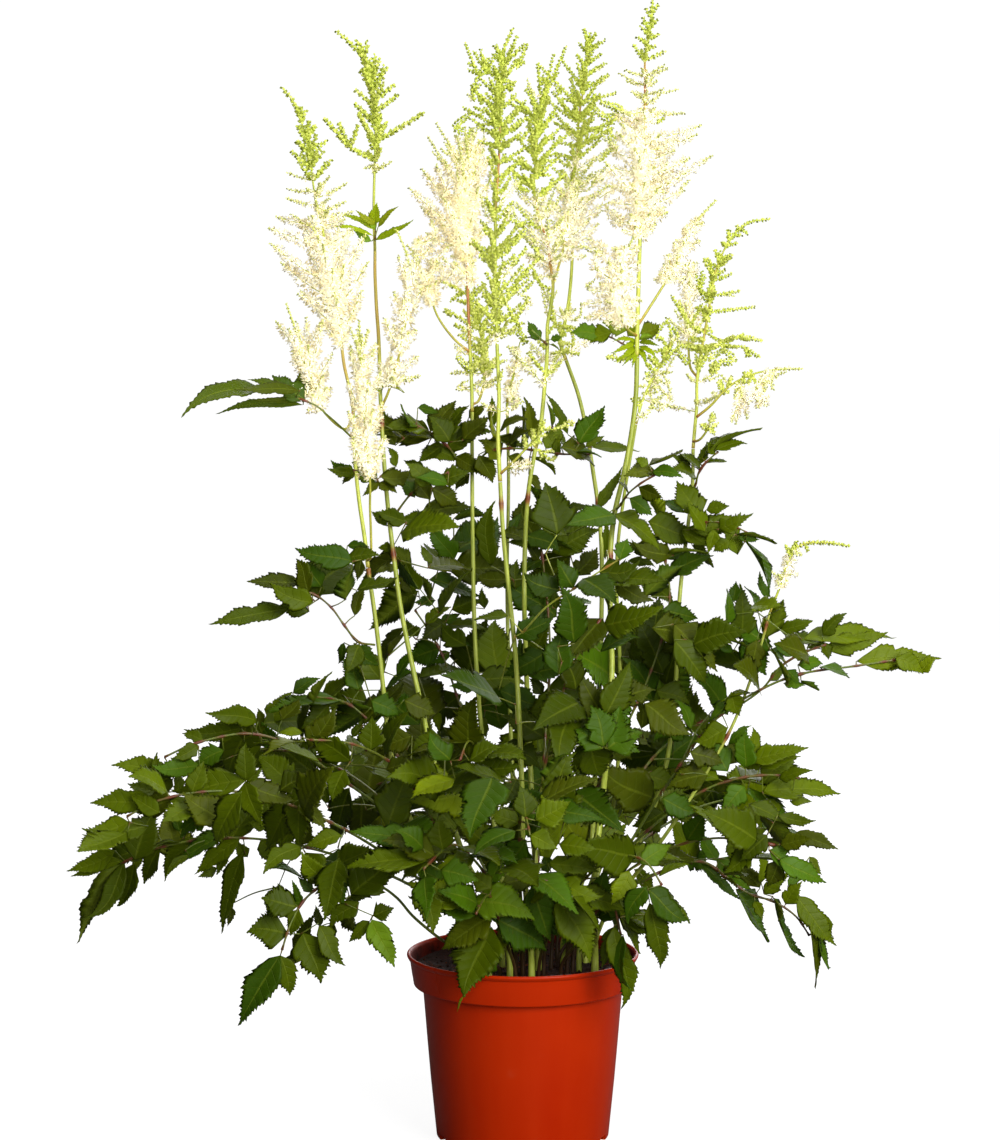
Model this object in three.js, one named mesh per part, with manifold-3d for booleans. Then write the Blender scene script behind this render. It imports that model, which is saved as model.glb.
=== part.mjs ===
// Astilbe in a nursery pot, millimetres, +Z up.
// Origin: centre of the pot's underside. +X is the plant's right, -Y its front.
//
// Pieces: the pot, the soil in it, eleven flowering stems with their plumes, and the
// compound leaves, some rising from the crown in the soil and some borne on a stem.
import * as THREE from "three";
import { mergeVertices } from "three/addons/utils/BufferGeometryUtils.js";
import Module from "manifold-3d";

const wasm = await Module();
wasm.setup();

// ---------------------------------------------------------------- driving dimensions
const POT_HEIGHT = 137;
const POT_RIM_RADIUS = 85; // over the bead: a 17 cm pot
const POT_COLLAR_RADIUS = 83;
const POT_COLLAR_FOOT = 113; // height of the collar's lower edge
const POT_BASE_RADIUS = 63.8;
const POT_FLOOR_RISE = 5; // drain channel above the resting plane
const POT_FACETS = 32;
const DRAIN_NOTCHES = 8;
const DRAIN_NOTCH_WIDTH = 13;
const DRAIN_HOLE_RADIUS = 4.5;

const SOIL_TOP = 123; // at the crown
const SOIL_EDGE = 121; // at the pot's wall
const SOIL_GAP = 0.4; // between soil and pot
const POCKET_DEPTH = 12; // how deep stems and petioles sit in the soil
const POCKET_GAP = 0.45;
const SOIL_FACETS = 24;

const STEM_SIDES = 5;
const LEAFLET_THICKNESS = 1.3;
const LEAFLET_FOLD = 0.22; // how far the blade's halves rise from the midrib
const LEAFLET_PROFILE = [ // share of the length, share of the half width
  [0.3, 0.95],
  [0.66, 0.7],
];

// ---------------------------------------------------------------- measured plant
// path: from its foot in the soil up to its plume
const STEMS = [
  { name: "flower_stem_a", radius: 1.9, path: [[-25.9, -26.3, 111.0], [-25.5, -26.1, 127.0], [-36.1, -33.2, 168.5], [-60.7, -47.6, 203.9], [-81.5, -49.0, 244.0], [-94.4, -43.6, 287.2], [-100.1, -40.9, 332.2], [-104.9, -39.4, 377.5], [-111.2, -37.2, 422.5]] },
  { name: "flower_stem_b", radius: 1.9, path: [[-10.5, -36.6, 111.0], [-10.1, -36.4, 128.0], [-20.0, -44.7, 172.1], [-40.8, -55.1, 213.4], [-56.8, -42.7, 256.3], [-68.8, -25.8, 299.1], [-79.1, -14.4, 343.9], [-88.7, -8.6, 390.0], [-95.0, -1.6, 436.7], [-100.1, 6.6, 483.2], [-103.3, 15.1, 529.9]] },
  { name: "flower_stem_c", radius: 1.8, path: [[-15.0, 8.9, 111.0], [-15.0, 8.9, 127.0], [-14.7, 11.2, 172.4], [-19.3, 19.6, 216.6], [-26.4, 32.7, 259.6], [-31.4, 36.9, 304.5], [-34.5, 38.0, 349.9], [-36.3, 41.4, 395.2], [-37.0, 43.8, 440.6], [-37.4, 46.5, 486.0], [-37.4, 50.9, 531.3]] },
  { name: "flower_stem_d", radius: 1.95, path: [[5.9, -45.4, 111.0], [6.0, -45.2, 127.0], [3.7, -53.0, 171.0], [0.1, -66.6, 214.3], [-1.1, -72.9, 259.3], [-2.5, -69.4, 304.6], [-5.0, -64.8, 349.6], [-9.0, -65.5, 395.0], [-13.8, -65.6, 440.2], [-16.6, -64.6, 485.7]] },
  { name: "flower_stem_e", radius: 2.0, path: [[11.4, 0.3, 111.0], [11.5, 0.3, 127.0], [10.4, 1.1, 175.3], [8.1, 7.3, 223.1], [5.7, 17.6, 270.1], [3.6, 19.4, 318.2], [1.9, 12.2, 365.9], [1.0, 3.9, 411.5], [2.5, 9.6, 458.4], [9.1, 10.0, 506.1]] },
  { name: "flower_stem_f", radius: 1.8, path: [[30.7, 17.4, 111.0], [30.5, 17.6, 127.0], [38.8, 11.5, 170.9], [50.9, 15.5, 214.3], [53.5, 33.6, 255.7], [56.0, 35.4, 301.6], [58.2, 50.4, 344.8], [59.3, 55.5, 390.0], [58.8, 58.6, 435.9], [53.9, 69.5, 480.5], [46.7, 77.2, 525.5], [33.1, 84.9, 568.9]] },
  { name: "flower_stem_g", radius: 2.15, path: [[52.6, -17.9, 111.0], [52.6, -17.5, 128.0], [51.5, -34.1, 168.5], [50.9, -60.3, 207.3], [55.9, -44.2, 250.1], [60.3, -48.6, 296.6], [62.9, -46.6, 343.2], [62.8, -31.3, 387.3], [62.5, -31.8, 434.1], [70.0, -26.2, 480.0], [78.9, -22.8, 526.0], [81.6, -19.2, 572.7]] },
  { name: "flower_stem_h", radius: 1.75, path: [[47.8, 26.8, 111.0], [47.5, 27.0, 127.0], [61.9, 21.9, 171.6], [86.7, 29.1, 213.1], [103.6, 30.9, 259.4], [112.0, 32.7, 308.0], [114.8, 32.8, 357.3], [117.4, 35.1, 406.4], [123.7, 40.9, 455.0], [126.3, 44.9, 504.2]] },
  { name: "flower_stem_j", radius: 1.6, path: [[-0.1, 35.4, 111.0], [-0.0, 35.1, 127.0], [-1.9, 45.3, 171.4], [-5.5, 62.5, 214.6], [-7.5, 69.3, 260.8], [-9.2, 75.9, 307.0], [-10.5, 82.9, 353.1], [-11.3, 88.4, 399.5], [-10.7, 98.3, 445.1], [-10.3, 108.8, 490.6], [-11.3, 117.9, 536.3]] },
  { name: "flower_stem_i", radius: 1.3, path: [[53.5, 0.3, 111.0], [53.3, 0.5, 127.0], [64.5, -11.2, 171.6], [90.3, -30.1, 210.4], [118.6, -32.2, 251.8], [144.2, -29.0, 295.0], [164.3, -25.4, 340.9], [177.7, -25.0, 389.4]] },
  { name: "flower_stem_k", radius: 1.55, path: [[41.9, -0.7, 111.0], [41.7, -1.0, 128.0], [48.5, 11.1, 168.9], [61.8, 31.6, 207.3], [69.3, 32.5, 251.5], [72.3, 28.2, 296.8], [72.0, 28.5, 342.5], [69.9, 25.3, 387.9], [69.9, 20.5, 433.2], [75.3, 17.7, 478.4], [82.5, 14.0, 523.4]] },
];
// tubes: radius and points of the axis and its side stalks; branches: one row per spindle;
// twigs and leaflets: the small leaves on the axis
const PLUMES = [
  { name: "flower_plume_a", green: false,
    tubes: [[1.6, [[-111.2, -37.2, 422.9], [-116.2, -34.3, 461.4], [-120.4, -31.9, 500.1], [-122.1, -29.5, 538.9], [-129.3, -27.4, 577.0]]], [1.0, [[-122.1, -29.5, 538.9], [-129.3, -27.4, 577.0], [-136.4, -25.5, 615.3], [-141.2, -23.6, 653.9], [-149.3, -21.8, 691.9], [-155.5, -19.9, 730.3], [-172.0, -18.0, 764.9]]], [0.95, [[-121.9, -29.8, 534.2], [-141.3, -46.9, 534.2], [-154.7, -55.5, 571.7], [-167.1, -60.0, 611.5]]], [0.95, [[-111.8, -36.8, 427.8], [-108.2, -56.8, 450.6], [-108.0, -71.4, 485.9], [-111.1, -75.8, 523.6], [-113.1, -79.9, 561.6], [-114.8, -84.0, 599.6]]]],
    branches: [[-137.6, -25.0, 624.8, -179.7, -38.7, 653.9, 6.0], [-137.0, -25.3, 619.8, -112.0, -30.7, 660.5, 6.5], [-148.7, -51.6, 554.8, -151.1, -72.3, 582.2, 5.5], [-110.5, -74.9, 516.1, -98.7, -71.8, 542.3, 5.9], [-141.2, -23.6, 653.6, -146.0, 17.9, 663.9, 5.6], [-137.6, -25.0, 624.8, -140.5, -66.7, 652.6, 6.2], [-132.1, -26.6, 592.2, -160.0, -18.6, 620.9, 5.5], [-131.2, -26.9, 587.3, -115.3, -25.2, 620.8, 5.0], [-112.9, -79.5, 557.8, -103.5, -71.0, 584.3, 4.4], [-108.4, -71.9, 490.3, -120.2, -80.1, 514.6, 5.9], [-140.2, -24.0, 645.6, -160.0, -13.8, 669.4, 5.0], [-152.9, -20.7, 714.4, -146.9, -35.3, 730.7, 2.4], [-155.8, -55.9, 575.2, -175.3, -45.4, 598.8, 4.0], [-145.4, -49.5, 545.7, -150.7, -36.0, 553.8, 5.9], [-137.0, -25.3, 619.8, -129.8, -3.4, 656.1, 6.6], [-136.1, -25.6, 613.9, -174.2, -17.9, 640.9, 5.5], [-111.4, -76.5, 530.0, -123.6, -77.3, 557.8, 5.4], [-148.0, -22.1, 685.8, -126.0, -17.4, 697.0, 3.0], [-134.5, -26.0, 605.0, -126.9, -47.4, 638.8, 5.7], [-134.5, -26.0, 605.0, -110.7, -29.6, 640.7, 6.0], [-136.1, -25.6, 613.9, -139.6, 12.0, 640.0, 5.2], [-141.2, -23.6, 653.6, -119.5, -58.0, 663.6, 5.1], [-108.7, -72.4, 494.3, -96.5, -76.0, 518.7, 5.9], [-145.4, -49.5, 545.7, -164.7, -59.0, 554.6, 5.9]],
    twigs: [[[-121.0, -31.0, 514.2], [-136.0, -50.9, 530.1], [-158.7, -61.0, 544.2], [-187.8, -65.4, 542.6], [-216.9, -68.0, 538.0]], [[-155.4, -59.5, 542.1], [-154.9, -55.9, 545.3]]],
    leaflets: [[-160.2, -61.2, 544.1, -233.5, -138.8, 534.3, -57, 59, 27.0, 0.06], [-155.4, -59.5, 542.1, -174.8, -59.0, 563.9, -88, 9, 15.5, 0.04], [-155.1, -57.4, 544.0, -158.8, -53.2, 561.7, -148, -7, 12.2, 0.07], [-155.1, -57.4, 544.0, -219.1, -51.7, 534.2, -103, 72, 19.3, 0.04]] },
  { name: "flower_plume_b", green: true,
    tubes: [[1.6, [[-103.3, 15.1, 530.3], [-104.8, 22.4, 570.9], [-107.3, 29.5, 611.4]]], [1.0, [[-104.8, 22.4, 570.9], [-107.3, 29.5, 611.4], [-108.1, 28.6, 652.6], [-108.6, 26.9, 693.8], [-107.4, 25.3, 735.0], [-111.2, 23.6, 775.9], [-135.5, 22.0, 808.0]]], [0.95, [[-103.5, 16.0, 535.2], [-93.0, 6.7, 561.9], [-85.4, 2.6, 596.3], [-82.1, -1.7, 631.2], [-91.5, -6.0, 664.7]]]],
    branches: [[-89.8, 5.0, 576.3, -100.7, 2.6, 600.9, 6.1], [-107.6, 25.6, 728.3, -71.9, 21.6, 749.1, 2.6], [-83.0, -0.5, 621.6, -76.7, 2.3, 643.3, 5.1], [-95.1, 8.6, 556.5, -74.8, 8.0, 558.8, 4.6], [-110.9, 23.7, 773.1, -107.7, 31.7, 791.6, 2.4], [-107.6, 25.6, 728.3, -100.5, 51.9, 744.1, 2.7], [-96.2, 9.5, 553.9, -104.7, 10.0, 569.0, 5.1], [-85.5, 2.7, 595.8, -83.3, 10.3, 618.6, 6.1], [-107.6, 25.6, 728.3, -118.4, -5.0, 747.1, 2.7], [-108.2, 26.4, 707.2, -95.2, 22.6, 714.6, 3.0], [-88.3, 4.2, 583.1, -77.6, 6.6, 592.2, 6.1], [-109.1, 24.5, 753.2, -122.0, 23.8, 765.8, 2.4], [-108.0, 26.1, 715.2, -125.7, 20.8, 723.9, 2.6], [-93.1, 6.8, 561.7, -95.1, -9.0, 572.7, 5.8], [-109.5, 24.4, 757.1, -93.1, 27.8, 770.4, 2.4], [-95.1, 8.6, 556.5, -87.8, 25.5, 558.8, 4.4], [-82.4, -1.4, 628.5, -90.0, -8.9, 645.3, 4.6]],
    twigs: [[[-108.0, 28.7, 649.1], [-107.4, 11.9, 658.7], [-105.9, -4.0, 669.7]], [[-103.8, 17.7, 544.5], [-100.3, 8.7, 551.3], [-94.9, -2.0, 553.3]]],
    leaflets: [[-106.6, 3.9, 664.2, -109.8, 1.6, 679.2, -83, -7, 8.7, -0.05], [-107.4, 11.9, 658.7, -90.2, 16.4, 681.8, -157, 42, 15.5, 0.04], [-106.1, -1.4, 667.9, -103.3, -7.0, 683.0, -127, -9, 10.9, 0.08], [-106.1, -1.4, 667.9, -120.8, -3.2, 678.4, -87, 3, 5.8, 0.09], [-106.6, 3.9, 664.2, -133.9, 5.7, 674.5, -87, 24, 7.2, 0.07], [-107.4, 11.9, 658.7, -122.5, 6.3, 664.2, -109, -43, 8.4, -0.03], [-107.5, 14.7, 657.1, -79.3, 12.9, 672.7, -153, 56, 23.2, -0.04], [-100.3, 8.7, 551.3, -85.9, 5.0, 546.7, -24, 79, 12.2, 0.07]] },
  { name: "flower_plume_c", green: false,
    tubes: [[1.5, [[-37.4, 51.0, 531.7], [-38.8, 55.2, 573.5], [-40.5, 59.3, 615.2], [-41.1, 61.2, 657.1]]], [1.0, [[-40.5, 59.3, 615.2], [-41.1, 61.2, 657.1], [-40.0, 58.6, 698.9], [-38.8, 56.0, 740.4]]], [0.95, [[-38.9, 55.4, 575.5], [-67.0, 51.2, 610.7], [-79.9, 40.0, 657.9]]], [0.95, [[-37.5, 51.5, 536.7], [-28.0, 77.8, 556.9], [-34.2, 81.0, 597.3], [-57.9, 84.0, 628.4]]]],
    branches: [[-41.1, 61.1, 658.1, -73.1, 66.0, 678.4, 7.8], [-41.0, 60.9, 662.1, -33.1, 21.8, 690.0, 5.6], [-40.2, 59.1, 691.0, -68.8, 76.1, 729.8, 3.7], [-40.9, 60.7, 645.2, -52.9, 100.1, 642.8, 3.2], [-41.0, 60.9, 662.1, -40.0, 97.1, 687.4, 5.2], [-40.1, 58.8, 695.0, -25.6, 57.6, 717.1, 6.3], [-66.4, 51.3, 610.0, -64.0, 49.9, 627.3, 5.7], [-41.0, 60.9, 651.1, -27.1, 61.9, 668.7, 6.8], [-28.4, 78.0, 559.4, -49.7, 79.0, 558.9, 3.2], [-40.4, 59.5, 684.0, -56.6, 55.6, 713.3, 6.8], [-41.1, 61.1, 658.1, -49.9, 39.4, 672.8, 8.2], [-40.2, 59.1, 691.0, -47.1, 29.0, 727.4, 3.7], [-40.7, 60.2, 673.0, -73.1, 66.7, 705.7, 5.7], [-40.2, 59.1, 691.0, -37.9, 88.9, 726.3, 3.2], [-33.3, 80.6, 591.7, -56.5, 84.1, 604.4, 2.7], [-41.0, 60.9, 662.1, -81.7, 55.5, 690.6, 5.7], [-40.6, 60.0, 677.0, -26.3, 54.2, 696.4, 7.3], [-40.7, 60.2, 673.0, -47.9, 31.8, 702.9, 5.4], [-40.8, 60.5, 669.0, -34.9, 76.1, 691.7, 6.9], [-31.5, 79.6, 579.9, -18.9, 77.3, 591.8, 2.4], [-40.8, 60.5, 669.0, -61.2, 63.5, 695.3, 7.3], [-41.0, 60.7, 647.2, -60.5, 64.2, 668.8, 7.8], [-39.7, 58.0, 707.9, -62.5, 59.1, 739.9, 3.1], [-40.4, 59.5, 684.0, -45.5, 71.8, 708.2, 6.5]],
    twigs: [],
    leaflets: [] },
  { name: "flower_plume_d", green: true,
    tubes: [[1.6, [[-16.6, -64.5, 486.1], [-17.9, -63.5, 525.9], [-18.1, -62.4, 565.8]]], [1.0, [[-17.9, -63.5, 525.9], [-18.1, -62.4, 565.8], [-19.3, -61.0, 605.6], [-20.2, -59.2, 645.5], [-19.3, -57.4, 685.3], [-17.0, -55.6, 725.1], [-16.3, -53.8, 765.0], [-7.6, -52.0, 803.3]]], [0.95, [[-16.8, -64.4, 491.1], [-0.9, -72.7, 507.0], [13.9, -90.0, 523.4]]]],
    branches: [[-16.8, -55.2, 733.9, -45.5, -51.7, 739.5, 3.0], [-19.3, -60.9, 607.0, 3.0, -54.3, 620.6, 3.0], [-14.4, -53.4, 773.5, -5.5, -52.3, 792.2, 2.4], [-19.4, -57.6, 682.0, -2.6, -53.8, 693.4, 3.4], [-20.2, -59.1, 647.0, -37.8, -55.9, 647.2, 3.0], [-20.1, -59.3, 643.0, 0.1, -69.6, 656.7, 3.0], [-16.8, -55.2, 734.9, -1.3, -59.7, 744.6, 3.0], [-18.7, -61.7, 586.0, -11.3, -79.6, 590.9, 2.8], [-16.8, -55.2, 733.9, -25.4, -78.6, 738.7, 2.9], [-19.3, -60.9, 607.0, -22.6, -39.1, 619.9, 2.5], [-19.5, -60.5, 616.0, -18.9, -75.9, 626.6, 2.9], [-19.6, -58.0, 673.0, -27.9, -63.1, 684.7, 2.5], [-17.9, -56.3, 708.9, -23.3, -40.5, 712.7, 3.4], [-18.7, -61.7, 586.0, -23.1, -45.6, 590.3, 2.7], [-20.1, -59.3, 643.0, -24.1, -79.0, 655.1, 2.8], [-20.1, -59.3, 643.0, -5.2, -45.4, 655.4, 2.5], [-18.7, -61.7, 586.0, 1.6, -61.6, 591.2, 3.0]],
    twigs: [],
    leaflets: [] },
  { name: "flower_plume_e", green: true,
    tubes: [[1.7, [[9.2, 10.0, 506.5], [15.1, 10.6, 544.3], [17.7, 11.3, 582.6], [21.6, 11.9, 620.7]]], [1.0, [[17.7, 11.3, 582.6], [21.6, 11.9, 620.7], [16.8, 9.9, 658.6], [8.0, 7.3, 695.6], [10.5, 4.6, 733.8], [17.8, 2.0, 771.4]]], [0.95, [[20.8, 11.6, 626.7], [31.2, 32.7, 657.6], [36.9, 44.0, 696.0]]]],
    branches: [[13.6, 9.0, 672.0, 29.7, 11.1, 683.1, 4.6], [14.4, 3.2, 753.7, 25.8, 5.9, 778.8, 2.4], [36.0, 42.3, 690.2, 49.6, 48.6, 700.5, 4.7], [20.3, 11.4, 630.7, 9.4, 7.9, 628.3, 3.1], [17.6, 10.2, 652.5, 0.7, 8.8, 662.9, 4.6], [12.3, 4.0, 742.9, -8.1, -3.1, 748.2, 2.6], [30.2, 30.6, 654.5, 40.6, 37.8, 649.1, 4.1], [9.0, 6.2, 711.2, 25.1, 3.0, 721.5, 3.9], [32.1, 34.4, 663.3, 24.3, 35.9, 676.7, 5.2], [11.5, 8.3, 680.8, -3.7, 12.5, 688.9, 4.6], [33.6, 37.5, 673.9, 47.9, 40.5, 682.7, 5.2], [12.3, 4.0, 742.9, 19.7, -13.8, 747.9, 2.6], [17.6, 10.2, 652.5, 19.6, -3.8, 660.9, 4.7], [8.7, 6.6, 706.2, -3.8, -2.8, 709.8, 3.5], [31.2, 32.7, 657.6, 44.8, 32.2, 665.0, 5.2], [13.6, 9.0, 672.0, 15.4, -5.7, 681.6, 4.2], [35.0, 40.3, 683.5, 25.9, 41.5, 694.4, 4.7], [17.6, 10.2, 652.5, 13.5, 25.5, 661.9, 4.0]],
    twigs: [[[17.6, 11.3, 581.2], [14.0, -3.4, 584.7], [6.3, -14.0, 592.3]], [[9.9, 10.1, 511.2], [13.6, 21.5, 510.4], [17.5, 32.2, 512.7], [22.0, 39.3, 521.0], [24.7, 44.0, 531.5]]],
    leaflets: [[14.7, -0.5, 584.0, 1.7, -3.9, 587.0, -64, 68, 9.4, 0.06], [12.5, -5.5, 586.2, 3.3, -10.3, 599.3, -65, 1, 8.5, -0.04], [21.7, 38.8, 520.5, 32.8, 50.8, 501.9, -16, 26, 15.8, 0.08], [21.7, 38.8, 520.5, 18.1, 35.8, 539.8, 13, 10, 12.7, 0.05]] },
  { name: "flower_plume_f", green: true,
    tubes: [[1.15, [[32.9, 85.0, 569.2], [34.2, 82.6, 608.5], [37.3, 80.1, 649.1], [36.9, 77.6, 689.9], [41.0, 75.1, 730.2], [45.7, 72.6, 770.5], [49.9, 70.0, 810.9]]]],
    branches: [[37.0, 78.1, 682.4, 60.8, 73.9, 691.3, 5.3], [44.1, 73.5, 756.6, 18.8, 62.8, 776.0, 2.4], [41.6, 74.8, 735.8, 72.8, 81.6, 740.5, 3.2], [37.1, 79.2, 664.4, 22.3, 89.5, 669.5, 4.2], [33.9, 83.1, 600.8, 43.2, 77.2, 605.2, 3.2], [37.4, 77.3, 695.2, 43.1, 101.7, 705.7, 4.6], [40.6, 75.4, 725.9, 48.0, 45.8, 733.1, 2.4], [37.0, 78.1, 682.4, 29.0, 61.3, 689.3, 5.0], [42.8, 74.1, 745.7, 39.7, 95.6, 762.8, 3.1], [37.2, 79.7, 655.4, 54.9, 74.2, 664.6, 5.3], [44.1, 73.5, 756.6, 57.0, 55.0, 773.6, 2.4], [38.8, 76.4, 709.1, 60.7, 75.3, 717.9, 4.2]],
    twigs: [],
    leaflets: [] },
  { name: "flower_plume_g", green: false,
    tubes: [[1.15, [[81.6, -19.1, 573.1], [82.3, -17.4, 615.9], [83.6, -16.3, 658.7], [84.9, -15.2, 701.5], [86.7, -14.2, 744.3], [87.1, -13.1, 787.1], [92.3, -12.0, 829.6]]], [0.95, [[81.9, -18.5, 588.1], [68.0, -43.0, 615.8], [77.7, -52.0, 658.5]]], [0.95, [[82.0, -18.2, 595.0], [99.1, -6.6, 621.2], [117.3, 2.7, 655.0], [139.8, 12.0, 686.0]]]],
    branches: [[84.5, -15.5, 688.0, 134.1, -36.6, 715.9, 4.0], [84.5, -15.5, 688.0, 105.2, 29.9, 713.9, 4.1], [84.7, -15.4, 695.0, 60.0, -11.4, 695.2, 6.1], [86.1, -14.5, 731.0, 63.4, -12.0, 747.7, 4.5], [84.2, -15.8, 679.0, 115.2, -11.6, 692.3, 6.1], [84.9, -15.2, 701.0, 81.7, -43.3, 712.2, 6.7], [107.9, -2.1, 637.6, 123.3, -1.1, 641.1, 5.6], [86.8, -13.8, 759.9, 111.5, -6.6, 764.3, 3.0], [85.3, -15.0, 712.0, 108.9, -6.4, 721.0, 6.6], [68.2, -42.7, 615.5, 60.6, -66.9, 611.3, 5.0], [86.0, -14.6, 728.0, 127.2, -21.1, 737.9, 4.0], [70.2, -45.0, 625.3, 51.0, -49.5, 636.1, 6.5], [86.0, -14.6, 728.0, 85.6, 23.9, 737.2, 4.0], [84.2, -15.8, 679.0, 86.1, 6.7, 688.6, 5.4], [85.4, -14.9, 713.0, 62.2, -8.4, 720.9, 5.5], [84.5, -15.5, 688.0, 56.9, -49.4, 710.6, 3.8], [83.9, -16.0, 669.0, 89.4, -29.8, 674.6, 5.6], [84.9, -15.2, 701.0, 118.8, -20.7, 714.6, 6.6], [86.0, -14.6, 728.0, 68.2, -48.3, 737.1, 3.5], [87.1, -13.2, 782.9, 78.1, -13.5, 795.6, 2.4], [84.1, -15.9, 674.0, 68.0, -10.5, 668.1, 5.5]],
    twigs: [[[81.7, -18.8, 579.5], [78.5, -2.0, 579.9], [73.2, 13.8, 581.8], [62.7, 25.7, 587.5], [49.5, 36.0, 589.1]], [[71.3, 16.0, 582.8], [76.9, 18.5, 587.7]], [[80.5, -12.6, 579.6], [83.5, -11.5, 585.4]], [[83.0, -11.7, 584.3], [84.3, -3.6, 589.5]]],
    leaflets: [[56.7, 30.4, 588.2, 34.6, 30.3, 589.9, -89, 18, 10.8, 0.02], [63.6, 24.6, 587.0, 49.2, 30.3, 583.0, 111, 57, 14.0, 0.03], [75.5, 17.9, 586.5, 84.7, 14.4, 597.5, 157, 42, 9.5, 0.03], [75.5, 17.9, 586.5, 57.7, 18.1, 597.5, -51, 59, 13.9, -0.04], [84.0, -5.3, 588.4, 98.7, -5.4, 597.1, -115, 31, 11.8, -0.08]] },
  { name: "flower_plume_h", green: true,
    tubes: [[1.15, [[126.3, 44.9, 504.6], [129.1, 47.9, 542.7], [132.8, 46.0, 580.7], [138.9, 44.0, 618.5], [150.0, 42.0, 655.0], [181.5, 40.0, 673.2]]], [0.95, [[130.6, 47.2, 557.4], [124.8, 64.5, 593.0], [122.7, 60.0, 642.1]]], [0.95, [[128.0, 46.7, 527.5], [159.4, 33.7, 555.3], [204.9, 22.0, 563.7]]], [0.95, [[126.7, 45.3, 509.6], [133.8, 32.7, 516.3], [139.2, 22.0, 532.2]]]],
    branches: [[128.6, 47.4, 536.5, 141.9, 9.1, 544.3, 3.1], [136.7, 44.7, 605.1, 171.6, 48.1, 608.9, 2.4], [123.3, 61.2, 629.1, 129.7, 64.6, 642.2, 4.7], [136.7, 44.7, 605.1, 132.8, 16.3, 608.2, 2.4], [181.1, 28.1, 559.3, 176.6, 22.9, 546.8, 4.1], [130.0, 47.4, 552.4, 142.6, 41.2, 561.1, 3.1], [124.7, 64.3, 595.0, 131.8, 59.5, 605.2, 5.2], [144.5, 43.0, 637.0, 149.9, 32.7, 644.6, 2.4], [132.5, 46.2, 577.3, 115.0, 49.7, 580.9, 3.1], [123.8, 62.3, 617.1, 116.9, 60.6, 628.9, 5.2], [159.4, 33.7, 555.3, 155.2, 30.6, 540.8, 3.1], [144.5, 43.0, 637.0, 154.8, 53.1, 646.4, 2.4], [124.4, 63.7, 602.0, 116.5, 64.9, 614.1, 5.2], [123.9, 62.6, 614.1, 131.2, 64.4, 625.9, 5.7], [130.0, 47.4, 552.4, 120.8, 37.5, 559.8, 3.2], [132.3, 46.3, 575.3, 149.2, 52.0, 583.1, 3.6], [138.6, 44.1, 616.9, 160.4, 46.5, 620.6, 2.4], [132.5, 46.2, 577.3, 129.2, 30.2, 580.6, 3.2], [130.0, 47.4, 552.4, 131.0, 60.8, 560.2, 3.0], [136.7, 44.7, 605.1, 130.0, 74.1, 608.4, 2.4]],
    twigs: [],
    leaflets: [] },
  { name: "flower_plume_j", green: false,
    tubes: [[1.15, [[-11.4, 118.0, 536.7], [-7.7, 116.2, 551.9], [-4.5, 114.1, 567.2], [-1.5, 112.0, 582.5]]]],
    branches: [[-10.0, 117.3, 542.6, -4.3, 154.8, 531.0, 4.8], [-5.4, 114.7, 563.0, 3.1, 119.0, 570.2, 4.3], [-9.0, 116.8, 546.4, -1.4, 117.8, 538.3, 4.8], [-8.8, 116.7, 547.4, 0.1, 116.6, 553.5, 4.3], [-5.4, 114.7, 563.0, -7.4, 122.5, 569.4, 3.7], [-5.4, 114.7, 563.0, 1.2, 109.3, 569.4, 4.4]],
    twigs: [],
    leaflets: [] },
  { name: "flower_plume_i", green: false,
    tubes: [[1.15, [[177.9, -25.0, 389.8], [187.7, -29.7, 418.1], [203.6, -34.8, 439.9], [233.3, -40.0, 438.6]]]],
    branches: [[187.6, -29.7, 417.8, 197.5, -28.3, 417.5, 3.5], [186.0, -28.9, 413.1, 178.9, -26.9, 418.9, 3.0]],
    twigs: [],
    leaflets: [] },
  { name: "flower_plume_k", green: true,
    tubes: [[1.15, [[82.5, 14.0, 523.8], [91.3, 15.9, 550.0], [104.5, 18.0, 574.4], [105.1, 20.0, 600.8]]]],
    branches: [[94.3, 16.4, 555.6, 105.9, 15.7, 544.1, 3.1], [102.4, 17.7, 570.6, 114.4, 15.2, 580.5, 2.6], [99.6, 17.2, 565.3, 90.9, 10.8, 573.3, 3.1], [86.3, 14.8, 535.2, 79.5, 12.5, 542.7, 2.4], [97.2, 16.8, 560.9, 108.6, 12.6, 561.7, 3.1], [94.3, 16.4, 555.6, 93.7, 25.8, 546.4, 3.0], [104.6, 18.3, 577.8, 101.7, 23.1, 586.3, 2.4], [97.2, 16.8, 560.9, 104.4, 25.8, 561.6, 3.2]],
    twigs: [],
    leaflets: [] },
];
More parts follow.
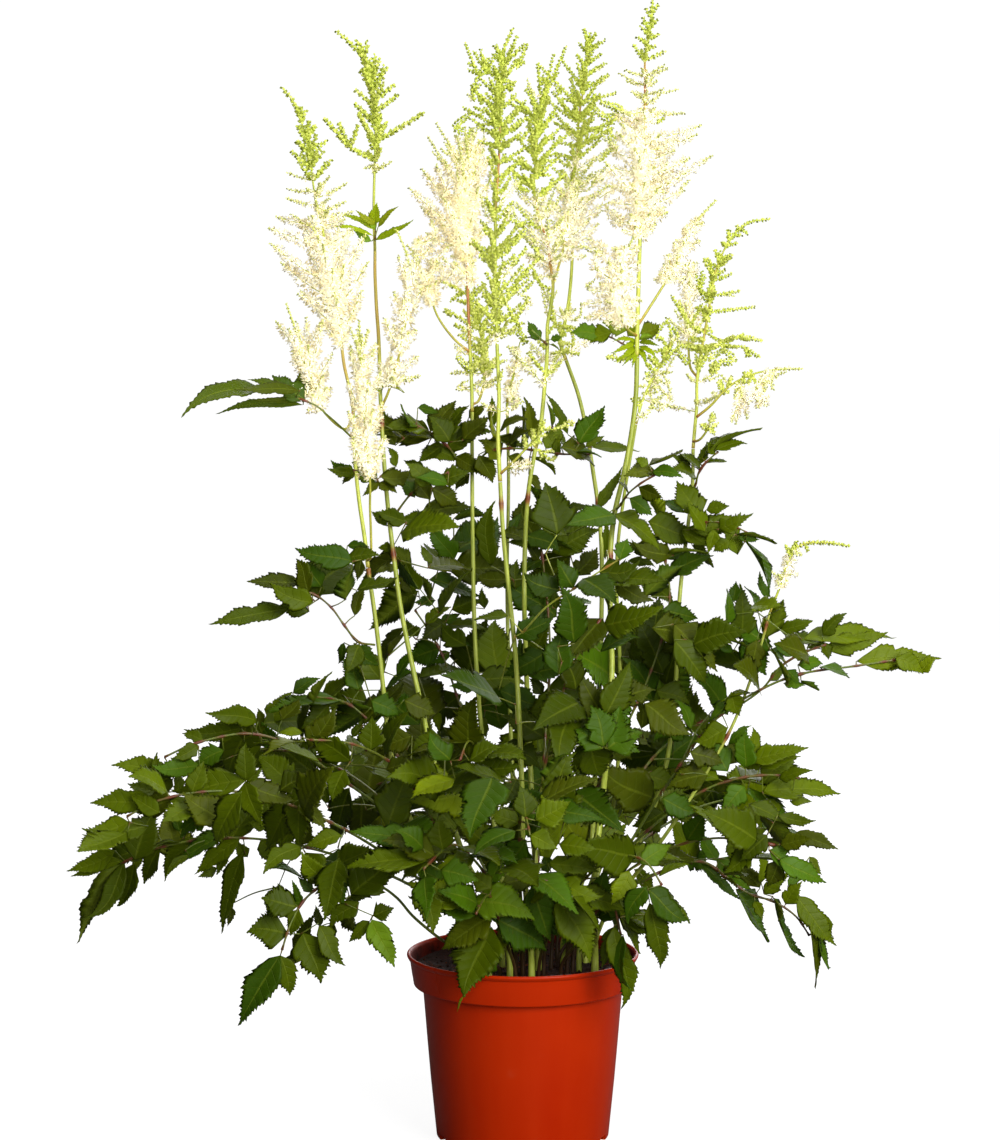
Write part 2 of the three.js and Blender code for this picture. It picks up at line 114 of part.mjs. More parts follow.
// path: petiole and rachis; twigs: side stalks; leaflets: base, tip, normal azimuth and height, width, arch
const LEAVES = [
  { name: "leaf_left_low_a", rooted: true, radius: 1.35,
    path: [[-31.8, 0.1, 111.0], [-32.0, 0.1, 130.7], [-43.6, -3.8, 176.0], [-68.0, -12.5, 215.3], [-101.8, -23.2, 246.6], [-138.4, -33.5, 274.8], [-177.4, -42.7, 299.8], [-222.5, -53.3, 301.6], [-265.9, -60.0, 284.5]],
    twigs: [[[-254.8, -58.3, 288.9], [-249.3, -57.3, 275.9]], [[-125.7, -29.9, 265.0], [-151.8, -2.6, 268.4], [-177.9, 24.6, 262.6]], [[-162.8, -39.3, 290.5], [-179.1, -13.8, 290.4], [-195.4, 10.8, 282.2]], [[-219.9, -52.7, 301.5], [-223.4, -72.0, 307.8], [-227.1, -92.1, 308.6]], [[-177.1, 23.7, 262.8], [-168.7, 33.0, 252.2]], [[-166.0, -34.4, 290.5], [-155.1, -26.6, 301.0]]],
    leaflets: [[-250.1, -57.4, 277.7, -295.1, -52.3, 282.5, -93, 22, 16.0, -0.07], [-169.7, 31.9, 253.5, -200.9, 46.0, 275.4, -90, 29, 22.6, 0.07], [-156.4, -27.5, 299.8, -192.1, -35.0, 306.0, -69, 46, 18.3, 0.05], [-225.4, -82.8, 308.2, -234.7, -91.7, 294.4, -106, 25, 15.3, 0.09]] },
  { name: "leaf_left_low_b", rooted: true, radius: 1.35,
    path: [[-31.5, -18.4, 111.0], [-31.5, -18.4, 127.4], [-47.8, -30.7, 170.8], [-78.5, -52.8, 203.1], [-113.3, -73.6, 231.9], [-153.0, -91.5, 255.8], [-198.0, -105.0, 271.5], [-246.6, -114.0, 269.1], [-290.6, -120.0, 247.3]],
    twigs: [[[-224.6, -109.9, 270.2], [-225.4, -109.7, 267.2]], [[-195.4, -104.2, 270.6], [-193.8, -108.1, 279.8]], [[-137.8, -84.6, 246.6], [-163.2, -59.9, 254.5], [-189.7, -34.0, 252.8]], [[-126.6, -79.6, 239.9], [-128.2, -116.5, 238.1], [-130.4, -151.4, 227.4]]],
    leaflets: [[-255.9, -115.3, 264.5, -303.5, -105.0, 263.7, -104, 13, 16.7, -0.04], [-224.9, -109.8, 269.0, -249.6, -133.2, 255.5, -80, 59, 23.8, -0.03], [-194.1, -107.3, 278.0, -248.8, -88.6, 270.7, -113, 22, 18.9, 0.05], [-194.1, -107.3, 278.0, -193.6, -108.3, 307.0, -92, 1, 15.4, 0.06], [-274.6, -117.8, 255.2, -306.0, -152.5, 238.7, -69, 71, 26.1, -0.05], [-224.9, -109.8, 269.0, -240.8, -99.2, 237.9, -133, 19, 21.7, 0.02], [-163.2, -59.9, 254.5, -185.3, -52.5, 220.3, -134, 13, 26.8, 0.05], [-128.7, -125.2, 235.4, -152.0, -128.0, 238.2, -102, 27, 12.7, 0.08]] },
  { name: "leaf_left_low_c", rooted: true, radius: 1.35,
    path: [[-35.9, 9.6, 111.0], [-35.9, 9.6, 127.2], [-57.8, 9.8, 168.1], [-100.4, 10.8, 192.2], [-146.7, 14.2, 207.9], [-194.7, 18.6, 216.7], [-243.4, 23.2, 214.8], [-290.1, 28.6, 201.3], [-320.9, 32.0, 164.6]],
    twigs: [[[-159.9, 15.4, 210.3], [-169.7, 46.9, 201.9], [-178.9, 75.9, 185.7]], [[-157.9, 15.2, 210.0], [-171.1, -11.5, 220.7], [-185.1, -39.4, 223.4]], [[-173.9, -17.1, 221.2], [-164.6, -20.2, 234.6]], [[-187.9, 18.0, 215.5], [-185.5, 18.4, 229.3]], [[-135.2, 13.4, 204.0], [-132.0, 20.7, 188.5], [-129.1, 28.1, 172.5]], [[-178.6, 74.9, 186.3], [-185.7, 81.0, 168.8]]],
    leaflets: [[-294.2, 29.1, 196.4, -328.0, 3.0, 159.4, -101, 39, 15.3, -0.09], [-208.8, 19.9, 216.1, -243.6, 20.8, 189.5, -116, 24, 15.3, 0.03], [-296.0, 29.3, 194.2, -331.5, 21.3, 137.2, 129, 14, 19.3, 0.07], [-241.8, 23.1, 214.9, -266.3, 25.5, 183.2, -127, 25, 18.3, 0.05], [-290.5, 28.6, 200.8, -302.7, 34.1, 163.1, -135, 13, 20.4, -0.02], [-205.8, 19.7, 216.3, -223.1, 16.3, 145.5, -123, 15, 16.6, 0.05], [-165.7, -19.8, 233.0, -173.3, -20.8, 210.0, -131, 14, 15.2, 0.05], [-185.8, 18.3, 227.3, -193.1, 20.6, 255.9, -98, 2, 15.5, 0.05], [-129.4, 27.3, 174.3, -122.6, 47.5, 138.7, 152, 5, 18.7, 0.04], [-185.0, 80.4, 170.6, -192.5, 76.0, 145.9, 145, 6, 13.3, 0.06]] },
  { name: "leaf_left_low_d", rooted: true, radius: 1.35,
    path: [[-31.6, 19.0, 111.0], [-31.6, 19.0, 128.8], [-46.6, 31.5, 173.4], [-74.4, 53.7, 208.4], [-107.7, 75.8, 238.4], [-146.2, 98.7, 260.3], [-189.6, 121.5, 268.4], [-234.7, 140.0, 257.7]],
    twigs: [[[-107.1, 75.4, 237.9], [-99.8, 113.3, 238.4], [-92.7, 150.3, 229.9]], [[-99.1, 70.1, 230.6], [-127.3, 49.8, 237.2], [-156.4, 29.3, 234.8]], [[-184.2, 118.6, 267.4], [-201.9, 103.1, 271.2], [-219.8, 87.5, 268.5]]],
    leaflets: [[-172.6, 112.6, 265.2, -155.4, 119.2, 316.8, -166, 20, 31.2, 0.08], [-128.6, 48.9, 237.1, -140.2, 67.3, 204.8, -129, -7, 22.1, 0.07], [-218.3, 88.8, 268.7, -262.5, 75.0, 252.0, -169, 70, 19.6, 0.07], [-93.1, 148.4, 230.3, -108.3, 189.8, 251.0, -88, 65, 24.4, 0.09]] },
  { name: "leaf_left_front_hang", rooted: true, radius: 1.35,
    path: [[-16.6, -26.4, 111.0], [-16.4, -26.3, 127.7], [-46.8, -53.8, 150.0], [-76.0, -79.3, 176.4], [-104.6, -101.0, 206.0], [-146.2, -118.0, 203.9], [-167.8, -128.0, 164.6]],
    twigs: [[[-162.3, -125.4, 174.7], [-163.7, -122.1, 174.6]], [[-132.5, -112.4, 204.6], [-131.1, -115.9, 208.3]], [[-163.2, -123.2, 174.6], [-155.4, -121.9, 174.6]], [[-156.6, -122.1, 174.6], [-142.6, -125.0, 182.8]], [[-131.4, -115.1, 207.5], [-124.7, -114.5, 194.4]], [[-125.2, -114.5, 195.5], [-105.2, -118.5, 186.8]]],
    leaflets: [[-166.9, -127.6, 166.3, -199.2, -127.0, 110.7, -113, 13, 19.7, 0.05], [-157.4, -122.2, 174.6, -140.5, -126.1, 140.4, -117, -5, 23.5, 0.04], [-144.3, -124.6, 181.8, -122.4, -128.3, 153.6, -175, -34, 25.7, 0.05], [-107.0, -118.1, 187.6, -89.8, -125.0, 151.4, -81, 7, 13.9, -0.09], [-126.1, -114.6, 197.1, -90.6, -116.6, 238.1, -115, 18, 24.9, 0.04]] },
  { name: "leaf_left_slope", rooted: true, radius: 1.35,
    path: [[-25.5, 9.7, 111.0], [-25.7, 9.7, 130.0], [-40.8, 9.6, 179.6], [-65.1, 11.5, 226.2], [-88.6, 17.9, 272.8], [-122.4, 23.4, 312.3], [-172.3, 30.0, 318.8]],
    twigs: [[[-128.6, 24.2, 313.1], [-120.8, 26.3, 326.4]], [[-121.4, 26.1, 325.4], [-101.8, 27.1, 326.6]], [[-105.0, 26.9, 326.4], [-104.0, 23.1, 334.6]], [[-67.2, 12.1, 230.4], [-82.9, -20.9, 241.0], [-99.2, -55.0, 242.7]], [[-127.9, 24.1, 313.0], [-132.4, 42.3, 319.9], [-137.3, 61.1, 319.4]], [[-131.7, 39.5, 318.8], [-114.7, 43.0, 315.0]], [[-76.0, -6.4, 236.3], [-64.1, -13.8, 234.4]], [[-104.1, 23.6, 333.5], [-99.2, 28.5, 352.2]], [[-99.5, 28.2, 351.1], [-85.6, 28.7, 363.7], [-71.9, 28.9, 375.2]], [[-72.8, 28.9, 374.4], [-61.7, 21.5, 384.5]], [[-62.5, 22.0, 383.8], [-74.9, 13.6, 402.1]]],
    leaflets: [[-134.3, 25.0, 313.8, -188.5, 15.0, 313.2, -116, 79, 40.3, 0.03], [-104.2, 23.9, 332.8, -124.7, 22.2, 362.4, -82, 4, 19.2, 0.04], [-116.6, 42.6, 315.4, -151.0, 61.4, 318.6, -112, 42, 24.0, 0.06], [-65.8, -12.8, 234.7, -91.8, -30.5, 230.4, -64, 35, 14.6, 0.05], [-73.9, 14.3, 400.6, -85.2, 13.0, 424.9, -105, -8, 12.8, 0.03]] },
  { name: "leaf_left_slope_front", rooted: true, radius: 1.35,
    path: [[-21.7, -18.7, 111.0], [-21.6, -18.7, 127.1], [-34.5, -29.5, 177.6], [-56.0, -51.4, 222.1], [-73.7, -80.0, 264.5], [-102.2, -109.6, 299.0], [-147.0, -135.4, 312.4]],
    twigs: [[[-58.6, -55.6, 228.4], [-46.5, -87.3, 225.0], [-34.8, -117.8, 213.8]], [[-146.0, -134.8, 312.1], [-155.6, -135.3, 315.2]]],
    leaflets: [[-119.4, -119.5, 304.2, -147.2, -129.8, 315.3, -105, -34, 24.5, -0.08], [-54.3, -67.0, 227.2, -81.0, -46.0, 255.7, -86, 48, 20.9, 0.03], [-153.7, -135.2, 314.6, -201.1, -134.6, 330.0, -49, 64, 26.6, 0.03], [-152.8, -135.2, 314.3, -177.2, -183.1, 309.6, -91, 87, 21.7, 0.09], [-46.5, -87.3, 225.0, -105.4, -80.2, 223.8, -101, 56, 28.0, 0.05]] },
  { name: "leaf_front_left_rim", rooted: true, radius: 1.35,
    path: [[-5.0, -45.8, 111.0], [-5.0, -45.8, 128.1], [-14.9, -69.8, 165.1], [-22.5, -101.1, 196.9], [-34.7, -134.0, 179.9]],
    twigs: [[[-18.0, -82.7, 178.2], [-24.9, -81.4, 178.2]]],
    leaflets: [[-30.1, -121.5, 186.4, -59.6, -143.3, 210.1, -43, 25, 20.7, 0.09], [-17.5, -80.6, 176.1, 14.0, -73.3, 151.9, -70, 13, 24.8, 0.02], [-22.9, -81.8, 178.2, -58.6, -80.0, 153.6, -118, 31, 21.6, 0.09], [-22.9, -81.8, 178.2, -45.5, -102.2, 126.3, -115, 31, 30.3, -0.05], [-29.4, -119.7, 187.3, -81.7, -123.6, 211.5, -81, 39, 20.4, 0.03]] },
  { name: "leaf_front_left", rooted: true, radius: 1.35,
    path: [[-4.8, -28.0, 111.0], [-4.8, -28.1, 129.1], [-12.3, -48.3, 175.5], [-28.3, -83.6, 211.4], [-48.8, -123.8, 238.1], [-68.4, -171.4, 229.4]],
    twigs: [[[-24.4, -74.9, 202.6], [-46.8, -71.9, 207.0], [-70.2, -69.1, 205.3]]],
    leaflets: [[-57.2, -144.1, 234.4, -58.0, -148.5, 262.4, -91, -10, 18.3, 0.05], [-63.9, -160.5, 231.4, -122.8, -150.6, 227.3, -113, 66, 31.3, 0.06], [-67.6, -169.6, 229.7, -66.8, -203.6, 200.8, -133, 40, 17.4, 0.09], [-39.2, -72.9, 205.5, -86.0, -60.4, 197.7, -176, 82, 23.9, 0.07]] },
  { name: "leaf_front_mid", rooted: true, radius: 1.35,
    path: [[0.3, -36.8, 111.0], [0.3, -36.8, 128.6], [-0.8, -55.1, 172.4], [-2.7, -87.7, 208.6], [-3.2, -119.9, 245.2], [-1.3, -162.8, 266.4], [3.2, -210.0, 259.4]],
    twigs: [[[-2.1, -143.8, 257.0], [-31.1, -159.9, 255.0], [-57.9, -176.6, 242.3]], [[-0.9, -167.1, 265.8], [-20.8, -178.4, 273.9], [-41.6, -190.1, 275.2]], [[-25.0, -180.8, 274.2], [-21.6, -181.1, 294.1]], [[-50.6, -172.0, 245.8], [-40.7, -171.4, 227.7]]],
    leaflets: [[-21.9, -181.1, 292.1, -36.5, -216.6, 257.7, -96, 45, 30.1, 0.05], [-41.7, -171.5, 229.5, -74.6, -175.6, 255.8, -80, 4, 23.4, 0.08], [-2.5, -85.1, 205.7, 13.4, -77.7, 209.3, -77, 22, 14.7, 0.08], [-0.7, -169.0, 265.5, 53.8, -179.2, 264.3, -94, 55, 22.6, 0.09]] },
  { name: "leaf_front_right_rim", rooted: true, radius: 1.35,
    path: [[11.0, -36.6, 111.0], [11.0, -36.4, 127.3], [16.3, -66.5, 164.6], [24.8, -98.1, 200.2], [37.2, -132.0, 182.9]],
    twigs: [[[26.1, -101.7, 198.3], [25.1, -101.6, 207.9]], [[25.2, -101.6, 206.7], [18.1, -99.9, 204.6]], [[19.2, -100.2, 204.9], [2.6, -97.1, 200.6]], [[18.2, -73.7, 172.8], [2.0, -85.0, 173.4], [-13.6, -96.1, 169.4]], [[31.7, -117.0, 190.6], [20.4, -135.9, 202.6], [7.7, -149.4, 198.9]]],
    leaflets: [[32.0, -117.8, 190.1, 53.5, -116.3, 175.9, -11, 31, 24.2, 0.02], [22.3, -88.7, 189.7, 41.9, -96.0, 147.4, -82, 13, 18.5, 0.07], [4.5, -97.5, 201.1, 16.6, -86.6, 154.3, -90, -13, 21.3, 0.04], [15.5, -75.6, 172.9, 32.8, -71.0, 162.6, -74, 30, 15.1, 0.02], [9.0, -148.0, 199.3, -22.1, -180.0, 174.7, -82, 50, 28.0, 0.06], [-12.0, -95.0, 169.8, -57.3, -115.5, 168.0, -73, 72, 22.0, 0.08]] },
  { name: "leaf_front_right_drop", rooted: true, radius: 1.35,
    path: [[26.6, -28.3, 111.0], [26.6, -28.3, 128.1], [43.8, -53.9, 161.3], [60.9, -82.2, 189.5], [69.0, -100.0, 151.5]],
    twigs: [[[57.5, -76.5, 183.8], [40.9, -91.8, 186.8], [26.3, -109.2, 180.8]], [[59.0, -79.1, 186.4], [81.1, -74.2, 194.2], [105.0, -71.6, 193.1]]],
    leaflets: [[62.4, -85.4, 182.7, 83.1, -85.6, 152.5, -25, 21, 28.2, -0.06], [64.6, -90.3, 172.2, 68.4, -91.1, 113.7, -95, -6, 16.2, 0.07], [30.2, -104.6, 182.4, 7.0, -119.2, 198.3, -12, 42, 22.1, 0.04], [53.4, -69.8, 177.1, 68.7, -55.2, 159.3, -15, 17, 21.8, 0.03], [93.1, -72.9, 193.6, 119.4, -63.3, 169.9, -24, 43, 17.0, 0.09]] },
  { name: "leaf_front_right", rooted: true, radius: 1.35,
    path: [[15.0, -26.4, 111.0], [15.0, -26.4, 128.6], [24.3, -46.8, 172.9], [44.5, -80.3, 206.5], [75.6, -113.5, 227.7], [99.0, -138.0, 194.6]],
    twigs: [[[90.8, -129.4, 206.2], [85.0, -135.6, 208.6]], [[85.8, -134.8, 208.3], [86.4, -135.1, 199.4]], [[44.2, -79.8, 206.0], [68.8, -77.0, 205.2], [92.7, -74.3, 198.7]]],
    leaflets: [[86.3, -134.2, 208.1, 115.6, -132.0, 186.7, -69, 19, 17.7, 0.04], [86.3, -135.0, 201.4, 94.9, -117.2, 148.4, -80, -18, 15.4, 0.08], [83.7, -75.3, 201.1, 79.5, -118.9, 210.5, 140, 70, 21.8, 0.07], [86.2, -135.0, 202.5, 40.7, -185.1, 199.2, -49, 67, 26.6, 0.04]] },
  { name: "leaf_front_high", rooted: true, radius: 1.35,
    path: [[-0.6, -19.2, 111.0], [-0.6, -19.2, 128.8], [-4.1, -34.8, 174.2], [-11.1, -63.1, 213.7], [-19.5, -86.9, 255.8], [-30.1, -112.2, 296.5], [-44.0, -150.0, 300.7]],
    twigs: [[[-14.3, -72.2, 229.7], [15.3, -91.0, 234.1], [44.8, -109.0, 230.5]], [[-14.0, -71.4, 228.4], [-18.5, -84.0, 219.1]]],
    leaflets: [[-43.3, -148.1, 300.5, -78.1, -157.8, 275.4, -110, 64, 23.7, 0.04], [-31.0, -114.7, 296.8, -32.6, -138.7, 342.9, -118, -22, 27.6, 0.04], [37.1, -104.3, 231.4, 22.1, -113.2, 262.6, -44, 3, 23.7, 0.08], [-17.9, -82.5, 220.2, -10.0, -94.5, 259.9, -119, -7, 21.4, 0.07], [-17.7, -81.6, 220.9, -51.5, -90.8, 252.6, -49, 26, 24.8, 0.05]] },
  { name: "leaf_right_low_a", rooted: true, radius: 1.35,
    path: [[32.2, 1.0, 111.0], [32.2, 1.0, 128.4], [46.1, 0.6, 173.8], [75.7, -2.2, 211.7], [111.5, -6.0, 243.8], [154.0, -8.8, 265.6], [201.8, -12.0, 267.0]],
    twigs: [[[148.9, -8.5, 263.0], [156.1, 6.8, 264.5], [163.6, 21.7, 260.8]]],
    leaflets: [[146.3, -8.3, 261.6, 120.7, -11.0, 280.0, -49, 49, 19.0, -0.02], [163.0, -9.4, 265.9, 208.2, -13.1, 289.7, -118, 38, 16.0, 0.06], [175.0, -10.2, 266.2, 234.0, 4.6, 253.2, -73, 51, 22.2, 0.05], [160.9, 16.3, 262.1, 189.1, 59.0, 254.7, -8, 69, 28.1, 0.05], [162.2, 19.0, 261.5, 187.0, -19.4, 227.3, -37, 51, 25.0, 0.04]] },
  { name: "leaf_right_low_b", rooted: true, radius: 1.35,
    path: [[32.2, -18.5, 111.0], [32.1, -18.5, 127.0], [48.8, -31.6, 176.4], [80.7, -59.7, 211.5], [122.9, -86.5, 234.1], [175.9, -100.0, 233.2]],
    twigs: [[[144.9, -92.1, 233.7], [147.9, -115.5, 245.5], [151.4, -138.5, 248.6]], [[148.1, -117.1, 245.7], [162.2, -116.2, 239.0]]],
    leaflets: [[173.0, -99.3, 233.2, 212.3, -102.3, 206.8, -70, 21, 15.0, 0.05], [174.0, -99.5, 233.2, 220.3, -104.3, 230.8, -94, 15, 11.2, 0.04], [160.4, -116.3, 239.9, 121.6, -138.6, 264.4, -57, 7, 26.5, 0.05], [87.1, -63.8, 214.9, 124.9, -50.6, 215.3, -71, 52, 22.8, 0.05]] },
  { name: "leaf_right_low_c", rooted: true, radius: 1.35,
    path: [[26.1, 10.1, 111.0], [26.3, 10.1, 128.5], [57.0, 13.1, 166.2], [98.2, 25.9, 188.4], [140.4, 46.9, 192.4], [181.0, 46.7, 166.6], [216.2, 52.1, 137.4]],
    twigs: [[[100.5, 27.0, 188.6], [121.2, 10.7, 201.2], [143.5, -6.8, 206.7]], [[151.9, 46.8, 185.1], [157.8, 75.3, 181.7], [164.1, 100.9, 172.9]]],
    leaflets: [[164.2, 46.8, 177.3, 187.3, 61.0, 130.4, -18, 28, 35.6, 0.04], [207.5, 50.8, 144.6, 222.7, 61.3, 93.5, -21, 0, 17.8, 0.05], [185.4, 47.4, 162.9, 215.7, 71.2, 116.5, -16, 21, 24.4, -0.09], [214.7, 51.9, 138.7, 235.6, 73.5, 108.1, -15, 12, 24.4, -0.06], [194.0, 48.7, 155.8, 236.9, 49.5, 129.8, -74, 14, 17.4, 0.07], [92.4, 24.1, 185.3, 99.1, 32.4, 173.1, -43, 18, 12.9, 0.03], [163.6, 99.1, 173.5, 177.0, 137.0, 165.3, 6, 60, 21.2, 0.03], [142.0, -5.6, 206.3, 197.3, -23.7, 207.0, 148, 89, 26.4, 0.05]] },
  { name: "leaf_right_low_d", rooted: true, radius: 1.35,
    path: [[25.6, 28.0, 111.0], [25.7, 28.2, 129.9], [46.5, 48.2, 169.0], [79.4, 80.8, 193.5], [114.8, 113.7, 213.6], [156.3, 143.2, 225.2], [200.4, 170.0, 217.4]],
    twigs: [[[86.6, 87.5, 197.6], [112.5, 80.0, 192.7], [137.0, 72.8, 181.4]], [[100.2, 100.1, 205.3], [90.7, 130.0, 211.9], [81.7, 160.1, 210.2]], [[170.0, 151.5, 222.8], [168.3, 173.3, 230.4], [166.5, 195.3, 231.0]], [[166.6, 194.1, 231.0], [164.4, 195.0, 213.8]], [[128.8, 75.2, 185.2], [128.1, 61.0, 190.2]]],
    leaflets: [[164.7, 194.9, 215.8, 179.7, 199.3, 254.8, -105, 11, 26.2, 0.08], [128.2, 62.9, 189.5, 111.7, 54.4, 228.9, -56, 5, 20.5, 0.07], [82.3, 158.2, 210.3, 65.3, 190.8, 223.1, -71, 60, 24.5, 0.07], [128.2, 62.9, 189.5, 139.8, 77.3, 179.8, -42, 6, 18.3, 0.04], [164.8, 194.8, 217.3, 172.3, 245.8, 199.8, 34, 63, 27.8, 0.05]] },
  { name: "leaf_right_up_a", rooted: true, radius: 1.35,
    path: [[36.8, 8.5, 111.0], [36.9, 8.5, 128.3], [45.8, 9.4, 173.3], [62.2, 11.1, 216.3], [82.0, 14.4, 257.7], [108.6, 37.1, 285.4], [145.7, 47.7, 305.5], [182.1, 37.4, 330.8], [217.2, 29.1, 357.7], [260.1, 39.5, 368.8]],
    twigs: [[[197.1, 33.9, 342.3], [183.3, 32.6, 355.8]], [[115.8, 39.2, 289.3], [106.3, 72.4, 311.7], [96.6, 105.6, 327.5]], [[86.0, 17.8, 261.9], [96.4, 15.0, 248.0]], [[96.9, 104.6, 327.0], [78.6, 119.1, 333.9]]],
    leaflets: [[211.0, 30.6, 353.0, 280.2, 54.4, 362.8, -71, 55, 20.1, 0.04], [184.7, 32.7, 354.4, 160.0, 27.1, 406.1, -74, -4, 17.3, 0.08], [95.2, 15.3, 249.6, 53.7, -16.3, 282.4, -54, 0, 30.1, 0.05], [80.1, 117.9, 333.3, 114.4, 127.1, 322.9, -59, 46, 18.5, 0.05]] },
  { name: "leaf_right_up_b", rooted: true, radius: 1.35,
    path: [[36.7, -9.9, 111.0], [36.7, -9.9, 127.6], [51.5, -12.0, 175.0], [77.1, -16.6, 218.2], [102.3, -24.0, 261.2], [130.3, -28.9, 302.9], [169.3, -33.9, 333.7], [216.5, -39.2, 349.7], [266.4, -40.0, 356.7]],
    twigs: [[[199.1, -37.2, 343.8], [197.3, -35.4, 352.3]], [[113.9, -26.0, 278.5], [126.3, 1.2, 298.1], [140.4, 32.0, 310.4]], [[197.5, -35.6, 351.2], [204.9, -32.7, 359.6]], [[204.1, -33.0, 358.7], [202.9, -24.5, 363.7]], [[203.0, -25.5, 363.1], [183.0, -28.9, 378.9], [163.1, -33.4, 394.1]], [[127.5, -28.4, 298.8], [121.1, -31.6, 304.9]]],
    leaflets: [[170.9, -34.1, 334.3, 148.6, -65.8, 356.1, -21, 25, 29.0, 0.06], [239.6, -39.6, 352.9, 302.1, -26.7, 356.4, -80, 21, 16.7, 0.04], [139.6, 30.3, 309.7, 121.2, 25.6, 344.2, -46, 28, 23.5, 0.05], [164.7, -33.0, 392.9, 185.2, -56.2, 397.8, -147, 58, 18.3, 0.05], [122.5, -30.9, 303.6, 138.4, -35.3, 286.5, -68, 28, 12.5, 0.08], [122.5, -30.9, 303.6, 107.7, -34.8, 327.6, -47, 23, 11.6, 0.03]] },
  { name: "leaf_centre_left_tall", rooted: true, radius: 1.35,
    path: [[-5.7, 26.6, 111.0], [-5.7, 26.6, 127.7], [-9.7, 40.6, 170.9], [-19.0, 64.2, 210.0], [-30.8, 80.8, 252.0], [-44.0, 93.9, 294.8], [-58.4, 103.2, 338.2], [-81.8, 110.0, 377.9]],
    twigs: [[[-81.2, 109.8, 376.9], [-70.6, 104.3, 386.4]], [[-71.4, 104.7, 385.7], [-62.1, 110.4, 415.8]], [[-62.4, 110.2, 414.7], [-58.7, 108.5, 417.9]], [[-32.4, 82.4, 257.2], [-11.3, 111.3, 263.9], [10.1, 140.5, 262.0]], [[-46.8, 95.7, 303.3], [-65.3, 79.4, 306.8], [-84.1, 62.8, 304.4]], [[-9.5, 113.7, 263.7], [11.1, 99.4, 286.4]], [[-59.6, 108.9, 417.2], [-51.9, 120.2, 421.4]], [[-76.9, 107.6, 380.8], [-79.4, 118.7, 391.9]]],
    leaflets: [[9.9, 100.2, 285.1, -13.5, 118.6, 241.3, -125, -2, 28.2, 0.06], [-82.6, 64.1, 304.6, -102.8, 80.4, 320.8, -112, 29, 22.0, 0.07], [-53.0, 118.6, 420.8, -18.4, 166.9, 446.1, -61, 45, 27.8, 0.02], [-79.1, 117.3, 390.5, -118.2, 116.6, 361.8, 116, 27, 27.6, 0.07]] },
  { name: "leaf_centre_tall_front", rooted: true, radius: 1.35,
    path: [[5.1, -26.8, 111.0], [5.1, -26.8, 127.9], [5.9, -37.5, 173.7], [7.3, -56.8, 217.0], [11.4, -72.5, 261.6], [18.8, -85.4, 306.6], [30.9, -95.4, 351.3], [52.7, -105.0, 392.1]],
    twigs: [[[19.2, -85.7, 307.9], [47.2, -82.2, 302.0]], [[9.8, -66.4, 244.2], [37.9, -62.9, 253.6], [67.7, -58.8, 256.2]], [[20.9, -87.2, 314.5], [3.4, -111.7, 321.7], [-14.3, -136.8, 321.6]], [[22.0, -88.0, 318.3], [45.0, -74.9, 325.3], [69.3, -61.1, 325.6]], [[-5.4, -124.2, 321.7], [-6.2, -125.3, 335.7]], [[-6.1, -125.2, 334.5], [-17.3, -140.7, 342.2]]],
    leaflets: [[45.3, -82.4, 302.4, 55.7, -62.8, 275.8, -69, -30, 24.2, 0.08], [51.3, -104.4, 389.5, 95.8, -126.1, 404.9, -132, 31, 24.2, 0.04], [23.7, -64.7, 248.9, -6.4, -61.6, 228.4, -102, 22, 20.4, 0.05], [67.6, -62.1, 325.6, 72.7, -67.8, 301.5, -61, 25, 16.3, 0.03], [-16.2, -139.2, 341.5, -57.6, -185.6, 365.4, -19, 46, 30.7, 0.04]] },
  { name: "leaf_centre_tall", rooted: true, radius: 1.35,
    path: [[4.4, 26.4, 111.0], [4.4, 26.4, 129.4], [8.9, 33.4, 180.3], [14.5, 43.9, 230.5], [16.8, 54.3, 281.0], [20.3, 60.2, 332.2], [19.1, 64.5, 383.6], [13.3, 68.0, 434.8]],
    twigs: [[[20.2, 60.6, 337.4], [52.3, 58.3, 346.6], [85.3, 55.8, 348.0]], [[20.1, 59.9, 329.4], [-8.0, 55.9, 336.3], [-36.9, 51.8, 336.3]], [[19.2, 64.3, 381.2], [24.1, 85.1, 386.8], [29.0, 106.5, 387.1]], [[84.1, 55.9, 347.9], [92.3, 53.0, 342.5]], [[91.3, 53.3, 343.1], [107.2, 54.7, 326.9]], [[-35.7, 52.0, 336.3], [-41.6, 44.1, 357.7]]],
    leaflets: [[13.5, 67.9, 432.8, 3.8, 73.0, 476.6, 26, 30, 22.9, 0.05], [15.8, 49.7, 258.8, -15.0, 48.6, 249.1, -104, 52, 21.9, 0.07], [28.6, 104.6, 387.1, 53.5, 122.6, 383.9, -55, 70, 16.3, 0.04], [105.8, 54.6, 328.3, 114.1, 39.1, 355.8, -117, -20, 18.1, 0.07], [-41.1, 44.8, 355.9, -60.6, 60.8, 374.0, -118, 19, 15.0, 0.08]] },
  { name: "leaf_centre_right_tall", rooted: true, radius: 1.35,
    path: [[20.9, 0.0, 111.0], [21.0, 0.1, 129.5], [28.3, 4.7, 180.5], [43.2, 10.6, 229.8], [64.8, 10.0, 277.0], [86.3, 10.9, 324.3], [104.0, 13.1, 373.0], [104.2, 14.0, 424.2]],
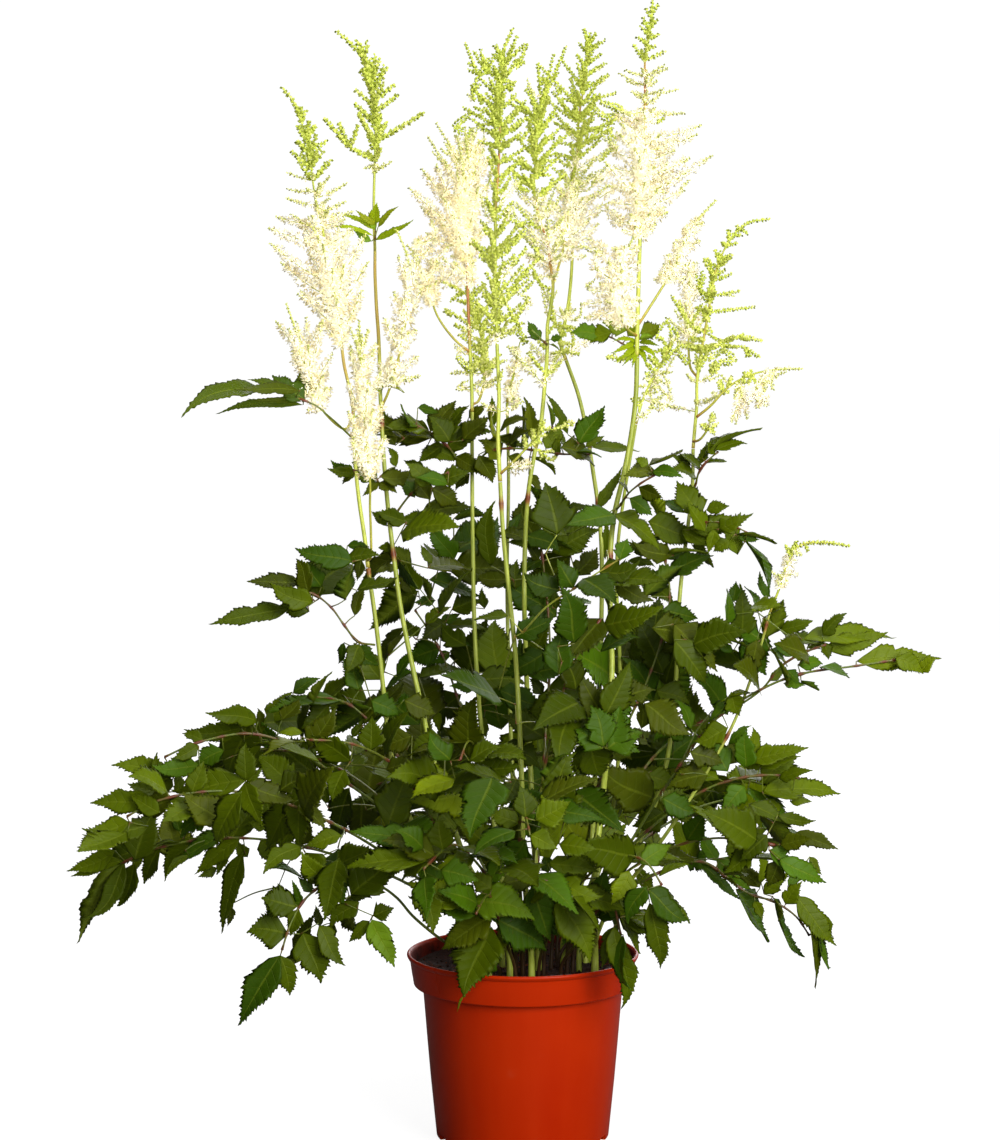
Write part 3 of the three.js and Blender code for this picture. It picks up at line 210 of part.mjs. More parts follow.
    twigs: [[[55.5, 10.3, 256.8], [60.4, -24.0, 247.7], [65.1, -55.6, 231.2]], [[58.9, 10.2, 264.0], [69.2, 46.7, 274.2], [80.0, 84.4, 275.0]], [[82.9, 10.8, 316.8], [90.8, -20.9, 325.2], [98.9, -53.4, 325.8]], [[104.0, 13.1, 374.8], [110.9, -6.7, 374.8], [117.0, -26.1, 369.9]], [[98.6, -52.2, 325.8], [85.8, -60.6, 328.0]], [[79.2, 81.5, 274.9], [102.3, 75.7, 272.6]], [[63.5, -45.1, 236.7], [50.2, -36.4, 220.3]]],
    leaflets: [[87.5, -59.5, 327.7, 119.7, -69.7, 307.1, -93, 19, 22.8, 0.03], [100.4, 76.2, 272.8, 70.4, 107.6, 263.5, -135, 0, 20.8, 0.04], [51.4, -37.2, 221.7, 75.7, -26.1, 236.4, -82, 22, 16.3, 0.04], [116.4, -24.2, 370.4, 159.4, -49.0, 378.0, -120, 7, 23.4, 0.03]] },
  { name: "leaf_back_left", rooted: true, radius: 1.35,
    path: [[-10.3, 36.3, 111.0], [-10.3, 36.2, 127.9], [-17.7, 59.2, 165.0], [-31.8, 99.4, 185.8], [-49.1, 137.2, 208.6], [-70.3, 175.9, 225.6], [-96.8, 214.7, 230.3], [-130.7, 245.0, 217.4]],
    twigs: [[[-99.1, 216.7, 229.4], [-90.5, 236.9, 239.4], [-81.3, 258.1, 243.6]], [[-40.5, 118.5, 197.3], [-37.9, 109.2, 213.9]]],
    leaflets: [[-38.2, 110.2, 212.2, -28.7, 102.4, 168.5, -60, 13, 27.3, 0.05], [-86.2, 246.8, 241.4, -77.2, 269.2, 285.5, -100, 31, 22.2, 0.04], [-113.4, 229.6, 224.0, -103.0, 280.3, 184.6, 96, 48, 28.3, 0.02]] },
  { name: "leaf_back_mid", rooted: true, radius: 1.35,
    path: [[-5.1, 44.6, 111.0], [-5.1, 44.9, 130.2], [-3.2, 74.3, 170.8], [-1.4, 119.5, 198.6], [-3.7, 163.7, 227.9], [-7.2, 213.8, 244.5], [-12.6, 262.0, 227.1]],
    twigs: [[[-2.0, 130.3, 205.7], [-32.2, 139.3, 208.7], [-62.5, 148.3, 203.8]], [[-9.3, 232.5, 237.7], [9.3, 248.0, 247.4], [27.9, 261.8, 246.1]], [[-7.1, 212.8, 244.2], [-27.0, 219.0, 252.6], [-48.2, 225.6, 255.8]], [[-42.1, 223.7, 254.9], [-40.2, 222.2, 276.3]]],
    leaflets: [[-1.9, 128.6, 204.6, -36.4, 122.0, 197.1, -128, 64, 26.2, 0.04], [-40.4, 222.3, 274.3, -55.6, 240.4, 295.1, -26, 49, 13.5, 0.05], [25.4, 259.9, 246.3, 79.6, 274.8, 254.5, 142, 78, 29.1, 0.04], [-56.7, 146.6, 204.7, -82.3, 171.5, 180.2, 109, 52, 23.9, 0.05]] },
  { name: "leaf_back_right", rooted: true, radius: 1.35,
    path: [[11.5, 35.9, 111.0], [11.5, 35.9, 128.6], [20.0, 59.1, 168.1], [36.2, 98.4, 192.9], [58.1, 135.8, 216.1], [84.1, 174.0, 233.1], [113.8, 212.6, 238.7], [146.1, 245.0, 221.5]],
    twigs: [[[58.8, 136.8, 216.5], [41.0, 165.9, 231.8], [21.9, 197.3, 238.7]], [[82.1, 171.0, 231.8], [112.6, 164.5, 229.6], [141.8, 158.4, 220.0]], [[54.2, 129.2, 212.0], [44.5, 121.3, 233.7]]],
    leaflets: [[47.5, 117.7, 204.9, 72.0, 108.4, 198.4, 59, 48, 13.6, 0.05], [45.3, 121.9, 232.0, 56.9, 134.4, 188.2, -84, -14, 22.0, 0.05], [39.4, 168.5, 232.4, 53.6, 167.1, 269.5, -98, 2, 15.6, 0.07], [118.4, 163.3, 227.7, 169.4, 187.4, 218.2, 66, 75, 31.0, 0.05], [124.3, 223.1, 233.1, 135.1, 280.0, 233.8, 47, 85, 31.9, 0.04]] },
  { name: "leaf_stem_a_low", radius: 0.95,
    path: [[-106.4, -42.4, 367.9], [-124.2, -57.1, 378.8], [-139.8, -61.0, 400.5], [-164.0, -67.0, 409.6], [-189.4, -72.0, 402.9]],
    twigs: [[[-136.4, -60.1, 395.7], [-126.2, -66.7, 402.5]], [[-127.1, -66.1, 401.9], [-120.5, -69.2, 429.9]]],
    leaflets: [[-164.0, -67.0, 409.6, -221.6, -84.0, 387.1, -79, 39, 15.4, 0.03], [-121.0, -69.0, 428.0, -161.5, -70.0, 439.7, -86, 11, 17.0, 0.03], [-145.0, -62.3, 402.5, -119.4, -15.2, 422.7, -65, 49, 30.7, 0.09]] },
  { name: "leaf_stem_b_mid", radius: 0.95,
    path: [[-100.5, 1.8, 477.3], [-105.8, -17.6, 484.9], [-115.1, -35.6, 491.6], [-128.7, -52.0, 492.2]],
    twigs: [],
    leaflets: [[-105.8, -17.5, 484.9, -81.2, -12.9, 492.3, -92, 36, 15.5, -0.08]] },
  { name: "leaf_stem_b_right", radius: 0.95,
    path: [[-94.4, -0.4, 456.1], [-82.0, -8.1, 473.3], [-67.2, -21.9, 484.8], [-48.9, -34.0, 492.6]],
    twigs: [[[-91.3, -2.4, 460.5], [-84.6, -4.7, 453.3]], [[-85.4, -4.4, 454.2], [-94.7, 2.9, 434.6]], [[-94.2, 2.5, 435.6], [-90.9, 7.1, 424.4]], [[-91.2, 6.7, 425.5], [-91.6, 28.1, 426.9]]],
    leaflets: [[-91.6, 26.1, 426.8, -121.2, 34.1, 403.0, -144, 41, 22.6, 0.03], [-50.5, -33.0, 491.9, -45.9, -57.3, 527.0, -100, -29, 22.1, 0.04]] },
  { name: "leaf_stem_c_left", radius: 0.95,
    path: [[-40.6, 45.0, 484.0], [-51.1, 41.5, 501.3], [-65.8, 34.9, 515.3], [-84.3, 30.0, 524.6]],
    twigs: [[[-43.4, 44.1, 488.6], [-69.6, 60.1, 477.6]], [[-68.6, 59.5, 478.0], [-69.6, 67.3, 460.6], [-69.7, 74.5, 443.6]]],
    leaflets: [[-61.6, 36.8, 511.3, -90.1, 21.9, 515.8, -47, 66, 24.2, 0.04], [-71.1, 33.5, 517.9, -102.7, 22.6, 519.4, -72, 60, 25.1, 0.09], [-59.5, 37.7, 509.3, -39.2, 46.2, 537.1, -136, 36, 24.1, 0.06], [-65.8, 34.9, 515.3, -104.4, 73.2, 532.2, -126, 24, 20.8, 0.04], [-69.7, 73.7, 445.4, -94.5, 82.9, 449.0, -100, 36, 15.4, 0.08]] },
  { name: "leaf_stem_c_right", radius: 0.95,
    path: [[-35.3, 43.9, 489.1], [-19.9, 27.8, 505.3], [7.5, 19.4, 504.4], [35.2, 12.6, 501.3], [63.4, 8.0, 503.6]],
    twigs: [[[30.8, 13.7, 501.8], [27.1, -2.4, 507.5]]],
    leaflets: [[-1.2, 22.1, 504.7, 0.4, 35.8, 537.5, -5, -2, 25.9, 0.02], [27.5, -0.6, 506.8, 52.9, 12.4, 493.3, -35, 42, 23.7, 0.07], [48.6, 10.4, 502.4, 86.9, 34.8, 503.3, -54, 56, 12.4, 0.02], [-9.8, 24.7, 505.0, -23.4, 5.7, 539.6, -176, -15, 22.0, 0.08]] },
  { name: "leaf_stem_d_low", radius: 0.95,
    path: [[-4.2, -68.3, 375.1], [8.4, -85.5, 392.6], [28.8, -94.4, 409.0], [51.5, -99.1, 424.7], [74.8, -104.0, 439.4]],
    twigs: [[[1.2, -75.6, 382.6], [-6.0, -72.9, 377.1]], [[-1.3, -74.7, 380.7], [-10.8, -77.2, 391.9]]],
    leaflets: [[52.1, -99.2, 425.1, 80.1, -111.3, 434.6, -131, 38, 21.0, -0.05], [35.0, -95.7, 413.3, 33.4, -81.7, 466.9, -84, 5, 30.4, 0.02], [42.3, -97.2, 418.3, 62.8, -135.4, 405.6, -101, 62, 25.1, 0.05], [-9.5, -76.9, 390.4, -35.5, -71.7, 388.7, -119, 66, 13.5, 0.04]] },
  { name: "leaf_stem_g_mid", radius: 0.95,
    path: [[67.1, -31.2, 464.5], [71.9, -52.4, 473.8], [84.8, -66.2, 486.5], [106.2, -72.0, 494.6]],
    twigs: [[[69.6, -42.2, 469.3], [58.2, -50.3, 461.5]], [[59.1, -49.7, 462.1], [44.9, -42.2, 453.6], [31.6, -34.0, 445.7]]],
    leaflets: [[33.1, -34.9, 446.6, 3.8, -35.5, 456.1, -61, 49, 15.5, 0.04]] },
  { name: "leaf_stem_i_top", radius: 0.95,
    path: [[126.5, 38.8, 475.0], [129.7, 26.5, 488.6], [142.1, 22.3, 502.2], [158.8, 18.0, 510.4]],
    twigs: [[[127.5, 35.1, 479.1], [118.8, 36.2, 457.3]]],
    leaflets: [[134.9, 24.7, 494.3, 176.8, 30.7, 520.6, 177, 63, 35.6, 0.08], [119.5, 36.1, 459.2, 98.8, 52.1, 463.3, -101, 63, 11.6, 0.07], [143.0, 22.1, 502.6, 144.0, -14.9, 508.1, 123, 78, 17.7, 0.08]] },
  { name: "leaf_stem_i_mid", radius: 0.95,
    path: [[122.7, 36.7, 441.0], [129.0, 16.6, 449.7], [145.9, 3.6, 451.8], [166.4, -2.0, 443.7]],
    twigs: [[[124.4, 31.3, 443.3], [125.7, 42.8, 432.9]], [[124.7, 33.8, 441.1], [107.1, 33.8, 438.2]]],
    leaflets: [[127.0, 23.0, 446.9, 169.7, 23.1, 458.3, -95, 26, 15.8, -0.06], [132.6, 13.9, 450.1, 113.2, 23.9, 482.3, -84, 23, 20.0, 0.04], [163.6, -1.2, 444.8, 180.5, -2.2, 398.0, -11, 25, 32.9, 0.05], [155.2, 1.1, 448.1, 185.5, 2.4, 437.0, 26, 75, 22.7, 0.05], [109.1, 33.8, 438.5, 77.7, 27.3, 429.2, 153, 69, 22.6, 0.08]] },
];

// ---------------------------------------------------------------- solids
const v3 = (a) => new THREE.Vector3(a[0], a[1], a[2]);

// A closed geometry as a manifold-3d solid, with its faces pointing out.
function solid(geometry) {
  const g = (geometry.index ? geometry.toNonIndexed() : geometry).clone();
  for (const name of Object.keys(g.attributes))
    if (name !== "position") g.deleteAttribute(name);
  const merged = mergeVertices(g, 1e-3);
  const index = merged.index.array;
  const kept = [];
  for (let i = 0; i < index.length; i += 3) {
    const [a, b, c] = [index[i], index[i + 1], index[i + 2]];
    if (a !== b && b !== c && a !== c) kept.push(a, b, c);
  }
  const build = (tris) =>
    new wasm.Manifold(
      new wasm.Mesh({
        numProp: 3,
        vertProperties: merged.attributes.position.array,
        triVerts: new Uint32Array(tris),
      }),
    );
  const made = build(kept);
  if (made.volume() >= 0) return made;
  for (let i = 0; i < kept.length; i += 3)
    [kept[i + 1], kept[i + 2]] = [kept[i + 2], kept[i + 1]];
  return build(kept);
}

function joined(solids) {
  while (solids.length > 1) {
    const next = [];
    for (let i = 0; i < solids.length; i += 2)
      next.push(i + 1 < solids.length ? solids[i].add(solids[i + 1]) : solids[i]);
    solids = next;
  }
  return solids[0];
}

function geometryOf(made) {
  const mesh = made.getMesh();
  const n = mesh.numProp;
  const position = new Float32Array(mesh.numVert * 3);
  for (let i = 0; i < mesh.numVert; i++)
    position.set(mesh.vertProperties.subarray(i * n, i * n + 3), i * 3);
  const g = new THREE.BufferGeometry();
  g.setAttribute("position", new THREE.BufferAttribute(position, 3));
  g.setIndex(new THREE.BufferAttribute(new Uint32Array(mesh.triVerts), 1));
  g.computeVertexNormals();
  return g;
}

// A path that runs straight from point to point, so that a tube's rings sit on the points.
class Through extends THREE.Curve {
  constructor(points) {
    super();
    this.points = points.map(v3);
  }
  getPoint(t, target = new THREE.Vector3()) {
    const last = this.points.length - 1;
    const s = Math.min(Math.max(t, 0), 1) * last;
    const i = Math.min(Math.floor(s), last - 1);
    return target.lerpVectors(this.points[i], this.points[i + 1], s - i);
  }
  getPointAt(u, target) {
    return this.getPoint(u, target);
  }
  getTangentAt(u, target) {
    return this.getTangent(u, target);
  }
}

// A solid tube of the given number of sides through the points.
function tube(points, radius, sides) {
  const section = new THREE.Shape();
  for (let i = 0; i < sides; i++) {
    const a = (2 * Math.PI * i) / sides;
    const [x, y] = [radius * Math.cos(a), radius * Math.sin(a)];
    if (i) section.lineTo(x, y);
    else section.moveTo(x, y);
  }
  section.closePath();
  return new THREE.ExtrudeGeometry(section, {
    extrudePath: new Through(points),
    steps: points.length - 1,
    bevelEnabled: false,
  });
}

// One leaflet: a folded, arched ovate blade, thickest along its midrib.
// row: base x y z, tip x y z, normal's azimuth and height in degrees, width, arch
function leaflet(row) {
  const [bx, by, bz, tx, ty, tz, azimuth, height, width, arch] = row;
  const base = new THREE.Vector3(bx, by, bz);
  const along = new THREE.Vector3(tx, ty, tz).sub(base);
  const length = along.length();
  along.normalize();
  const a = THREE.MathUtils.degToRad(azimuth);
  const h = THREE.MathUtils.degToRad(height);
  const up = new THREE.Vector3(
    Math.cos(h) * Math.cos(a),
    Math.cos(h) * Math.sin(a),
    Math.sin(h),
  );
  up.addScaledVector(along, -up.dot(along)).normalize();
  const side = new THREE.Vector3().crossVectors(along, up);
  const at = (u, lateral, lift) =>
    base
      .clone()
      .addScaledVector(along, length * u)
      .addScaledVector(side, lateral)
      .addScaledVector(
        up,
        arch * length * 4 * u * (1 - u) + LEAFLET_FOLD * Math.abs(lateral) + lift,
      );
  const half = width / 2;
  const [[u1, w1], [u2, w2]] = LEAFLET_PROFILE;
  const rim = [
    at(0, 0, 0),
    at(u1, w1 * half, 0),
    at(u2, w2 * half, 0),
    at(1, 0, 0),
    at(u2, -w2 * half, 0),
    at(u1, -w1 * half, 0),
  ];
  const points = [
    ...rim,
    at(0.42, 0, LEAFLET_THICKNESS / 2),
    at(0.42, 0, -LEAFLET_THICKNESS / 2),
  ];
  const index = [];
  rim.forEach((_, i) => {
    const j = (i + 1) % rim.length;
    index.push(6, i, j, 7, j, i);
  });
  const g = new THREE.BufferGeometry();
  g.setAttribute(
    "position",
    new THREE.Float32BufferAttribute(points.flatMap((p) => [p.x, p.y, p.z]), 3),
  );
  g.setIndex(index);
  return g;
}

// One branch of a plume: a spindle of the outer size of its flowers.
// row: foot x y z, tip x y z, width
function spindle(row) {
  const [x0, y0, z0, x1, y1, z1, width] = row;
  const foot = new THREE.Vector3(x0, y0, z0);
  const along = new THREE.Vector3(x1, y1, z1).sub(foot);
  const length = along.length();
  const g = new THREE.LatheGeometry(
    [
      new THREE.Vector2(0, 0),
      new THREE.Vector2(0.6, 0),
      new THREE.Vector2(width / 2, 0.34 * length),
      new THREE.Vector2(0, length),
    ],
    width > 5 ? 4 : 3,
  );
  g.applyQuaternion(
    new THREE.Quaternion().setFromUnitVectors(
      new THREE.Vector3(0, 1, 0),
      along.normalize(),
    ),
  );
  return g.translate(foot.x, foot.y, foot.z);
}

// ---------------------------------------------------------------- pot and soil
function potSolid() {
  const profile = [
    [0, 0],
    [43, 0],
    [46, POT_FLOOR_RISE],
    [57, POT_FLOOR_RISE],
    [59, 0],
    [63, 0],
    [POT_BASE_RADIUS, 0.9],
    [69.9, 70],
    [73.3, 107],
    [75, 110.6],
    [80.2, 113.2],
    [POT_COLLAR_RADIUS, 131],
    [POT_RIM_RADIUS, 132.6],
    [POT_RIM_RADIUS, 135.8],
    [84.2, POT_HEIGHT],
    [82.4, POT_HEIGHT],
    [81.2, 135.4],
    [78.6, 115.6],
    [73.6, 112.6],
    [71.6, 108.6],
    [68, 70],
    [62, POT_FLOOR_RISE + 4],
    [60, POT_FLOOR_RISE + 2],
    [44.6, POT_FLOOR_RISE + 2],
    [41.6, 2],
    [0, 2],
  ].map(([r, z]) => new THREE.Vector2(r, z));
  const lathe = new THREE.LatheGeometry(profile, POT_FACETS);
  lathe.rotateX(Math.PI / 2);
  let made = solid(lathe);
  for (let i = 0; i < DRAIN_NOTCHES; i++) {
    const a = (2 * Math.PI * (i + 0.5)) / DRAIN_NOTCHES;
    const notch = new THREE.BoxGeometry(12, DRAIN_NOTCH_WIDTH, 8);
    notch.translate(62, 0, POT_FLOOR_RISE - 0.6 - 4).rotateZ(a);
    const hole = new THREE.CylinderGeometry(
      DRAIN_HOLE_RADIUS,
      DRAIN_HOLE_RADIUS,
      12,
      8,
    );
    hole.rotateX(Math.PI / 2).translate(51.6, 0, POT_FLOOR_RISE).rotateZ(a);
    made = made.subtract(solid(notch)).subtract(solid(hole));
  }
  return made;
}

function soilSolid() {
  const lower = POT_FLOOR_RISE + 2 + SOIL_GAP;
  const profile = [
    [0, lower - 4.6],
    [41.0, lower - 4.6],
    [44.0, lower],
    [59.6, lower],
    [61.5, POT_FLOOR_RISE + 4 + SOIL_GAP],
    [67.2, 70],
    [70.7, 108.8],
    [73.1, 113.0],
    [77.4, 115.9],
    [78.6, SOIL_EDGE],
    [66, SOIL_TOP - 0.4],
    [56, SOIL_TOP],
    [0, SOIL_TOP],
  ].map(([r, z]) => new THREE.Vector2(r, z));
  const lathe = new THREE.LatheGeometry(profile, SOIL_FACETS);
  lathe.rotateX(Math.PI / 2);
  let made = solid(lathe);
  // each stem and petiole sits in a pocket that follows its foot
  for (const p of [...STEMS, ...LEAVES.filter((l) => l.rooted)]) {
    const foot = v3(p.path[0]);
    const lean = v3(p.path[1]).sub(foot).normalize();
    const r = (p.radius + POCKET_GAP) / Math.cos(Math.PI / 5);
    const ends = [-POCKET_GAP, POCKET_DEPTH + 8].map((s) =>
      foot.clone().addScaledVector(lean, s).toArray(),
    );
    made = made.subtract(solid(tube(ends, r, 5)));
  }
  return made;
}

// ---------------------------------------------------------------- plant
const stemSolid = (s) => solid(tube(s.path, s.radius, STEM_SIDES));

function plumeSolid(p) {
  return joined([
    ...p.tubes.map(([radius, points]) => solid(tube(points, radius, 4))),
    ...p.branches.map((row) => solid(spindle(row))),
    ...p.twigs.map((points) => solid(tube(points, 0.8, 3))),
    ...p.leaflets.map((row) => solid(leaflet(row))),
  ]);
}

function leafSolid(l) {
  return joined([
    solid(tube(l.path, l.radius, 4)),
    ...l.twigs.map((points) => solid(tube(points, 0.95, 3))),
    ...l.leaflets.map((row) => solid(leaflet(row))),
  ]);
}

// ---------------------------------------------------------------- assembly
const finish = (color, roughness) =>
  new THREE.MeshStandardMaterial({ color, roughness, metalness: 0 });

const plant = new THREE.Group();
function piece(name, made, material) {
  const mesh = new THREE.Mesh(geometryOf(made), material);
  mesh.name = name;
  plant.add(mesh);
}

piece("pot", potSolid(), finish(0xa82c0c, 0.35));
piece("soil", soilSolid(), finish(0x2a1a10, 0.95));
for (const s of STEMS) piece(s.name, stemSolid(s), finish(0xa9b73c, 0.5));
for (const p of PLUMES)
  piece(p.name, plumeSolid(p), finish(p.green ? 0xb7c95a : 0xf1edcc, 0.8));
for (const l of LEAVES) piece(l.name, leafSolid(l), finish(0x3b5216, 0.45));

export default plant;
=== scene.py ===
"""Looks of the potted astilbe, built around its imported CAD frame. Metres, +Z up.

Each CAD node is replaced by one detailed piece of the same name with _look after it.
The tables below hold the plant's measured axes in millimetres, as the solids have them.
"""

import math

import bpy
import numpy as np
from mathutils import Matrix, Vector


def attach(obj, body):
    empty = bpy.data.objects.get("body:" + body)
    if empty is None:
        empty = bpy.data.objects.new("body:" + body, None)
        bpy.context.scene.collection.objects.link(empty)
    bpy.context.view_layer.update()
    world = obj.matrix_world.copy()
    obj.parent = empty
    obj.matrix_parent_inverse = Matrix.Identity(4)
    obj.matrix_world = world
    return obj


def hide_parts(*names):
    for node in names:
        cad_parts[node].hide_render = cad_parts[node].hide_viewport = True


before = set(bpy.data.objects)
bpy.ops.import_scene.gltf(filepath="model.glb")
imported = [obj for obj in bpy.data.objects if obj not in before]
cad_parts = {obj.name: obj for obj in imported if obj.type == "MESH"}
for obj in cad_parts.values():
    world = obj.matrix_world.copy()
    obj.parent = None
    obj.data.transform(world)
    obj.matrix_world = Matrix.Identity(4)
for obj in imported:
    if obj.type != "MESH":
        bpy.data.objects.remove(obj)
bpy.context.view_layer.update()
MM = 0.001

# ------------------------------------------------------------------ the plant's tables
# name: (radius at the foot, radius at the top, path from the foot in the soil to the plume)
STEMS = {
 "a": (2.3, 1.5, ((-25.9,-26.3,111),(-25.1,-25.9,141.4),(-35.8,-32.9,167.9),(-51.7,-42.5,192),(-67.8,-49.1,216.4),(-81.3,-49,243.6),(-91.4,-45.2,272),(-96.7,-42.3,301.8),(-100,-40.9,332),(-103.1,-40,362.2),(-106.8,-38.7,392.4),(-111.2,-37.2,422.5),)),
 "b": (2.3, 1.5, ((-10.5,-36.6,111),(-9.9,-36.2,138.8),(-16.6,-41.9,164.3),(-27.8,-49.6,188.5),(-40.5,-55.3,212.6),(-50.3,-48.7,237.8),(-58.9,-40.3,262.8),(-66.1,-30.5,287.8),(-72,-20,312.8),(-78.1,-15.2,339.6),(-84,-11.5,366.5),(-89.2,-8.1,393.6),(-93,-4.1,420.8),(-96.5,0.3,448.1),(-99.4,5.2,475.3),(-101.7,10.2,502.6),(-103.3,15.1,529.9),)),
 "c": (2.2, 1.4, ((-15,8.9,111),(-15.1,8.9,139.4),(-14.8,10.7,167.6),(-15.8,14.6,195.6),(-20.3,21.1,222.8),(-24.7,29.5,249.5),(-28.5,34.7,277),(-31.5,36.9,305.1),(-33.6,37,333.4),(-35.2,39,361.6),(-36.2,41.1,389.9),(-36.7,42.7,418.2),(-37.1,44.1,446.5),(-37.3,45.8,474.8),(-37.4,48,503.1),(-37.4,50.9,531.3),)),
 "d": (2.4, 1.5, ((5.9,-45.4,111),(6,-45,140.3),(4,-51.9,168.1),(1.4,-61.2,195.7),(-0.5,-68.8,223.9),(-1,-72.2,252.9),(-1.7,-71.5,282.1),(-2.8,-68.2,311.1),(-4.3,-64.5,340),(-6.3,-65.4,369.2),(-9.3,-65.5,398.3),(-12.4,-65.6,427.3),(-15,-65.4,456.5),(-16.6,-64.6,485.7),)),
 "e": (2.4, 1.6, ((11.4,0.3,111),(11.5,0.2,139.8),(10.7,0.9,168.5),(9.4,3.3,197.1),(7.9,7.9,225.4),(6.5,15.1,253.2),(5.2,18.9,281.6),(4,19.7,310.3),(2.8,17.3,338.8),(1.8,11.8,367),(1,2.2,394.1),(1.2,7.3,421.3),(2.1,10.4,449.2),(4.4,8.8,477.8),(9.1,10,506.1),)),
 "f": (2.2, 1.4, ((30.7,17.4,111),(30.3,17.7,139.1),(36.7,13,165.5),(45.3,10.6,191.4),(51.4,17.1,217.9),(52.8,30.7,242.5),(54.3,33,269.8),(55.8,34.7,297.7),(57.2,40.7,325),(58.5,53.1,350.3),(59.1,55.4,377.9),(59.4,55.8,406.1),(58.9,58,434),(56.7,65.9,460.9),(52.7,70.8,488.3),(48.3,75.6,515.7),(42.3,80.2,542.7),(33.1,84.9,568.9),)),
 "g": (2.6, 1.7, ((52.6,-17.9,111),(52.6,-17.1,139.6),(51.8,-29.7,163.4),(51,-47.1,186),(51.2,-59,210.5),(54.4,-46.2,235.9),(57.4,-45.3,263.7),(59.9,-48.1,292.1),(61.8,-49.7,320.5),(63.2,-45.8,348.9),(63,-35.8,375.6),(62.2,-32.3,403.4),(62.3,-32.2,431.8),(65.3,-27.6,459.9),(71.8,-25.6,487.8),(77.2,-23.6,515.8),(80.7,-21.4,544.1),(81.6,-19.2,572.7),)),
 "h": (2.2, 1.3, ((47.8,26.8,111),(47.2,27.1,140.4),(58.3,23.2,166.1),(73.6,23.6,190.5),(87.7,29.2,215.5),(98.9,30.7,242.7),(106.7,31.1,271),(111.2,32.3,300),(113.5,33.1,329.2),(114.8,32.7,358.6),(115.7,32.6,388),(118.5,37.1,416.9),(122.3,40.4,445.8),(125.7,42.3,474.9),(126.3,44.9,504.2),)),
 "j": (2, 1.2, ((-0.1,35.4,111),(0,34.8,140.1),(-1.6,43.4,167.2),(-3.8,54.6,194),(-5.8,63.6,221.5),(-7.1,67.9,250.2),(-8.2,71.7,279),(-9.2,76,307.8),(-10.1,80.4,336.5),(-10.8,84.4,365.3),(-11.3,87.4,394.2),(-11.2,92.8,422.8),(-10.5,99.9,451),(-10.2,106.6,479.3),(-10.6,112.2,507.8),(-11.3,117.9,536.3),)),
 "i": (1.7, 0.9, ((53.5,0.3,111),(53.1,0.6,139.9),(60.8,-7.4,164.9),(74.1,-19.6,187.4),(89.7,-29.8,209.6),(106.1,-32.1,233.1),(122,-31.8,257.2),(137.1,-29.8,281.9),(150.9,-28.3,307.3),(161.7,-26.1,333.9),(170.5,-24.6,361.4),(177.7,-25,389.4),)),
 "k": (2, 1.1, ((41.9,-0.7,111),(41.6,-1.2,139.5),(46.8,8.1,164.4),(55.2,22.2,187.7),(63.5,34,212.3),(67.7,33.2,240.3),(70.6,30.7,268.5),(72.3,28.2,296.9),(72.4,28.7,325.4),(71.6,28.3,353.9),(70.2,26.1,382.3),(68.8,22.2,410.5),(70.2,20.1,438.9),(73.7,18.4,467.1),(78,16.4,495.3),(82.5,14,523.4),)),
}
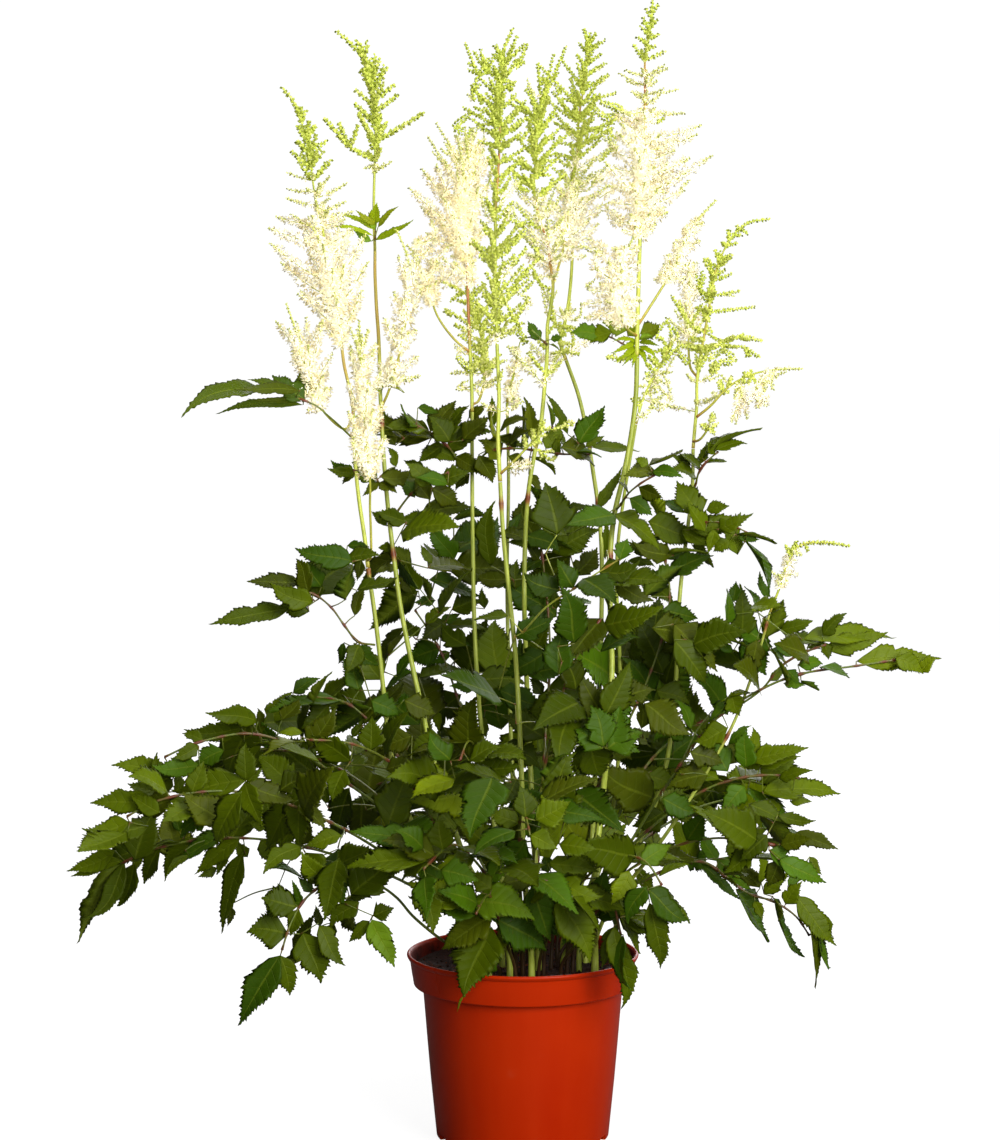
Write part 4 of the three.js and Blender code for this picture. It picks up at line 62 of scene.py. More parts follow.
# name: (axis radius at the foot, axis, side stalks, branches (kind, width, three points), bract leaves (path, side stalks, leaflets))
PLUMES = {
 "a": (1.5, ((-111.2,-37.2,422.9),(-112.7,-35.9,437.4),(-114.7,-34.9,451.8),(-116.9,-34,466.2),(-118.7,-33.1,480.7),(-120.1,-32.2,495.2),(-120.9,-31.3,509.8),(-121.3,-30.4,524.3),(-122.1,-29.5,538.9),(-124.9,-28.6,553.2),(-128.1,-27.8,567.4),(-130,-27.1,581.9),(-132.4,-26.5,596.3),(-135.4,-25.8,610.6),(-138.3,-25,624.9),(-139.7,-24.3,639.4),(-141.2,-23.6,653.9),(-144.4,-22.9,668.1),(-147.9,-22.2,682.3),(-150,-21.5,696.7),(-151.9,-20.8,711.2),(-154.4,-20.1,725.6),(-158.1,-19.4,739.7),(-163.3,-18.7,753.3),(-172,-18,764.9),),
  (((-121.7,-29.8,534.3),(-126.9,-38,521.9),(-141.3,-46.9,534.2),(-149,-53.3,551.6),(-154.7,-55.5,571.7),(-160.4,-57.7,591.7),(-167.1,-60,611.5),),((-111.7,-36.9,427.8),(-108.5,-50.5,432.6),(-108.2,-56.8,450.6),(-108.5,-62.9,468.7),(-108,-71.4,485.9),(-109.9,-73.8,504.6),(-111.1,-75.8,523.6),(-112.2,-77.9,542.6),(-113.1,-79.9,561.6),(-114,-82,580.6),(-114.8,-84,599.6),),),
  (("g",3.6,((-159.1,-19.3,742.7),(-160.8,-20.7,747.7),(-162.6,-22.1,752.6),)),("g",2.9,((-158.5,-19.4,740.8),(-156.7,-19.9,744.7),(-154.9,-20.4,748.5),)),("g",4.3,((-155.3,-19.9,729.2),(-157.6,-19.4,733.3),(-160,-18.8,737.3),)),("g",5,((-154.8,-20,727.3),(-153.5,-24.2,733.8),(-152.3,-28.4,740.3),)),("g",2.9,((-153.4,-20.4,720.4),(-158,-16.3,723.4),(-162.7,-12.2,726.4),)),("g",4.3,((-152.4,-20.7,714.5),(-152.5,-21.7,720.5),(-152.7,-22.8,726.5),)),("g",2.9,((-152.4,-20.7,714.5),(-149.7,-28,722.6),(-146.9,-35.3,730.7),)),("g",3.6,((-151.2,-21,706.6),(-158.3,-23.2,712.9),(-165.4,-25.3,719.3),)),("g",2.9,((-151.5,-21,708.6),(-147,-23.3,713.9),(-142.6,-25.6,719.3),)),("g",2.9,((-150.2,-21.4,698.6),(-143.1,-26.1,706),(-135.9,-30.7,713.4),)),("m",2.9,((-150.2,-21.4,698.6),(-159.7,-22,700.8),(-169.2,-22.5,704.6),)),("m",3.6,((-149.1,-21.8,690.7),(-159,-20.5,690.9),(-168.8,-19.1,692.7),)),("m",4.3,((-147.6,-22.3,680.8),(-158.3,-25.1,682.5),(-168.9,-27.9,686),)),("m",4.3,((-148.4,-22.1,685.8),(-137.2,-19.7,690.4),(-126,-17.4,697),)),("m",5,((-146.5,-22.5,675.9),(-136.6,-22.2,679.2),(-126.6,-21.8,684.1),)),("m",6.5,((-145.5,-22.7,672),(-133.5,-22.7,673.2),(-121.6,-22.7,676.3),)),("c",5.7,((-144.2,-23,667.2),(-160.7,-18.5,668.8),(-177.2,-14.1,673),)),("m",4.3,((-142.9,-23.2,662.4),(-154.6,-20,667.8),(-166.2,-16.8,675),)),("c",7.9,((-141.2,-23.7,653.6),(-161,-32.8,657.3),(-180.8,-41.9,664.4),)),("c",7.2,((-140.2,-24,645.6),(-150.1,-18.9,656.3),(-160,-13.8,669.4),)),("c",8.6,((-139.8,-24.3,640.6),(-131.3,-32.7,651.4),(-122.9,-41.1,664.4),)),("c",8.6,((-138.2,-25.1,624.7),(-159,-31.9,637.2),(-179.7,-38.7,653.9),)),("c",9.3,((-137.4,-25.3,619.8),(-124.7,-28,638.2),(-112,-30.7,660.5),)),("c",7.9,((-136.1,-25.6,613.9),(-155.2,-21.7,625.5),(-174.2,-17.9,640.9),)),("c",8.6,((-134.2,-26,605.1),(-122.5,-27.8,621.2),(-110.7,-29.6,640.7),)),("c",7.9,((-131.6,-26.7,592.3),(-145.8,-22.6,605),(-160,-18.6,620.9),)),("c",7.2,((-130.8,-26.9,587.4),(-123,-26.1,602.6),(-115.3,-25.2,620.8),)),("c",7.2,((-129.9,-27.2,581.5),(-136.9,-26.3,588.9),(-143.9,-25.4,598.1),)),("g",3.3,((-159.1,-19.3,742.7),(-158.6,-21,746.7),(-158.1,-22.7,750.6),)),("g",2.8,((-158.5,-19.4,740.8),(-158.2,-20.9,744.1),(-157.9,-22.5,747.3),)),("g",3.8,((-155.3,-19.9,729.2),(-154.3,-18.4,732.2),(-153.3,-17,735.2),)),("g",4.8,((-154.8,-20,727.3),(-151.8,-18,732.7),(-148.7,-16,738.1),)),("g",4.9,((-154.8,-20,727.3),(-157.9,-20.9,732.1),(-161,-21.7,736.8),)),("g",2.7,((-153.4,-20.4,720.4),(-157.2,-23.5,722.8),(-161,-26.7,725.2),)),("g",2.8,((-153.4,-20.4,720.4),(-149.2,-18.2,722.7),(-145,-16.1,725),)),("g",3.7,((-152.4,-20.7,714.5),(-151.5,-20.9,719.4),(-150.7,-21.1,724.3),)),("g",4.3,((-152.4,-20.7,714.5),(-153.2,-20.9,719.1),(-153.9,-21.2,723.7),)),("g",2.8,((-152.4,-20.7,714.5),(-146.4,-18.4,721.2),(-140.3,-16.1,727.8),)),("g",2.6,((-152.4,-20.7,714.5),(-156.4,-24.8,720.5),(-160.4,-29,726.5),)),("g",3.5,((-151.2,-21,706.6),(-148.7,-27.5,712.6),(-146.1,-34,718.6),)),("g",3.2,((-151.2,-21,706.6),(-155.4,-15.4,712.6),(-159.5,-9.7,718.7),)),("g",2.9,((-151.5,-21,708.6),(-149.8,-16.5,713.6),(-148.1,-12,718.7),)),("g",2.4,((-151.5,-21,708.6),(-152.3,-25.4,713.4),(-153.2,-29.8,718.2),)),("g",2.5,((-150.2,-21.4,698.6),(-145.4,-15.3,705.4),(-140.5,-9.1,712.2),)),("g",2.8,((-150.2,-21.4,698.6),(-155.2,-27.6,705.5),(-160.3,-33.7,712.4),)),("m",2.9,((-150.2,-21.4,698.6),(-149.6,-28.7,700.1),(-148.9,-35.9,703.2),)),("m",2.6,((-150.2,-21.4,698.6),(-153.6,-14,700.4),(-157,-6.5,703.8),)),("m",3.3,((-149.1,-21.8,690.7),(-151.6,-30.4,690.8),(-154,-38.9,692.5),)),("m",3.2,((-149.1,-21.8,690.7),(-146.9,-14.4,690.7),(-144.8,-7,692.3),)),("m",3.8,((-147.6,-22.3,680.8),(-142.4,-30.4,682.2),(-137.3,-38.5,685.3),)),("m",4.5,((-147.6,-22.3,680.8),(-148.3,-14.4,681.8),(-149,-6.4,684.6),)),("m",4,((-148.4,-22.1,685.8),(-147,-11.9,689.8),(-145.5,-1.8,695.9),)),("m",4.1,((-148.4,-22.1,685.8),(-146.2,-32.7,690.1),(-144,-43.3,696.4),)),("m",4.7,((-146.5,-22.5,675.9),(-144.7,-15.6,678),(-142.9,-8.6,681.8),)),("m",5.1,((-146.5,-22.5,675.9),(-146.6,-30.3,678.2),(-146.7,-38,682.3),)),("m",6.2,((-145.5,-22.7,672),(-144.1,-11.3,673.1),(-142.7,0.1,676.1),)),("m",6.4,((-145.5,-22.7,672),(-142,-33.6,673.1),(-138.4,-44.4,676.1),)),("c",5.2,((-144.2,-23,667.2),(-146.6,-38.9,668.6),(-148.9,-54.8,672.7),)),("c",5.4,((-144.2,-23,667.2),(-136.5,-11.9,668.1),(-128.8,-0.9,671.8),)),("m",4.2,((-142.9,-23.2,662.4),(-147.7,-31.2,666.2),(-152.4,-39.1,672.1),)),("m",4.5,((-142.9,-23.2,662.4),(-145.1,-13.1,666.7),(-147.3,-3,673.2),)),("c",7.2,((-141.2,-23.7,653.6),(-130.4,-40.9,656.8),(-119.5,-58,663.6),)),("c",8,((-141.2,-23.7,653.6),(-143.6,-2.9,657),(-146,17.9,663.9),)),("c",6.3,((-140.2,-24,645.6),(-144.8,-31.9,654),(-149.3,-39.7,665),)),("c",6.9,((-140.2,-24,645.6),(-136.1,-16.1,653.9),(-132,-8.1,664.8),)),("c",9,((-139.8,-24.3,640.6),(-132.4,-19.8,647.9),(-125,-15.2,657.9),)),("c",8.9,((-139.8,-24.3,640.6),(-142.7,-33,648.4),(-145.7,-41.7,658.9),)),("c",8.8,((-138.2,-25.1,624.7),(-139.4,-45.9,636.6),(-140.5,-66.7,652.6),)),("c",7.6,((-138.2,-25.1,624.7),(-146.6,-9.7,634.3),(-154.9,5.7,648.1),)),("c",9.5,((-137.4,-25.3,619.8),(-133.6,-14.3,636),(-129.8,-3.4,656.1),)),("c",8.1,((-137.4,-25.3,619.8),(-137.9,-35,633.1),(-138.3,-44.7,650.3),)),("c",7.8,((-136.1,-25.6,613.9),(-135.3,-41.3,622.9),(-134.5,-57,635.7),)),("c",7.4,((-136.1,-25.6,613.9),(-137.9,-6.8,625.1),(-139.6,12,640),)),("c",8.3,((-134.2,-26,605.1),(-132,-17.5,616.6),(-129.9,-8.9,631.5),)),("c",8.1,((-134.2,-26,605.1),(-130.5,-36.7,620.3),(-126.9,-47.4,638.8),)),("c",7.4,((-131.6,-26.7,592.3),(-131.9,-38.4,602.1),(-132.2,-50.2,615.2),)),("c",8,((-131.6,-26.7,592.3),(-124.5,-16.3,602.9),(-117.4,-5.9,616.8),)),("c",6.2,((-130.8,-26.9,587.4),(-130.4,-20.6,599.3),(-130,-14.4,614.2),)),("c",6.5,((-130.8,-26.9,587.4),(-132.4,-34.2,601.9),(-134,-41.5,619.4),)),("c",7.4,((-129.9,-27.2,581.5),(-129.8,-33.6,588.2),(-129.6,-40,596.6),)),("c",7.2,((-129.9,-27.2,581.5),(-131.3,-21.1,587.9),(-132.7,-15.1,596),)),("c",8.5,((-147,-52.9,544.3),(-155.8,-56,548.7),(-164.7,-59,554.6),)),("c",7.1,((-146.3,-52.6,542.4),(-141.3,-51.6,546.4),(-136.3,-50.5,551.6),)),("c",7.8,((-149.6,-53.5,554),(-150.3,-62.9,567),(-151.1,-72.3,582.2),)),("c",5.7,((-151.6,-54.3,560.8),(-152.9,-49.2,579.6),(-154.1,-44,601.7),)),("c",5.7,((-155.7,-55.9,575.2),(-165.5,-50.6,585.8),(-175.3,-45.4,598.8),)),("c",6.4,((-148.3,-53.2,549.2),(-143.5,-48.9,555.3),(-138.7,-44.6,562.8),)),("c",7.1,((-153.5,-55,567.5),(-158.6,-54,572.4),(-163.6,-52.9,578.4),)),("c",7.5,((-147,-52.9,544.3),(-142.6,-58.8,547.5),(-138.3,-64.7,552.3),)),("c",8.4,((-147,-52.9,544.3),(-148.9,-44.4,548.2),(-150.7,-36,553.8),)),("c",6.6,((-146.3,-52.6,542.4),(-147.5,-48.9,545.4),(-148.6,-45.2,549.4),)),("c",6.6,((-146.3,-52.6,542.4),(-144.5,-55.9,545.3),(-142.6,-59.3,549.2),)),("c",6.8,((-149.6,-53.5,554),(-142.3,-52.4,563.7),(-135,-51.2,576.2),)),("c",7.6,((-149.6,-53.5,554),(-156.7,-52.9,563.2),(-163.7,-52.2,575.2),)),("c",5.6,((-151.6,-54.3,560.8),(-155.7,-56.9,577.8),(-159.7,-59.5,598.2),)),("c",5.7,((-151.6,-54.3,560.8),(-146.5,-53.7,578.8),(-141.5,-53.1,600.1),)),("c",5.3,((-155.7,-55.9,575.2),(-160.2,-63.3,583.1),(-164.6,-70.6,593.5),)),("c",4.9,((-155.7,-55.9,575.2),(-149.8,-47,585.3),(-143.8,-38.2,597.9),)),("c",5.6,((-148.3,-53.2,549.2),(-152.6,-49.7,554.3),(-156.8,-46.1,560.9),)),("c",6.5,((-148.3,-53.2,549.2),(-144.9,-57.3,554.1),(-141.4,-61.4,560.4),)),("c",6.8,((-153.5,-55,567.5),(-156,-59,571.9),(-158.5,-63,577.5),)),("c",7.3,((-153.5,-55,567.5),(-154.4,-50.3,572),(-155.2,-45.6,577.7),)),("c",8.4,((-108.2,-72.6,490.3),(-114.2,-76.4,501.4),(-120.2,-80.1,514.6),)),("c",8.4,((-108.6,-73.1,494.2),(-102.6,-74.6,505.4),(-96.5,-76,518.7),)),("c",8.4,((-110.3,-74.3,509.1),(-116.6,-76.1,521.1),(-123,-77.9,535.5),)),("c",8.4,((-110.7,-75,516.1),(-104.7,-73.4,528),(-98.7,-71.8,542.3),)),("c",7.7,((-111.4,-76.5,530),(-117.5,-76.9,542.7),(-123.6,-77.3,557.8),)),("c",7.7,((-111.8,-77.3,537),(-106,-73.9,549),(-100.1,-70.5,563.3),)),("c",6.3,((-112.6,-78.8,550.9),(-117,-79.5,563),(-121.3,-80.2,577.4),)),("c",6.3,((-113,-79.5,557.8),(-108.2,-75.3,569.9),(-103.5,-71,584.3),)),("m",4.2,((-113.9,-81.7,578.7),(-117.4,-83.7,585.7),(-121,-85.7,594.1),)),("m",4.2,((-113.8,-81.4,575.8),(-110.9,-81,583.5),(-108,-80.6,592.7),)),("c",7.2,((-108.2,-72.6,490.3),(-103.9,-77.6,500.5),(-99.7,-82.6,512.9),)),("c",8.5,((-108.2,-72.6,490.3),(-109.9,-66.8,499.6),(-111.5,-61,511.2),)),("c",8.4,((-108.6,-73.1,494.2),(-108.5,-67.7,503.8),(-108.3,-62.3,515.5),)),("c",8.6,((-108.6,-73.1,494.2),(-109.4,-77.7,502.2),(-110.2,-82.2,512.3),)),("c",8.6,((-110.3,-74.3,509.1),(-108.6,-79.3,518.5),(-106.9,-84.3,530.3),)),("c",8.5,((-110.3,-74.3,509.1),(-114,-69.6,519.9),(-117.7,-64.9,533.1),)),("c",8.6,((-110.7,-75,516.1),(-110.6,-70.2,525.2),(-110.4,-65.4,536.6),)),("c",8.2,((-110.7,-75,516.1),(-107.9,-79.3,525.8),(-105.1,-83.6,537.8),)),("c",7.5,((-111.4,-76.5,530),(-109.6,-81.9,541.7),(-107.7,-87.3,555.9),)),("c",7.1,((-111.4,-76.5,530),(-110.5,-72.2,539),(-109.6,-67.8,550.4),)),("c",7.9,((-111.8,-77.3,537),(-113.7,-71.7,547.2),(-115.5,-66.1,559.7),)),("c",8,((-111.8,-77.3,537),(-110.3,-82.5,546.3),(-108.8,-87.7,558.1),)),("c",5.6,((-112.6,-78.8,550.9),(-112.1,-82.3,560.6),(-111.6,-85.8,572.5),)),("c",5.6,((-112.6,-78.8,550.9),(-112.2,-74.7,562.2),(-111.7,-70.6,575.7),)),("c",5.9,((-113,-79.5,557.8),(-117.2,-75.5,568.8),(-121.5,-71.5,582.1),)),("c",5.5,((-113,-79.5,557.8),(-108.8,-82.6,567.5),(-104.7,-85.8,579.4),)),("m",4.4,((-113.9,-81.7,578.7),(-111,-84.3,585.5),(-108.1,-86.9,593.6),)),("m",3.8,((-113.9,-81.7,578.7),(-115.3,-78.2,585.3),(-116.8,-74.6,593.3),)),("m",4.1,((-113.8,-81.4,575.8),(-114.9,-79.3,582),(-116,-77.1,589.7),)),("m",3.7,((-113.8,-81.4,575.8),(-113.2,-83.8,582.2),(-112.6,-86.3,590.1),)),),
  ((((-121,-31,514.2),(-126.8,-38.9,520.4),(-132.6,-46.8,526.6),(-139.1,-53.9,532.9),(-147.2,-58.3,539.8),(-157.5,-60.8,544.1),),((-1,((-157.5,-60.8,544.1),(-166.7,-63.3,547),(-175.9,-65.8,549.8),(-185.2,-68.3,552.7),)),(-1,((-154.3,-60,543.4),(-154.9,-55.9,545.3),)),(1,((-154.9,-55.9,545.3),(-155.9,-54.7,539.7),)),(0,((-160.8,-61.7,545.1),(-159,-65.6,547.9),(-157,-70,550),)),(3,((-157,-70,550),(-165.2,-73,551.5),)),(1,((-154.5,-58.6,544),(-156.4,-58,541.9),)),),
  ((-185.2,-68.3,552.7,-233.4,-138.8,533.4,-87,21,14,0.08),(-154.3,-60,543.4,-177.4,-59,561,-84,21,17,0.044),(-154.9,-55.9,545.3,-158,-53.2,563.7,-71,18,13,0.065),(-155.9,-54.7,539.7,-218.5,-51.7,533.2,-97,30,7.5,0.06),(-157,-70,550,-201.5,-98,552.1,-84,24,8.5,0.06),(-165.2,-73,551.5,-192.9,-84,558.7,-77,30,7,0.04),(-156.4,-58,541.9,-194.8,-63,544.9,-90,24,4,0.04),)),)),
 "b": (1.5, ((-103.3,15.1,530.3),(-104.1,17.8,545.2),(-104.6,20.5,560.2),(-105,23.1,575.2),(-105.7,25.8,590.1),(-106.9,28.4,605),(-107.7,29.8,620),(-108.2,29.2,635.2),(-108.1,28.6,650.4),(-108.6,28,665.6),(-108.8,27.4,680.8),(-108.5,26.8,696),(-108,26.2,711.1),(-107.6,25.6,726.3),(-107.3,25,741.5),(-108,24.4,756.6),(-110.4,23.8,771.6),(-114.8,23.2,786.1),(-124,22.6,798.1),(-135.5,22,808),),
  (((-103.6,16,535.2),(-97.7,9.2,547.8),(-91.7,6.2,566.8),(-87.3,3.8,586.4),(-83.5,1.3,606.2),(-81.9,-1.1,626.2),(-83.9,-3.5,646.2),(-91.5,-6,664.7),),),
  (("g",2.9,((-114.4,23.2,785.5),(-117.7,21.6,793.4),(-120.9,19.9,801.4),)),("g",2.9,((-112,23.5,779),(-114.4,24.7,784.7),(-116.9,25.8,790.4),)),("g",3.7,((-110.7,23.8,773.1),(-109.2,27.8,782.4),(-107.7,31.7,791.6),)),("g",4.4,((-109.8,24,768.2),(-112.9,22.2,774.4),(-116,20.5,780.7),)),("g",2.9,((-109.1,24.1,764.2),(-105.2,29.1,774.1),(-101.3,34,783.9),)),("g",3.7,((-108.1,24.4,757.3),(-100.6,26.1,763.9),(-93.1,27.8,770.4),)),("g",3.7,((-107.5,24.7,750.3),(-99.2,25.4,756.3),(-90.9,26.2,762.4),)),("g",3.7,((-107.7,24.6,753.3),(-114.8,24.2,759.6),(-122,23.8,765.8),)),("g",5.1,((-107.3,25,741.3),(-114.7,25.6,748.6),(-122.1,26.1,755.9),)),("g",3.7,((-107.4,25.3,735.3),(-105.4,26.8,742.1),(-103.3,28.3,748.8),)),("g",5.1,((-107.7,25.8,722.2),(-105.3,29.8,731.4),(-102.9,33.8,740.5),)),("g",4.4,((-107.6,25.6,728.3),(-89.7,23.6,738.7),(-71.9,21.6,749.1),)),("g",4.4,((-107.9,26.1,715.2),(-116.8,23.4,719.6),(-125.7,20.8,723.9),)),("g",4.4,((-125.7,20.8,723.9),(-134.9,17.4,734.5),(-144,14,745.1),)),("m",3.7,((-108,26.2,712.2),(-111.8,24.8,710.5),(-115.7,23.3,709.6),)),("m",2.9,((-108.2,26.4,707.2),(-101.7,24.5,710.4),(-95.2,22.6,714.6),)),("m",2.9,((-108.3,26.5,704.2),(-106.9,25.9,707.4),(-105.5,25.3,711.1),)),("g",2.9,((-114.4,23.2,785.5),(-113.7,19.8,793.2),(-113,16.4,800.8),)),("g",2.7,((-114.4,23.2,785.5),(-116.1,26.1,792.7),(-117.7,29,799.9),)),("g",3,((-112,23.5,779),(-113.1,21.5,783.8),(-114.2,19.4,788.7),)),("g",2.7,((-112,23.5,779),(-111.4,25.9,784.2),(-110.8,28.3,789.3),)),("g",3.8,((-110.7,23.8,773.1),(-113.8,25.5,780.8),(-117,27.2,788.6),)),("g",3.7,((-110.7,23.8,773.1),(-107.3,23.2,780.5),(-103.9,22.7,788),)),("g",3.8,((-109.8,24,768.2),(-108.1,21.5,773.5),(-106.4,19,778.8),)),("g",3.9,((-109.8,24,768.2),(-111,26.9,773.8),(-112.2,29.8,779.4),)),("g",2.9,((-109.1,24.1,764.2),(-113.8,26.8,772.6),(-118.5,29.5,781.1),)),("g",2.8,((-109.1,24.1,764.2),(-103.5,22.8,773.2),(-97.9,21.5,782.2),)),("g",3.8,((-108.1,24.4,757.3),(-110.3,31.5,763.6),(-112.5,38.5,769.9),)),("g",3.8,((-108.1,24.4,757.3),(-104.6,17.9,763.6),(-101.2,11.4,769.9),)),("g",3.2,((-107.5,24.7,750.3),(-110.1,30.2,754.7),(-112.7,35.6,759.1),)),("g",3.6,((-107.5,24.7,750.3),(-107.1,18.5,754.8),(-106.7,12.3,759.3),)),("g",3.4,((-107.7,24.6,753.3),(-108.1,19,758.2),(-108.4,13.5,763),)),("g",3.4,((-107.7,24.6,753.3),(-108.3,30.2,758.3),(-108.9,35.9,763.3),)),("g",4.7,((-107.3,25,741.3),(-106.4,19.6,746.8),(-105.4,14.1,752.3),)),("g",4.9,((-107.3,25,741.3),(-108.9,31.9,748.2),(-110.4,38.7,755.1),)),("g",3.4,((-107.4,25.3,735.3),(-109,26.7,740.9),(-110.5,28.1,746.5),)),("g",3.8,((-107.4,25.3,735.3),(-105.4,23.9,741.8),(-103.5,22.4,748.3),)),("g",5.4,((-107.7,25.8,722.2),(-110.7,28.7,730.4),(-113.7,31.6,738.5),)),("g",4.4,((-107.7,25.8,722.2),(-105.2,22.5,730.3),(-102.6,19.3,738.4),)),("g",4.5,((-107.6,25.6,728.3),(-104,38.7,736.2),(-100.5,51.9,744.1),)),("g",4.6,((-107.6,25.6,728.3),(-113,10.3,737.7),(-118.4,-5,747.1),)),("g",4.3,((-107.9,26.1,715.2),(-105.6,17.9,719.2),(-103.3,9.8,723.1),)),("g",4.6,((-107.9,26.1,715.2),(-111.1,32.6,718.6),(-114.3,39.1,722),)),("g",3.8,((-125.7,20.8,723.9),(-122.4,14.2,731.8),(-119.1,7.6,739.8),)),("g",3.9,((-125.7,20.8,723.9),(-130.1,28.3,733.3),(-134.6,35.8,742.7),)),("m",3.7,((-108,26.2,712.2),(-106,23.1,710.7),(-104.1,19.9,709.8),)),("m",3.6,((-108,26.2,712.2),(-110.3,28.7,710.8),(-112.7,31.3,710),)),("m",3,((-108.2,26.4,707.2),(-104.6,30.6,709.6),(-101,34.8,713.3),)),("m",2.7,((-108.2,26.4,707.2),(-107.7,21.2,709.4),(-107.3,16.1,712.9),)),("m",2.6,((-108.3,26.5,704.2),(-108.2,27.8,706.8),(-108.1,29.1,710.1),)),("m",2.6,((-108.3,26.5,704.2),(-108.9,25.4,706.8),(-109.5,24.3,710.1),)),("c",7.3,((-95.7,7.8,553.1),(-100.2,8.9,560.3),(-104.7,10,569),)),("c",8,((-93.1,6.7,561.7),(-84.7,7.5,566.7),(-76.3,8.3,573.3),)),("m",6.6,((-94.8,7.4,556),(-84.8,7.7,556.6),(-74.8,8,558.8),)),("c",8.7,((-89.4,5,576.2),(-95,3.8,587.5),(-100.7,2.6,600.9),)),("c",8.7,((-88,4.2,583.1),(-82.8,5.4,587.1),(-77.6,6.6,592.2),)),("c",8.7,((-85.5,2.6,595.8),(-89.5,3.9,606.7),(-93.5,5.2,619.6),)),("c",9.4,((-83.6,1.4,605.6),(-78.4,3,613.2),(-73.2,4.7,622.5),)),("c",7.3,((-82,-0.5,621.5),(-79.3,0.9,631.5),(-76.7,2.3,643.3),)),("c",6.5,((-82,-1.4,628.5),(-86,-5.2,636.1),(-90,-8.9,645.3),)),("c",6.6,((-93.9,7,558.8),(-100.4,7.7,554.6),(-106.9,8.4,551.6),)),("c",6.6,((-95.7,7.8,553.1),(-97.6,4.5,559),(-99.6,1.2,566.3),)),("c",6.8,((-95.7,7.8,553.1),(-94.2,11.1,558.4),(-92.8,14.3,565.1),)),("c",7.7,((-93.1,6.7,561.7),(-94.8,13.9,566),(-96.5,21,571.9),)),("c",8.3,((-93.1,6.7,561.7),(-94.1,-1.2,566.4),(-95.1,-9,572.7),)),("m",6.2,((-94.8,7.4,556),(-91.3,16.5,556.6),(-87.8,25.5,558.8),)),("m",6.4,((-94.8,7.4,556),(-94.4,-0.2,556.2),(-94.1,-7.7,558.1),)),("c",8,((-89.4,5,576.2),(-88.2,1,584),(-87,-3,594),)),("c",7.5,((-89.4,5,576.2),(-91.8,9,585),(-94.2,13,596),)),("c",7.9,((-88,4.2,583.1),(-88.3,8.7,586.4),(-88.7,13.3,590.9),)),("c",7.5,((-88,4.2,583.1),(-85.2,0.6,586.4),(-82.4,-3.1,590.9),)),("c",8.4,((-85.5,2.6,595.8),(-85.9,-0.6,604.1),(-86.3,-3.9,614.5),)),("c",8.7,((-85.5,2.6,595.8),(-84.4,6.5,606.2),(-83.3,10.3,618.6),)),("c",9,((-83.6,1.4,605.6),(-83.1,5.7,611.5),(-82.5,10,618.9),)),("c",8.3,((-83.6,1.4,605.6),(-83.9,-3.2,611.9),(-84.2,-7.7,619.8),)),("c",6.8,((-82,-0.5,621.5),(-84,1.3,630.5),(-86.1,3.1,641.3),)),("c",6.3,((-82,-0.5,621.5),(-80.8,-3.2,631.2),(-79.7,-5.9,642.8),)),("c",5.7,((-82,-1.4,628.5),(-78.6,-4,634.2),(-75.2,-6.6,641.5),)),("c",6.2,((-82,-1.4,628.5),(-85.8,1.5,635),(-89.6,4.4,643.1),)),("c",6.5,((-93.9,7,558.8),(-92.4,1.9,555.2),(-91,-3.3,552.9),)),("c",6,((-93.9,7,558.8),(-92.4,11.7,555.5),(-91,16.5,553.3),)),),
  ((((-108.1,28.7,649.1),(-107.8,21.9,652.9),(-107.5,15.2,656.7),(-107.1,8.6,660.9),(-106.5,2.3,665.3),(-105.9,-4,669.7),),((-1,((-107.4,11.9,658.7),(-106.4,14.5,662.6),(-105.4,17.1,666.5),)),(-1,((-107.4,11.9,658.7),(-109.7,9.7,656.3),)),(-1,((-106.9,5.8,662.8),(-107.8,3.9,659.9),)),),
  ((-106.7,3.9,664.2,-111.9,1.6,677.1,-83,-7,5,-0.047),(-105.4,17.1,666.5,-90.2,16.4,681.8,-118,30,5.5,0.043),(-106.1,-1.4,668.4,-105.1,-7,683.9,-104,31,8.5,0.082),(-106.2,-1.4,667.9,-120.8,-3.2,678.4,-87,3,4.6,0.086),(-106.7,3.9,664.2,-133.9,5.7,674.5,-90,35,4.4,0.071),(-109.7,9.7,656.3,-123.7,6.3,665,-103,18,5,-0.027),(-107.5,14.6,657.1,-79.3,12.9,672.7,-118,33,6.5,-0.037),(-107.8,3.9,659.9,-145.1,-0.1,664.1,-90,37,4,0.1),)),(((-104.1,17.7,544.5),(-103.4,15.6,546.8),(-102.6,13.6,548.9),(-101.5,11.1,550.5),(-100.2,8.4,551.4),(-98.8,5.6,551.9),),(),
  ((-100.3,8.7,551.3,-85.9,5,546.7,-24,79,12.2,0.074),(-101.6,11.3,550.4,-106.7,11.1,555.9,-97,-3,4.4,0.07),(-99,6,551.9,-98.3,3.9,557.7,-133,11,4.3,0.059),(-102.6,13.7,548.8,-111.7,11.9,549.5,-80,49,5.7,0.084),)),)),
 "c": (1.4, ((-37.4,51,531.7),(-37.6,52.5,546.6),(-38.2,54,561.5),(-38.9,55.5,576.4),(-39.6,57,591.4),(-40.2,58.4,606.3),(-40.7,59.9,621.2),(-41,61.4,636.1),(-41.1,61.5,651.1),(-41.5,60.7,666.1),(-41.7,59.7,681),(-40.3,58.8,696),(-38.9,57.9,710.9),(-41,56.9,725.6),(-38.8,56,740.4),),
  (((-38.9,55.4,575.5),(-50.9,53.2,585.5),(-62.7,52.5,601.7),(-69.2,48.9,620.2),(-75.4,44.4,638.8),(-79.9,40,657.9),),((-37.4,51.5,536.7),(-32.1,66.2,540.3),(-28,77.8,556.9),(-28.9,79.5,577.3),(-34.2,81,597.3),(-41,82.5,616.7),(-57.9,84,628.4),),),
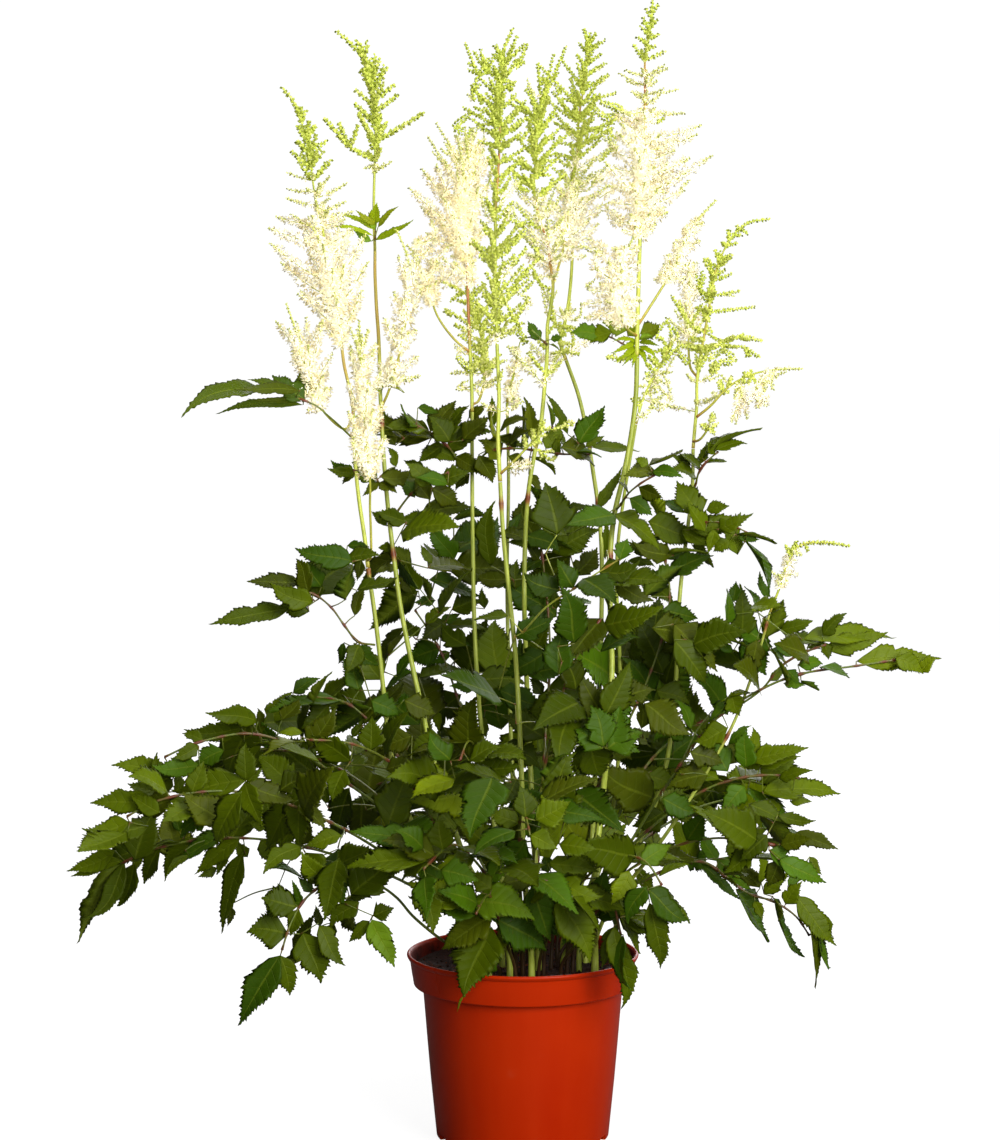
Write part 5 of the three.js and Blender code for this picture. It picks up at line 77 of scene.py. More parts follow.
  (("c",11.2,((-41.2,61.7,647.1),(-50.8,63,656.8),(-60.5,64.2,668.8),)),("c",9.7,((-41.1,61.5,651.1),(-34.1,61.7,659),(-27.1,61.9,668.7),)),("c",11.2,((-41.2,61.2,658.1),(-57.1,63.6,666.8),(-73.1,66,678.4),)),("c",8.2,((-41.3,60.9,662.1),(-61.5,58.2,674.3),(-81.7,55.5,690.6),)),("c",10.4,((-41.7,60.5,669.1),(-51.4,62,680.9),(-61.2,63.5,695.3),)),("c",8.2,((-41.9,60.2,673.1),(-57.5,63.5,687.6),(-73.1,66.7,705.7),)),("c",10.4,((-41.9,60,677.1),(-34.1,57.1,685.7),(-26.3,54.2,696.4),)),("c",9.7,((-41.4,59.5,684),(-49,57.6,697.3),(-56.6,55.6,713.3),)),("m",5.2,((-40.8,59.1,691),(-54.8,67.6,708.5),(-68.8,76.1,729.8),)),("c",8.9,((-40.4,58.9,695),(-33,58.2,704.9),(-25.6,57.6,717.1),)),("c",7.4,((-39.5,58.4,702.9),(-46.5,54.4,713.1),(-53.5,50.5,725.5),)),("m",4.5,((-39,58.1,707.9),(-50.8,58.6,722.3),(-62.5,59.1,739.9),)),("c",6.7,((-38.9,57.7,713.9),(-33.7,61.9,722.2),(-28.6,66.1,732.2),)),("c",6,((-39.3,57.5,716.8),(-44.2,56.5,724.2),(-49.2,55.4,733.1),)),("m",4.5,((-40.7,57.1,723.7),(-36.4,56.2,732),(-32.2,55.4,741.8),)),("c",4.6,((-41.2,61.8,645.1),(-47.1,81,644),(-52.9,100.1,642.8),)),("c",10.9,((-41.2,61.7,647.1),(-45.3,53.5,656.2),(-49.4,45.2,667.6),)),("c",9.6,((-41.2,61.7,647.1),(-40.2,69.1,654.2),(-39.3,76.4,663.6),)),("c",8.4,((-41.1,61.5,651.1),(-43.1,66.5,656.9),(-45,71.5,664.5),)),("c",8.5,((-41.1,61.5,651.1),(-40.7,55,658.4),(-40.3,48.4,667.6),)),("c",11.6,((-41.2,61.2,658.1),(-45.5,50.3,663.9),(-49.9,39.4,672.8),)),("c",9.5,((-41.2,61.2,658.1),(-41.7,73.9,664.6),(-42.2,86.7,674.2),)),("c",8,((-41.3,60.9,662.1),(-37.2,41.4,674),(-33.1,21.8,690),)),("c",7.4,((-41.3,60.9,662.1),(-40.6,79,672.7),(-40,97.1,687.4),)),("c",10,((-41.7,60.5,669.1),(-45.6,53.7,678.2),(-49.5,46.9,689.9),)),("c",9.9,((-41.7,60.5,669.1),(-38.3,68.3,679.1),(-34.9,76.1,691.7),)),("c",7.7,((-41.9,60.2,673.1),(-44.9,46,686.1),(-47.9,31.8,702.9),)),("c",8.5,((-41.9,60.2,673.1),(-42.2,73.7,685.1),(-42.5,87.2,700.7),)),("c",10.2,((-41.9,60,677.1),(-41.1,66.5,683.7),(-40.3,73.1,692.4),)),("c",9.2,((-41.9,60,677.1),(-42.1,53.4,683.7),(-42.3,46.7,692.5),)),("c",9.1,((-41.4,59.5,684),(-38.5,54.5,693.7),(-35.5,49.4,706.1),)),("c",9.3,((-41.4,59.5,684),(-43.5,65.7,694.8),(-45.5,71.8,708.2),)),("m",5.3,((-40.8,59.1,691),(-43.9,44.1,707.1),(-47.1,29,727.4),)),("m",4.5,((-40.8,59.1,691),(-39.3,74,706.6),(-37.9,88.9,726.3),)),("c",7.9,((-40.4,58.9,695),(-41.2,64.3,702.1),(-42,69.8,711.4),)),("c",8.2,((-40.4,58.9,695),(-42.2,52.5,703.7),(-44.1,46.2,714.5),)),("c",7.5,((-39.5,58.4,702.9),(-34.3,53.8,711.5),(-29.1,49.3,722.3),)),("c",7.2,((-39.5,58.4,702.9),(-44.1,63.6,711.6),(-48.6,68.9,722.5),)),("m",4.4,((-39,58.1,707.9),(-40.5,49.4,718.3),(-41.9,40.6,731.9),)),("m",4.6,((-39,58.1,707.9),(-38.5,69.1,721.3),(-37.9,80.1,738),)),("c",6.2,((-38.9,57.7,713.9),(-40.6,63,720.6),(-42.3,68.3,729.1),)),("c",6.6,((-38.9,57.7,713.9),(-35.8,53.8,719.7),(-32.7,50,727.4),)),("c",5.1,((-39.3,57.5,716.8),(-37.9,53,723.7),(-36.5,48.4,732),)),("c",5.3,((-39.3,57.5,716.8),(-41.7,60.6,722.4),(-44.2,63.7,729.5),)),("m",4.6,((-40.7,57.1,723.7),(-38.5,60.2,730.9),(-36.3,63.3,739.7),)),("m",4.6,((-40.7,57.1,723.7),(-41.5,53.3,730.8),(-42.3,49.6,739.6),)),("c",4.3,((-41.2,61.8,645.1),(-42.9,59,644.2),(-44.7,56.2,643.4),)),("c",4.2,((-41.2,61.8,645.1),(-40.4,64.3,644.4),(-39.6,66.8,643.7),)),("c",4,((-41.2,62,642.1),(-43.1,64.5,643.9),(-45.1,66.9,645.7),)),("c",4,((-41.2,62,642.1),(-39.4,59.6,643.8),(-37.6,57.2,645.5),)),("c",8.2,((-66.7,51.4,609.7),(-65.3,50.7,617.8),(-64,49.9,627.3),)),("c",7.4,((-68.5,49.6,617.4),(-74.3,48.8,620.3),(-80.2,47.9,624.3),)),("c",7.4,((-71.1,47.5,625.8),(-69.5,52.9,633.3),(-67.8,58.3,642.1),)),("c",8.1,((-66.7,51.4,609.7),(-66.4,52.5,615.4),(-66.1,53.6,622.4),)),("c",7.2,((-66.7,51.4,609.7),(-67.1,50.2,616.4),(-67.4,48.9,624.5),)),("c",6.4,((-68.5,49.6,617.4),(-69.3,44.9,619.6),(-70.2,40.3,622.9),)),("c",6.4,((-68.5,49.6,617.4),(-69.6,55.2,620.2),(-70.7,60.9,624.2),)),("c",6.3,((-71.1,47.5,625.8),(-75.2,48.8,631.1),(-79.2,50,638),)),("c",7.2,((-71.1,47.5,625.8),(-66.7,45.8,631.9),(-62.3,44,639.5),)),("g",3,((-27.6,78.7,560.4),(-22.9,81.5,564.1),(-18.2,84.4,567.7),)),("g",5.3,((-27.2,78.8,564.4),(-34.7,82,569.8),(-42.3,85.2,575.2),)),("g",4.5,((-28.4,79.3,575.3),(-37.5,79,580.6),(-46.7,78.7,585.8),)),("g",3.8,((-29.8,79.7,580.1),(-24.4,78.5,586),(-18.9,77.3,591.8),)),("g",4.5,((-32.8,80.6,591.8),(-44.6,82.3,598.1),(-56.5,84.1,604.4),)),("g",4.5,((-34.3,81,597.6),(-29.6,78.5,603.7),(-24.9,76,609.7),)),("g",3.8,((-37.5,82,610.3),(-42.8,82.7,611.5),(-48.2,83.5,612.7),)),("g",4.5,((-39.1,82.3,613.9),(-33.9,80.8,619.3),(-28.7,79.4,624.6),)),("m",4.5,((-28.3,76.7,554.8),(-33.7,78.3,551.1),(-39.2,80,548.3),)),("m",4.5,((-27.7,78.5,559.4),(-38.7,78.8,558.2),(-49.7,79,558.9),)),("g",2.6,((-27.6,78.7,560.4),(-29.7,82.9,563.5),(-31.9,87,566.7),)),("g",2.8,((-27.6,78.7,560.4),(-25.9,74.3,563.5),(-24.3,69.9,566.7),)),("g",5.2,((-27.2,78.8,564.4),(-28.5,72.7,568.5),(-29.8,66.6,572.7),)),("g",5.4,((-27.2,78.8,564.4),(-27.1,86.7,569.6),(-27,94.6,574.8),)),("g",4.2,((-28.4,79.3,575.3),(-30.3,72.5,579.4),(-32.3,65.7,583.4),)),("g",4.4,((-28.4,79.3,575.3),(-30.4,85.9,579.2),(-32.4,92.4,583.2),)),("g",3.4,((-29.8,79.7,580.1),(-29.7,84.4,585.1),(-29.6,89.1,590),)),("g",3.5,((-29.8,79.7,580.1),(-29.6,75.6,584.5),(-29.5,71.4,588.8),)),("g",4.3,((-32.8,80.6,591.8),(-38.2,70.7,597.8),(-43.6,60.8,603.7),)),("g",3.9,((-32.8,80.6,591.8),(-27.4,89.8,597.4),(-22,99,603.1),)),("g",4,((-34.3,81,597.6),(-32,84.5,602.4),(-29.7,87.9,607.1),)),("g",4.4,((-34.3,81,597.6),(-36.7,78,602.1),(-39.2,75,606.5),)),("g",3.6,((-37.5,82,610.3),(-38.2,86.5,611.3),(-38.8,91.1,612.3),)),("g",4.6,((-39.1,82.3,613.9),(-37.2,85.8,617.9),(-35.3,89.3,621.8),)),("g",4.4,((-39.1,82.3,613.9),(-40.5,77.7,618.7),(-41.8,73.1,623.4),)),("m",4.4,((-28.3,76.7,554.8),(-30.4,72.3,551.6),(-32.6,68,549.3),)),("m",4.2,((-28.3,76.7,554.8),(-26.8,81.6,551.4),(-25.4,86.6,549),)),("m",4.6,((-27.7,78.5,559.4),(-26,70.4,558.3),(-24.3,62.2,559),)),("m",4.6,((-27.7,78.5,559.4),(-25.2,86.3,558.3),(-22.7,94,559),)),("g",6.8,((-42,50.7,737),(-49.4,50,739.7),(-37,48.2,750.3),)),("m",3.8,((-51.4,51.7,721.8),(-56.1,47,720.6),(-59.8,46.9,724.3),)),("m",3.1,((-57.6,69.3,712.8),(-62,69.2,718),(-66.5,69,722.4),)),("c",6.8,((-58.3,63,691),(-57.5,56.2,696.9),(-63.7,56.3,711.7),)),("c",6.8,((-68.3,56.7,639.5),(-61.8,54.7,646.1),(-55.3,52.6,651.7),)),("c",6.8,((-77.5,42.6,646.5),(-72.9,44.7,647.4),(-64.3,46.3,655.9),)),("c",6.8,((-79.2,40.8,654.6),(-65.1,39.7,658.1),(-67.9,36.9,670.5),)),("c",6.8,((-47.9,62.6,653.9),(-57.5,59.1,655),(-70.8,63.1,660.8),)),("m",3.7,((-77.1,43,644.9),(-81,43.8,649.3),(-84.9,44.5,653.1),)),("c",6.8,((-57.9,84,628.4),(-53.9,83.3,632.2),(-49.8,82.6,635.4),)),("c",6.8,((-41,61.1,633.2),(-43.4,54.9,633.2),(-50.6,51.4,640.4),)),("c",6.8,((-57.9,84,628.4),(-60.8,77.2,626.5),(-60,79.9,640.1),)),("c",6.8,((-50.4,83.4,624.6),(-47,83.2,629),(-43.6,82.9,632.8),)),("c",6.8,((-41,61.3,635.2),(-49.8,55.1,634.8),(-58.3,52.5,643.3),)),("c",6.8,((-40.8,60.5,627.2),(-37.6,54.4,626.9),(-37,58.1,640.7),)),("g",4.5,((-42.2,82.6,618),(-50.9,82.3,622.7),(-59.6,82,626.2),)),("g",3.8,((-36,81.5,604.8),(-34.6,81,608.1),(-33.1,80.5,610.9),)),("g",2.8,((-52.9,83.6,602.6),(-55.4,79.8,603.7),(-57.9,76,604.3),)),("g",5.1,((-39.5,56.8,589.4),(-44.6,59.4,592.3),(-49.7,62.1,594.4),)),("m",3.8,((-39.3,56.3,584.4),(-38.2,55.5,588.5),(-37.2,54.7,592.1),)),("m",6.8,((-42.2,54,573.2),(-46.2,54.1,576.6),(-50.1,54.2,579.5),)),("g",6.8,((-38.3,54.1,562.5),(-40.3,48,563),(-48.4,45.7,571.1),)),("m",3.3,((-46.4,78.9,558.7),(-50.1,80.2,558.9),(-53.8,81.4,558.6),)),("m",4.8,((-30.1,69.3,545.8),(-24.9,68.9,551),(-19.6,68.5,555.4),)),("m",3.4,((-37.7,52.6,547.6),(-48.3,46.4,547.3),(-40,44.5,553.7),)),),
  ()),
 "d": (1.5, ((-16.6,-64.5,486.1),(-17.5,-64.1,501.2),(-18.1,-63.7,516.4),(-17.7,-63.3,531.6),(-17.4,-62.9,546.8),(-17.9,-62.5,562),(-18.6,-62.1,577.2),(-19,-61.6,592.3),(-19.4,-60.9,607.5),(-19.7,-60.3,622.7),(-20.1,-59.6,637.9),(-20.2,-58.9,653.1),(-19.9,-58.2,668.3),(-19.4,-57.5,683.4),(-18.3,-56.8,698.6),(-17.4,-56.1,713.7),(-16.9,-55.4,728.9),(-16.6,-54.8,744.1),(-16.5,-54.1,759.3),(-15.8,-53.4,774.4),(-13.7,-52.7,789.4),(-7.6,-52,803.3),),
  (((-16.9,-64.4,491.1),(-7.4,-70.9,500.3),(4.4,-77.4,512.9),(13.9,-90,523.4),),),
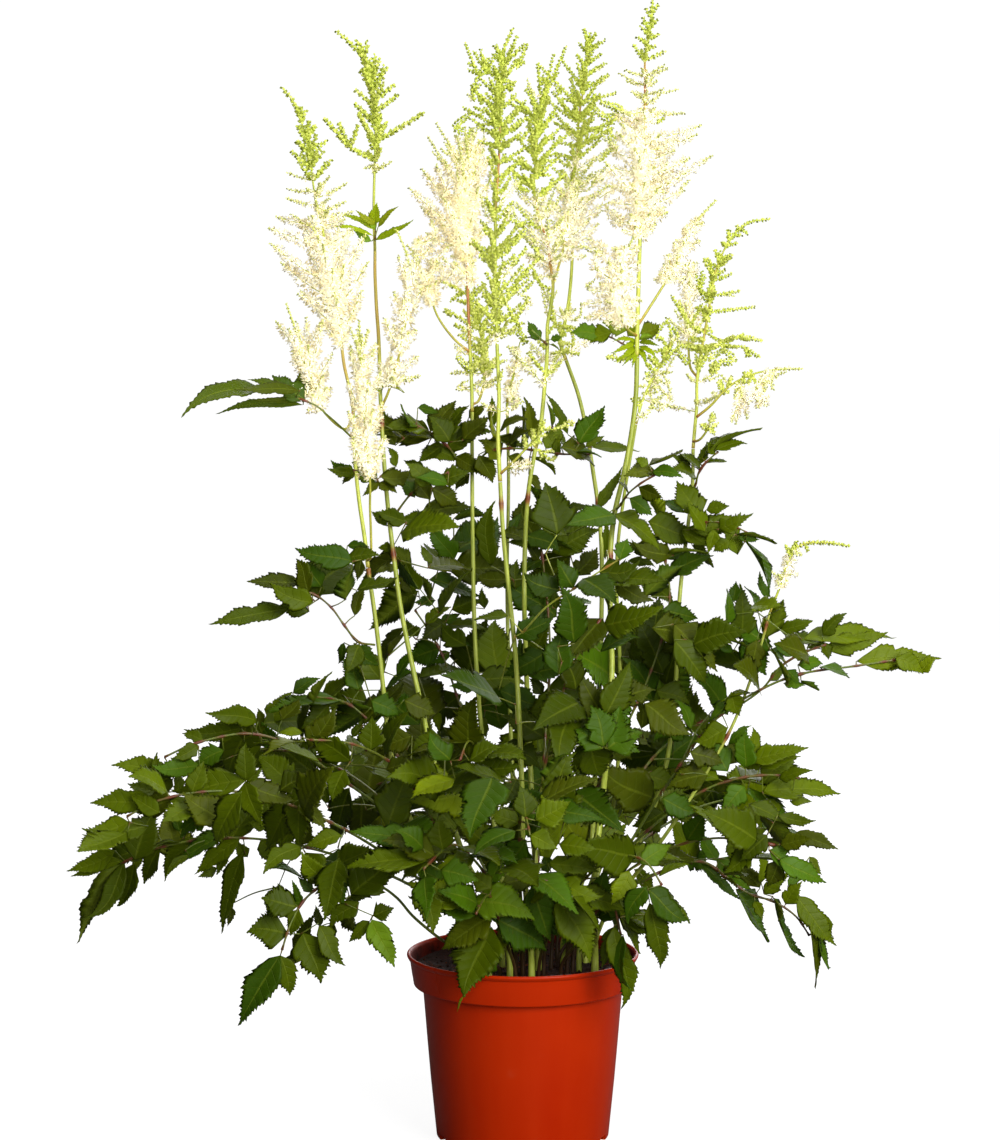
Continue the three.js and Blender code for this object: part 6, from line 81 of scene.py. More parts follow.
  (("g",2.8,((-15,-53,782.8),(-16.6,-54,784.6),(-18.1,-55.1,786.5),)),("g",4.2,((-15.4,-53.1,779.8),(-17.8,-52.7,780.5),(-20.2,-52.3,781.1),)),("g",3.5,((-15.8,-53.4,773.8),(-10.7,-52.8,783),(-5.5,-52.3,792.2),)),("g",3.5,((-12.4,-53,780),(-4.7,-50.7,783.8),(3,-48.4,787.7),)),("g",5,((-16.2,-53.7,766.8),(-9.8,-52.4,771.3),(-3.4,-51.1,775.7),)),("g",4.2,((-16.3,-53.8,765.8),(-22.1,-54.2,769.2),(-27.9,-54.6,772.6),)),("g",3.5,((-26.1,-54.5,771.6),(-30.9,-54.4,778),(-35.6,-54.2,784.4),)),("g",2.8,((-25.2,-54.4,771.1),(-27.6,-56.2,776.9),(-30,-58.1,782.7),)),("g",5,((-16.4,-54,759.8),(-10.3,-54.4,760.7),(-4.1,-54.8,761.5),)),("g",4.2,((-16.5,-54.3,754.8),(-25,-53.3,759.7),(-33.5,-52.4,764.5),)),("g",3.5,((-16.6,-54.5,750.8),(-22.9,-53.9,752.8),(-29.3,-53.3,754.7),)),("g",5,((-16.6,-54.7,744.8),(-27.1,-59.7,748.7),(-37.6,-64.7,752.5),)),("g",5,((-16.7,-54.9,740.9),(-28.6,-54.8,741.5),(-40.5,-54.7,742.1),)),("g",5,((-16.6,-54.7,745.8),(-9.7,-55.4,750.2),(-2.7,-56.1,754.5),)),("g",5,((-16.8,-55.2,733.9),(-31.2,-53.5,736.7),(-45.5,-51.7,739.5),)),("g",5,((-16.8,-55.2,734.9),(-9.1,-57.4,739.7),(-1.3,-59.7,744.6),)),("g",4.9,((-17,-55.6,724.9),(-26,-56.2,728.6),(-34.9,-56.8,732.2),)),("g",6.4,((-17.1,-55.9,719.9),(-24.6,-57.9,719.7),(-32.1,-60,719.6),)),("g",5.7,((-17,-55.6,725.9),(-10.5,-56.7,729.7),(-4.1,-57.8,733.6),)),("g",5.7,((-17.2,-55.9,718.9),(-8.5,-55.7,722.1),(0.1,-55.5,725.4),)),("g",4.2,((-17.7,-56.4,707.9),(-22.8,-56.5,709.6),(-27.9,-56.6,711.4),)),("g",5.7,((-17.6,-56.4,708.9),(-8.7,-54.8,710.9),(0.2,-53.2,713),)),("g",5.7,((-18.4,-56.9,697.9),(-10.5,-55.4,701.9),(-2.7,-53.9,706),)),("g",4.2,((-19.2,-57.4,686.9),(-22.5,-59.2,691.4),(-25.8,-61.1,695.9),)),("g",5.7,((-19.4,-57.6,682),(-11,-55.7,687.7),(-2.6,-53.8,693.4),)),("g",4.2,((-19.8,-58,673),(-23.9,-60.5,678.8),(-27.9,-63.1,684.7),)),("g",4.9,((-20,-58.2,668),(-12,-59.4,674.3),(-4.1,-60.5,680.6),)),("g",4.2,((-20.2,-58.7,657),(-25.1,-60,657.6),(-30,-61.4,658.3),)),("g",4.9,((-20.2,-58.8,656),(-11.4,-55.4,662.1),(-2.6,-52.1,668.3),)),("g",4.9,((-20.2,-59.2,647),(-29,-57.5,647.1),(-37.8,-55.9,647.2),)),("g",4.9,((-20.2,-59.3,643),(-10.1,-64.5,649.8),(0.1,-69.6,656.7),)),("g",4.2,((-20,-59.7,635),(-24.7,-60.7,639.7),(-29.3,-61.8,644.3),)),("g",4.9,((-19.9,-59.9,630),(-10.6,-60.7,636.5),(-1.3,-61.5,642.9),)),("g",4.2,((-19.7,-60.3,621),(-23.8,-61.8,625.7),(-27.9,-63.2,630.3),)),("g",4.9,((-19.6,-60.6,616),(-9.3,-58.8,623.2),(0.9,-57,630.4),)),("g",4.9,((-19.4,-60.9,609),(-25.8,-61.8,613.4),(-32.1,-62.8,617.8),)),("g",4.9,((-19.4,-61,607),(-8.2,-57.7,613.8),(3,-54.3,620.6),)),("g",4.9,((-19.2,-61.3,600),(-25,-59.3,601.2),(-30.8,-57.4,602.4),)),("g",4.9,((-19.1,-61.4,596),(-10.2,-63.5,600.6),(-1.3,-65.5,605.2),)),("g",4.9,((-18.9,-61.8,588),(-23.5,-58.3,589.6),(-28,-54.9,591.1),)),("g",4.9,((-18.9,-61.8,586),(-8.7,-61.7,588.6),(1.6,-61.6,591.2),)),("g",3,((-15.8,-53.4,773.8),(-15.1,-49.5,780.9),(-14.4,-45.5,788),)),("g",3.2,((-15.8,-53.4,773.8),(-15.5,-58.2,782.3),(-15.1,-63,790.8),)),("g",3,((-12.4,-53,780),(-15.5,-45.8,783.7),(-18.5,-38.6,787.5),)),("g",3.3,((-12.4,-53,780),(-8.3,-57.9,783),(-4.3,-62.8,786.1),)),("g",4.5,((-16.2,-53.7,766.8),(-17.9,-48.8,770.3),(-19.5,-43.9,773.8),)),("g",4.3,((-16.2,-53.7,766.8),(-12.8,-59.1,771.2),(-9.3,-64.6,775.5),)),("g",4.2,((-16.3,-53.8,765.8),(-17.9,-58,768.5),(-19.4,-62.3,771.1),)),("g",3.9,((-16.3,-53.8,765.8),(-15,-49.3,768.5),(-13.7,-44.8,771.3),)),("g",3.2,((-26.1,-54.5,771.6),(-26.8,-58.5,777.1),(-27.4,-62.5,782.6),)),("g",3.1,((-26.1,-54.5,771.6),(-26.8,-50.7,776.8),(-27.6,-46.9,782),)),("g",2.6,((-25.2,-54.4,771.1),(-23,-56,776.3),(-20.8,-57.5,781.6),)),("g",2.7,((-25.2,-54.4,771.1),(-26.7,-52.4,775.8),(-28.1,-50.5,780.6),)),("g",4.4,((-16.4,-54,759.8),(-14.5,-50.1,760.4),(-12.5,-46.1,761.1),)),("g",4.2,((-16.4,-54,759.8),(-18.7,-59.1,760.6),(-21,-64.2,761.4),)),("g",4.3,((-16.5,-54.3,754.8),(-19.4,-61.6,759.3),(-22.3,-69,763.7),)),("g",4.3,((-16.5,-54.3,754.8),(-16.9,-48.1,758.3),(-17.3,-42,761.8),)),("g",3.2,((-16.6,-54.5,750.8),(-17.1,-59.5,752.4),(-17.6,-64.5,753.9),)),("g",3,((-16.6,-54.5,750.8),(-16,-49.3,752.4),(-15.4,-44.1,754),)),("g",4.8,((-16.6,-54.7,744.8),(-14,-62.9,747.7),(-11.4,-71,750.5),)),("g",4.6,((-16.6,-54.7,744.8),(-25.7,-47.8,748.6),(-34.7,-40.9,752.3),)),("g",4.8,((-16.7,-54.9,740.9),(-19,-66.2,741.5),(-21.4,-77.5,742.1),)),("g",4.7,((-16.7,-54.9,740.9),(-20,-45.9,741.4),(-23.2,-36.8,741.9),)),("g",4.7,((-16.6,-54.7,745.8),(-18,-49.5,749.2),(-19.5,-44.2,752.5),)),("g",4.7,((-16.6,-54.7,745.8),(-16.9,-60.3,749.3),(-17.2,-65.9,752.8),)),("g",4.8,((-16.8,-55.2,733.9),(-21.1,-66.9,736.3),(-25.4,-78.6,738.7),)),("g",4.5,((-16.8,-55.2,733.9),(-20.1,-45.3,735.9),(-23.3,-35.3,738),)),("g",4.2,((-16.8,-55.2,734.9),(-16.6,-48.3,739),(-16.4,-41.4,743.2),)),("g",4.3,((-16.8,-55.2,734.9),(-17.4,-61.9,738.9),(-17.9,-68.7,743),)),("g",4.4,((-17,-55.6,724.9),(-15.7,-64.2,728.4),(-14.3,-72.8,732),)),("g",4.6,((-17,-55.6,724.9),(-18.3,-48.9,727.7),(-19.6,-42.2,730.5),)),("g",6.7,((-17.1,-55.9,719.9),(-13.5,-61.3,719.7),(-9.8,-66.8,719.6),)),("g",6.1,((-17.1,-55.9,719.9),(-20.9,-50.9,719.7),(-24.7,-45.9,719.6),)),("g",5.1,((-17,-55.6,725.9),(-14.5,-50.1,729.4),(-12.1,-44.7,732.9),)),("g",5.8,((-17,-55.6,725.9),(-19.8,-60.3,729.1),(-22.6,-65,732.3),)),("g",5.7,((-17.2,-55.9,718.9),(-15.4,-49.2,721.5),(-13.6,-42.6,724),)),("g",5.3,((-17.2,-55.9,718.9),(-16.4,-63.8,721.9),(-15.5,-71.7,724.8),)),("g",3.9,((-17.7,-56.4,707.9),(-18.5,-52,709.4),(-19.3,-47.6,711),)),("g",5.7,((-17.6,-56.4,708.9),(-20.5,-48.4,710.8),(-23.3,-40.5,712.7),)),("g",4.8,((-17.6,-56.4,708.9),(-18.9,-63.4,710.5),(-20.3,-70.5,712.1),)),("g",5,((-18.4,-56.9,697.9),(-17.5,-51.1,700.8),(-16.6,-45.3,703.8),)),("g",5.6,((-18.4,-56.9,697.9),(-19.5,-63,701),(-20.7,-69.1,704.2),)),("g",3.7,((-19.2,-57.4,686.9),(-19.9,-54,691),(-20.7,-50.7,695),)),("g",4.8,((-19.4,-57.6,682),(-21.1,-49.4,687.5),(-22.8,-41.2,693.1),)),("g",5.9,((-19.4,-57.6,682),(-19.9,-63.9,686.2),(-20.4,-70.2,690.4),)),("g",4.3,((-19.8,-58,673),(-18.1,-61.5,677.8),(-16.4,-65.1,682.6),)),("g",4.3,((-19.8,-58,673),(-22.2,-54.9,677.7),(-24.5,-51.9,682.4),)),("g",5.1,((-20,-58.2,668),(-20.5,-50.8,673.8),(-21,-43.4,679.7),)),("g",4.9,((-20,-58.2,668),(-20.8,-65.1,673.4),(-21.6,-72,678.9),)),("g",4.1,((-20.2,-58.7,657),(-20.4,-53.7,657.6),(-20.6,-48.7,658.3),)),("g",4.9,((-20.2,-58.8,656),(-25.5,-52.9,661.2),(-30.9,-47,666.5),)),("g",4.9,((-20.2,-58.8,656),(-16.5,-65.3,660.9),(-12.9,-71.8,665.8),)),("g",4.4,((-20.2,-59.2,647),(-21.5,-66.7,647.1),(-22.8,-74.2,647.2),)),("g",4.7,((-20.2,-59.2,647),(-21.5,-52.7,647.1),(-22.7,-46.1,647.2),)),("g",4.2,((-20.2,-59.3,643),(-12.7,-52.4,649.2),(-5.2,-45.4,655.4),)),("g",4.6,((-20.2,-59.3,643),(-22.1,-69.2,649),(-24.1,-79,655.1),)),("g",4.2,((-20,-59.7,635),(-19.4,-63.5,638.8),(-18.8,-67.4,642.6),)),("g",4,((-20,-59.7,635),(-22.1,-56.4,638.8),(-24.1,-53,642.7),)),("g",4.3,((-19.9,-59.9,630),(-20.9,-51,636.2),(-21.9,-42,642.5),)),("g",4.7,((-19.9,-59.9,630),(-20.4,-66.8,634.7),(-21,-73.6,639.5),)),("g",4.3,((-19.7,-60.3,621),(-18.3,-63.9,625.1),(-16.9,-67.5,629.2),)),("g",4.3,((-19.7,-60.3,621),(-19.8,-56.3,625.3),(-19.9,-52.3,629.6),)),("g",4.7,((-19.6,-60.6,616),(-18.2,-52.1,622),(-16.8,-43.6,627.9),)),("g",4.8,((-19.6,-60.6,616),(-19.2,-68.2,621.3),(-18.9,-75.9,626.6),)),("g",4.3,((-19.4,-60.9,609),(-18.1,-65.4,612.2),(-16.7,-69.9,615.4),)),("g",5,((-19.4,-60.9,609),(-21.1,-56.3,612.4),(-22.8,-51.6,615.7),)),("g",4.2,((-19.4,-61,607),(-21,-50,613.4),(-22.6,-39.1,619.9),)),("g",4.6,((-19.4,-61,607),(-17,-70.6,612.8),(-14.5,-80.2,618.6),)),("g",4.6,((-19.2,-61.3,600),(-19.6,-66.6,601),(-20,-71.9,602.1),)),("g",4.3,((-19.2,-61.3,600),(-17.4,-56,601.1),(-15.7,-50.7,602.2),)),("g",4.6,((-19.1,-61.4,596),(-18.6,-53.5,600),(-18.1,-45.6,603.9),)),("g",4.9,((-19.1,-61.4,596),(-22.7,-68.7,600.1),(-26.3,-76,604.2),)),("g",4.5,((-18.9,-61.8,588),(-22.5,-64,589.2),(-26.1,-66.2,590.3),)),("g",4.4,((-18.9,-61.8,586),(-21,-53.7,588.1),(-23.1,-45.6,590.3),)),("g",4.7,((-18.9,-61.8,586),(-15.1,-70.7,588.4),(-11.3,-79.6,590.9),)),("g",4.9,((1.7,-74.1,509.7),(0.9,-73.9,513.4),(0.1,-73.6,517.2),)),("g",4.9,((4.3,-77.2,512.7),(7.1,-77.9,511.9),(9.9,-78.6,511.1),)),("g",5.6,((7.1,-81.4,516.1),(6.4,-81.4,520.3),(5.6,-81.4,524.5),)),("g",5.6,((9.7,-84.7,518.9),(12.9,-84.5,518.3),(16.1,-84.3,517.6),)),("g",4.9,((12.3,-88,521.7),(13.1,-88.6,525.3),(13.9,-89.2,528.9),)),("g",4.9,((13.9,-90,523.4),(16.7,-90,523.4),(19.5,-90.1,523.4),)),("g",4.7,((1.7,-74.1,509.7),(1.4,-74.7,512.6),(1.2,-75.4,515.6),)),("g",5.8,((7.1,-81.4,516.1),(7,-81.9,519.2),(6.8,-82.4,522.3),)),("g",4.4,((12.3,-88,521.7),(11.7,-88.7,525.1),(11.1,-89.4,528.5),)),("g",6.8,((-16.3,-53.8,765.3),(-11,-49.8,766.5),(0.2,-46.8,777.7),)),("g",4.9,((-5.3,-51.5,774.4),(-1.1,-52.5,783),(3,-53.5,790.5),)),("g",6.8,((-34.5,-63.2,751.4),(-35.2,-68.7,757.9),(-26.8,-68.9,773.2),)),("g",3.5,((-26.2,-54.5,771.6),(-30.4,-58.1,769.9),(-38.4,-60,785.9),)),("g",3.1,((-9,-54.5,760.9),(-9.5,-48.7,758.7),(-6,-51.5,763.3),)),("m",3.9,((-34.5,-63.2,751.4),(-36.7,-63.1,753.2),(-38.9,-63,754.6),)),("g",3.8,((-29.2,-60.7,749.5),(-31.6,-57.7,751.4),(-34,-54.7,752.8),)),("g",6.8,((-11.4,-56.7,738.3),(-9.9,-50.4,736.7),(-2.2,-48.6,744.4),)),("g",6.8,((-2.5,-55.6,724.4),(0.9,-56.3,727.5),(4.2,-57.1,730.1),)),("g",6.8,((-9.3,-56.9,730.5),(-3.5,-56.3,734),(2.4,-55.7,736.7),)),("m",3.1,((-27.8,-56.3,729.3),(-29.7,-55.5,731.4),(-31.6,-54.7,733.1),)),("g",4,((-17.2,-56,717.4),(-9.9,-54.7,721.1),(-2.6,-53.5,723.8),)),("g",2.8,((-17.2,-56,717.4),(-18.6,-60.9,716.5),(-24.6,-63.4,719.1),)),("m",4.5,((-24.8,-60.5,694.5),(-25.5,-55.1,699.3),(-21.8,-57.4,709),)),("g",6.8,((-12.9,-55.8,700.7),(-7.7,-55.1,704),(-2.5,-54.5,706.6),)),("g",6.8,((-18.8,-57.1,692),(-13.9,-56.9,697),(-9,-56.6,701.1),)),("c",5.5,((-16.9,-64,681.2),(-10.2,-61.9,687),(-3.5,-59.8,691.8),)),("m",4.8,((-19.9,-58.1,669.5),(-25.2,-59,669.3),(-28.9,-62.9,683),)),("m",6.8,((-14.4,-59,672.4),(-12.7,-65.1,670.8),(-4.3,-68.9,679),)),("g",6.1,((-5.3,-53.1,666.5),(-0.8,-54.8,663.8),(-10.4,-52.3,668.2),)),("g",6.8,((-8,-65.5,651.2),(-3.1,-63.5,654.7),(1.9,-61.5,657.4),)),("m",6.8,((-17.3,-66.4,628),(-13.1,-70.3,628.7),(-4.9,-67.1,640.5),)),("g",5.1,((-20.2,-59.3,644.1),(-14.6,-62.5,642.8),(-5.2,-61.1,652.5),)),("g",6.8,((-8.7,-60.9,637.8),(-6.8,-66.8,637.3),(1.6,-64.6,646.8),)),("g",6.4,((-20,-59.8,632.8),(-26.3,-58.2,640),(-32.7,-56.7,646.1),)),("g",6.8,((-0.3,-55.3,618.6),(3.8,-56.4,622.2),(8,-57.5,625.2),)),("g",6.8,((-1.5,-61.6,590.4),(-4.5,-62.1,596.2),(-15.7,-60.1,611.2),)),("g",6.8,((-2.2,-57.6,628.3),(2.9,-55,633.2),(8.1,-52.4,637.3),)),("m",6.8,((-3.9,-64.9,603.8),(4,-67.8,610.1),(-5.4,-65.9,619.5),)),("g",6.8,((-12.9,-62.8,599.2),(-6.9,-61.6,598.3),(2.8,-64.8,608),)),("g",6.8,((-12.4,-59.3,621),(-10.6,-54.5,619.5),(0.1,-55.2,630.2),)),("g",6.8,((-19.4,-60.9,607.5),(-15.7,-67.7,608.4),(-4.5,-70.1,619.5),)),("m",6.6,((-18.9,-61.9,584.9),(-18.7,-68.2,583.6),(-3.7,-68.9,587.5),)),("g",3.9,((-17.7,-62.7,556.1),(-16.1,-64.2,559.6),(-14.4,-65.7,562.7),)),("m",5.2,((-17.5,-63.3,535.1),(-11.9,-64.5,534.5),(-1.4,-64.7,536.5),)),("g",3,((18.6,-90,523.4),(35.4,-89.4,522.1),(30.5,-86.4,525.5),)),("c",6.8,((-10.4,-69.9,495.9),(4.3,-68.6,493.3),(-9.6,-66.3,493.9),)),),
  ()),
 "e": (1.6, ((9.2,10,506.5),(12.7,10.2,521),(14.4,10.5,535.8),(15.7,10.7,550.7),(17,11,565.6),(17.7,11.2,580.5),(17.8,11.5,595.4),(20.4,11.7,610.1),(21.8,12,624.9),(19.8,11.2,639.7),(17.9,10.2,654.5),(13.5,9.1,668.7),(9.2,8.1,682.9),(7.9,7.1,697.8),(8.8,6.1,712.6),(10,5.1,727.5),(11.4,4.1,742.3),(14.1,3,756.9),(17.8,2,771.4),),
  (((21.6,11.9,626.8),(26.5,24.4,640),(31.2,32.7,657.6),(34.6,38.3,676.7),(36.9,44,696),),),
  (("g",3.6,((13.3,3.2,753.9),(19.6,4.6,766.4),(25.8,5.9,778.8),)),("g",4.4,((12.4,3.6,749),(8.7,6.9,754.1),(5,10.2,759.1),)),("g",4.4,((11.5,4,743.1),(1.7,0.4,745.7),(-8.1,-3.1,748.2),)),("g",3.6,((10.8,4.4,737.1),(7.9,5,741.5),(4.9,5.6,745.9),)),("g",5.8,((10.4,4.7,733.1),(15.6,4.5,738.8),(20.8,4.3,744.4),)),("g",4.4,((10.1,5,729.1),(5,6.7,736.2),(-0.1,8.4,743.3),)),("g",5.8,((9.6,5.4,722.2),(16.6,5.6,726.2),(23.7,5.8,730.2),)),("g",5.8,((9.1,5.9,716.2),(3.4,4.7,720.3),(-2.3,3.5,724.4),)),("g",6.5,((8.6,6.2,711.2),(16.8,4.6,716.3),(25.1,3,721.5),)),("g",5.8,((8.1,6.5,706.2),(2.2,1.9,708),(-3.8,-2.8,709.8),)),("g",6.5,((7.9,7,700.2),(17.3,9.9,704.7),(26.7,12.8,709.1),)),("g",5.8,((8.1,7.4,693.2),(1.5,5.5,695.9),(-5.2,3.6,698.6),)),("g",6.6,((8.7,7.9,686.2),(18.4,7.3,691.1),(28.1,6.7,695.9),)),("m",6.6,((9.8,8.3,680.3),(3.1,10.4,684),(-3.7,12.5,688.9),)),("m",6.6,((12.5,8.9,671.7),(21.1,10,676.6),(29.7,11.1,683.1),)),("m",6.6,((14.3,9.3,666),(6.1,11.1,670.3),(-2.2,12.8,676),)),("m",6.6,((17.1,9.9,657.5),(24.9,12.5,662.3),(32.7,15.1,668.9),)),("m",6.6,((18.3,10.3,652.6),(9.5,9.6,657),(0.7,8.8,662.9),)),("m",5.8,((19.1,10.8,645.7),(12.8,11.9,648.7),(6.5,13,652.9),)),("m",5.1,((19.5,11,641.7),(12.3,8.8,640.9),(5,6.6,641.3),)),("m",4.4,((21,11.7,630.8),(15.2,9.8,629.1),(9.4,7.9,628.3),)),("g",3.3,((13.3,3.2,753.9),(12.5,8.8,764.9),(11.7,14.3,775.8),)),("g",3.1,((13.3,3.2,753.9),(16.8,-1.2,765),(20.2,-5.7,776),)),("g",4.1,((12.4,3.6,749),(8.8,1.7,753.1),(5.3,-0.1,757.2),)),("g",3.9,((12.4,3.6,749),(14.2,7.1,753.1),(16,10.7,757.1),)),("g",4.3,((11.5,4,743.1),(15.6,-4.9,745.5),(19.7,-13.8,747.9),)),("g",4.2,((11.5,4,743.1),(4.4,10.9,745.5),(-2.7,17.7,748),)),("g",3.4,((10.8,4.4,737.1),(12,6.7,740.8),(13.1,8.9,744.5),)),("g",5.1,((10.4,4.7,733.1),(8.9,9.3,738.4),(7.5,13.9,743.6),)),("g",5.8,((10.4,4.7,733.1),(10.6,0.7,737.5),(10.7,-3.3,741.9),)),("g",4.2,((10.1,5,729.1),(8.7,0.3,735.5),(7.2,-4.3,741.9),)),("g",3.8,((10.1,5,729.1),(10.7,10.1,735.9),(11.3,15.2,742.7),)),("g",5,((9.6,5.4,722.2),(11.7,10.1,725.1),(13.8,14.7,728),)),("g",5.6,((9.6,5.4,722.2),(8.7,-1.4,726.1),(7.9,-8.1,730),)),("g",5.5,((9.1,5.9,716.2),(10.8,0.4,720.2),(12.5,-5,724.2),)),("g",6,((9.1,5.9,716.2),(8.9,10.6,719.5),(8.7,15.3,722.8),)),("g",6.8,((8.6,6.2,711.2),(9,14.2,716.1),(9.3,22.2,721.1),)),("g",6.2,((8.6,6.2,711.2),(8.1,0.2,714.9),(7.6,-5.9,718.6),)),("g",5.8,((8.1,6.5,706.2),(10.5,-0.5,708),(12.8,-7.5,709.7),)),("g",5.4,((8.1,6.5,706.2),(2.3,9.1,707.7),(-3.6,11.8,709.2),)),("g",6.6,((7.9,7,700.2),(9,14.8,703.8),(10.2,22.7,707.4),)),("g",5.8,((7.9,7,700.2),(8,-0.4,703.5),(8.1,-7.8,706.8),)),("g",5.3,((8.1,7.4,693.2),(10,2.3,695.4),(11.9,-2.8,697.5),)),("g",5.1,((8.1,7.4,693.2),(7.6,14,695.8),(7.1,20.5,698.4),)),("g",6.6,((8.7,7.9,686.2),(12,14.5,689.9),(15.3,21,693.6),)),("g",6.3,((8.7,7.9,686.2),(6.9,0.7,689.9),(5.1,-6.6,693.7),)),("m",5.8,((9.8,8.3,680.3),(9.4,1.6,683.8),(9.1,-5.2,688.6),)),("m",6.2,((9.8,8.3,680.3),(12.7,13.3,683.2),(15.6,18.3,687.4),)),("m",6.8,((12.5,8.9,671.7),(10.7,15.6,675.4),(8.9,22.2,680.8),)),("m",6,((12.5,8.9,671.7),(13.9,1.6,675.8),(15.4,-5.7,681.6),)),("m",6.2,((14.3,9.3,666),(11.7,3.3,669.1),(9,-2.7,673.8),)),("m",6.4,((14.3,9.3,666),(13.1,16.4,669.5),(11.9,23.4,674.5),)),("m",6.2,((17.1,9.9,657.5),(15.6,15.7,660.8),(14.1,21.5,665.8),)),("m",6.4,((17.1,9.9,657.5),(20.8,5.2,660.8),(24.4,0.5,665.8),)),("m",6.7,((18.3,10.3,652.6),(19,3.2,655.9),(19.6,-3.8,660.9),)),("m",5.6,((18.3,10.3,652.6),(15.9,17.9,656.4),(13.5,25.5,661.9),)),("m",5.9,((19.1,10.8,645.7),(19,6.1,647.7),(18.9,1.4,651),)),("m",5.2,((19.1,10.8,645.7),(19.9,16.5,648.3),(20.7,22.2,652.2),)),("m",4.9,((19.5,11,641.7),(22.8,5,640.9),(26.1,-1.1,641.3),)),("m",4.5,((19.5,11,641.7),(16.6,16,640.9),(13.6,21,641.4),)),("m",4.1,((21,11.7,630.8),(20.9,6,629.1),(20.8,0.2,628.5),)),("m",4.4,((21,11.7,630.8),(17.8,15.3,629.3),(14.6,19,628.8),)),("c",5.9,((30.1,31.7,653.8),(35.3,34.8,651),(40.6,37.8,649.1),)),("c",7.4,((31.2,32.7,657.6),(38,32.4,660.7),(44.8,32.2,665),)),("c",7.4,((32.5,34.4,663.3),(28.4,35.2,669.4),(24.3,35.9,676.7),)),("c",7.4,((34.3,37.5,673.8),(41.1,39,677.6),(47.9,40.5,682.7),)),("m",6.6,((35.4,40.3,683.4),(30.6,40.9,688.3),(25.9,41.5,694.4),)),("m",6.7,((36.2,42.3,690.2),(42.9,45.4,694.7),(49.6,48.6,700.5),)),("c",4.4,((27.9,28.2,645.8),(34.8,26.6,643.1),(41.7,25,641.6),)),("c",5.8,((30.1,31.7,653.8),(27.7,35.9,651.4),(25.2,40,650),)),("c",5,((30.1,31.7,653.8),(32.7,27.4,651.4),(35.2,23.2,649.9),)),("c",6.5,((31.2,32.7,657.6),(31.8,39.3,660.6),(32.4,45.9,664.8),)),("c",7.5,((31.2,32.7,657.6),(29.1,26.8,660.4),(27.1,20.9,664.4),)),("c",7,((32.5,34.4,663.3),(32.7,31.2,667.8),(32.9,28,673.6),)),("c",7.4,((32.5,34.4,663.3),(34.1,37.1,667.8),(35.7,39.9,673.5),)),("c",7,((34.3,37.5,673.8),(32.9,42.8,676.7),(31.4,48.1,680.8),)),("c",7.1,((34.3,37.5,673.8),(37.9,32.9,676.9),(41.5,28.4,681.2),)),("m",6.3,((35.4,40.3,683.4),(36.3,36.3,687.6),(37.1,32.3,692.8),)),("m",6.5,((35.4,40.3,683.4),(35.4,44.5,687.7),(35.4,48.8,693.1),)),("m",5.9,((36.2,42.3,690.2),(35.1,48.9,694.2),(34,55.5,699.6),)),("m",6.4,((36.2,42.3,690.2),(38,36.2,693.9),(39.7,30.2,699.1),)),("c",4.1,((27.9,28.2,645.8),(30.9,33.5,643.4),(33.9,38.7,642.2),)),("c",4,((27.9,28.2,645.8),(28.9,22.3,643.4),(30,16.3,642.2),)),("m",3.9,((14.5,2.9,758.6),(9.5,-0.1,759.4),(7.1,-4,765.2),)),("g",5.6,((10.4,4.7,732.7),(17,5.7,737.4),(23.7,6.7,741.1),)),("g",5.3,((8.1,6.5,706.5),(10.6,13.1,707.5),(25.3,15,723.4),)),("g",4.7,((5.6,-4.4,692.5),(1.7,-10,691.3),(-3.6,-7.3,701.5),)),("m",3.2,((40.9,44.5,693.3),(46.4,48.8,692.4),(51,49.7,698.3),)),("m",4.2,((13.3,14.3,684.1),(17.2,12.1,689.3),(21.1,9.8,693.8),)),("g",3,((14.3,9.3,666),(9.6,7.4,665.2),(-0.5,8.6,672.6),)),("g",6.8,((7.2,7.3,641.1),(8.5,10,646.4),(-0.4,6.8,655.2),)),("g",6.8,((21.6,11.9,621.5),(13.9,15.4,622.2),(4.7,14.9,631.4),)),("c",6.8,((20.5,11.5,634.8),(19,17.1,634.7),(4.9,13.7,640.7),)),("m",3.9,((20.1,11.7,608.6),(16,17.2,610),(7.2,20,619.2),)),("m",3.6,((18.5,11.6,601.8),(16.6,12.4,607.9),(14.7,13.3,613.4),)),("m",2.8,((21.7,11.9,622.5),(23.3,12.7,626.8),(25,13.5,630.6),)),("g",4.2,((17.7,11.4,589.8),(20.1,10.7,591.7),(22.4,10,593.1),)),("m",6.8,((17.2,11.1,569.8),(15.7,15.9,569.6),(8,15.8,577.3),)),("g",6.8,((16.5,10.9,559.9),(11.6,11,564.3),(6.8,11.2,568),)),("g",6.8,((17.6,11.2,576.8),(12.5,12.7,580.8),(7.5,14.2,584),)),("m",6.8,((15.9,10.8,552.9),(12,6.1,553.4),(-4.3,4.1,565.6),)),("m",4,((16,10.8,553.9),(20.5,11.5,562.7),(25,12.1,570.4),)),("g",5.7,((9.2,10,506.5),(20.7,13.4,494.9),(25.7,16.7,499.7),)),),
  ((((17.7,11.3,581.2),(16.2,5.4,582.6),(14.8,-0.5,584),(13,-6.2,585.7),(10,-10.7,588.6),(6.3,-14,592.3),),((-1,((14.8,-0.5,584),(19.8,-1.6,585.3),)),(-1,((16.2,5.4,582.6),(19.8,5,581.8),)),),
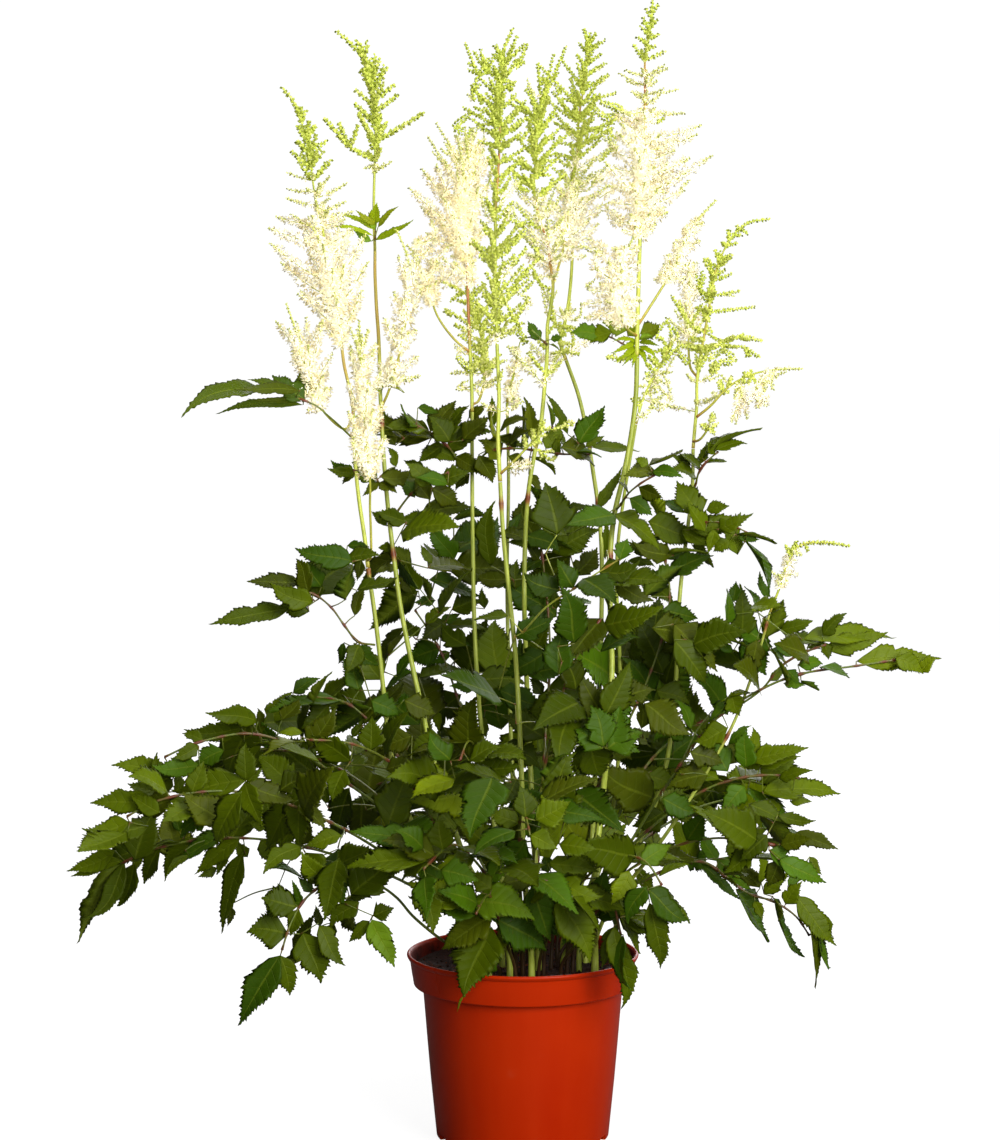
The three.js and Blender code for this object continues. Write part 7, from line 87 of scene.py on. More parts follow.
  ((14.8,-0.5,584,1.7,-3.9,587,-64,68,9.4,0.056),(13,-6.2,585.7,3.3,-10.3,599.3,-65,1,8.5,-0.044),(19.8,-1.6,585.3,28.3,-2.2,587.5,-101,26,6.4,0.06),(19.8,5,581.8,26.5,2.7,577.7,25,52,5.9,0.051),)),(((10.5,10.1,511.1),(12.4,17,510.8),(14.3,23.9,510.4),(16.6,30.6,511.7),(19.5,35.6,515.9),(22.1,39.5,521.3),),((-1,((21.7,38.9,520.4),(21.8,42.7,519.1),)),),
  ((21.8,42.7,519.1,32.8,50.8,501.9,-16,26,15.8,0.083),(21.7,38.9,520.4,18.1,35.8,539.8,13,10,12.7,0.047),)),)),
 "f": (1.4, ((32.9,85,569.2),(28.4,84.2,583.8),(32.3,83.3,598.5),(34.8,82.3,613.5),(36.4,81.4,628.8),(37.2,80.5,644),(37.2,79.5,659.3),(37.1,78.6,674.6),(36.9,77.6,689.9),(37,76.7,705.1),(40.2,75.7,720),(41.1,74.8,735.3),(42.1,73.8,750.5),(44.5,72.9,765.6),(46.4,71.9,780.7),(48.1,71,795.8),(49.9,70,810.9),),
  (),
  (("g",4.5,((49,70.6,802),(47.3,70.5,806.9),(45.5,70.5,811.7),)),("g",4.5,((49,70.6,802),(51.8,72.6,804.9),(54.5,74.6,807.7),)),("g",4.5,((48,71,795.1),(45.9,68.3,798.8),(43.9,65.6,802.5),)),("g",3,((48.2,70.9,796.1),(52.9,73.8,798.7),(57.6,76.6,801.3),)),("g",3.7,((46.4,71.5,787.3),(42.2,70.7,790.7),(38.1,70,794.1),)),("g",3.7,((46.4,71.5,787.3),(51.5,71.8,789.7),(56.7,72.1,792.1),)),("g",4.5,((46.4,72,779.3),(52.6,70.1,781.9),(58.8,68.2,784.4),)),("g",3.7,((45.4,72.6,769.4),(38.8,72.7,776.7),(32.3,72.7,784.1),)),("g",3.7,((45.4,72.6,769.4),(54.9,75.2,772.9),(64.4,77.7,776.4),)),("g",4.5,((44.5,72.9,765.5),(46.5,72.3,770.3),(48.6,71.6,775.2),)),("g",4.5,((43.3,73.3,759.7),(54.6,74.2,760.2),(65.8,75.1,760.7),)),("g",3.7,((42.9,73.4,756.7),(30.8,68.1,766.3),(18.8,62.8,776),)),("g",5.2,((41.9,73.9,748.8),(51.4,78.1,753.5),(60.8,82.3,758.2),)),("g",5.2,((41.7,74.1,745.8),(30.7,72.6,754.6),(19.6,71.2,763.4),)),("g",3.7,((41.6,74.2,744.8),(29.9,73.9,750.1),(18.2,73.7,755.5),)),("g",4.5,((41.1,74.7,735.8),(48.5,70.1,736.9),(55.9,65.5,738),)),("g",5.3,((41.1,74.7,735.8),(56.9,78.2,738.1),(72.8,81.6,740.5),)),("g",4.5,((41,75.2,727.8),(36,75.8,727.7),(31,76.4,727.6),)),("g",3.8,((40.8,75.4,725.8),(57.3,72.1,729.8),(73.8,68.7,733.8),)),("g",6,((39.8,75.9,717.9),(32.4,74.7,718.6),(25,73.4,719.3),)),("g",6,((39.6,75.9,717),(48.5,70.8,722.4),(57.4,65.6,727.8),)),("m",6,((37.9,76.4,709.2),(49.3,75.9,712.6),(60.7,75.3,717.9),)),("g",6,((36.3,77,700.3),(29.1,74,704.6),(22,71.1,708.9),)),("m",6.8,((36.4,77.3,695.3),(49.3,75.4,699.6),(62.2,73.5,706),)),("m",6,((36.9,77.6,690.4),(28.7,77.9,692.4),(20.6,78.3,695.9),)),("m",7.5,((37.1,78.1,682.4),(48.9,76,685.8),(60.8,73.9,691.3),)),("m",6,((37.1,78.5,676.4),(29.6,78,678.8),(22.1,77.5,682.5),)),("c",7.5,((37.1,78.9,669.4),(47.7,84,673),(58.3,89.2,678.4),)),("m",6,((37.1,79.2,664.4),(29.7,84.3,666.4),(22.3,89.5,669.5),)),("c",7.5,((37.2,79.8,655.4),(46,77,659.2),(54.9,74.2,664.6),)),("m",4.5,((32.8,83.1,600.8),(38,80.2,602.5),(43.2,77.2,605.2),)),("g",5.3,((31.1,83.5,595.1),(35.3,80.6,592.7),(39.5,77.8,590.3),)),("g",4.5,((29.2,83.9,589.4),(25.8,84.2,593.6),(22.3,84.5,597.7),)),("g",5.3,((28.6,84.3,582.5),(33.8,86,580.3),(39,87.7,578.2),)),("g",4.5,((30.5,84.6,575.8),(36.1,81.6,573.3),(41.8,78.5,570.8),)),("g",4.2,((49,70.6,802),(48.4,72.1,806.5),(47.8,73.6,811),)),("g",4.1,((49,70.6,802),(50.7,68.2,804.4),(52.4,65.8,806.9),)),("g",4.6,((48,71,795.1),(50.6,69.6,798.4),(53.2,68.1,801.7),)),("g",3.1,((48.2,70.9,796.1),(45.2,74.9,798.4),(42.2,78.8,800.7),)),("g",3,((48.2,70.9,796.1),(50.2,66.1,798.6),(52.2,61.2,801.1),)),("g",3.6,((46.4,71.5,787.3),(48.2,67.9,790.6),(50,64.3,793.8),)),("g",3.9,((46.4,71.5,787.3),(45.4,75.3,789.1),(44.3,79,790.9),)),("g",4.6,((46.4,72,779.3),(48.2,78.1,781.8),(50.1,84.1,784.3),)),("g",3.9,((46.4,72,779.3),(46.5,67.2,781.2),(46.6,62.5,783.1),)),("g",3.5,((45.4,72.6,769.4),(43.5,67.2,775.8),(41.6,61.8,782.1),)),("g",3.9,((45.4,72.6,769.4),(47.4,77.9,775.7),(49.5,83.3,782.1),)),("g",3.9,((45.4,72.6,769.4),(44.3,79.8,772),(43.2,86.9,774.5),)),("g",3.7,((45.4,72.6,769.4),(44.7,64.4,772.3),(43.9,56.2,775.3),)),("g",3.9,((44.5,72.9,765.5),(43.7,71.3,769.6),(42.9,69.7,773.6),)),("g",3.9,((43.3,73.3,759.7),(44.2,83,760.1),(45.1,92.8,760.6),)),("g",4.4,((43.3,73.3,759.7),(43.3,62.5,760.2),(43.2,51.7,760.7),)),("g",3.6,((42.9,73.4,756.7),(49.9,64.2,765.2),(57,55,773.6),)),("g",3.2,((42.9,73.4,756.7),(39.1,83.1,764.3),(35.4,92.8,771.9),)),("g",5,((41.9,73.9,748.8),(35.6,80.3,752.9),(29.3,86.8,757),)),("g",5.3,((41.9,73.9,748.8),(47.9,66.3,753.2),(53.8,58.6,757.6),)),("g",4.8,((41.7,74.1,745.8),(38.9,66,752.6),(36.1,57.8,759.4),)),("g",5.1,((41.7,74.1,745.8),(40.7,84.8,754.3),(39.7,95.6,762.8),)),("g",3.6,((41.6,74.2,744.8),(42.5,64.4,749.3),(43.4,54.5,753.8),)),("g",3.9,((41.6,74.2,744.8),(38.6,83.3,749.2),(35.6,92.5,753.6),)),("g",4.6,((41.1,74.7,735.8),(44.5,81.9,736.8),(47.9,89.1,737.8),)),("g",4.3,((41.1,74.7,735.8),(38.6,68.5,736.7),(36.2,62.3,737.5),)),("g",5.4,((41.1,74.7,735.8),(37.9,88.2,737.8),(34.8,101.6,739.8),)),("g",4.6,((41.1,74.7,735.8),(41.7,60.7,737.8),(42.4,46.7,739.8),)),("g",4.3,((41,75.2,727.8),(39.6,79.9,727.7),(38.2,84.6,727.6),)),("g",3.6,((40.8,75.4,725.8),(44.2,90.5,729.5),(47.6,105.7,733.2),)),("g",3.6,((40.8,75.4,725.8),(44.4,60.6,729.5),(48,45.8,733.1),)),("g",5.4,((39.8,75.9,717.9),(38.9,69.2,718.6),(37.9,62.4,719.2),)),("g",5.6,((39.8,75.9,717.9),(36.1,81.7,718.6),(32.4,87.5,719.2),)),("g",6,((39.6,75.9,717),(44,83.8,721.7),(48.3,91.7,726.4),)),("g",6,((39.6,75.9,717),(36.2,66.8,722.1),(32.7,57.6,727.2),)),("m",5.2,((37.9,76.4,709.2),(37.4,85.5,711.7),(36.9,94.5,716.1),)),("m",5.4,((37.9,76.4,709.2),(39.9,66.8,712),(42,57.1,716.7),)),("g",5.2,((36.3,77,700.3),(39,70.5,704.2),(41.6,64,708.1),)),("g",5.5,((36.3,77,700.3),(32.2,82.3,704),(28.1,87.6,707.7),)),("m",6.6,((36.4,77.3,695.3),(39.7,89.5,699.4),(43.1,101.7,705.7),)),("m",6.9,((36.4,77.3,695.3),(39.3,66.7,698.7),(42.2,56.1,704.3),)),("m",5.8,((36.9,77.6,690.4),(39.2,70.7,692.1),(41.5,63.9,695.3),)),("m",5.8,((36.9,77.6,690.4),(37.6,83.9,691.8),(38.3,90.2,694.7),)),("m",7.4,((37.1,78.1,682.4),(39.1,88.6,685.3),(41.1,99.1,690.3),)),("m",7.2,((37.1,78.1,682.4),(33.1,69.7,684.8),(29,61.3,689.3),)),("m",5.7,((37.1,78.5,676.4),(35.2,72.5,678.3),(33.2,66.6,681.5),)),("m",6.1,((37.1,78.5,676.4),(34.1,83.7,678.2),(31,88.9,681.3),)),("c",7.9,((37.1,78.9,669.4),(36.4,88.1,672),(35.7,97.4,676.5),)),("c",7.6,((37.1,78.9,669.4),(40.6,70.6,671.9),(44.2,62.2,676.4),)),("m",5.8,((37.1,79.2,664.4),(33.6,71.2,666.1),(30.2,63.2,669.3),)),("m",5.9,((37.1,79.2,664.4),(39,85.7,665.6),(40.9,92.2,668.2),)),("c",6.9,((37.2,79.8,655.4),(37.6,87.1,658.2),(38,94.4,662.7),)),("c",6.6,((37.2,79.8,655.4),(33.6,72.8,658.5),(30,65.7,663.3),)),("m",4.7,((32.8,83.1,600.8),(34.7,87.9,602.2),(36.5,92.7,604.6),)),("m",4.7,((32.8,83.1,600.8),(32.1,78.7,601.9),(31.3,74.3,604.1),)),("g",5.3,((31.1,83.5,595.1),(32,87.4,593.1),(32.9,91.4,591.2),)),("g",4,((29.2,83.9,589.4),(28.8,80.9,593),(28.4,78,596.6),)),("g",5.3,((28.6,84.3,582.5),(29.2,89.3,580.5),(29.8,94.4,578.5),)),("g",4.5,((30.5,84.6,575.8),(31.9,90.1,573.6),(33.3,95.6,571.4),)),("g",4.3,((30.5,84.6,575.8),(28.1,80.3,573.9),(25.7,75.9,572),)),("m",2.8,((53.8,69.7,782.4),(56.8,68.2,783.9),(59.8,66.7,785),)),("m",3.7,((56.8,75.7,773.6),(60.4,77,776),(63.9,78.3,778),)),("g",3.1,((28.4,67,768.3),(27,62.6,765.1),(25,61.7,770.2),)),("g",6.8,((35.7,97.6,739.2),(30.3,92.2,744.9),(22.3,91.2,752.8),)),("m",4.6,((41,75,731.2),(36.3,75.1,735),(31.7,75.1,738.1),)),("g",6.8,((57.3,75.5,716.3),(62.6,75.3,719.8),(68,75,722.6),)),("g",6.8,((38.7,76.2,712.8),(32.4,75.5,712.7),(26.4,72.7,718.4),)),("m",2.8,((40.8,66,706.9),(45.9,65.5,708.1),(52.5,68.9,714.1),)),("c",6.8,((51.9,75,700.9),(58.2,76.9,701.2),(66.3,73.7,709.3),)),("m",6.1,((51.9,75,700.9),(55.6,75,701.5),(59.4,74.9,701.7),)),("c",6.8,((57.2,74.5,689.6),(63.2,76.4,692.1),(69.3,78.4,693.8),)),("m",3.2,((55.1,87.6,676.8),(55.6,93.9,675.4),(59.6,93,678.8),)),("g",5.1,((25.1,84.3,594.4),(24.9,80.1,606.8),(24.7,76,617.8),)),("m",4.2,((32.4,83.2,598.8),(42.7,77.1,598.1),(45.4,79.4,609),)),("g",5.2,((37.4,87.2,578.8),(40.9,84,584.7),(35.6,82.9,589.9),)),("c",5.3,((34.4,82.5,574.1),(43.7,82.5,577.8),(53,82.5,580.3),)),),
  ()),
 "g": (1.7, ((81.6,-19.1,573.1),(81.6,-18,588.2),(82,-17.7,603.3),(82.4,-17.3,618.4),(82.8,-16.9,633.5),(83.3,-16.5,648.6),(83.7,-16.2,663.7),(84.1,-15.8,678.8),(84.6,-15.4,693.9),(85.3,-15,709),(86.1,-14.7,724.1),(86.6,-14.3,739.2),(86.8,-13.9,754.4),(86.8,-13.5,769.5),(86.8,-13.1,784.6),(88.8,-12.8,799.6),(91.1,-12.4,814.5),(92.3,-12,829.6),),
  (((81.6,-18,588),(72.6,-35.7,595.3),(68,-43,615.8),(68.8,-47.5,638),(77.7,-52,658.5),),((81.8,-17.8,595),(88.7,-10.4,605),(99.1,-6.6,621.2),(109.2,-2,637.5),(117.3,2.7,655),(126.9,7.3,671.7),(139.8,12,686),),),
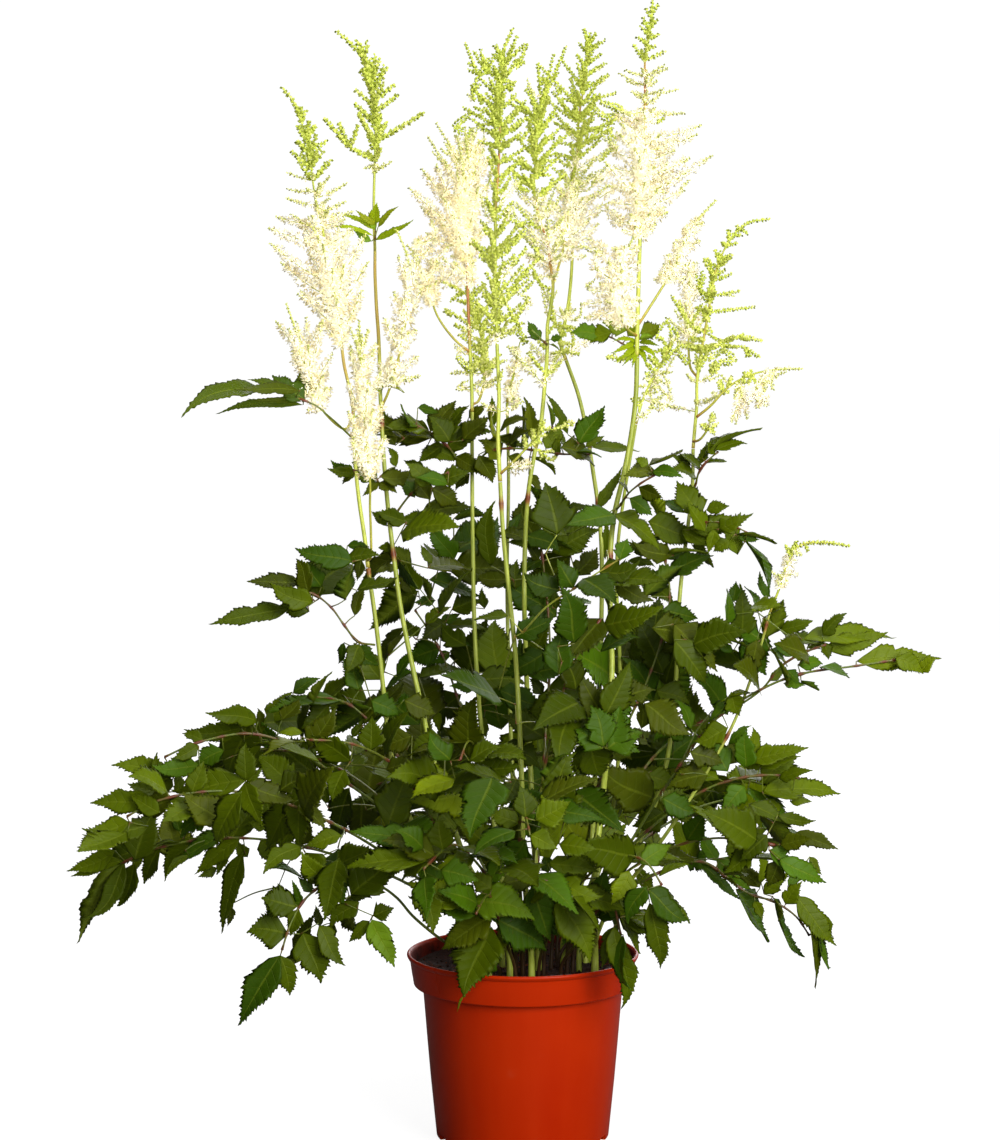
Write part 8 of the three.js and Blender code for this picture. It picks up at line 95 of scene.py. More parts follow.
  (("g",3.6,((91.3,-12.3,816.6),(93.6,-12.8,820.2),(95.9,-13.3,823.8),)),("g",2.9,((91,-12.4,813.6),(89.2,-12,817.4),(87.4,-11.6,821.2),)),("g",2.9,((89.8,-12.6,805.7),(87.5,-13.9,809.7),(85.1,-15.2,813.8),)),("g",3.6,((90,-12.6,806.7),(92.5,-15.3,809.4),(95,-18,812.1),)),("g",2.9,((89,-12.7,800.8),(86.4,-12.8,804.6),(83.8,-12.9,808.4),)),("g",3.6,((88.7,-12.8,798.8),(92.8,-10.8,800.9),(96.9,-8.9,803.1),)),("g",3.6,((88.3,-12.9,795.8),(84.6,-13.3,798.2),(81,-13.8,800.5),)),("g",3.6,((87.7,-13,791.9),(90.8,-12,793.1),(94,-11.1,794.4),)),("g",3.6,((86.7,-13.2,782.9),(82.4,-13.3,789.3),(78.1,-13.5,795.6),)),("g",2.9,((86.8,-13.2,783.9),(94.3,-12.2,787.4),(101.8,-11.2,790.9),)),("m",3.6,((86.8,-13.4,772.9),(79.5,-16,774.3),(72.3,-18.5,776.9),)),("m",4.3,((86.8,-13.4,772.9),(94.9,-14,775.1),(103.1,-14.7,778.6),)),("m",3.6,((86.8,-13.6,765.9),(77.6,-12.8,769.8),(68.3,-12,775.3),)),("m",5,((86.8,-13.6,766.9),(89.4,-12.7,768.4),(91.9,-11.9,770.3),)),("m",3.6,((86.9,-13.8,759.9),(99.2,-10.2,761.2),(111.5,-6.6,764.3),)),("m",4.3,((86.9,-13.8,756.9),(81.7,-16.3,759.1),(76.6,-18.7,762),)),("m",5,((86.8,-14,751.9),(92.2,-12.9,755.3),(97.6,-11.9,759.7),)),("m",5,((86.7,-14.1,747.9),(100.8,-19.5,745.9),(114.8,-24.9,746.1),)),("c",5.8,((86.6,-14.2,742.9),(90.2,-15.9,746.1),(93.8,-17.6,750.1),)),("c",6.5,((86.5,-14.3,738.9),(76.9,-17.7,743.5),(67.3,-21.1,749.9),)),("c",6.5,((86.3,-14.5,730.9),(74.8,-13.3,738.2),(63.4,-12,747.7),)),("c",5.8,((86.2,-14.6,728),(106.7,-17.8,731.2),(127.2,-21.1,737.9),)),("c",7.9,((86,-14.7,722),(75.9,-18.3,726.5),(65.9,-21.9,732.9),)),("c",6.5,((85.8,-14.8,719),(104.8,-22.1,723.4),(123.8,-29.4,731.1),)),("c",7.9,((85.5,-14.9,713),(73.8,-11.7,715.9),(62.2,-8.4,720.9),)),("c",9.4,((85.5,-15,712),(97.2,-10.7,715.6),(108.9,-6.4,721),)),("c",8.6,((85.1,-15.1,705),(74.2,-15.5,705.5),(63.4,-15.9,707.7),)),("c",9.4,((84.9,-15.2,701),(101.8,-18,706.3),(118.8,-20.7,714.6),)),("c",8.6,((84.7,-15.4,695),(72.3,-13.4,694),(60,-11.4,695.2),)),("c",5.8,((84.4,-15.6,688),(109.2,-26.1,699.6),(134.1,-36.6,715.9),)),("c",8.6,((84.5,-15.5,691),(94.1,-13.6,693.7),(103.7,-11.7,698),)),("c",8.6,((84.2,-15.7,682),(72.4,-14.5,681.9),(60.7,-13.4,683.7),)),("c",8.6,((84.1,-15.8,679),(99.6,-13.7,684.4),(115.2,-11.6,692.3),)),("c",7.9,((84,-15.9,674),(76,-13.2,670.3),(68,-10.5,668.1),)),("c",7.9,((83.9,-16,669),(93.8,-14.1,672),(103.7,-12.2,676.6),)),("c",6.5,((83.7,-16.2,662),(77.1,-18.6,662.2),(70.5,-21,663.6),)),("c",6.5,((83.6,-16.3,659),(89.2,-17,662.9),(94.9,-17.8,667.9),)),("g",3.1,((91.3,-12.3,816.6),(91.3,-14.1,819.4),(91.4,-15.9,822.1),)),("g",2.9,((91,-12.4,813.6),(91.2,-10.9,816.7),(91.4,-9.4,819.8),)),("g",2.5,((89.8,-12.6,805.7),(91.3,-14.7,809.6),(92.9,-16.8,813.5),)),("g",3.6,((90,-12.6,806.7),(87.6,-14,808.8),(85.2,-15.4,810.8),)),("g",2.6,((89,-12.7,800.8),(88.8,-10.2,804.4),(88.6,-7.8,808.1),)),("g",3.8,((88.7,-12.8,798.8),(89.6,-16.7,800.7),(90.5,-20.6,802.6),)),("g",3.3,((88.3,-12.9,795.8),(86.9,-10.4,797.6),(85.5,-8,799.4),)),("g",3.5,((87.7,-13,791.9),(89.2,-14.8,792.8),(90.8,-16.6,793.7),)),("g",3.2,((86.7,-13.2,782.9),(87.5,-17.3,789),(88.3,-21.3,795.1),)),("g",3.6,((86.7,-13.2,782.9),(85.3,-10.4,787.5),(83.9,-7.6,792.2),)),("g",2.7,((86.8,-13.2,783.9),(86.6,-7.3,786.6),(86.3,-1.4,789.3),)),("g",2.5,((86.8,-13.2,783.9),(86.8,-19.1,786.7),(86.8,-25,789.4),)),("m",3.6,((86.8,-13.4,772.9),(90,-18.3,773.8),(93.2,-23.1,775.9),)),("m",3.6,((86.8,-13.4,772.9),(83.8,-8.6,773.8),(80.9,-3.7,775.8),)),("m",4.2,((86.8,-13.4,772.9),(87.4,-6,774.8),(88,1.5,778.1),)),("m",4.2,((86.8,-13.4,772.9),(85.5,-19.7,774.4),(84.3,-25.9,777.3),)),("m",3.6,((86.8,-13.6,765.9),(87.4,-20.9,768.8),(87.9,-28.2,773.3),)),("m",3.5,((86.8,-13.6,765.9),(90.3,-5.3,769.6),(93.8,3,775),)),("m",3.1,((86.9,-13.8,759.9),(84,-3.5,760.7),(81.2,6.8,763.6),)),("m",3.1,((86.9,-13.8,759.9),(93.4,-21.5,760.6),(99.9,-29.3,763.4),)),("m",3.7,((86.9,-13.8,756.9),(87.4,-19.3,758.9),(88,-24.9,761.9),)),("m",3.7,((86.9,-13.8,756.9),(83.1,-10.5,758.7),(79.3,-7.2,761.5),)),("m",4.9,((86.8,-14,751.9),(88.1,-9.1,755),(89.5,-4.2,759.1),)),("m",4.4,((86.8,-14,751.9),(85.9,-19.1,755.1),(85.1,-24.2,759.3),)),("m",5.2,((86.7,-14.1,747.9),(93,-4.8,746.1),(99.2,4.4,746.6),)),("m",5,((86.7,-14.1,747.9),(78,-25.2,745.9),(69.2,-36.3,746.2),)),("c",5.8,((86.6,-14.2,742.9),(89.3,-12.1,745.6),(91.9,-9.9,749.1),)),("c",5.4,((86.6,-14.2,742.9),(84.9,-17.6,745.9),(83.2,-21,749.8),)),("c",6,((86.5,-14.3,738.9),(86.1,-23,742.7),(85.6,-31.6,748.3),)),("c",5.7,((86.5,-14.3,738.9),(86.5,-4.4,743.3),(86.4,5.5,749.6),)),("c",6.6,((86.3,-14.5,730.9),(86.2,-23,736),(86.1,-31.5,743.3),)),("c",6,((86.3,-14.5,730.9),(83.2,-6.5,736),(80,1.5,743.4),)),("c",5.8,((86.2,-14.6,728),(85.9,4.7,730.9),(85.6,23.9,737.2),)),("c",5.1,((86.2,-14.6,728),(77.2,-31.4,730.8),(68.2,-48.3,737.1),)),("c",8,((86,-14.7,722),(91.5,-21.7,725.6),(97.1,-28.7,731.1),)),("c",7.1,((86,-14.7,722),(84.3,-4.4,726.3),(82.6,5.8,732.6),)),("c",6,((85.8,-14.8,719),(99.2,-1.9,722.8),(112.6,11,730),)),("c",5.8,((85.8,-14.8,719),(77,-30.2,722.5),(68.1,-45.6,729.5),)),("c",8,((85.5,-14.9,713),(82.2,-25.5,715.6),(78.8,-36.1,720.2),)),("c",7,((85.5,-14.9,713),(92,-6.5,715.4),(98.4,2,719.9),)),("c",8.6,((85.5,-15,712),(83.9,-4.6,714.7),(82.3,5.7,719.6),)),("c",9.7,((85.5,-15,712),(85.9,-25.7,714.8),(86.2,-36.5,719.8),)),("c",7.7,((85.1,-15.1,705),(89.3,-24.7,705.4),(93.4,-34.3,707.6),)),("c",8.8,((85.1,-15.1,705),(85.5,-5.2,705.4),(85.9,4.8,707.5),)),("c",8.4,((84.9,-15.2,701),(86.5,-0.7,705.3),(88,13.8,712.6),)),("c",9.5,((84.9,-15.2,701),(83.3,-29.2,705.1),(81.7,-43.3,712.2),)),("c",7.4,((84.7,-15.4,695),(80.8,-24.7,694.1),(77,-34.1,695.1),)),("c",7.5,((84.7,-15.4,695),(90.3,-5.8,694.1),(95.9,3.7,695.1),)),("c",5.9,((84.4,-15.6,688),(94.8,7.2,698.5),(105.2,29.9,713.9),)),("c",5.4,((84.4,-15.6,688),(70.6,-32.5,696.9),(56.9,-49.4,710.6),)),("c",7.9,((84.5,-15.5,691),(81.8,-6.6,693.5),(79.2,2.3,697.6),)),("c",7.4,((84.5,-15.5,691),(85.4,-23.5,693),(86.3,-31.4,696.7),)),("c",7.4,((84.2,-15.7,682),(81.8,-24.8,681.7),(79.4,-33.8,683.3),)),("c",7.8,((84.2,-15.7,682),(86.9,-6.7,681.7),(89.6,2.3,683.3),)),("c",7.7,((84.1,-15.8,679),(85.1,-4.5,682.4),(86.1,6.7,688.6),)),("c",8.7,((84.1,-15.8,679),(89.1,-29.1,683.7),(94,-42.3,691),)),("c",6.9,((84,-15.9,674),(79.2,-22.2,670.5),(74.4,-28.5,668.5),)),("c",7.5,((84,-15.9,674),(88.4,-9.1,670.5),(92.8,-2.2,668.3),)),("c",7.6,((83.9,-16,669),(82.2,-8.5,671),(80.6,-0.9,674.8),)),("c",8,((83.9,-16,669),(86.6,-22.9,670.9),(89.4,-29.8,674.6),)),("c",6.3,((83.7,-16.2,662),(88.1,-21.3,662.2),(92.4,-26.4,663.5),)),("c",5.7,((83.7,-16.2,662),(82.3,-10.3,662.1),(80.8,-4.4,663.3),)),("c",5.6,((83.6,-16.3,659),(82.8,-11.9,661.9),(82,-7.5,666),)),("c",6.6,((83.6,-16.3,659),(81.6,-20.1,661.8),(79.7,-23.9,665.7),)),("c",7.8,((69.5,-40.6,602.4),(63.3,-40.1,599.7),(57.1,-39.7,598.1),)),("c",7.8,((69.4,-40.9,603.4),(75.9,-42.3,601.7),(82.5,-43.8,600.9),)),("c",8.5,((68.8,-41.8,608.3),(55.9,-38.1,603.5),(43.1,-34.5,600.9),)),("c",8.5,((68.6,-42,610.3),(76,-48.6,611.4),(83.3,-55.2,613.6),)),("c",7.1,((68.1,-42.9,615.3),(54.1,-41.5,611.9),(40.1,-40.2,610.8),)),("c",9.2,((67.5,-43.6,619.2),(57.3,-44.1,619.1),(47,-44.6,620.7),)),("c",9.2,((67.1,-44.2,622.1),(74.7,-45,623.6),(82.3,-45.9,626.3),)),("c",9.2,((66.8,-45,626.1),(58.9,-47.3,630.3),(51,-49.5,636.1),)),("c",9.2,((67.3,-46.2,632),(74.7,-48.3,635.5),(82,-50.3,640.3),)),("c",7.8,((68.2,-47,635.8),(60.3,-46.8,641.5),(52.5,-46.6,648.8),)),("c",6.4,((70.4,-48.6,643.4),(75.6,-47.5,647),(80.8,-46.4,651.6),)),("c",6.4,((70.7,-48.8,644.4),(66.6,-46.1,646.9),(62.5,-43.3,650.3),)),("c",7.1,((69.1,-41.3,605.3),(67.4,-40.8,598.4),(65.7,-40.2,592.5),)),("c",7.9,((69.5,-40.6,602.4),(69.5,-45.9,600.1),(69.4,-51.2,598.8),)),("c",8.1,((69.5,-40.6,602.4),(70.8,-35.3,600),(72.1,-30.1,598.7),)),("c",6.9,((69.4,-40.9,603.4),(69.7,-35.5,601.9),(70,-30.1,601.4),)),("c",7.8,((69.4,-40.9,603.4),(68.3,-46.5,601.8),(67.3,-52.2,601.3),)),("c",8.4,((68.8,-41.8,608.3),(68.8,-52.1,604.4),(68.9,-62.4,602.6),)),("c",7.6,((68.8,-41.8,608.3),(74.4,-32.2,604.2),(80,-22.7,602.2),)),("c",8.4,((68.6,-42,610.3),(73.9,-35,611),(79.1,-28.1,613.2),)),("c",7.9,((68.6,-42,610.3),(63.4,-48.1,610.9),(58.1,-54.3,613),)),("c",7.2,((68.1,-42.9,615.3),(64.3,-54.9,612.1),(60.6,-66.9,611.3),)),("c",6.1,((68.1,-42.9,615.3),(63.3,-31.1,612.1),(58.6,-19.3,611.3),)),("c",9.5,((67.5,-43.6,619.2),(64.5,-52.2,619),(61.4,-60.8,620.5),)),("c",9.3,((67.5,-43.6,619.2),(65.9,-35.5,619),(64.2,-27.4,620.4),)),("c",8.4,((67.1,-44.2,622.1),(66.4,-37.2,623.4),(65.7,-30.2,626),)),("c",9.1,((67.1,-44.2,622.1),(68,-50.3,623.2),(69,-56.5,625.5),)),("c",7.9,((66.8,-45,626.1),(67.9,-51.7,629.4),(69,-58.3,634.3),)),("c",8.2,((66.8,-45,626.1),(63.6,-39.9,629),(60.5,-34.8,633.5),)),("c",9.6,((67.3,-46.2,632),(66.9,-40.7,634.3),(66.5,-35.1,638),)),("c",8.3,((67.3,-46.2,632),(63.4,-52.3,635.2),(59.6,-58.4,639.8),)),("c",7.8,((68.2,-47,635.8),(67.8,-53.3,640.2),(67.4,-59.5,646.2),)),("c",7.4,((68.2,-47,635.8),(68.9,-39.9,641),(69.7,-32.7,647.8),)),("c",6.6,((70.4,-48.6,643.4),(68.8,-44.3,646.4),(67.2,-40,650.5),)),("c",6.4,((70.4,-48.6,643.4),(70.6,-53.7,646.8),(70.7,-58.7,651.2),)),("c",6.2,((70.7,-48.8,644.4),(67.4,-52.3,646.8),(64.2,-55.8,650.1),)),("c",6.7,((70.7,-48.8,644.4),(72.5,-45.2,646.3),(74.3,-41.6,649.2),)),("c",6.8,((69.1,-41.3,605.3),(68.5,-42.7,599.2),(67.8,-44.2,594.1),)),("c",7.2,((69.1,-41.3,605.3),(69.7,-40.1,599.8),(70.4,-38.8,595.3),)),("c",7.2,((103.6,-5,626.7),(102.6,-4.4,632.7),(101.5,-3.8,639.7),)),("c",7.2,((107.4,-3.1,633.5),(106.7,-1,639.7),(106.1,1.2,646.9),)),("c",8,((109,-2.2,637),(116.1,-1.6,638.5),(123.3,-1.1,641.1),)),("c",6.5,((113.5,0.4,646.8),(112.1,3.2,651.5),(110.6,6,657.1),)),("c",7.3,((114.7,1.2,649.4),(121.1,0,652.6),(127.5,-1.2,656.9),)),("c",5.8,((118.9,3.5,658.2),(118.2,3.2,662.3),(117.6,2.9,667.1),)),("c",5.8,((120.6,4.5,661.7),(125.8,7,665.4),(131,9.6,670.1),)),("c",6.5,((105.1,-4.3,629.2),(111.2,-5.1,628.9),(117.3,-6,629.6),)),("c",7.5,((103.6,-5,626.7),(102.9,-5.6,631.1),(102.1,-6.2,636.6),)),("c",7.4,((103.6,-5,626.7),(103.7,-3.9,632),(103.7,-2.8,638.3),)),("c",7.3,((107.4,-3.1,633.5),(105.7,-4.4,639.3),(104,-5.8,646.2),)),("c",7.5,((107.4,-3.1,633.5),(109.4,-2.5,639.1),(111.3,-1.9,645.8),)),("c",7.8,((109,-2.2,637),(111.6,4,638.4),(114.1,10.2,640.9),)),("c",8.2,((109,-2.2,637),(109.6,-8.6,638.3),(110.2,-15,640.7),)),("c",6.4,((113.5,0.4,646.8),(111.3,-0.5,650.2),(109,-1.4,654.7),)),("c",6.8,((113.5,0.4,646.8),(115.4,1.9,650.3),(117.4,3.4,654.8),)),("c",7.4,((114.7,1.2,649.4),(113.8,7.3,652.4),(112.9,13.5,656.6),)),("c",6.6,((114.7,1.2,649.4),(115,-4.1,651.9),(115.4,-9.4,655.5),)),("c",5.4,((118.9,3.5,658.2),(119.1,3,661.3),(119.3,2.5,665.1),)),("c",5,((118.9,3.5,658.2),(118.5,3.9,661.1),(118.1,4.2,664.7),)),("c",5.6,((120.6,4.5,661.7),(119.5,8.6,664.2),(118.4,12.7,667.9),)),("c",6.1,((120.6,4.5,661.7),(123.7,0.9,664.5),(126.8,-2.7,668.6),)),("c",5.9,((105.1,-4.3,629.2),(104.5,0.8,628.9),(103.9,5.9,629.5),)),("c",5.6,((105.1,-4.3,629.2),(105,-10.2,628.9),(104.8,-16.1,629.6),)),("m",2.8,((92.2,-21.6,775.3),(96.3,-22.5,777.8),(100.3,-23.4,779.8),)),("g",6.8,((66.8,-12.4,744.8),(57.3,-17.5,743.7),(49.4,-18.9,751.4),)),("g",6.8,((70.2,-20.1,748),(66,-25.7,749.5),(54.3,-26.8,753.8),)),("g",4.1,((86.6,-14.2,741.1),(97.2,-14.9,740.7),(101.2,-14.9,744.7),)),("m",6.8,((65.7,-9.4,719.4),(66.4,-15.5,721.4),(55.6,-16.5,730.9),)),("g",6.8,((65.7,-9.4,719.4),(63,-10.1,728.9),(60.4,-10.8,737.3),)),("m",3.8,((110.5,-12.2,689.9),(115.6,-16.6,696.2),(119,-14.1,699.5),)),("c",6.6,((70.4,-11.3,668.8),(64.4,-5.2,671.8),(59,-3.2,682.9),)),("c",6.8,((70.4,-11.3,668.8),(67.2,-10.7,673.6),(64,-10.1,677.8),)),("m",6.8,((54.9,-46.6,646.6),(47.6,-44.7,649.5),(40.4,-42.8,651.5),)),("c",6.8,((54.9,-46.6,646.6),(55.6,-41.2,650.5),(44.7,-39.4,657.7),)),("c",6.8,((53.4,-48.9,634.4),(50.5,-54.7,635.4),(51.1,-54.5,647.9),)),("m",4.3,((50.1,-44.4,620.2),(44.8,-38.2,623.5),(50.5,-37.9,627.5),)),("g",3.7,((81.6,-19.1,573.1),(60.2,-15.8,572.1),(66.1,-13.7,575.1),)),("g",2.8,((81.6,-19.1,573.1),(67.2,-20.2,569.8),(72.4,-22.5,572.3),)),),
  ((((81.6,-18.7,579.5),(79.4,-7,579.8),(77,4.5,580.3),(72.4,15.2,582.2),(65.1,23.5,586.4),(56.5,31.1,588.9),),((-1,((63.8,24.7,587),(65.4,23.2,591),)),(-1,((71.6,16.3,582.7),(76.9,18.5,587.7),)),(-1,((80.4,-12.6,579.7),(83.5,-11.5,585.4),)),(1,((76.9,18.5,587.7),(75.9,19.9,591.6),)),(2,((83.5,-11.5,585.4),(84.3,-3.6,589.5),)),(2,((81.8,-12.1,582.2),(81.1,-14,583),)),(-1,((80.7,-14.5,579.6),(82.5,-14,579.4),)),(6,((82.5,-14,579.4),(83.2,-14,580.8),)),(5,((81.3,-13.4,582.8),(83.2,-14,583.7),)),),
  ((57,30.7,588.9,34.6,30.3,589.9,-76,34,15,0.023),(65.4,23.2,591,49.2,30.3,583,-83,37,17,0.028),(76.9,18.5,587.7,84.7,14.4,597.5,-111,30,11,0.025),(83.5,-11.5,585.4,93.1,-12.6,587.8,96,41,7.1,0.033),(75.9,19.9,591.6,57.7,18.1,597.5,-75,38,17,-0.035),(84.3,-3.6,589.5,98.7,-5.4,597.1,-103,30,15,-0.08),(81.1,-14,583,62.1,-23,575.9,-84,24,4.2,0.16),(81.1,-14,580.8,64.2,-23,569.5,-84,24,4.4,0.16),(81.8,-14,579.4,70.7,-23,566.6,-84,24,4,0.16),(82.5,-14,579.4,77.9,-23,565.2,-84,24,4,0.16),(83.2,-14,579.4,87.9,-23,565.9,-84,24,4,0.16),(83.2,-14,580.8,95.8,-23,570.9,-84,24,4.2,0.16),(83.2,-14,583.7,97.9,-23,580.9,-84,24,4.2,0.16),(81.8,-14,584.4,63.5,-23,583.8,-84,24,3.6,0.16),)),)),
 "h": (1.3, ((126.3,44.9,504.6),(127.6,46.3,520.4),(129,47.7,536.3),(128.9,47.5,552.2),(130.6,46.7,568.1),(133.4,45.8,583.8),(136,45,599.6),(138.6,44.2,615.3),(141,43.3,631.1),(146.1,42.5,646.2),(153.8,41.7,660.1),(165.8,40.8,670.5),(181.5,40,673.2),),
  (((129.1,47.2,557.5),(124.6,59.8,565.2),(123.9,66,583.3),(124.7,63.6,602.8),(124.5,61.8,622.5),(122.7,60,642.1),),((128.5,46.9,527.4),(138.8,40.3,536.4),(151.5,36.1,550.1),(167.8,31.4,559.3),(186.1,26.7,563.2),(204.9,22,563.7),),((126.2,45.3,509.6),(131,36.6,511.7),(136.5,28.5,520.8),(139.2,22,532.2),),),
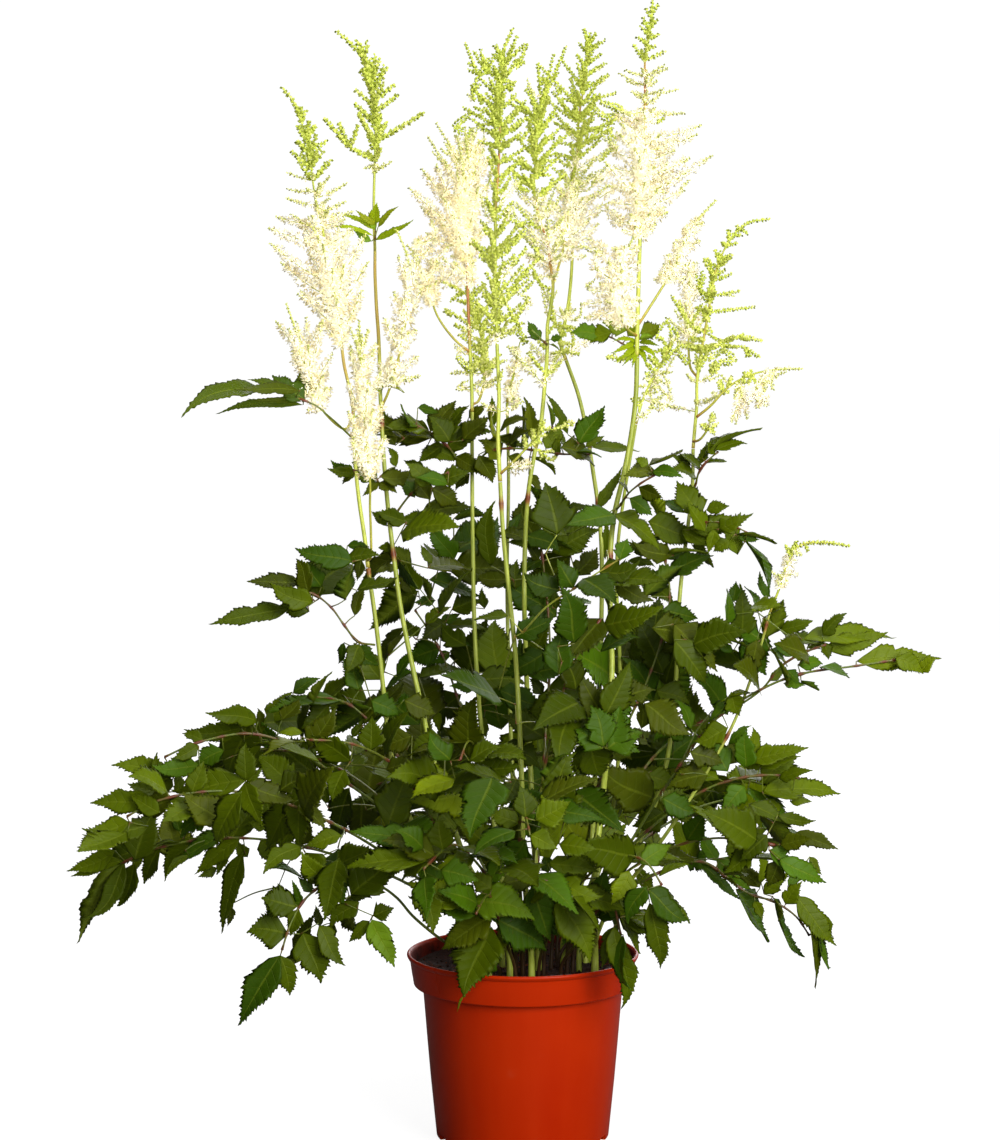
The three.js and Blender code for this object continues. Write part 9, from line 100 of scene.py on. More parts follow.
  (("g",3,((160.4,41.2,666),(163,41.9,664.2),(165.6,42.6,662.3),)),("g",3,((158.1,41.4,664),(157.8,42.2,666.1),(157.5,43,668.2),)),("g",3,((154.3,41.6,660.7),(157.7,41.4,661.1),(161.1,41.2,661.6),)),("g",3.7,((151.7,41.8,657.6),(151.3,41.6,661.4),(150.8,41.3,665.2),)),("g",3,((149.1,42.1,653.4),(147.8,41.6,654.9),(146.5,41.1,656.5),)),("g",3,((149.1,42.1,653.4),(153.3,41.5,654.6),(157.5,40.9,655.7),)),("g",3.7,((144.5,42.8,641.2),(142.9,42.2,646.3),(141.4,41.5,651.3),)),("g",3.7,((145.1,42.7,643.1),(149.3,43.6,645.4),(153.4,44.6,647.7),)),("g",3.7,((143.2,43,637.4),(149,48,641.9),(154.8,53.1,646.4),)),("g",3.7,((140.9,43.4,630.8),(139.3,47.2,637.5),(137.6,50.9,644.2),)),("g",3.7,((141.2,43.3,631.7),(145.1,44,633.9),(149,44.6,636),)),("g",3.7,((140.2,43.5,627.9),(147.2,44.4,630.5),(154.3,45.3,633.1),)),("g",3.7,((138.8,44.1,616.9),(149.6,45.3,618.8),(160.4,46.5,620.6),)),("g",4.4,((139.1,43.9,619.9),(139.6,43.3,625),(140.1,42.7,630.1),)),("g",5.2,((138.1,44.4,610.9),(133.8,46.1,617.6),(129.4,47.8,624.3),)),("g",3,((131.1,47.2,621.8),(131.5,44.8,628.5),(132,42.5,635.3),)),("g",3.7,((137.1,44.7,605),(154.4,46.4,606.9),(171.6,48.1,608.9),)),("g",5.9,((135.8,45.1,598.1),(135,43.2,603.8),(134.2,41.3,609.6),)),("g",5.2,((134.4,45.5,590.2),(129,45.5,592.5),(123.5,45.6,594.9),)),("g",7.4,((134.4,45.5,590.2),(137.1,45.6,591.1),(139.8,45.7,592),)),("g",3.7,((123.5,45.6,594.9),(116.5,39,605.9),(109.4,32.4,616.9),)),("g",5.2,((133.4,45.8,584.2),(128.6,47.5,585.1),(123.8,49.2,586),)),("m",4.4,((124.8,48.9,585.9),(116.5,55.6,592.4),(108.2,62.3,600.7),)),("g",5.2,((132.3,46.2,577.3),(123.6,48,579.1),(115,49.7,580.9),)),("g",3.7,((130.2,46.8,565.5),(128.5,46.8,566.9),(126.7,46.9,568.4),)),("g",4.4,((129.6,47,561.5),(133.4,48.4,568.6),(137.2,49.7,575.7),)),("g",5.9,((132,46.3,575.3),(140.6,49.1,579.2),(149.2,52,583.1),)),("g",4.5,((149.2,52,583.1),(156.6,56.6,585.6),(164,61.2,588.2),)),("g",4.5,((161.5,59.7,587.3),(169.8,60.7,585.5),(178.2,61.7,583.7),)),("g",3.7,((143.7,50.2,580.6),(154.6,55.2,579.9),(165.4,60.3,579.3),)),("g",3,((165.4,60.3,579.3),(170.9,58.3,575.2),(176.3,56.3,571.2),)),("m",4.4,((128.9,47.5,552.5),(135.7,44.3,556.2),(142.6,41.2,561.1),)),("g",5.9,((140.3,42.3,559.4),(143.8,44,564.6),(147.3,45.7,569.9),)),("m",4.4,((129,47.7,536.4),(135.5,28.4,540.4),(141.9,9.1,544.3),)),("g",3.5,((151.7,41.8,657.6),(151.9,41.4,661.3),(152.1,40.9,665.1),)),("g",3,((149.1,42.1,653.4),(147.8,38.8,654.4),(146.5,35.5,655.4),)),("g",3.8,((144.5,42.8,641.2),(144.5,41.4,645.3),(144.5,40,649.4),)),("g",3.8,((145.1,42.7,643.1),(145.9,46.3,645.2),(146.6,50,647.2),)),("g",3.6,((143.2,43,637.4),(138.9,47.2,640.9),(134.7,51.4,644.4),)),("g",3.6,((143.2,43,637.4),(146.5,37.9,641),(149.9,32.7,644.6),)),("g",3.8,((140.9,43.4,630.8),(137,43.1,637.1),(133.2,42.9,643.4),)),("g",3.6,((140.9,43.4,630.8),(144.4,45.3,637.3),(148,47.2,643.8),)),("g",3.8,((141.2,43.3,631.7),(139.6,46.7,633.7),(138,50,635.7),)),("g",3.4,((140.2,43.5,627.9),(139.5,49,629.9),(138.8,54.5,631.9),)),("g",3.3,((140.2,43.5,627.9),(140.4,37.7,630),(140.7,31.8,632.2),)),("g",3.6,((138.8,44.1,616.9),(135.1,53.6,618.7),(131.5,63.1,620.4),)),("g",3.6,((138.8,44.1,616.9),(139.8,35.9,618.3),(140.8,27.6,619.8),)),("g",4.6,((139.1,43.9,619.9),(138.7,43.5,623.8),(138.2,43,627.6),)),("g",4.9,((138.1,44.4,610.9),(137.2,40.4,616.8),(136.4,36.4,622.7),)),("g",5.2,((138.1,44.4,610.9),(139.9,48.5,617.3),(141.6,52.5,623.6),)),("g",2.8,((131.1,47.2,621.8),(132.9,47.2,626.9),(134.7,47.2,632),)),("g",2.6,((131.1,47.2,621.8),(129.4,46.2,627.3),(127.7,45.2,632.8),)),("g",3.8,((137.1,44.7,605),(133.5,59.4,606.7),(130,74.1,608.4),)),("g",3.6,((137.1,44.7,605),(134.9,30.5,606.6),(132.8,16.3,608.2),)),("g",5.2,((135.8,45.1,598.1),(137.5,44.2,603.5),(139.2,43.3,608.9),)),("g",5.7,((135.8,45.1,598.1),(134.6,46.1,602.6),(133.4,47.2,607.1),)),("g",4.7,((134.4,45.5,590.2),(135.5,50.5,592.4),(136.6,55.5,594.6),)),("g",3.4,((123.5,45.6,594.9),(127.6,39.6,603),(131.6,33.7,611.2),)),("g",3.3,((123.5,45.6,594.9),(120,52.1,603.4),(116.5,58.6,611.8),)),("g",4.6,((133.4,45.8,584.2),(131.9,42.4,584.9),(130.4,39,585.5),)),("m",4.5,((124.8,48.9,585.9),(121.8,39.7,591.6),(118.8,30.4,599.4),)),("m",4.6,((124.8,48.9,585.9),(129.8,57.5,591.8),(134.9,66.2,599.8),)),("g",5.3,((132.3,46.2,577.3),(130.7,38.2,578.9),(129.2,30.2,580.6),)),("g",5.2,((132.3,46.2,577.3),(130.5,52.9,578.7),(128.6,59.5,580.1),)),("g",4.2,((129.6,47,561.5),(129.2,50.6,567.7),(128.7,54.1,574),)),("g",4.3,((129.6,47,561.5),(130.6,43.6,567.7),(131.7,40.3,573.9),)),("g",5.3,((132,46.3,575.3),(127.2,52.5,578.6),(122.5,58.6,581.9),)),("g",6.1,((132,46.3,575.3),(135.8,40.5,578.3),(139.7,34.7,581.3),)),("g",4,((149.2,52,583.1),(144.7,57.1,585),(140.3,62.2,587),)),("g",4.5,((149.2,52,583.1),(152.4,45.5,585.2),(155.5,39.1,587.3),)),("g",4.3,((161.5,59.7,587.3),(163.8,65.8,585.9),(166.1,71.9,584.5),)),("g",4,((161.5,59.7,587.3),(164.1,53.6,585.9),(166.7,47.4,584.5),)),("g",3.7,((143.7,50.2,580.6),(137.2,59.8,580),(130.7,69.5,579.3),)),("g",3.3,((143.7,50.2,580.6),(151.4,43,580),(159.1,35.8,579.4),)),("g",2.9,((165.4,60.3,579.3),(167.8,65.1,575.6),(170.1,69.8,571.9),)),("g",2.9,((165.4,60.3,579.3),(165.9,55.4,575.9),(166.3,50.6,572.4),)),("m",3.8,((128.9,47.5,552.5),(129.9,54.2,555.6),(131,60.8,560.2),)),("m",4.6,((128.9,47.5,552.5),(124.8,42.5,555.4),(120.8,37.5,559.8),)),("g",6.1,((140.3,42.3,559.4),(140,45.1,563.3),(139.7,48,567.1),)),("g",5.2,((140.3,42.3,559.4),(141.1,38.6,564.4),(141.9,35,569.3),)),("m",2.4,((129,47.7,536.4),(130.2,51.5,538.2),(131.5,55.4,539.9),)),("m",2.4,((129,47.7,536.4),(128,43.1,538.4),(126.9,38.5,540.4),)),("m",6.7,((123.6,66.2,580.1),(118.9,63.5,581.9),(114.1,60.8,584.5),)),("c",7.5,((124.3,65.3,587),(120.5,65.4,591.9),(116.6,65.4,597.8),)),("c",7.5,((124.8,64.3,595),(128.3,61.9,599.6),(131.8,59.5,605.2),)),("c",7.5,((124.7,63.7,602),(120.6,64.3,607.5),(116.5,64.9,614.1),)),("c",8.2,((124.6,62.6,614.1),(127.9,63.5,619.5),(131.2,64.4,625.9),)),("c",7.5,((124.6,62.3,617.1),(120.7,61.5,622.4),(116.9,60.6,628.9),)),("c",6.7,((124.1,61.2,629.2),(126.9,62.9,635.1),(129.7,64.6,642.2),)),("m",5.9,((123.6,66.2,580.1),(125.5,61.9,581.5),(127.5,57.5,583.9),)),("m",6.4,((123.6,66.2,580.1),(122.6,70.4,581.3),(121.6,74.6,583.5),)),("c",7.1,((124.3,65.3,587),(125.6,61.9,591.6),(126.9,58.5,597.2),)),("c",7.1,((124.3,65.3,587),(124.5,68.6,591),(124.7,71.8,596),)),("c",7,((124.8,64.3,595),(127.2,67,598.7),(129.6,69.6,603.5),)),("c",7.5,((124.8,64.3,595),(123,61.7,598.4),(121.2,59,602.8),)),("c",7.4,((124.7,63.7,602),(122.8,60.9,606.3),(120.8,58.2,611.8),)),("c",6.6,((124.7,63.7,602),(124.4,66.8,605.9),(124.2,69.9,611),)),("c",7.6,((124.6,62.6,614.1),(123.3,64.8,617.9),(122.1,67,622.7),)),("c",7.8,((124.6,62.6,614.1),(125.2,59.4,619),(125.8,56.3,625),)),("c",6.5,((124.6,62.3,617.1),(124.1,58.9,621.6),(123.7,55.5,627.3),)),("c",6.4,((124.6,62.3,617.1),(124,65.2,620.9),(123.4,68,625.8),)),("c",6.7,((124.1,61.2,629.2),(122.6,63.6,634.3),(121.1,66,640.5),)),("c",6.1,((124.1,61.2,629.2),(125.6,59.2,633.5),(127,57.2,639),)),("m",5.2,((144,38.5,543.3),(141.8,39.4,544.6),(139.7,40.2,546.4),)),("g",5.2,((147.4,37.4,546.8),(146.5,39.4,551),(145.6,41.4,555.2),)),("g",4.4,((151.2,36.2,549.9),(152.7,37.4,554.1),(154.3,38.6,558.2),)),("g",5.2,((156,34.7,553.2),(158.7,34.8,551.3),(161.4,34.9,549.5),)),("m",4.4,((159.4,33.7,555.3),(157.3,32.2,547.5),(155.2,30.6,540.8),)),("g",4.4,((162.8,32.7,557.1),(165.7,33.4,559.9),(168.6,34,562.7),)),("g",4.4,((168.2,31.3,559.4),(167,32.8,555.9),(165.7,34.3,552.4),)),("m",5.9,((178.6,28.6,562.2),(175.2,27.8,556.2),(171.7,26.9,551.1),)),("m",5.9,((180.5,28.1,562.6),(178.5,25.5,554.1),(176.6,22.9,546.8),)),("c",6.6,((171.7,26.9,551.1),(168.5,26.9,544),(165.2,26.8,537.9),)),("c",5.9,((176.6,22.9,546.8),(173.9,21.3,540.6),(171.2,19.7,535.2),)),("c",5.2,((161.4,34.9,549.5),(159.5,38.5,535),(157.7,42.2,522.7),)),("m",4.4,((184.4,27.1,563),(182.9,27.7,558.9),(181.3,28.2,555.5),)),("g",4.9,((147.4,37.4,546.8),(145.5,37,550.5),(143.6,36.6,554.2),)),("g",4.3,((151.2,36.2,549.9),(151.8,34.8,553.1),(152.5,33.4,556.4),)),("m",4.5,((159.4,33.7,555.3),(160.1,31.5,548.1),(160.9,29.3,542.2),)),("m",3.9,((159.4,33.7,555.3),(157.7,34.7,549.2),(156,35.7,544.4),)),("g",4.1,((162.8,32.7,557.1),(162.7,30.6,559.2),(162.7,28.4,561.2),)),("g",3.8,((168.2,31.3,559.4),(169.7,32.2,556.2),(171.2,33.1,553.1),)),("m",5.4,((178.6,28.6,562.2),(179.2,26.1,557.7),(179.8,23.7,554.2),)),("m",6,((178.6,28.6,562.2),(177.7,31.1,557.6),(176.9,33.5,554),)),("m",6.1,((180.5,28.1,562.6),(181.9,25.6,554.9),(183.3,23,548.6),)),("m",5,((180.5,28.1,562.6),(177.8,28.8,555.2),(175.1,29.4,549.2),)),("c",6.7,((171.7,26.9,551.1),(171.7,24.2,545.1),(171.6,21.5,540.2),)),("c",6.1,((171.7,26.9,551.1),(172.7,29.6,544.8),(173.6,32.3,539.6),)),("c",5.7,((176.6,22.9,546.8),(177.1,20.1,541.1),(177.6,17.4,536.4),)),("c",5.9,((176.6,22.9,546.8),(175.9,25.4,541.5),(175.2,27.9,537.2),)),("c",5,((161.4,34.9,549.5),(157.5,34.6,535.7),(153.6,34.3,524.2),)),("c",4.6,((161.4,34.9,549.5),(163.7,37.6,536.7),(166,40.3,526.2),)),("m",4.4,((184.4,27.1,563),(183.6,26.1,559.6),(182.8,25,556.8),)),("m",4.3,((184.4,27.1,563),(185.3,28.2,559.4),(186.1,29.3,556.5),)),("g",5.1,((135.5,30,518.8),(133.3,30.8,520.9),(131.1,31.6,523.1),)),("g",5.1,((136.2,28.9,520.3),(140,30.5,521.7),(143.7,32,523.1),)),("g",4.4,((137.8,26.5,524.5),(138.2,24.4,527.6),(138.5,22.3,530.8),)),("g",4.8,((136.2,28.9,520.3),(135.1,32.2,521.5),(133.9,35.5,522.7),)),("g",4.6,((137.8,26.5,524.5),(139.6,26.3,527.1),(141.3,26.1,529.8),)),("m",2.8,((146.3,44.9,618.2),(151.4,47.7,617.8),(156.5,50.5,616.7),)),("m",2.8,((118.6,40.9,602.6),(115.8,45.7,600.4),(112,45.4,607.1),)),("g",6.8,((146.3,45.2,568.3),(156.4,46.6,569.8),(147.3,46,578.8),)),("g",6.8,((136.1,49.3,573.6),(137.5,53.6,571.2),(150,55.9,577),)),("g",6.8,((124.5,59.9,565.5),(119.1,59.2,572.1),(113.7,58.5,577.8),)),("m",3,((185.4,28.4,558.8),(186.4,34.1,559.2),(193.8,32.7,561.2),)),("m",2.9,((137.1,43.7,557.2),(137.2,38.9,555.2),(145,37.2,558.6),)),("m",3.3,((152,35.9,550.5),(149,36.9,555.3),(146.1,38,559.5),)),),
  ()),
 "j": (1.2, ((-11.4,118,536.7),(-9.2,117,545.9),(-6.9,115.8,554.9),(-4.8,114.5,564.1),(-3.6,113.3,573.4),(-1.5,112,582.5),),
  (),
  (("m",4.6,((-9.6,117.1,544.5),(-11.2,116.3,547.2),(-12.9,115.5,550.5),)),("c",6.1,((-8.9,116.8,547.4),(-4.4,116.7,550.1),(0.1,116.6,553.5),)),("c",5.3,((-6.3,115.5,557.1),(-8.4,115.1,560.3),(-10.6,114.8,564.2),)),("c",6.1,((-5,114.7,562.9),(-0.9,116.8,566.1),(3.1,119,570.2),)),("c",4.6,((-3.9,113.5,571.8),(-5.7,113.6,574.9),(-7.6,113.6,578.7),)),("c",6.9,((-9.1,116.9,546.5),(-5.3,117.3,541.9),(-1.4,117.8,538.3),)),("c",6.9,((-10,117.3,542.6),(-7.1,136.1,536.8),(-4.3,154.8,531),)),("m",4.3,((-9.6,117.1,544.5),(-9.1,115.7,546.6),(-8.7,114.3,549.2),)),("m",4.4,((-9.6,117.1,544.5),(-9.9,118.6,546.7),(-10.2,120.1,549.4),)),("c",6.2,((-8.9,116.8,547.4),(-9.4,120.1,549.3),(-9.9,123.5,552.1),)),("c",6.4,((-8.9,116.8,547.4),(-8.6,113.1,549.5),(-8.3,109.5,552.4),)),("c",4.8,((-6.3,115.5,557.1),(-5.9,113.5,560),(-5.6,111.5,563.7),)),("c",5.4,((-6.3,115.5,557.1),(-6.5,117.3,559.7),(-6.7,119.1,563),)),("c",5.3,((-5,114.7,562.9),(-6.2,118.6,565.7),(-7.4,122.5,569.4),)),("c",6.3,((-5,114.7,562.9),(-1.9,112,565.7),(1.2,109.3,569.4),)),("c",3.9,((-3.9,113.5,571.8),(-3.8,112.1,574.1),(-3.7,110.7,577),)),("c",4.3,((-3.9,113.5,571.8),(-3.9,115,574.2),(-4,116.4,577.3),)),("c",6.2,((-9.1,116.9,546.5),(-10,119.6,543),(-10.8,122.2,540.5),)),("c",6.1,((-9.1,116.9,546.5),(-7.7,113.9,542.5),(-6.3,111,539.5),)),("c",2.6,((-10,117.3,542.6),(-10.6,118.4,540.9),(-11.1,119.4,539.2),)),("c",3.8,((-10,117.3,542.6),(-8.8,115.7,539.7),(-7.7,114.1,536.9),)),("g",6.8,((-1.5,112,582.5),(2.5,108.8,583.9),(-7.1,107.2,593.4),)),("m",6.8,((-0.1,117.3,566.9),(6,118.8,563.9),(7.4,122.3,579.2),)),),
  ()),
 "i": (0.9, ((177.9,-25,389.8),(184,-27.7,406.7),(189.2,-30.7,423.9),(197.8,-33.8,438.4),(215.5,-36.9,440.8),(233.3,-40,438.6),),
  (),
  (("c",5.7,((189.1,-30.7,423.5),(192.5,-30.5,425.3),(195.8,-30.3,427.8),)),("c",5,((187.6,-29.7,417.8),(192.5,-29,417.2),(197.5,-28.3,417.5),)),("c",4.3,((184.2,-27.8,407.5),(187.3,-28.1,410),(190.3,-28.5,413.2),)),("g",3.6,((191.1,-32,431.2),(189.9,-30.2,434.8),(188.7,-28.5,438.5),)),("m",4.3,((194.6,-33.2,436.9),(197.3,-32.4,433.6),(199.9,-31.7,430.8),)),("g",3.6,((202,-34.5,439.6),(203,-34.5,437.1),(203.9,-34.4,434.6),)),("m",4.3,((186.1,-28.8,413.1),(182.5,-27.9,415.7),(178.9,-26.9,418.9),)),("g",3.6,((192,-32.4,434),(194.2,-31.3,437.7),(196.4,-30.2,441.5),)),("c",6,((189.1,-30.7,423.5),(189.4,-27.4,425.3),(189.6,-24.2,427.7),)),("c",5.5,((189.1,-30.7,423.5),(189.1,-33.1,424.8),(189,-35.6,426.7),)),("c",4.6,((187.6,-29.7,417.8),(189,-25.7,417.3),(190.3,-21.7,417.6),)),("c",4.8,((187.6,-29.7,417.8),(189.3,-32.9,417.3),(191.1,-36.1,417.6),)),("c",4.3,((184.2,-27.8,407.5),(183.6,-25,409.8),(182.9,-22.2,412.9),)),("c",4,((184.2,-27.8,407.5),(183.4,-30.1,409.4),(182.5,-32.4,412.1),)),("g",3.1,((191.1,-32,431.2),(192.7,-30.8,434.6),(194.3,-29.6,438),)),("m",4.5,((194.6,-33.2,436.9),(194.2,-30.5,433.6),(193.8,-27.9,431),)),("m",4.1,((194.6,-33.2,436.9),(195.3,-35.7,433.7),(196.1,-38.1,431.2),)),("m",4,((186.1,-28.8,413.1),(184.4,-31.5,415.2),(182.7,-34.2,418),)),("m",4.5,((186.1,-28.8,413.1),(186.7,-25.9,415),(187.2,-23,417.7),)),("g",3.6,((192,-32.4,434),(193.7,-33.8,437.2),(195.3,-35.1,440.4),)),),
  ()),
 "k": (1.1, ((82.5,14,523.8),(86.9,15.1,539.8),(93.8,16.3,554.9),(101.9,17.5,569.5),(108.4,18.8,584.8),(105.1,20,600.8),),
  (),
  (("g",3.7,((92.8,16.1,553),(91.3,16.5,557.3),(89.8,16.8,561.6),)),("m",3.7,((88.9,15.5,544.8),(92.9,13.9,545.7),(97,12.4,547.1),)),("m",4.4,((96.2,16.7,559.1),(99.6,16.4,555.6),(103,16.2,552.8),)),("g",4.4,((102.5,17.6,570.5),(108.5,16.4,575.5),(114.4,15.2,580.5),)),("g",3.7,((106,18.2,577.8),(103.8,20.6,582),(101.7,23.1,586.3),)),("g",5.1,((99.7,17.2,565.2),(95.3,14,569.3),(90.9,10.8,573.3),)),("m",4.4,((97.2,16.8,560.9),(102.9,14.7,560.8),(108.6,12.6,561.7),)),("m",4.4,((94.2,16.4,555.7),(100.1,16,549.2),(105.9,15.7,544.1),)),("g",3.7,((85.5,14.8,535.4),(82.5,13.6,539.1),(79.5,12.5,542.7),)),("m",4.4,((108.1,18.7,583.4),(111.4,19.1,585.2),(114.7,19.6,587.7),)),("g",4.4,((106.3,18.3,578.7),(100.9,16.4,577.4),(95.5,14.4,576.2),)),("g",3.5,((92.8,16.1,553),(92.7,17.6,556.9),(92.6,19,560.9),)),("m",3.3,((88.9,15.5,544.8),(91.4,18,545.4),(93.9,20.6,546.7),)),("m",3.2,((88.9,15.5,544.8),(88.1,12.5,545.3),(87.2,9.5,546.5),)),("m",4.1,((96.2,16.7,559.1),(96.1,19.5,556.1),(96.1,22.4,553.8),)),("m",4.6,((96.2,16.7,559.1),(97.4,13.8,555.9),(98.6,11,553.4),)),("g",4.1,((102.5,17.6,570.5),(103.9,22.3,574.6),(105.4,27,578.6),)),("g",4.1,((102.5,17.6,570.5),(102.1,12.8,574.5),(101.6,7.9,578.5),)),("g",3.8,((106,18.2,577.8),(108.1,20.1,581.5),(110.2,21.9,585.2),)),("g",4.6,((99.7,17.2,565.2),(103.3,14,568.8),(106.9,10.8,572.4),)),("g",5.2,((99.7,17.2,565.2),(97.9,21.6,568.8),(96.1,26,572.3),)),("m",4.6,((97.2,16.8,560.9),(100.8,21.3,560.8),(104.4,25.8,561.6),)),("m",4.2,((97.2,16.8,560.9),(96.5,12.3,560.7),(95.8,7.7,561.5),)),("m",4.1,((94.2,16.4,555.7),(94,21.1,550.3),(93.7,25.8,546.4),)),("m",4.3,((94.2,16.4,555.7),(95.9,12,550.4),(97.7,7.6,546.4),)),("g",3.4,((85.5,14.8,535.4),(85.4,17.9,539),(85.3,21,542.5),)),("m",4.4,((108.1,18.7,583.4),(108.3,21.2,584.7),(108.5,23.6,586.7),)),("m",4,((108.1,18.7,583.4),(108.2,15.5,585.2),(108.3,12.3,587.6),)),("g",4.5,((106.3,18.3,578.7),(106.2,23.8,577.5),(106.2,29.3,576.3),)),("g",4.6,((102.4,22.3,585),(97.2,22.8,588.7),(104.8,20,598.7),)),("g",3.2,((113.7,19.4,587),(111.6,22.9,590.9),(109.5,26.3,594.2),)),("m",3.7,((104,14.3,560.9),(107.6,10.4,568.4),(111.3,6.6,574.8),)),("g",5.3,((97.2,16.8,560.8),(93.5,16.2,564.6),(89.9,15.5,567.7),)),("m",4.1,((101.9,16.2,553.7),(105.4,9.3,553.4),(101.8,6.2,559.6),)),("m",6.8,((87.7,15.2,542),(95.8,16.3,539.1),(102.4,13,546),)),("m",6.8,((104.1,15.8,545.6),(104.2,15.7,535.8),(92.4,15,536.3),)),("m",6.8,((83.9,14.3,528.9),(86.6,8,528.8),(94.3,8.1,536.5),)),("m",5.8,((104.1,15.8,545.6),(107.8,18.4,539.7),(106.5,20.9,555.8),)),),
  ()),
}
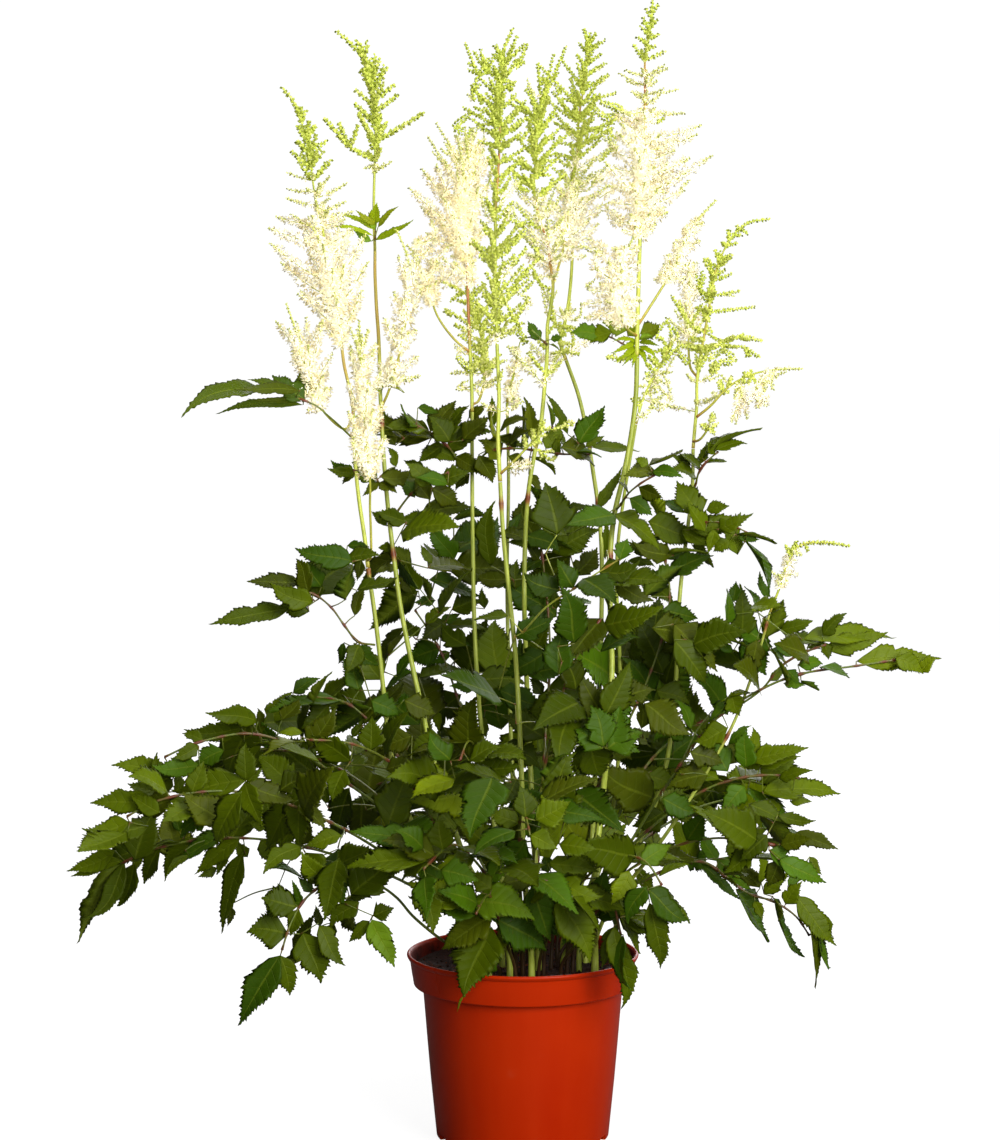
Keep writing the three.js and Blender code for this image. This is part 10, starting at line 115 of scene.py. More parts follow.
# name: (from the crown, path, side stalks (parent, path), leaflets (base, tip, normal azimuth and height, width, arch))
LEAVES = {
 "left_low_a": (True, ((-31.8,0.1,111),(-32,0.1,131),(-34.6,-0.3,150.7),(-40.9,-2.7,169.5),(-49,-5.9,187.5),(-59.2,-9.5,204.3),(-71.7,-13.7,219.3),(-85.6,-18.2,232.8),(-100.4,-22.8,245.5),(-115.7,-27.4,257.5),(-131.2,-31.6,269.3),(-146.9,-35.6,281.1),(-163,-39.4,292.2),(-180.5,-43.4,301.1),(-199.5,-47.9,304.7),(-218.7,-52.5,302.4),(-237.7,-56.2,297.4),(-255.8,-58.7,289.2),),
  ((-1,((-233,-55.4,298.9),(-231.5,-58.6,297.2),)),(-1,((-198.1,-47.6,304.6),(-200.1,-44,298.1),)),(-1,((-201.1,-48.3,304.6),(-201.9,-44.4,308.1),)),(-1,((-186.5,-44.8,303),(-188.1,-43,295.3),)),(-1,((-192.3,-46.2,304.1),(-191,-48.8,308.8),(-189.7,-51.3,313.5),)),(-1,((-215.7,-51.8,303),(-215,-50.3,297.8),(-214.2,-48.8,292.6),)),(-1,((-255.1,-58.6,289.6),(-252.2,-57.9,282.8),(-249.3,-57.3,275.9),)),(-1,((-178.1,-42.9,300.1),(-175.6,-43,306.8),(-173.1,-43.2,313.5),)),(0,((-231.5,-58.6,297.2),(-231,-60.7,290.4),(-230.5,-62.8,283.6),)),(6,((-249.3,-57.3,275.9),(-251.6,-54.6,269.4),(-253.8,-51.9,263),)),(-1,((-125.6,-30.1,265),(-136,-19.2,266.8),(-146.5,-8.2,268.3),(-157.1,2.9,267.8),(-167.5,13.8,265.4),(-177.9,24.6,262.6),)),(-1,((-162.1,-39.2,291.6),(-166,-33.4,291.5),)),(10,((-177.9,24.6,262.6),(-173.3,28.8,257.4),(-168.7,33,252.2),)),(11,((-165.5,-34.1,291.5),(-160.3,-30.3,296.2),(-155.1,-26.6,301),)),(9,((-253.8,-51.9,263),(-257.4,-43.4,260.9),(-261.1,-35,258.8),)),(13,((-155.1,-26.6,301),(-159.8,-22.8,301.7),)),(-1,((-230,-54.9,299.7),(-228.5,-53.2,300.2),)),(9,((-253.8,-51.9,263),(-250.5,-47.8,262.6),(-247.2,-43.9,261.1),)),(12,((-168.7,33,252.2),(-163.8,37.2,249.9),)),),
  ((-231.5,-58.6,297.2,-249.3,-65,289.5,-73,6,11.5,0.054),(-200.1,-44,298.1,-195.4,-39.3,318.5,-118,17,13.7,0.039),(-201.9,-44.4,308.1,-244.5,-38.8,306.7,-97,2,14.4,-0.087),(-188.1,-43,295.3,-202.7,-43.5,277.2,-133,30,16.8,-0.065),(-189.7,-51.3,313.5,-212.8,-56.6,323.6,78,45,14.4,-0.066),(-189.7,-51.3,313.5,-225.9,-69,322.4,-67,-2,14.3,0.07),(-214.2,-48.8,292.6,-234,-48.9,281.9,-101,21,16.2,0.047),(-249.3,-57.3,275.9,-295.1,-52.3,282.5,-93,22,16,-0.075),(-173.1,-43.2,313.5,-161.6,-35.3,328.8,-115,38,14.9,-0.031),(-230.5,-62.8,283.6,-264.3,-67.1,285.2,-81,34,15.7,-0.087),(-253.8,-51.9,263,-261.1,-56.1,292.8,-93,-9,13.1,0.088),(-168.7,33,252.2,-200.9,46,275.4,-90,29,22.6,0.067),(-261.1,-35,258.8,-285.7,-32,266.4,-82,41,14.2,0.061),(-159.8,-22.8,301.7,-178,-24,300.7,-102,24,6.5,0.07),(-228.5,-53.2,300.2,-244.4,-47.4,305,-77,26,8.3,0.047),(-247.2,-43.9,261.1,-250.2,-43.5,276.7,-70,20,8.1,0.061),(-163.8,37.2,249.9,-179.4,40.7,243.6,-86,17,6.5,0.056),)),
 "left_low_b": (True, ((-31.5,-18.4,111),(-31.7,-18.5,130.3),(-34.5,-20.4,149.1),(-43.2,-27.1,164.8),(-54.1,-35.7,178.3),(-65.9,-44.4,190.8),(-78.3,-52.7,203),(-91.4,-60.9,214.6),(-105,-68.9,225.7),(-119.2,-76.7,236.1),(-134.3,-84,245.6),(-150.2,-90.5,254.3),(-166.9,-96.2,262.2),(-184.3,-101.4,268.4),(-202.7,-106.1,272.1),(-221.5,-109.9,272.6),(-240.4,-113.1,270.4),(-258.8,-115.9,265.4),(-275.6,-118.1,256.3),),
  ((-1,((-275.2,-118.1,256.6),(-273.9,-116.8,252.1),)),(-1,((-248.1,-114.3,268.7),(-247.8,-113.3,273.2),)),(-1,((-162.2,-94.7,260.1),(-157.4,-97.9,265.1),)),(-1,((-224.6,-110.5,272.4),(-225.4,-109.7,267.2),)),(-1,((-195.2,-104.3,271),(-194.5,-106.2,275.4),(-193.8,-108.1,279.8),)),(-1,((-175.6,-98.9,265.6),(-170.7,-102.2,271.7),)),(-1,((-256.6,-115.6,266.2),(-254.5,-118.1,262.9),(-252.4,-120.7,259.7),)),(0,((-273.9,-116.8,252.1),(-275.1,-118.9,245.6),)),(3,((-225.4,-109.7,267.2),(-222.2,-109.7,262.5),(-218.9,-109.8,257.9),)),(-1,((-137.1,-85.3,247.3),(-145.9,-76.7,250),(-154.7,-68.1,252.8),(-163.6,-59.4,254.5),)),(-1,((-126,-80.1,240.5),(-126.5,-89.4,240.2),(-127.1,-98.6,239.9),(-127.7,-107.8,239.4),(-128.3,-117,238),(-128.8,-126,235.8),)),(-1,((-197.4,-104.8,271.4),(-199.9,-114.4,267.8),(-202.4,-124,264.2),(-204.8,-133.2,259.9),)),(11,((-204.6,-132.6,260.2),(-201,-136.2,266.1),(-197.4,-139.8,272),(-193.8,-143.4,277.9),)),(2,((-157.4,-97.9,265.1),(-155.6,-90.2,268.7),)),(9,((-163.2,-59.9,254.5),(-163.7,-61.1,259),)),(-1,((-156.9,-92.9,257.7),(-155.8,-97.7,256.9),(-154.7,-102.5,256.2),)),(11,((-203.2,-127.2,262.9),(-204.3,-124,256.7),(-205.3,-120.9,250.6),)),(-1,((-242.3,-113.3,270),(-243.7,-109,267.1),)),(10,((-128.8,-125.4,236),(-127.4,-127.6,240.7),(-126,-129.8,245.4),)),(0,((-273.9,-116.8,252.1),(-268.2,-110.8,249.7),(-262.5,-104.7,247.3),)),(4,((-193.8,-108.1,279.8),(-193.5,-102.7,277.6),)),),
  ((-256.6,-115.6,266.2,-303.5,-105,263.7,-104,13,16.7,-0.043),(-230.5,-111.5,271.9,-222.8,-109.8,294.2,-94,6,14,0.032),(-273.9,-116.8,252.1,-307.7,-116.3,248.2,-95,30,14.9,-0.077),(-247.8,-113.3,273.2,-273.1,-128.6,285.9,-37,41,20,0.071),(-157.4,-97.9,265.1,-137.7,-109.1,246.1,-73,41,15.8,0.024),(-225.4,-109.7,267.2,-249.6,-133.2,255.5,-80,59,23.8,-0.028),(-193.8,-108.1,279.8,-248.8,-88.6,270.7,-113,22,18.9,0.054),(-193.8,-108.1,279.8,-193.6,-108.3,307,-92,1,15.4,0.062),(-193.8,-108.1,279.8,-182.7,-112.1,247.6,-117,-5,18.5,0.054),(-170.7,-102.2,271.7,-149.1,-102.3,283.1,-109,31,17.6,0.082),(-194.3,-106.8,276.9,-158.7,-101.4,264.8,-76,22,17.3,-0.081),(-252.4,-120.7,259.7,-273.8,-113.3,270.5,-103,12,12.5,0.039),(-275.1,-118.9,245.6,-306,-152.5,238.7,-69,71,26.1,-0.054),(-218.9,-109.8,257.9,-240.8,-99.2,237.9,-133,19,21.7,0.023),(-193.8,-143.4,277.9,-211.9,-135.9,236,-129,8,22.1,0.08),(-155.6,-90.2,268.7,-158.2,-91.5,226.7,-122,3,20.8,0.029),(-163.7,-61.1,259,-185.3,-52.5,220.3,-134,13,26.8,0.046),(-154.7,-102.5,256.2,-131.1,-138.3,293.9,-145,-2,30.6,0.052),(-205.3,-120.9,250.6,-236.6,-121.4,274.5,-68,25,23.1,0.03),(-243.7,-109,267.1,-277.5,-95.3,261.8,-115,18,16.6,0.023),(-126,-129.8,245.4,-152,-128,238.2,-102,27,12.7,0.081),(-262.5,-104.7,247.3,-290.2,-112.5,243.5,-80,37,15.4,0.076),(-193.5,-102.7,277.6,-182.5,-98,287.4,-107,22,6.5,0.063),)),
 "left_low_c": (True, ((-35.9,9.6,111),(-36.1,9.6,131),(-40.1,10,150.5),(-53.8,9.9,165),(-70.3,9.8,176.4),(-87.7,10.2,186.3),(-106,11.2,194.5),(-124.8,12.5,201.3),(-143.9,13.9,207.2),(-163.3,15.5,212),(-183,17.4,215.5),(-202.9,19.4,217.1),(-222.9,21.3,216.9),(-242.7,23.1,214.9),(-262.3,25.1,210.9),(-281.3,27.4,205),(-299,29.8,195.9),),
  ((-1,((-241.9,23,215),(-242.2,27,216.5),)),(-1,((-226.9,21.6,216.6),(-228.2,25.2,219.3),)),(-1,((-290.8,28.7,201),(-288.6,30.4,196.5),)),(-1,((-223.9,21.4,216.8),(-222.5,24.4,210),)),(-1,((-205.9,19.7,217.2),(-206.2,22.5,211.8),(-206.5,25.2,206.4),)),(-1,((-296,29.4,198),(-299.4,28.4,202.3),(-302.8,27.4,206.5),)),(-1,((-159.7,15.2,211.2),(-163.7,28,207.9),(-167.7,40.7,204.3),(-171.6,52.9,199.1),(-175.2,64.4,192.5),(-178.9,75.9,185.7),)),(-1,((-157.8,15.1,210.8),(-163.1,4.4,215.1),(-168.5,-6.3,219.2),(-174,-17.3,221.8),)),(-1,((-245.1,23.3,214.5),(-247.9,31.1,214),(-250.6,38.9,213.4),(-253.3,46.6,212),(-256,54.1,209.5),(-258.5,61.4,206.6),)),(-1,((-229.2,21.9,216.4),(-235.1,11.5,216.4),(-241,1.2,215.8),(-246.8,-8.9,213.3),)),(-1,((-266.5,25.6,209.7),(-269.2,32.3,213.4),(-271.8,39,217),)),(-1,((-272.3,26.3,208.1),(-275.7,20.7,211.6),(-279.1,15.1,215.2),(-282.6,9.4,218.4),)),(11,((-282.4,9.7,218.2),(-283.8,6.7,210.6),(-285.2,3.7,202.9),)),(8,((-258.4,60.9,206.8),(-258.5,57.6,199.3),(-258.6,54.2,191.7),)),(3,((-222.5,24.4,210),(-219.8,29.7,210.2),(-217.1,35,210.4),)),(10,((-271.6,38.5,216.7),(-275.4,38.9,212.2),(-279.3,39.2,207.6),)),(-1,((-217.9,20.8,217.1),(-218.2,15.6,218.9),(-218.6,10.4,220.7),)),(7,((-173.9,-17,221.7),(-169.3,-18.6,228.2),(-164.6,-20.2,234.6),)),(-1,((-187.8,17.9,216.1),(-186.7,18.1,222.7),(-185.5,18.4,229.3),)),(-1,((-135,13.2,204.6),(-133,18.2,193.9),(-131.1,23.1,183.2),(-129.1,28.1,172.5),)),(19,((-129.1,28.1,172.5),(-132.7,25.3,166.2),(-136.2,22.5,159.8),(-139.7,19.8,153.5),)),(20,((-139.7,19.8,153.5),(-146.8,20.6,146.5),(-153.9,21.3,139.6),(-160.9,22.1,132.7),)),(21,((-160.9,22.1,132.7),(-163.3,15.9,130.5),(-165.7,9.8,128.2),)),(6,((-178.9,75.9,185.7),(-182.3,78.5,177.3),(-185.7,81,168.8),)),(8,((-253.9,48.2,211.5),(-257.5,51.2,216.6),)),(18,((-185.5,18.4,229.3),(-188.3,23.6,225.3),)),(7,((-162.4,5.9,214.5),(-162.6,10.5,213.6),)),(4,((-206.5,25.2,206.4),(-204.4,29.8,201.1),)),(9,((-246.5,-8.5,213.4),(-244.9,-1.7,208.6),)),(-1,((-287,28.2,202.7),(-284.7,31.8,203.6),)),(3,((-222.5,24.4,210),(-224.9,25,202),(-226.8,25.5,194),)),(-1,((-103.1,11,193.3),(-102.8,15.7,193.1),(-102.5,20.2,191.8),)),(19,((-129.1,28.1,172.5),(-128.4,32.9,170.4),)),(20,((-139.7,19.8,153.5),(-143,22.1,155.8),(-146.6,24.8,157.3),)),(20,((-139.7,19.8,153.5),(-145.2,22.1,152.4),(-150.3,24.3,150),)),(23,((-185.7,81,168.8),(-193.7,83,166.6),(-201.6,84.9,164.3),(-209.1,86.8,161.1),(-216.4,88.6,157.1),(-223.6,90.4,153.1),)),),
  ((-296,29.4,198,-328,3,159.4,-101,39,15.3,-0.085),(-193.8,18.5,216.6,-174.6,8.4,194.8,-94,21,14.7,0.077),(-208.9,20,217.2,-243.6,20.8,189.5,-116,24,15.3,0.033),(-298.5,29.7,196.3,-331.5,21.3,137.2,129,14,19.3,0.065),(-253.7,24.2,212.9,-275.5,20.2,210,157,83,15.6,0.056),(-242.2,27,216.5,-266.3,25.5,183.2,-127,25,18.3,0.055),(-268.3,25.8,209.3,-281.8,29.1,180.7,-134,16,19.6,0.088),(-228.2,25.2,219.3,-247.1,29.5,207.3,-159,53,16.4,0.072),(-288.6,30.4,196.5,-302.7,34.1,163.1,-135,13,20.4,-0.021),(-222.5,24.4,210,-226.6,16.8,190,-101,23,10.8,-0.085),(-206.5,25.2,206.4,-223.1,16.3,145.5,-123,15,16.6,0.048),(-302.8,27.4,206.5,-340.6,34.1,189.8,-110,21,14.3,-0.076),(-285.2,3.7,202.9,-270.6,15.5,241.8,-101,20,25.2,0.049),(-258.6,54.2,191.7,-270.1,64.4,231.3,-78,17,24,0.072),(-217.1,35,210.4,-204.1,60.6,241.4,-109,43,24.3,0.073),(-279.3,39.2,207.6,-313.3,44.6,192.9,-114,32,21.8,0.052),(-218.6,10.4,220.7,-255.1,13.1,202.9,-131,51,22.5,0.039),(-164.6,-20.2,234.6,-173.3,-20.8,210,-131,14,15.2,0.05),(-185.5,18.4,229.3,-193.1,20.6,255.9,-98,2,15.5,0.049),(-129.1,28.1,172.5,-122.6,47.5,138.7,152,5,18.7,0.037),(-139.7,19.8,153.5,-144.2,19.6,129,-124,6,12.8,0.026),(-160.9,22.1,132.7,-179.9,38.9,106.9,136,44,18.3,0.057),(-165.7,9.8,128.2,-152.9,11.9,163.5,-141,18,18.1,0.063),(-185.7,81,168.8,-192.5,76,145.9,145,6,13.3,0.064),(-257.5,51.2,216.6,-259.7,58.2,232,-99,16,8,0.039),(-188.3,23.6,225.3,-204.5,26.2,227.8,-95,28,8.6,0.021),(-162.6,10.5,213.6,-156.9,10.8,231.2,-93,18,11.2,0.061),(-204.4,29.8,201.1,-213.3,25.1,215.4,-97,23,8.4,0.038),(-244.9,-1.7,208.6,-262.2,-7.4,191.5,-90,23,6.5,0.041),(-284.7,31.8,203.6,-288.9,35.3,186.8,-75,29,6.5,0.02),(-297.6,30.3,198.1,-338.1,38,185.1,-87,26,9.4,0.033),(-226.8,25.5,194,-241.3,22.8,187.3,-74,11,6.5,0.027),(-102.5,20.2,191.8,-111.5,25.5,176.2,-101,19,6.7,0.022),(-128.4,32.9,170.4,-112.1,35.3,168.8,-82,16,8.3,0.06),(-146.6,24.8,157.3,-138.8,20.5,172.9,-101,22,6.5,0.056),(-150.3,24.3,150,-153.8,26.2,165.8,-78,21,6.5,0.021),(-223.6,90.4,153.1,-225.2,85,137.3,-92,28,6.5,0.044),)),
 "left_low_d": (True, ((-31.6,19,111),(-31.7,19.1,130.5),(-34.4,21,149.6),(-42.1,27.7,166.2),(-51.7,36,181),(-62.3,44.7,194.8),(-73.9,53.4,207.9),(-86.4,61.9,220.3),(-99.5,70.5,231.8),(-113.3,79.2,242.5),(-127.9,88.1,251.8),(-143.5,97.2,259.2),(-159.8,106.3,264.6),(-176.9,115.3,267.8),(-194.4,123.6,268),(-212.1,131,264.1),(-229.5,137.9,258.9),),
  ((-1,((-172.1,112.8,267.2),(-170.6,112.8,271.7),(-169,112.8,276.2),)),(-1,((-213,131.3,263.8),(-215.1,130.6,271.1),(-217.3,129.8,278.3),)),(-1,((-193.8,123.4,268),(-194.3,124.4,274.7),(-194.8,125.4,281.4),(-195.3,126.5,288.1),)),(-1,((-107.1,75.4,237.9),(-104.2,90.5,238.6),(-101.3,105.7,239),(-98.4,120.8,237.3),(-95.5,135.6,233.7),(-92.7,150.3,229.9),)),(-1,((-98.7,70,231.2),(-107.7,63.6,233.4),(-116.7,57.2,235.6),(-125.8,50.8,237.1),(-135.1,44.3,237.2),(-144.2,37.8,236.3),)),(-1,((-137.5,93.8,256.7),(-136,104.5,254.9),(-134.6,115.2,252.8),(-133.2,125.6,249.4),(-131.8,135.5,244.9),(-130.5,145.4,240.2),)),(-1,((-155.8,104.1,263.5),(-163.8,98.5,268.6),(-171.8,92.9,273.6),(-180,87.1,277.9),(-188.7,81,280.9),(-197.5,74.7,283),)),(-1,((-183.9,118.8,268.3),(-191.1,112.5,269.8),(-198.3,106.3,271),(-205.5,100,271.1),(-212.7,93.8,269.8),(-219.8,87.5,268.5),)),(-1,((-164.2,108.7,265.7),(-162.3,113.6,260.1),(-160.5,118.6,254.4),(-158.7,123.5,248.8),)),(6,((-197.1,75,282.9),(-200.1,79.8,287.1),(-203.1,84.5,291.2),(-206,89.2,295.4),)),(4,((-128.6,48.9,237.3),(-129.1,50.1,243.7),(-129.7,51.3,250),)),(2,((-195.3,126.5,288.1),(-200.2,119.6,289.1),)),(-1,((-188.3,120.9,268.4),(-185.4,125.6,268.9),(-182.4,130.3,269.4),)),(-1,((-223.8,135.6,260.6),(-223.7,134,257),)),(-1,((-218.4,133.5,262.2),(-216.6,136.3,263.6),)),(-1,((-229.2,137.8,259),(-232.2,133.6,257.6),)),(7,((-219.8,87.5,268.5),(-226.1,85.7,266),)),(5,((-130.5,145.4,240.2),(-131.9,146.9,244.4),)),(3,((-92.7,150.3,229.9),(-95.9,154.6,234.1),)),(11,((-200.2,119.6,289.1),(-200.8,123.5,286.7),(-201.4,126.9,283.6),)),(4,((-143.8,38.2,236.3),(-146.7,38.9,239.7),)),),
  ((-153.8,103,262.9,-136.8,99.1,277.5,-127,34,16.3,0.076),(-188.3,120.9,268.4,-200.4,111.9,291.3,-110,-30,19.4,0.023),(-169,112.8,276.2,-155.4,119.2,316.8,-166,20,31.2,0.083),(-217.3,129.8,278.3,-232.3,122,294.9,-60,2,11.1,0.077),(-195.3,126.5,288.1,-177.7,136,311.8,-97,26,16.4,0.068),(-158.7,123.5,248.8,-194,152.2,272.2,-106,37,28.6,0.083),(-206,89.2,295.4,-227.5,119.6,245.6,-88,-32,28,0.028),(-129.7,51.3,250,-140.2,67.3,204.8,-129,-7,22.1,0.065),(-200.2,119.6,289.1,-157.5,148.4,285.4,-52,42,25.3,0.04),(-160.2,101,266.2,-142.2,115.9,248.5,-58,-11,14.3,0.059),(-182.4,130.3,269.4,-213.1,135.9,253.5,-119,32,18.2,0.072),(-223.7,134,257,-245.4,130.8,246.3,-98,30,13.9,0.022),(-216.6,136.3,263.6,-231.6,164.5,246.8,116,62,19.5,0.043),(-232.2,133.6,257.6,-258.3,97.2,244.6,157,38,25.9,0.046),(-226.1,85.7,266,-262.5,75,252,-169,70,19.6,0.068),(-135.5,108.7,254.2,-134.2,146.3,259.2,-175,55,21.5,0.021),(-194.3,124.4,274.7,-240.2,92.6,282.6,111,59,29.9,0.055),(-131.9,146.9,244.4,-135.5,187.6,253.7,-141,68,24,0.06),(-95.9,154.6,234.1,-108.3,189.8,251,-88,65,24.4,0.089),(-201.4,126.9,283.6,-205,132.7,299.6,-103,14,7.3,0.046),(-146.7,38.9,239.7,-146.4,37.7,256.4,-106,21,6.5,0.04),)),
 "left_front_hang": (True, ((-16.6,-26.4,111),(-17.5,-27.2,129.6),(-29.6,-38.2,139.9),(-42.8,-50.2,147.6),(-55.8,-61.8,156.2),(-67.7,-72.2,167.5),(-79.1,-81.9,179.9),(-89.1,-91,193.8),(-102.2,-99.8,204.9),(-119.3,-107.1,210.4),(-137,-114.2,209.1),(-152.1,-120.5,198.8),(-161.8,-124.9,182.8),(-167.8,-128,164.6),),
  ((-1,((-153.9,-121.3,196.9),(-155.3,-118.2,194.9),)),(-1,((-164,-126.1,175.8),(-163.7,-122.1,174.6),)),(-1,((-118.8,-106.9,210.4),(-121.5,-104,210),)),(-1,((-135.4,-113.6,209.7),(-135.6,-116.3,211.5),)),(-1,((-155.8,-122.1,194.6),(-158.8,-126.2,196.5),)),(-1,((-132.7,-112.4,210.4),(-131.1,-115.9,208.3),)),(-1,((-167.8,-128,164.6),(-169,-127.3,160.7),)),(1,((-163.7,-122.1,174.6),(-155.4,-121.9,174.6),)),(-1,((-145.4,-117.7,204.5),(-149.4,-117.1,208.6),(-153.4,-116.4,212.7),)),(7,((-155.4,-121.9,174.6),(-149,-123.4,178.7),(-142.6,-125,182.8),)),(5,((-131.1,-115.9,208.3),(-127.9,-115.2,201.3),(-124.7,-114.5,194.4),)),(10,((-124.7,-114.5,194.4),(-118.2,-115.9,191.9),(-111.7,-117.2,189.3),(-105.2,-118.5,186.8),)),(11,((-105.2,-118.5,186.8),(-105.8,-123.2,185.1),)),(11,((-105.2,-118.5,186.8),(-107.2,-119,183.1),)),(8,((-153.4,-116.4,212.7),(-152.6,-118.7,222.2),(-151.8,-120.9,231.7),)),(14,((-151.8,-120.9,231.7),(-154.4,-120.7,235.7),)),(-1,((-106.3,-101.8,206.7),(-115,-93.6,210.5),(-123.7,-85.4,214.1),(-132.6,-76.9,216.2),(-141.7,-68.4,216.6),(-150.8,-59.8,216.8),)),(10,((-126,-114.8,197.2),(-120.5,-116.5,200.5),)),(16,((-148.5,-61.9,216.7),(-143.2,-55.7,217.9),(-137.8,-49.4,219.2),(-132.4,-43.2,220.5),)),(3,((-135.6,-116.3,211.5),(-133.1,-119.3,217.1),(-130.6,-122.3,222.8),(-128.1,-125.3,228.4),)),(16,((-123.7,-85.4,214.1),(-128.4,-89.7,215.3),(-133.1,-94.1,216.5),)),(4,((-157.9,-125.1,196),(-157.4,-126.2,194.4),)),(11,((-116.9,-116.1,191.4),(-114.9,-114.5,195.6),)),),
  ((-155.3,-118.2,194.9,-161,-124.1,213.2,-94,-19,5.8,0.06),(-163.7,-122.1,174.6,-193.2,-121.2,175.1,-96,24,23,0.06),(-121.5,-104,210,-107.8,-104,222,-143,43,13.1,0.076),(-135.6,-116.3,211.5,-154,-129.5,233.8,-82,-25,17.7,0.09),(-157.4,-126.2,194.4,-182,-129.1,201.3,-103,30,24,0.049),(-156.2,-122.9,192.3,-162.6,-122.3,173.2,-108,12,12.5,0.068),(-131.1,-115.9,208.3,-125.3,-114.6,194.3,-79,-1,10.9,0.067),(-169,-127.3,160.7,-199.2,-127,110.7,-113,13,21,0.048),(-169,-127.3,160.7,-163.1,-118.8,130.1,-84,6,14,0.076),(-153.6,-121.9,175.9,-141,-126.1,140.2,-96,6,23,0.039),(-153.4,-116.4,212.7,-177.5,-120.4,220.8,2,71,18.5,0.06),(-142.3,-125,181.5,-123.5,-128.3,153.4,-78,12,14,0.051),(-114.9,-114.5,195.6,-136,-113.1,175.5,-103,21,13.5,0.045),(-105.2,-118.5,186.8,-90.3,-120.6,192.6,-84,24,12.5,0.088),(-105.8,-123.2,185.1,-89.8,-125,151.4,-84,9,16,-0.087),(-107.2,-119,183.1,-122.2,-115,167.6,-115,10,9.5,0.062),(-151.8,-120.9,231.7,-136.2,-127.9,207.4,-97,12,18.2,-0.079),(-154.4,-120.7,235.7,-180,-136.9,219.3,-83,39,15.1,0.081),(-120.5,-116.5,200.5,-90.6,-116.6,238.1,-115,18,24.9,0.041),(-132.4,-43.2,220.5,-135.1,-55.7,185.2,-100,20,21.7,0.041),(-128.1,-125.3,228.4,-137.8,-141.3,187.8,-114,25,22.6,0.071),(-153.9,-121.3,196.9,-182.1,-106,183.5,-138,32,15.7,0.089),(-133.1,-94.1,216.5,-104,-109.1,232,-136,34,21.7,0.036),(-147,-118.4,202.9,-157.5,-116.2,213.8,-85,14,6.5,0.062),)),
 "left_slope": (True, ((-25.5,9.7,111),(-25.7,9.7,130.9),(-28.1,10.1,150.6),(-35.5,9.9,169.1),(-44.7,9.5,186.8),(-54.2,9.7,204.3),(-63.2,11,222),(-71.6,13.2,239.9),(-80.3,15.7,257.7),(-89.9,18.3,275),(-101.4,20.6,291),(-114.8,22.5,305.7),(-130.6,24.4,317.5),(-149.7,27,321.1),(-169.4,29.6,319),),
  ((-1,((-142.3,26,321.1),(-143.2,30.2,315.5),)),(-1,((-128.2,24.1,316.2),(-124.5,25.2,321.3),(-120.8,26.3,326.4),)),(1,((-120.8,26.3,326.4),(-111.3,26.7,326.5),(-101.8,27.1,326.6),)),(2,((-105,27,326.6),(-104,23.1,334.6),)),(-1,((-67.1,11.9,230.4),(-70.1,5.7,232.5),(-73.1,-0.5,234.8),(-76.1,-6.7,237),)),(-1,((-92,18.8,278.2),(-92.3,25.7,278.6),)),(-1,((-96.5,19.7,284.8),(-100,12.2,286.4),(-103.4,4.6,287.9),(-106.9,-3,288.8),(-110.5,-10.7,288.6),(-114,-18.4,287.8),)),(-1,((-127.5,24,315.8),(-130.3,34.4,318.4),(-133,44.9,320.1),(-135.8,55.5,319.7),)),(7,((-131.5,39.3,319.5),(-123.1,41.1,317.2),(-114.7,43,315),)),(-1,((-116.2,22.7,307.1),(-111.8,21.1,314.5),)),(4,((-75.9,-6.3,236.9),(-70,-10.1,235.7),(-64.1,-13.8,234.4),)),(-1,((-114.1,22.4,305.1),(-117.3,19.2,301.7),)),(-1,((-154.3,27.6,320.7),(-154.2,21.2,318.1),)),(5,((-92.3,24.9,278.5),(-86,26.2,282.1),)),(7,((-135.7,54.8,319.7),(-142.7,52.3,315.5),(-149.8,49.8,311.3),)),(3,((-104,23.1,334.6),(-101.6,25.8,343.4),(-99.2,28.5,352.2),)),(11,((-117.3,19.2,301.7),(-113.9,15.3,301.6),(-110.5,11.3,301.6),)),(15,((-102.4,24.9,340.5),(-97.6,23.8,338.8),(-92.9,22.6,337.1),)),(15,((-99.2,28.5,352.2),(-90.1,28.6,359.9),(-81,28.8,367.5),(-71.9,28.9,375.2),)),(18,((-71.9,28.9,375.2),(-66.8,25.2,379.8),(-61.7,21.5,384.5),)),(19,((-61.7,21.5,384.5),(-66.1,18.8,390.4),(-70.5,16.2,396.3),(-74.9,13.6,402.1),)),(-1,((-169.1,29.6,319),(-169.9,33.9,321.3),(-170.8,38.7,322.7),)),(11,((-117.3,19.2,301.7),(-121.9,21.3,297.3),(-125.8,23.1,292.1),)),(13,((-86,26.2,282.1),(-83.2,27.2,286.8),)),(6,((-113.8,-18.1,287.8),(-108.7,-21.2,296.1),(-103.5,-24.3,304.5),(-98.1,-27.6,312.5),(-91.9,-31.3,319.8),(-85.7,-35,327.2),)),),
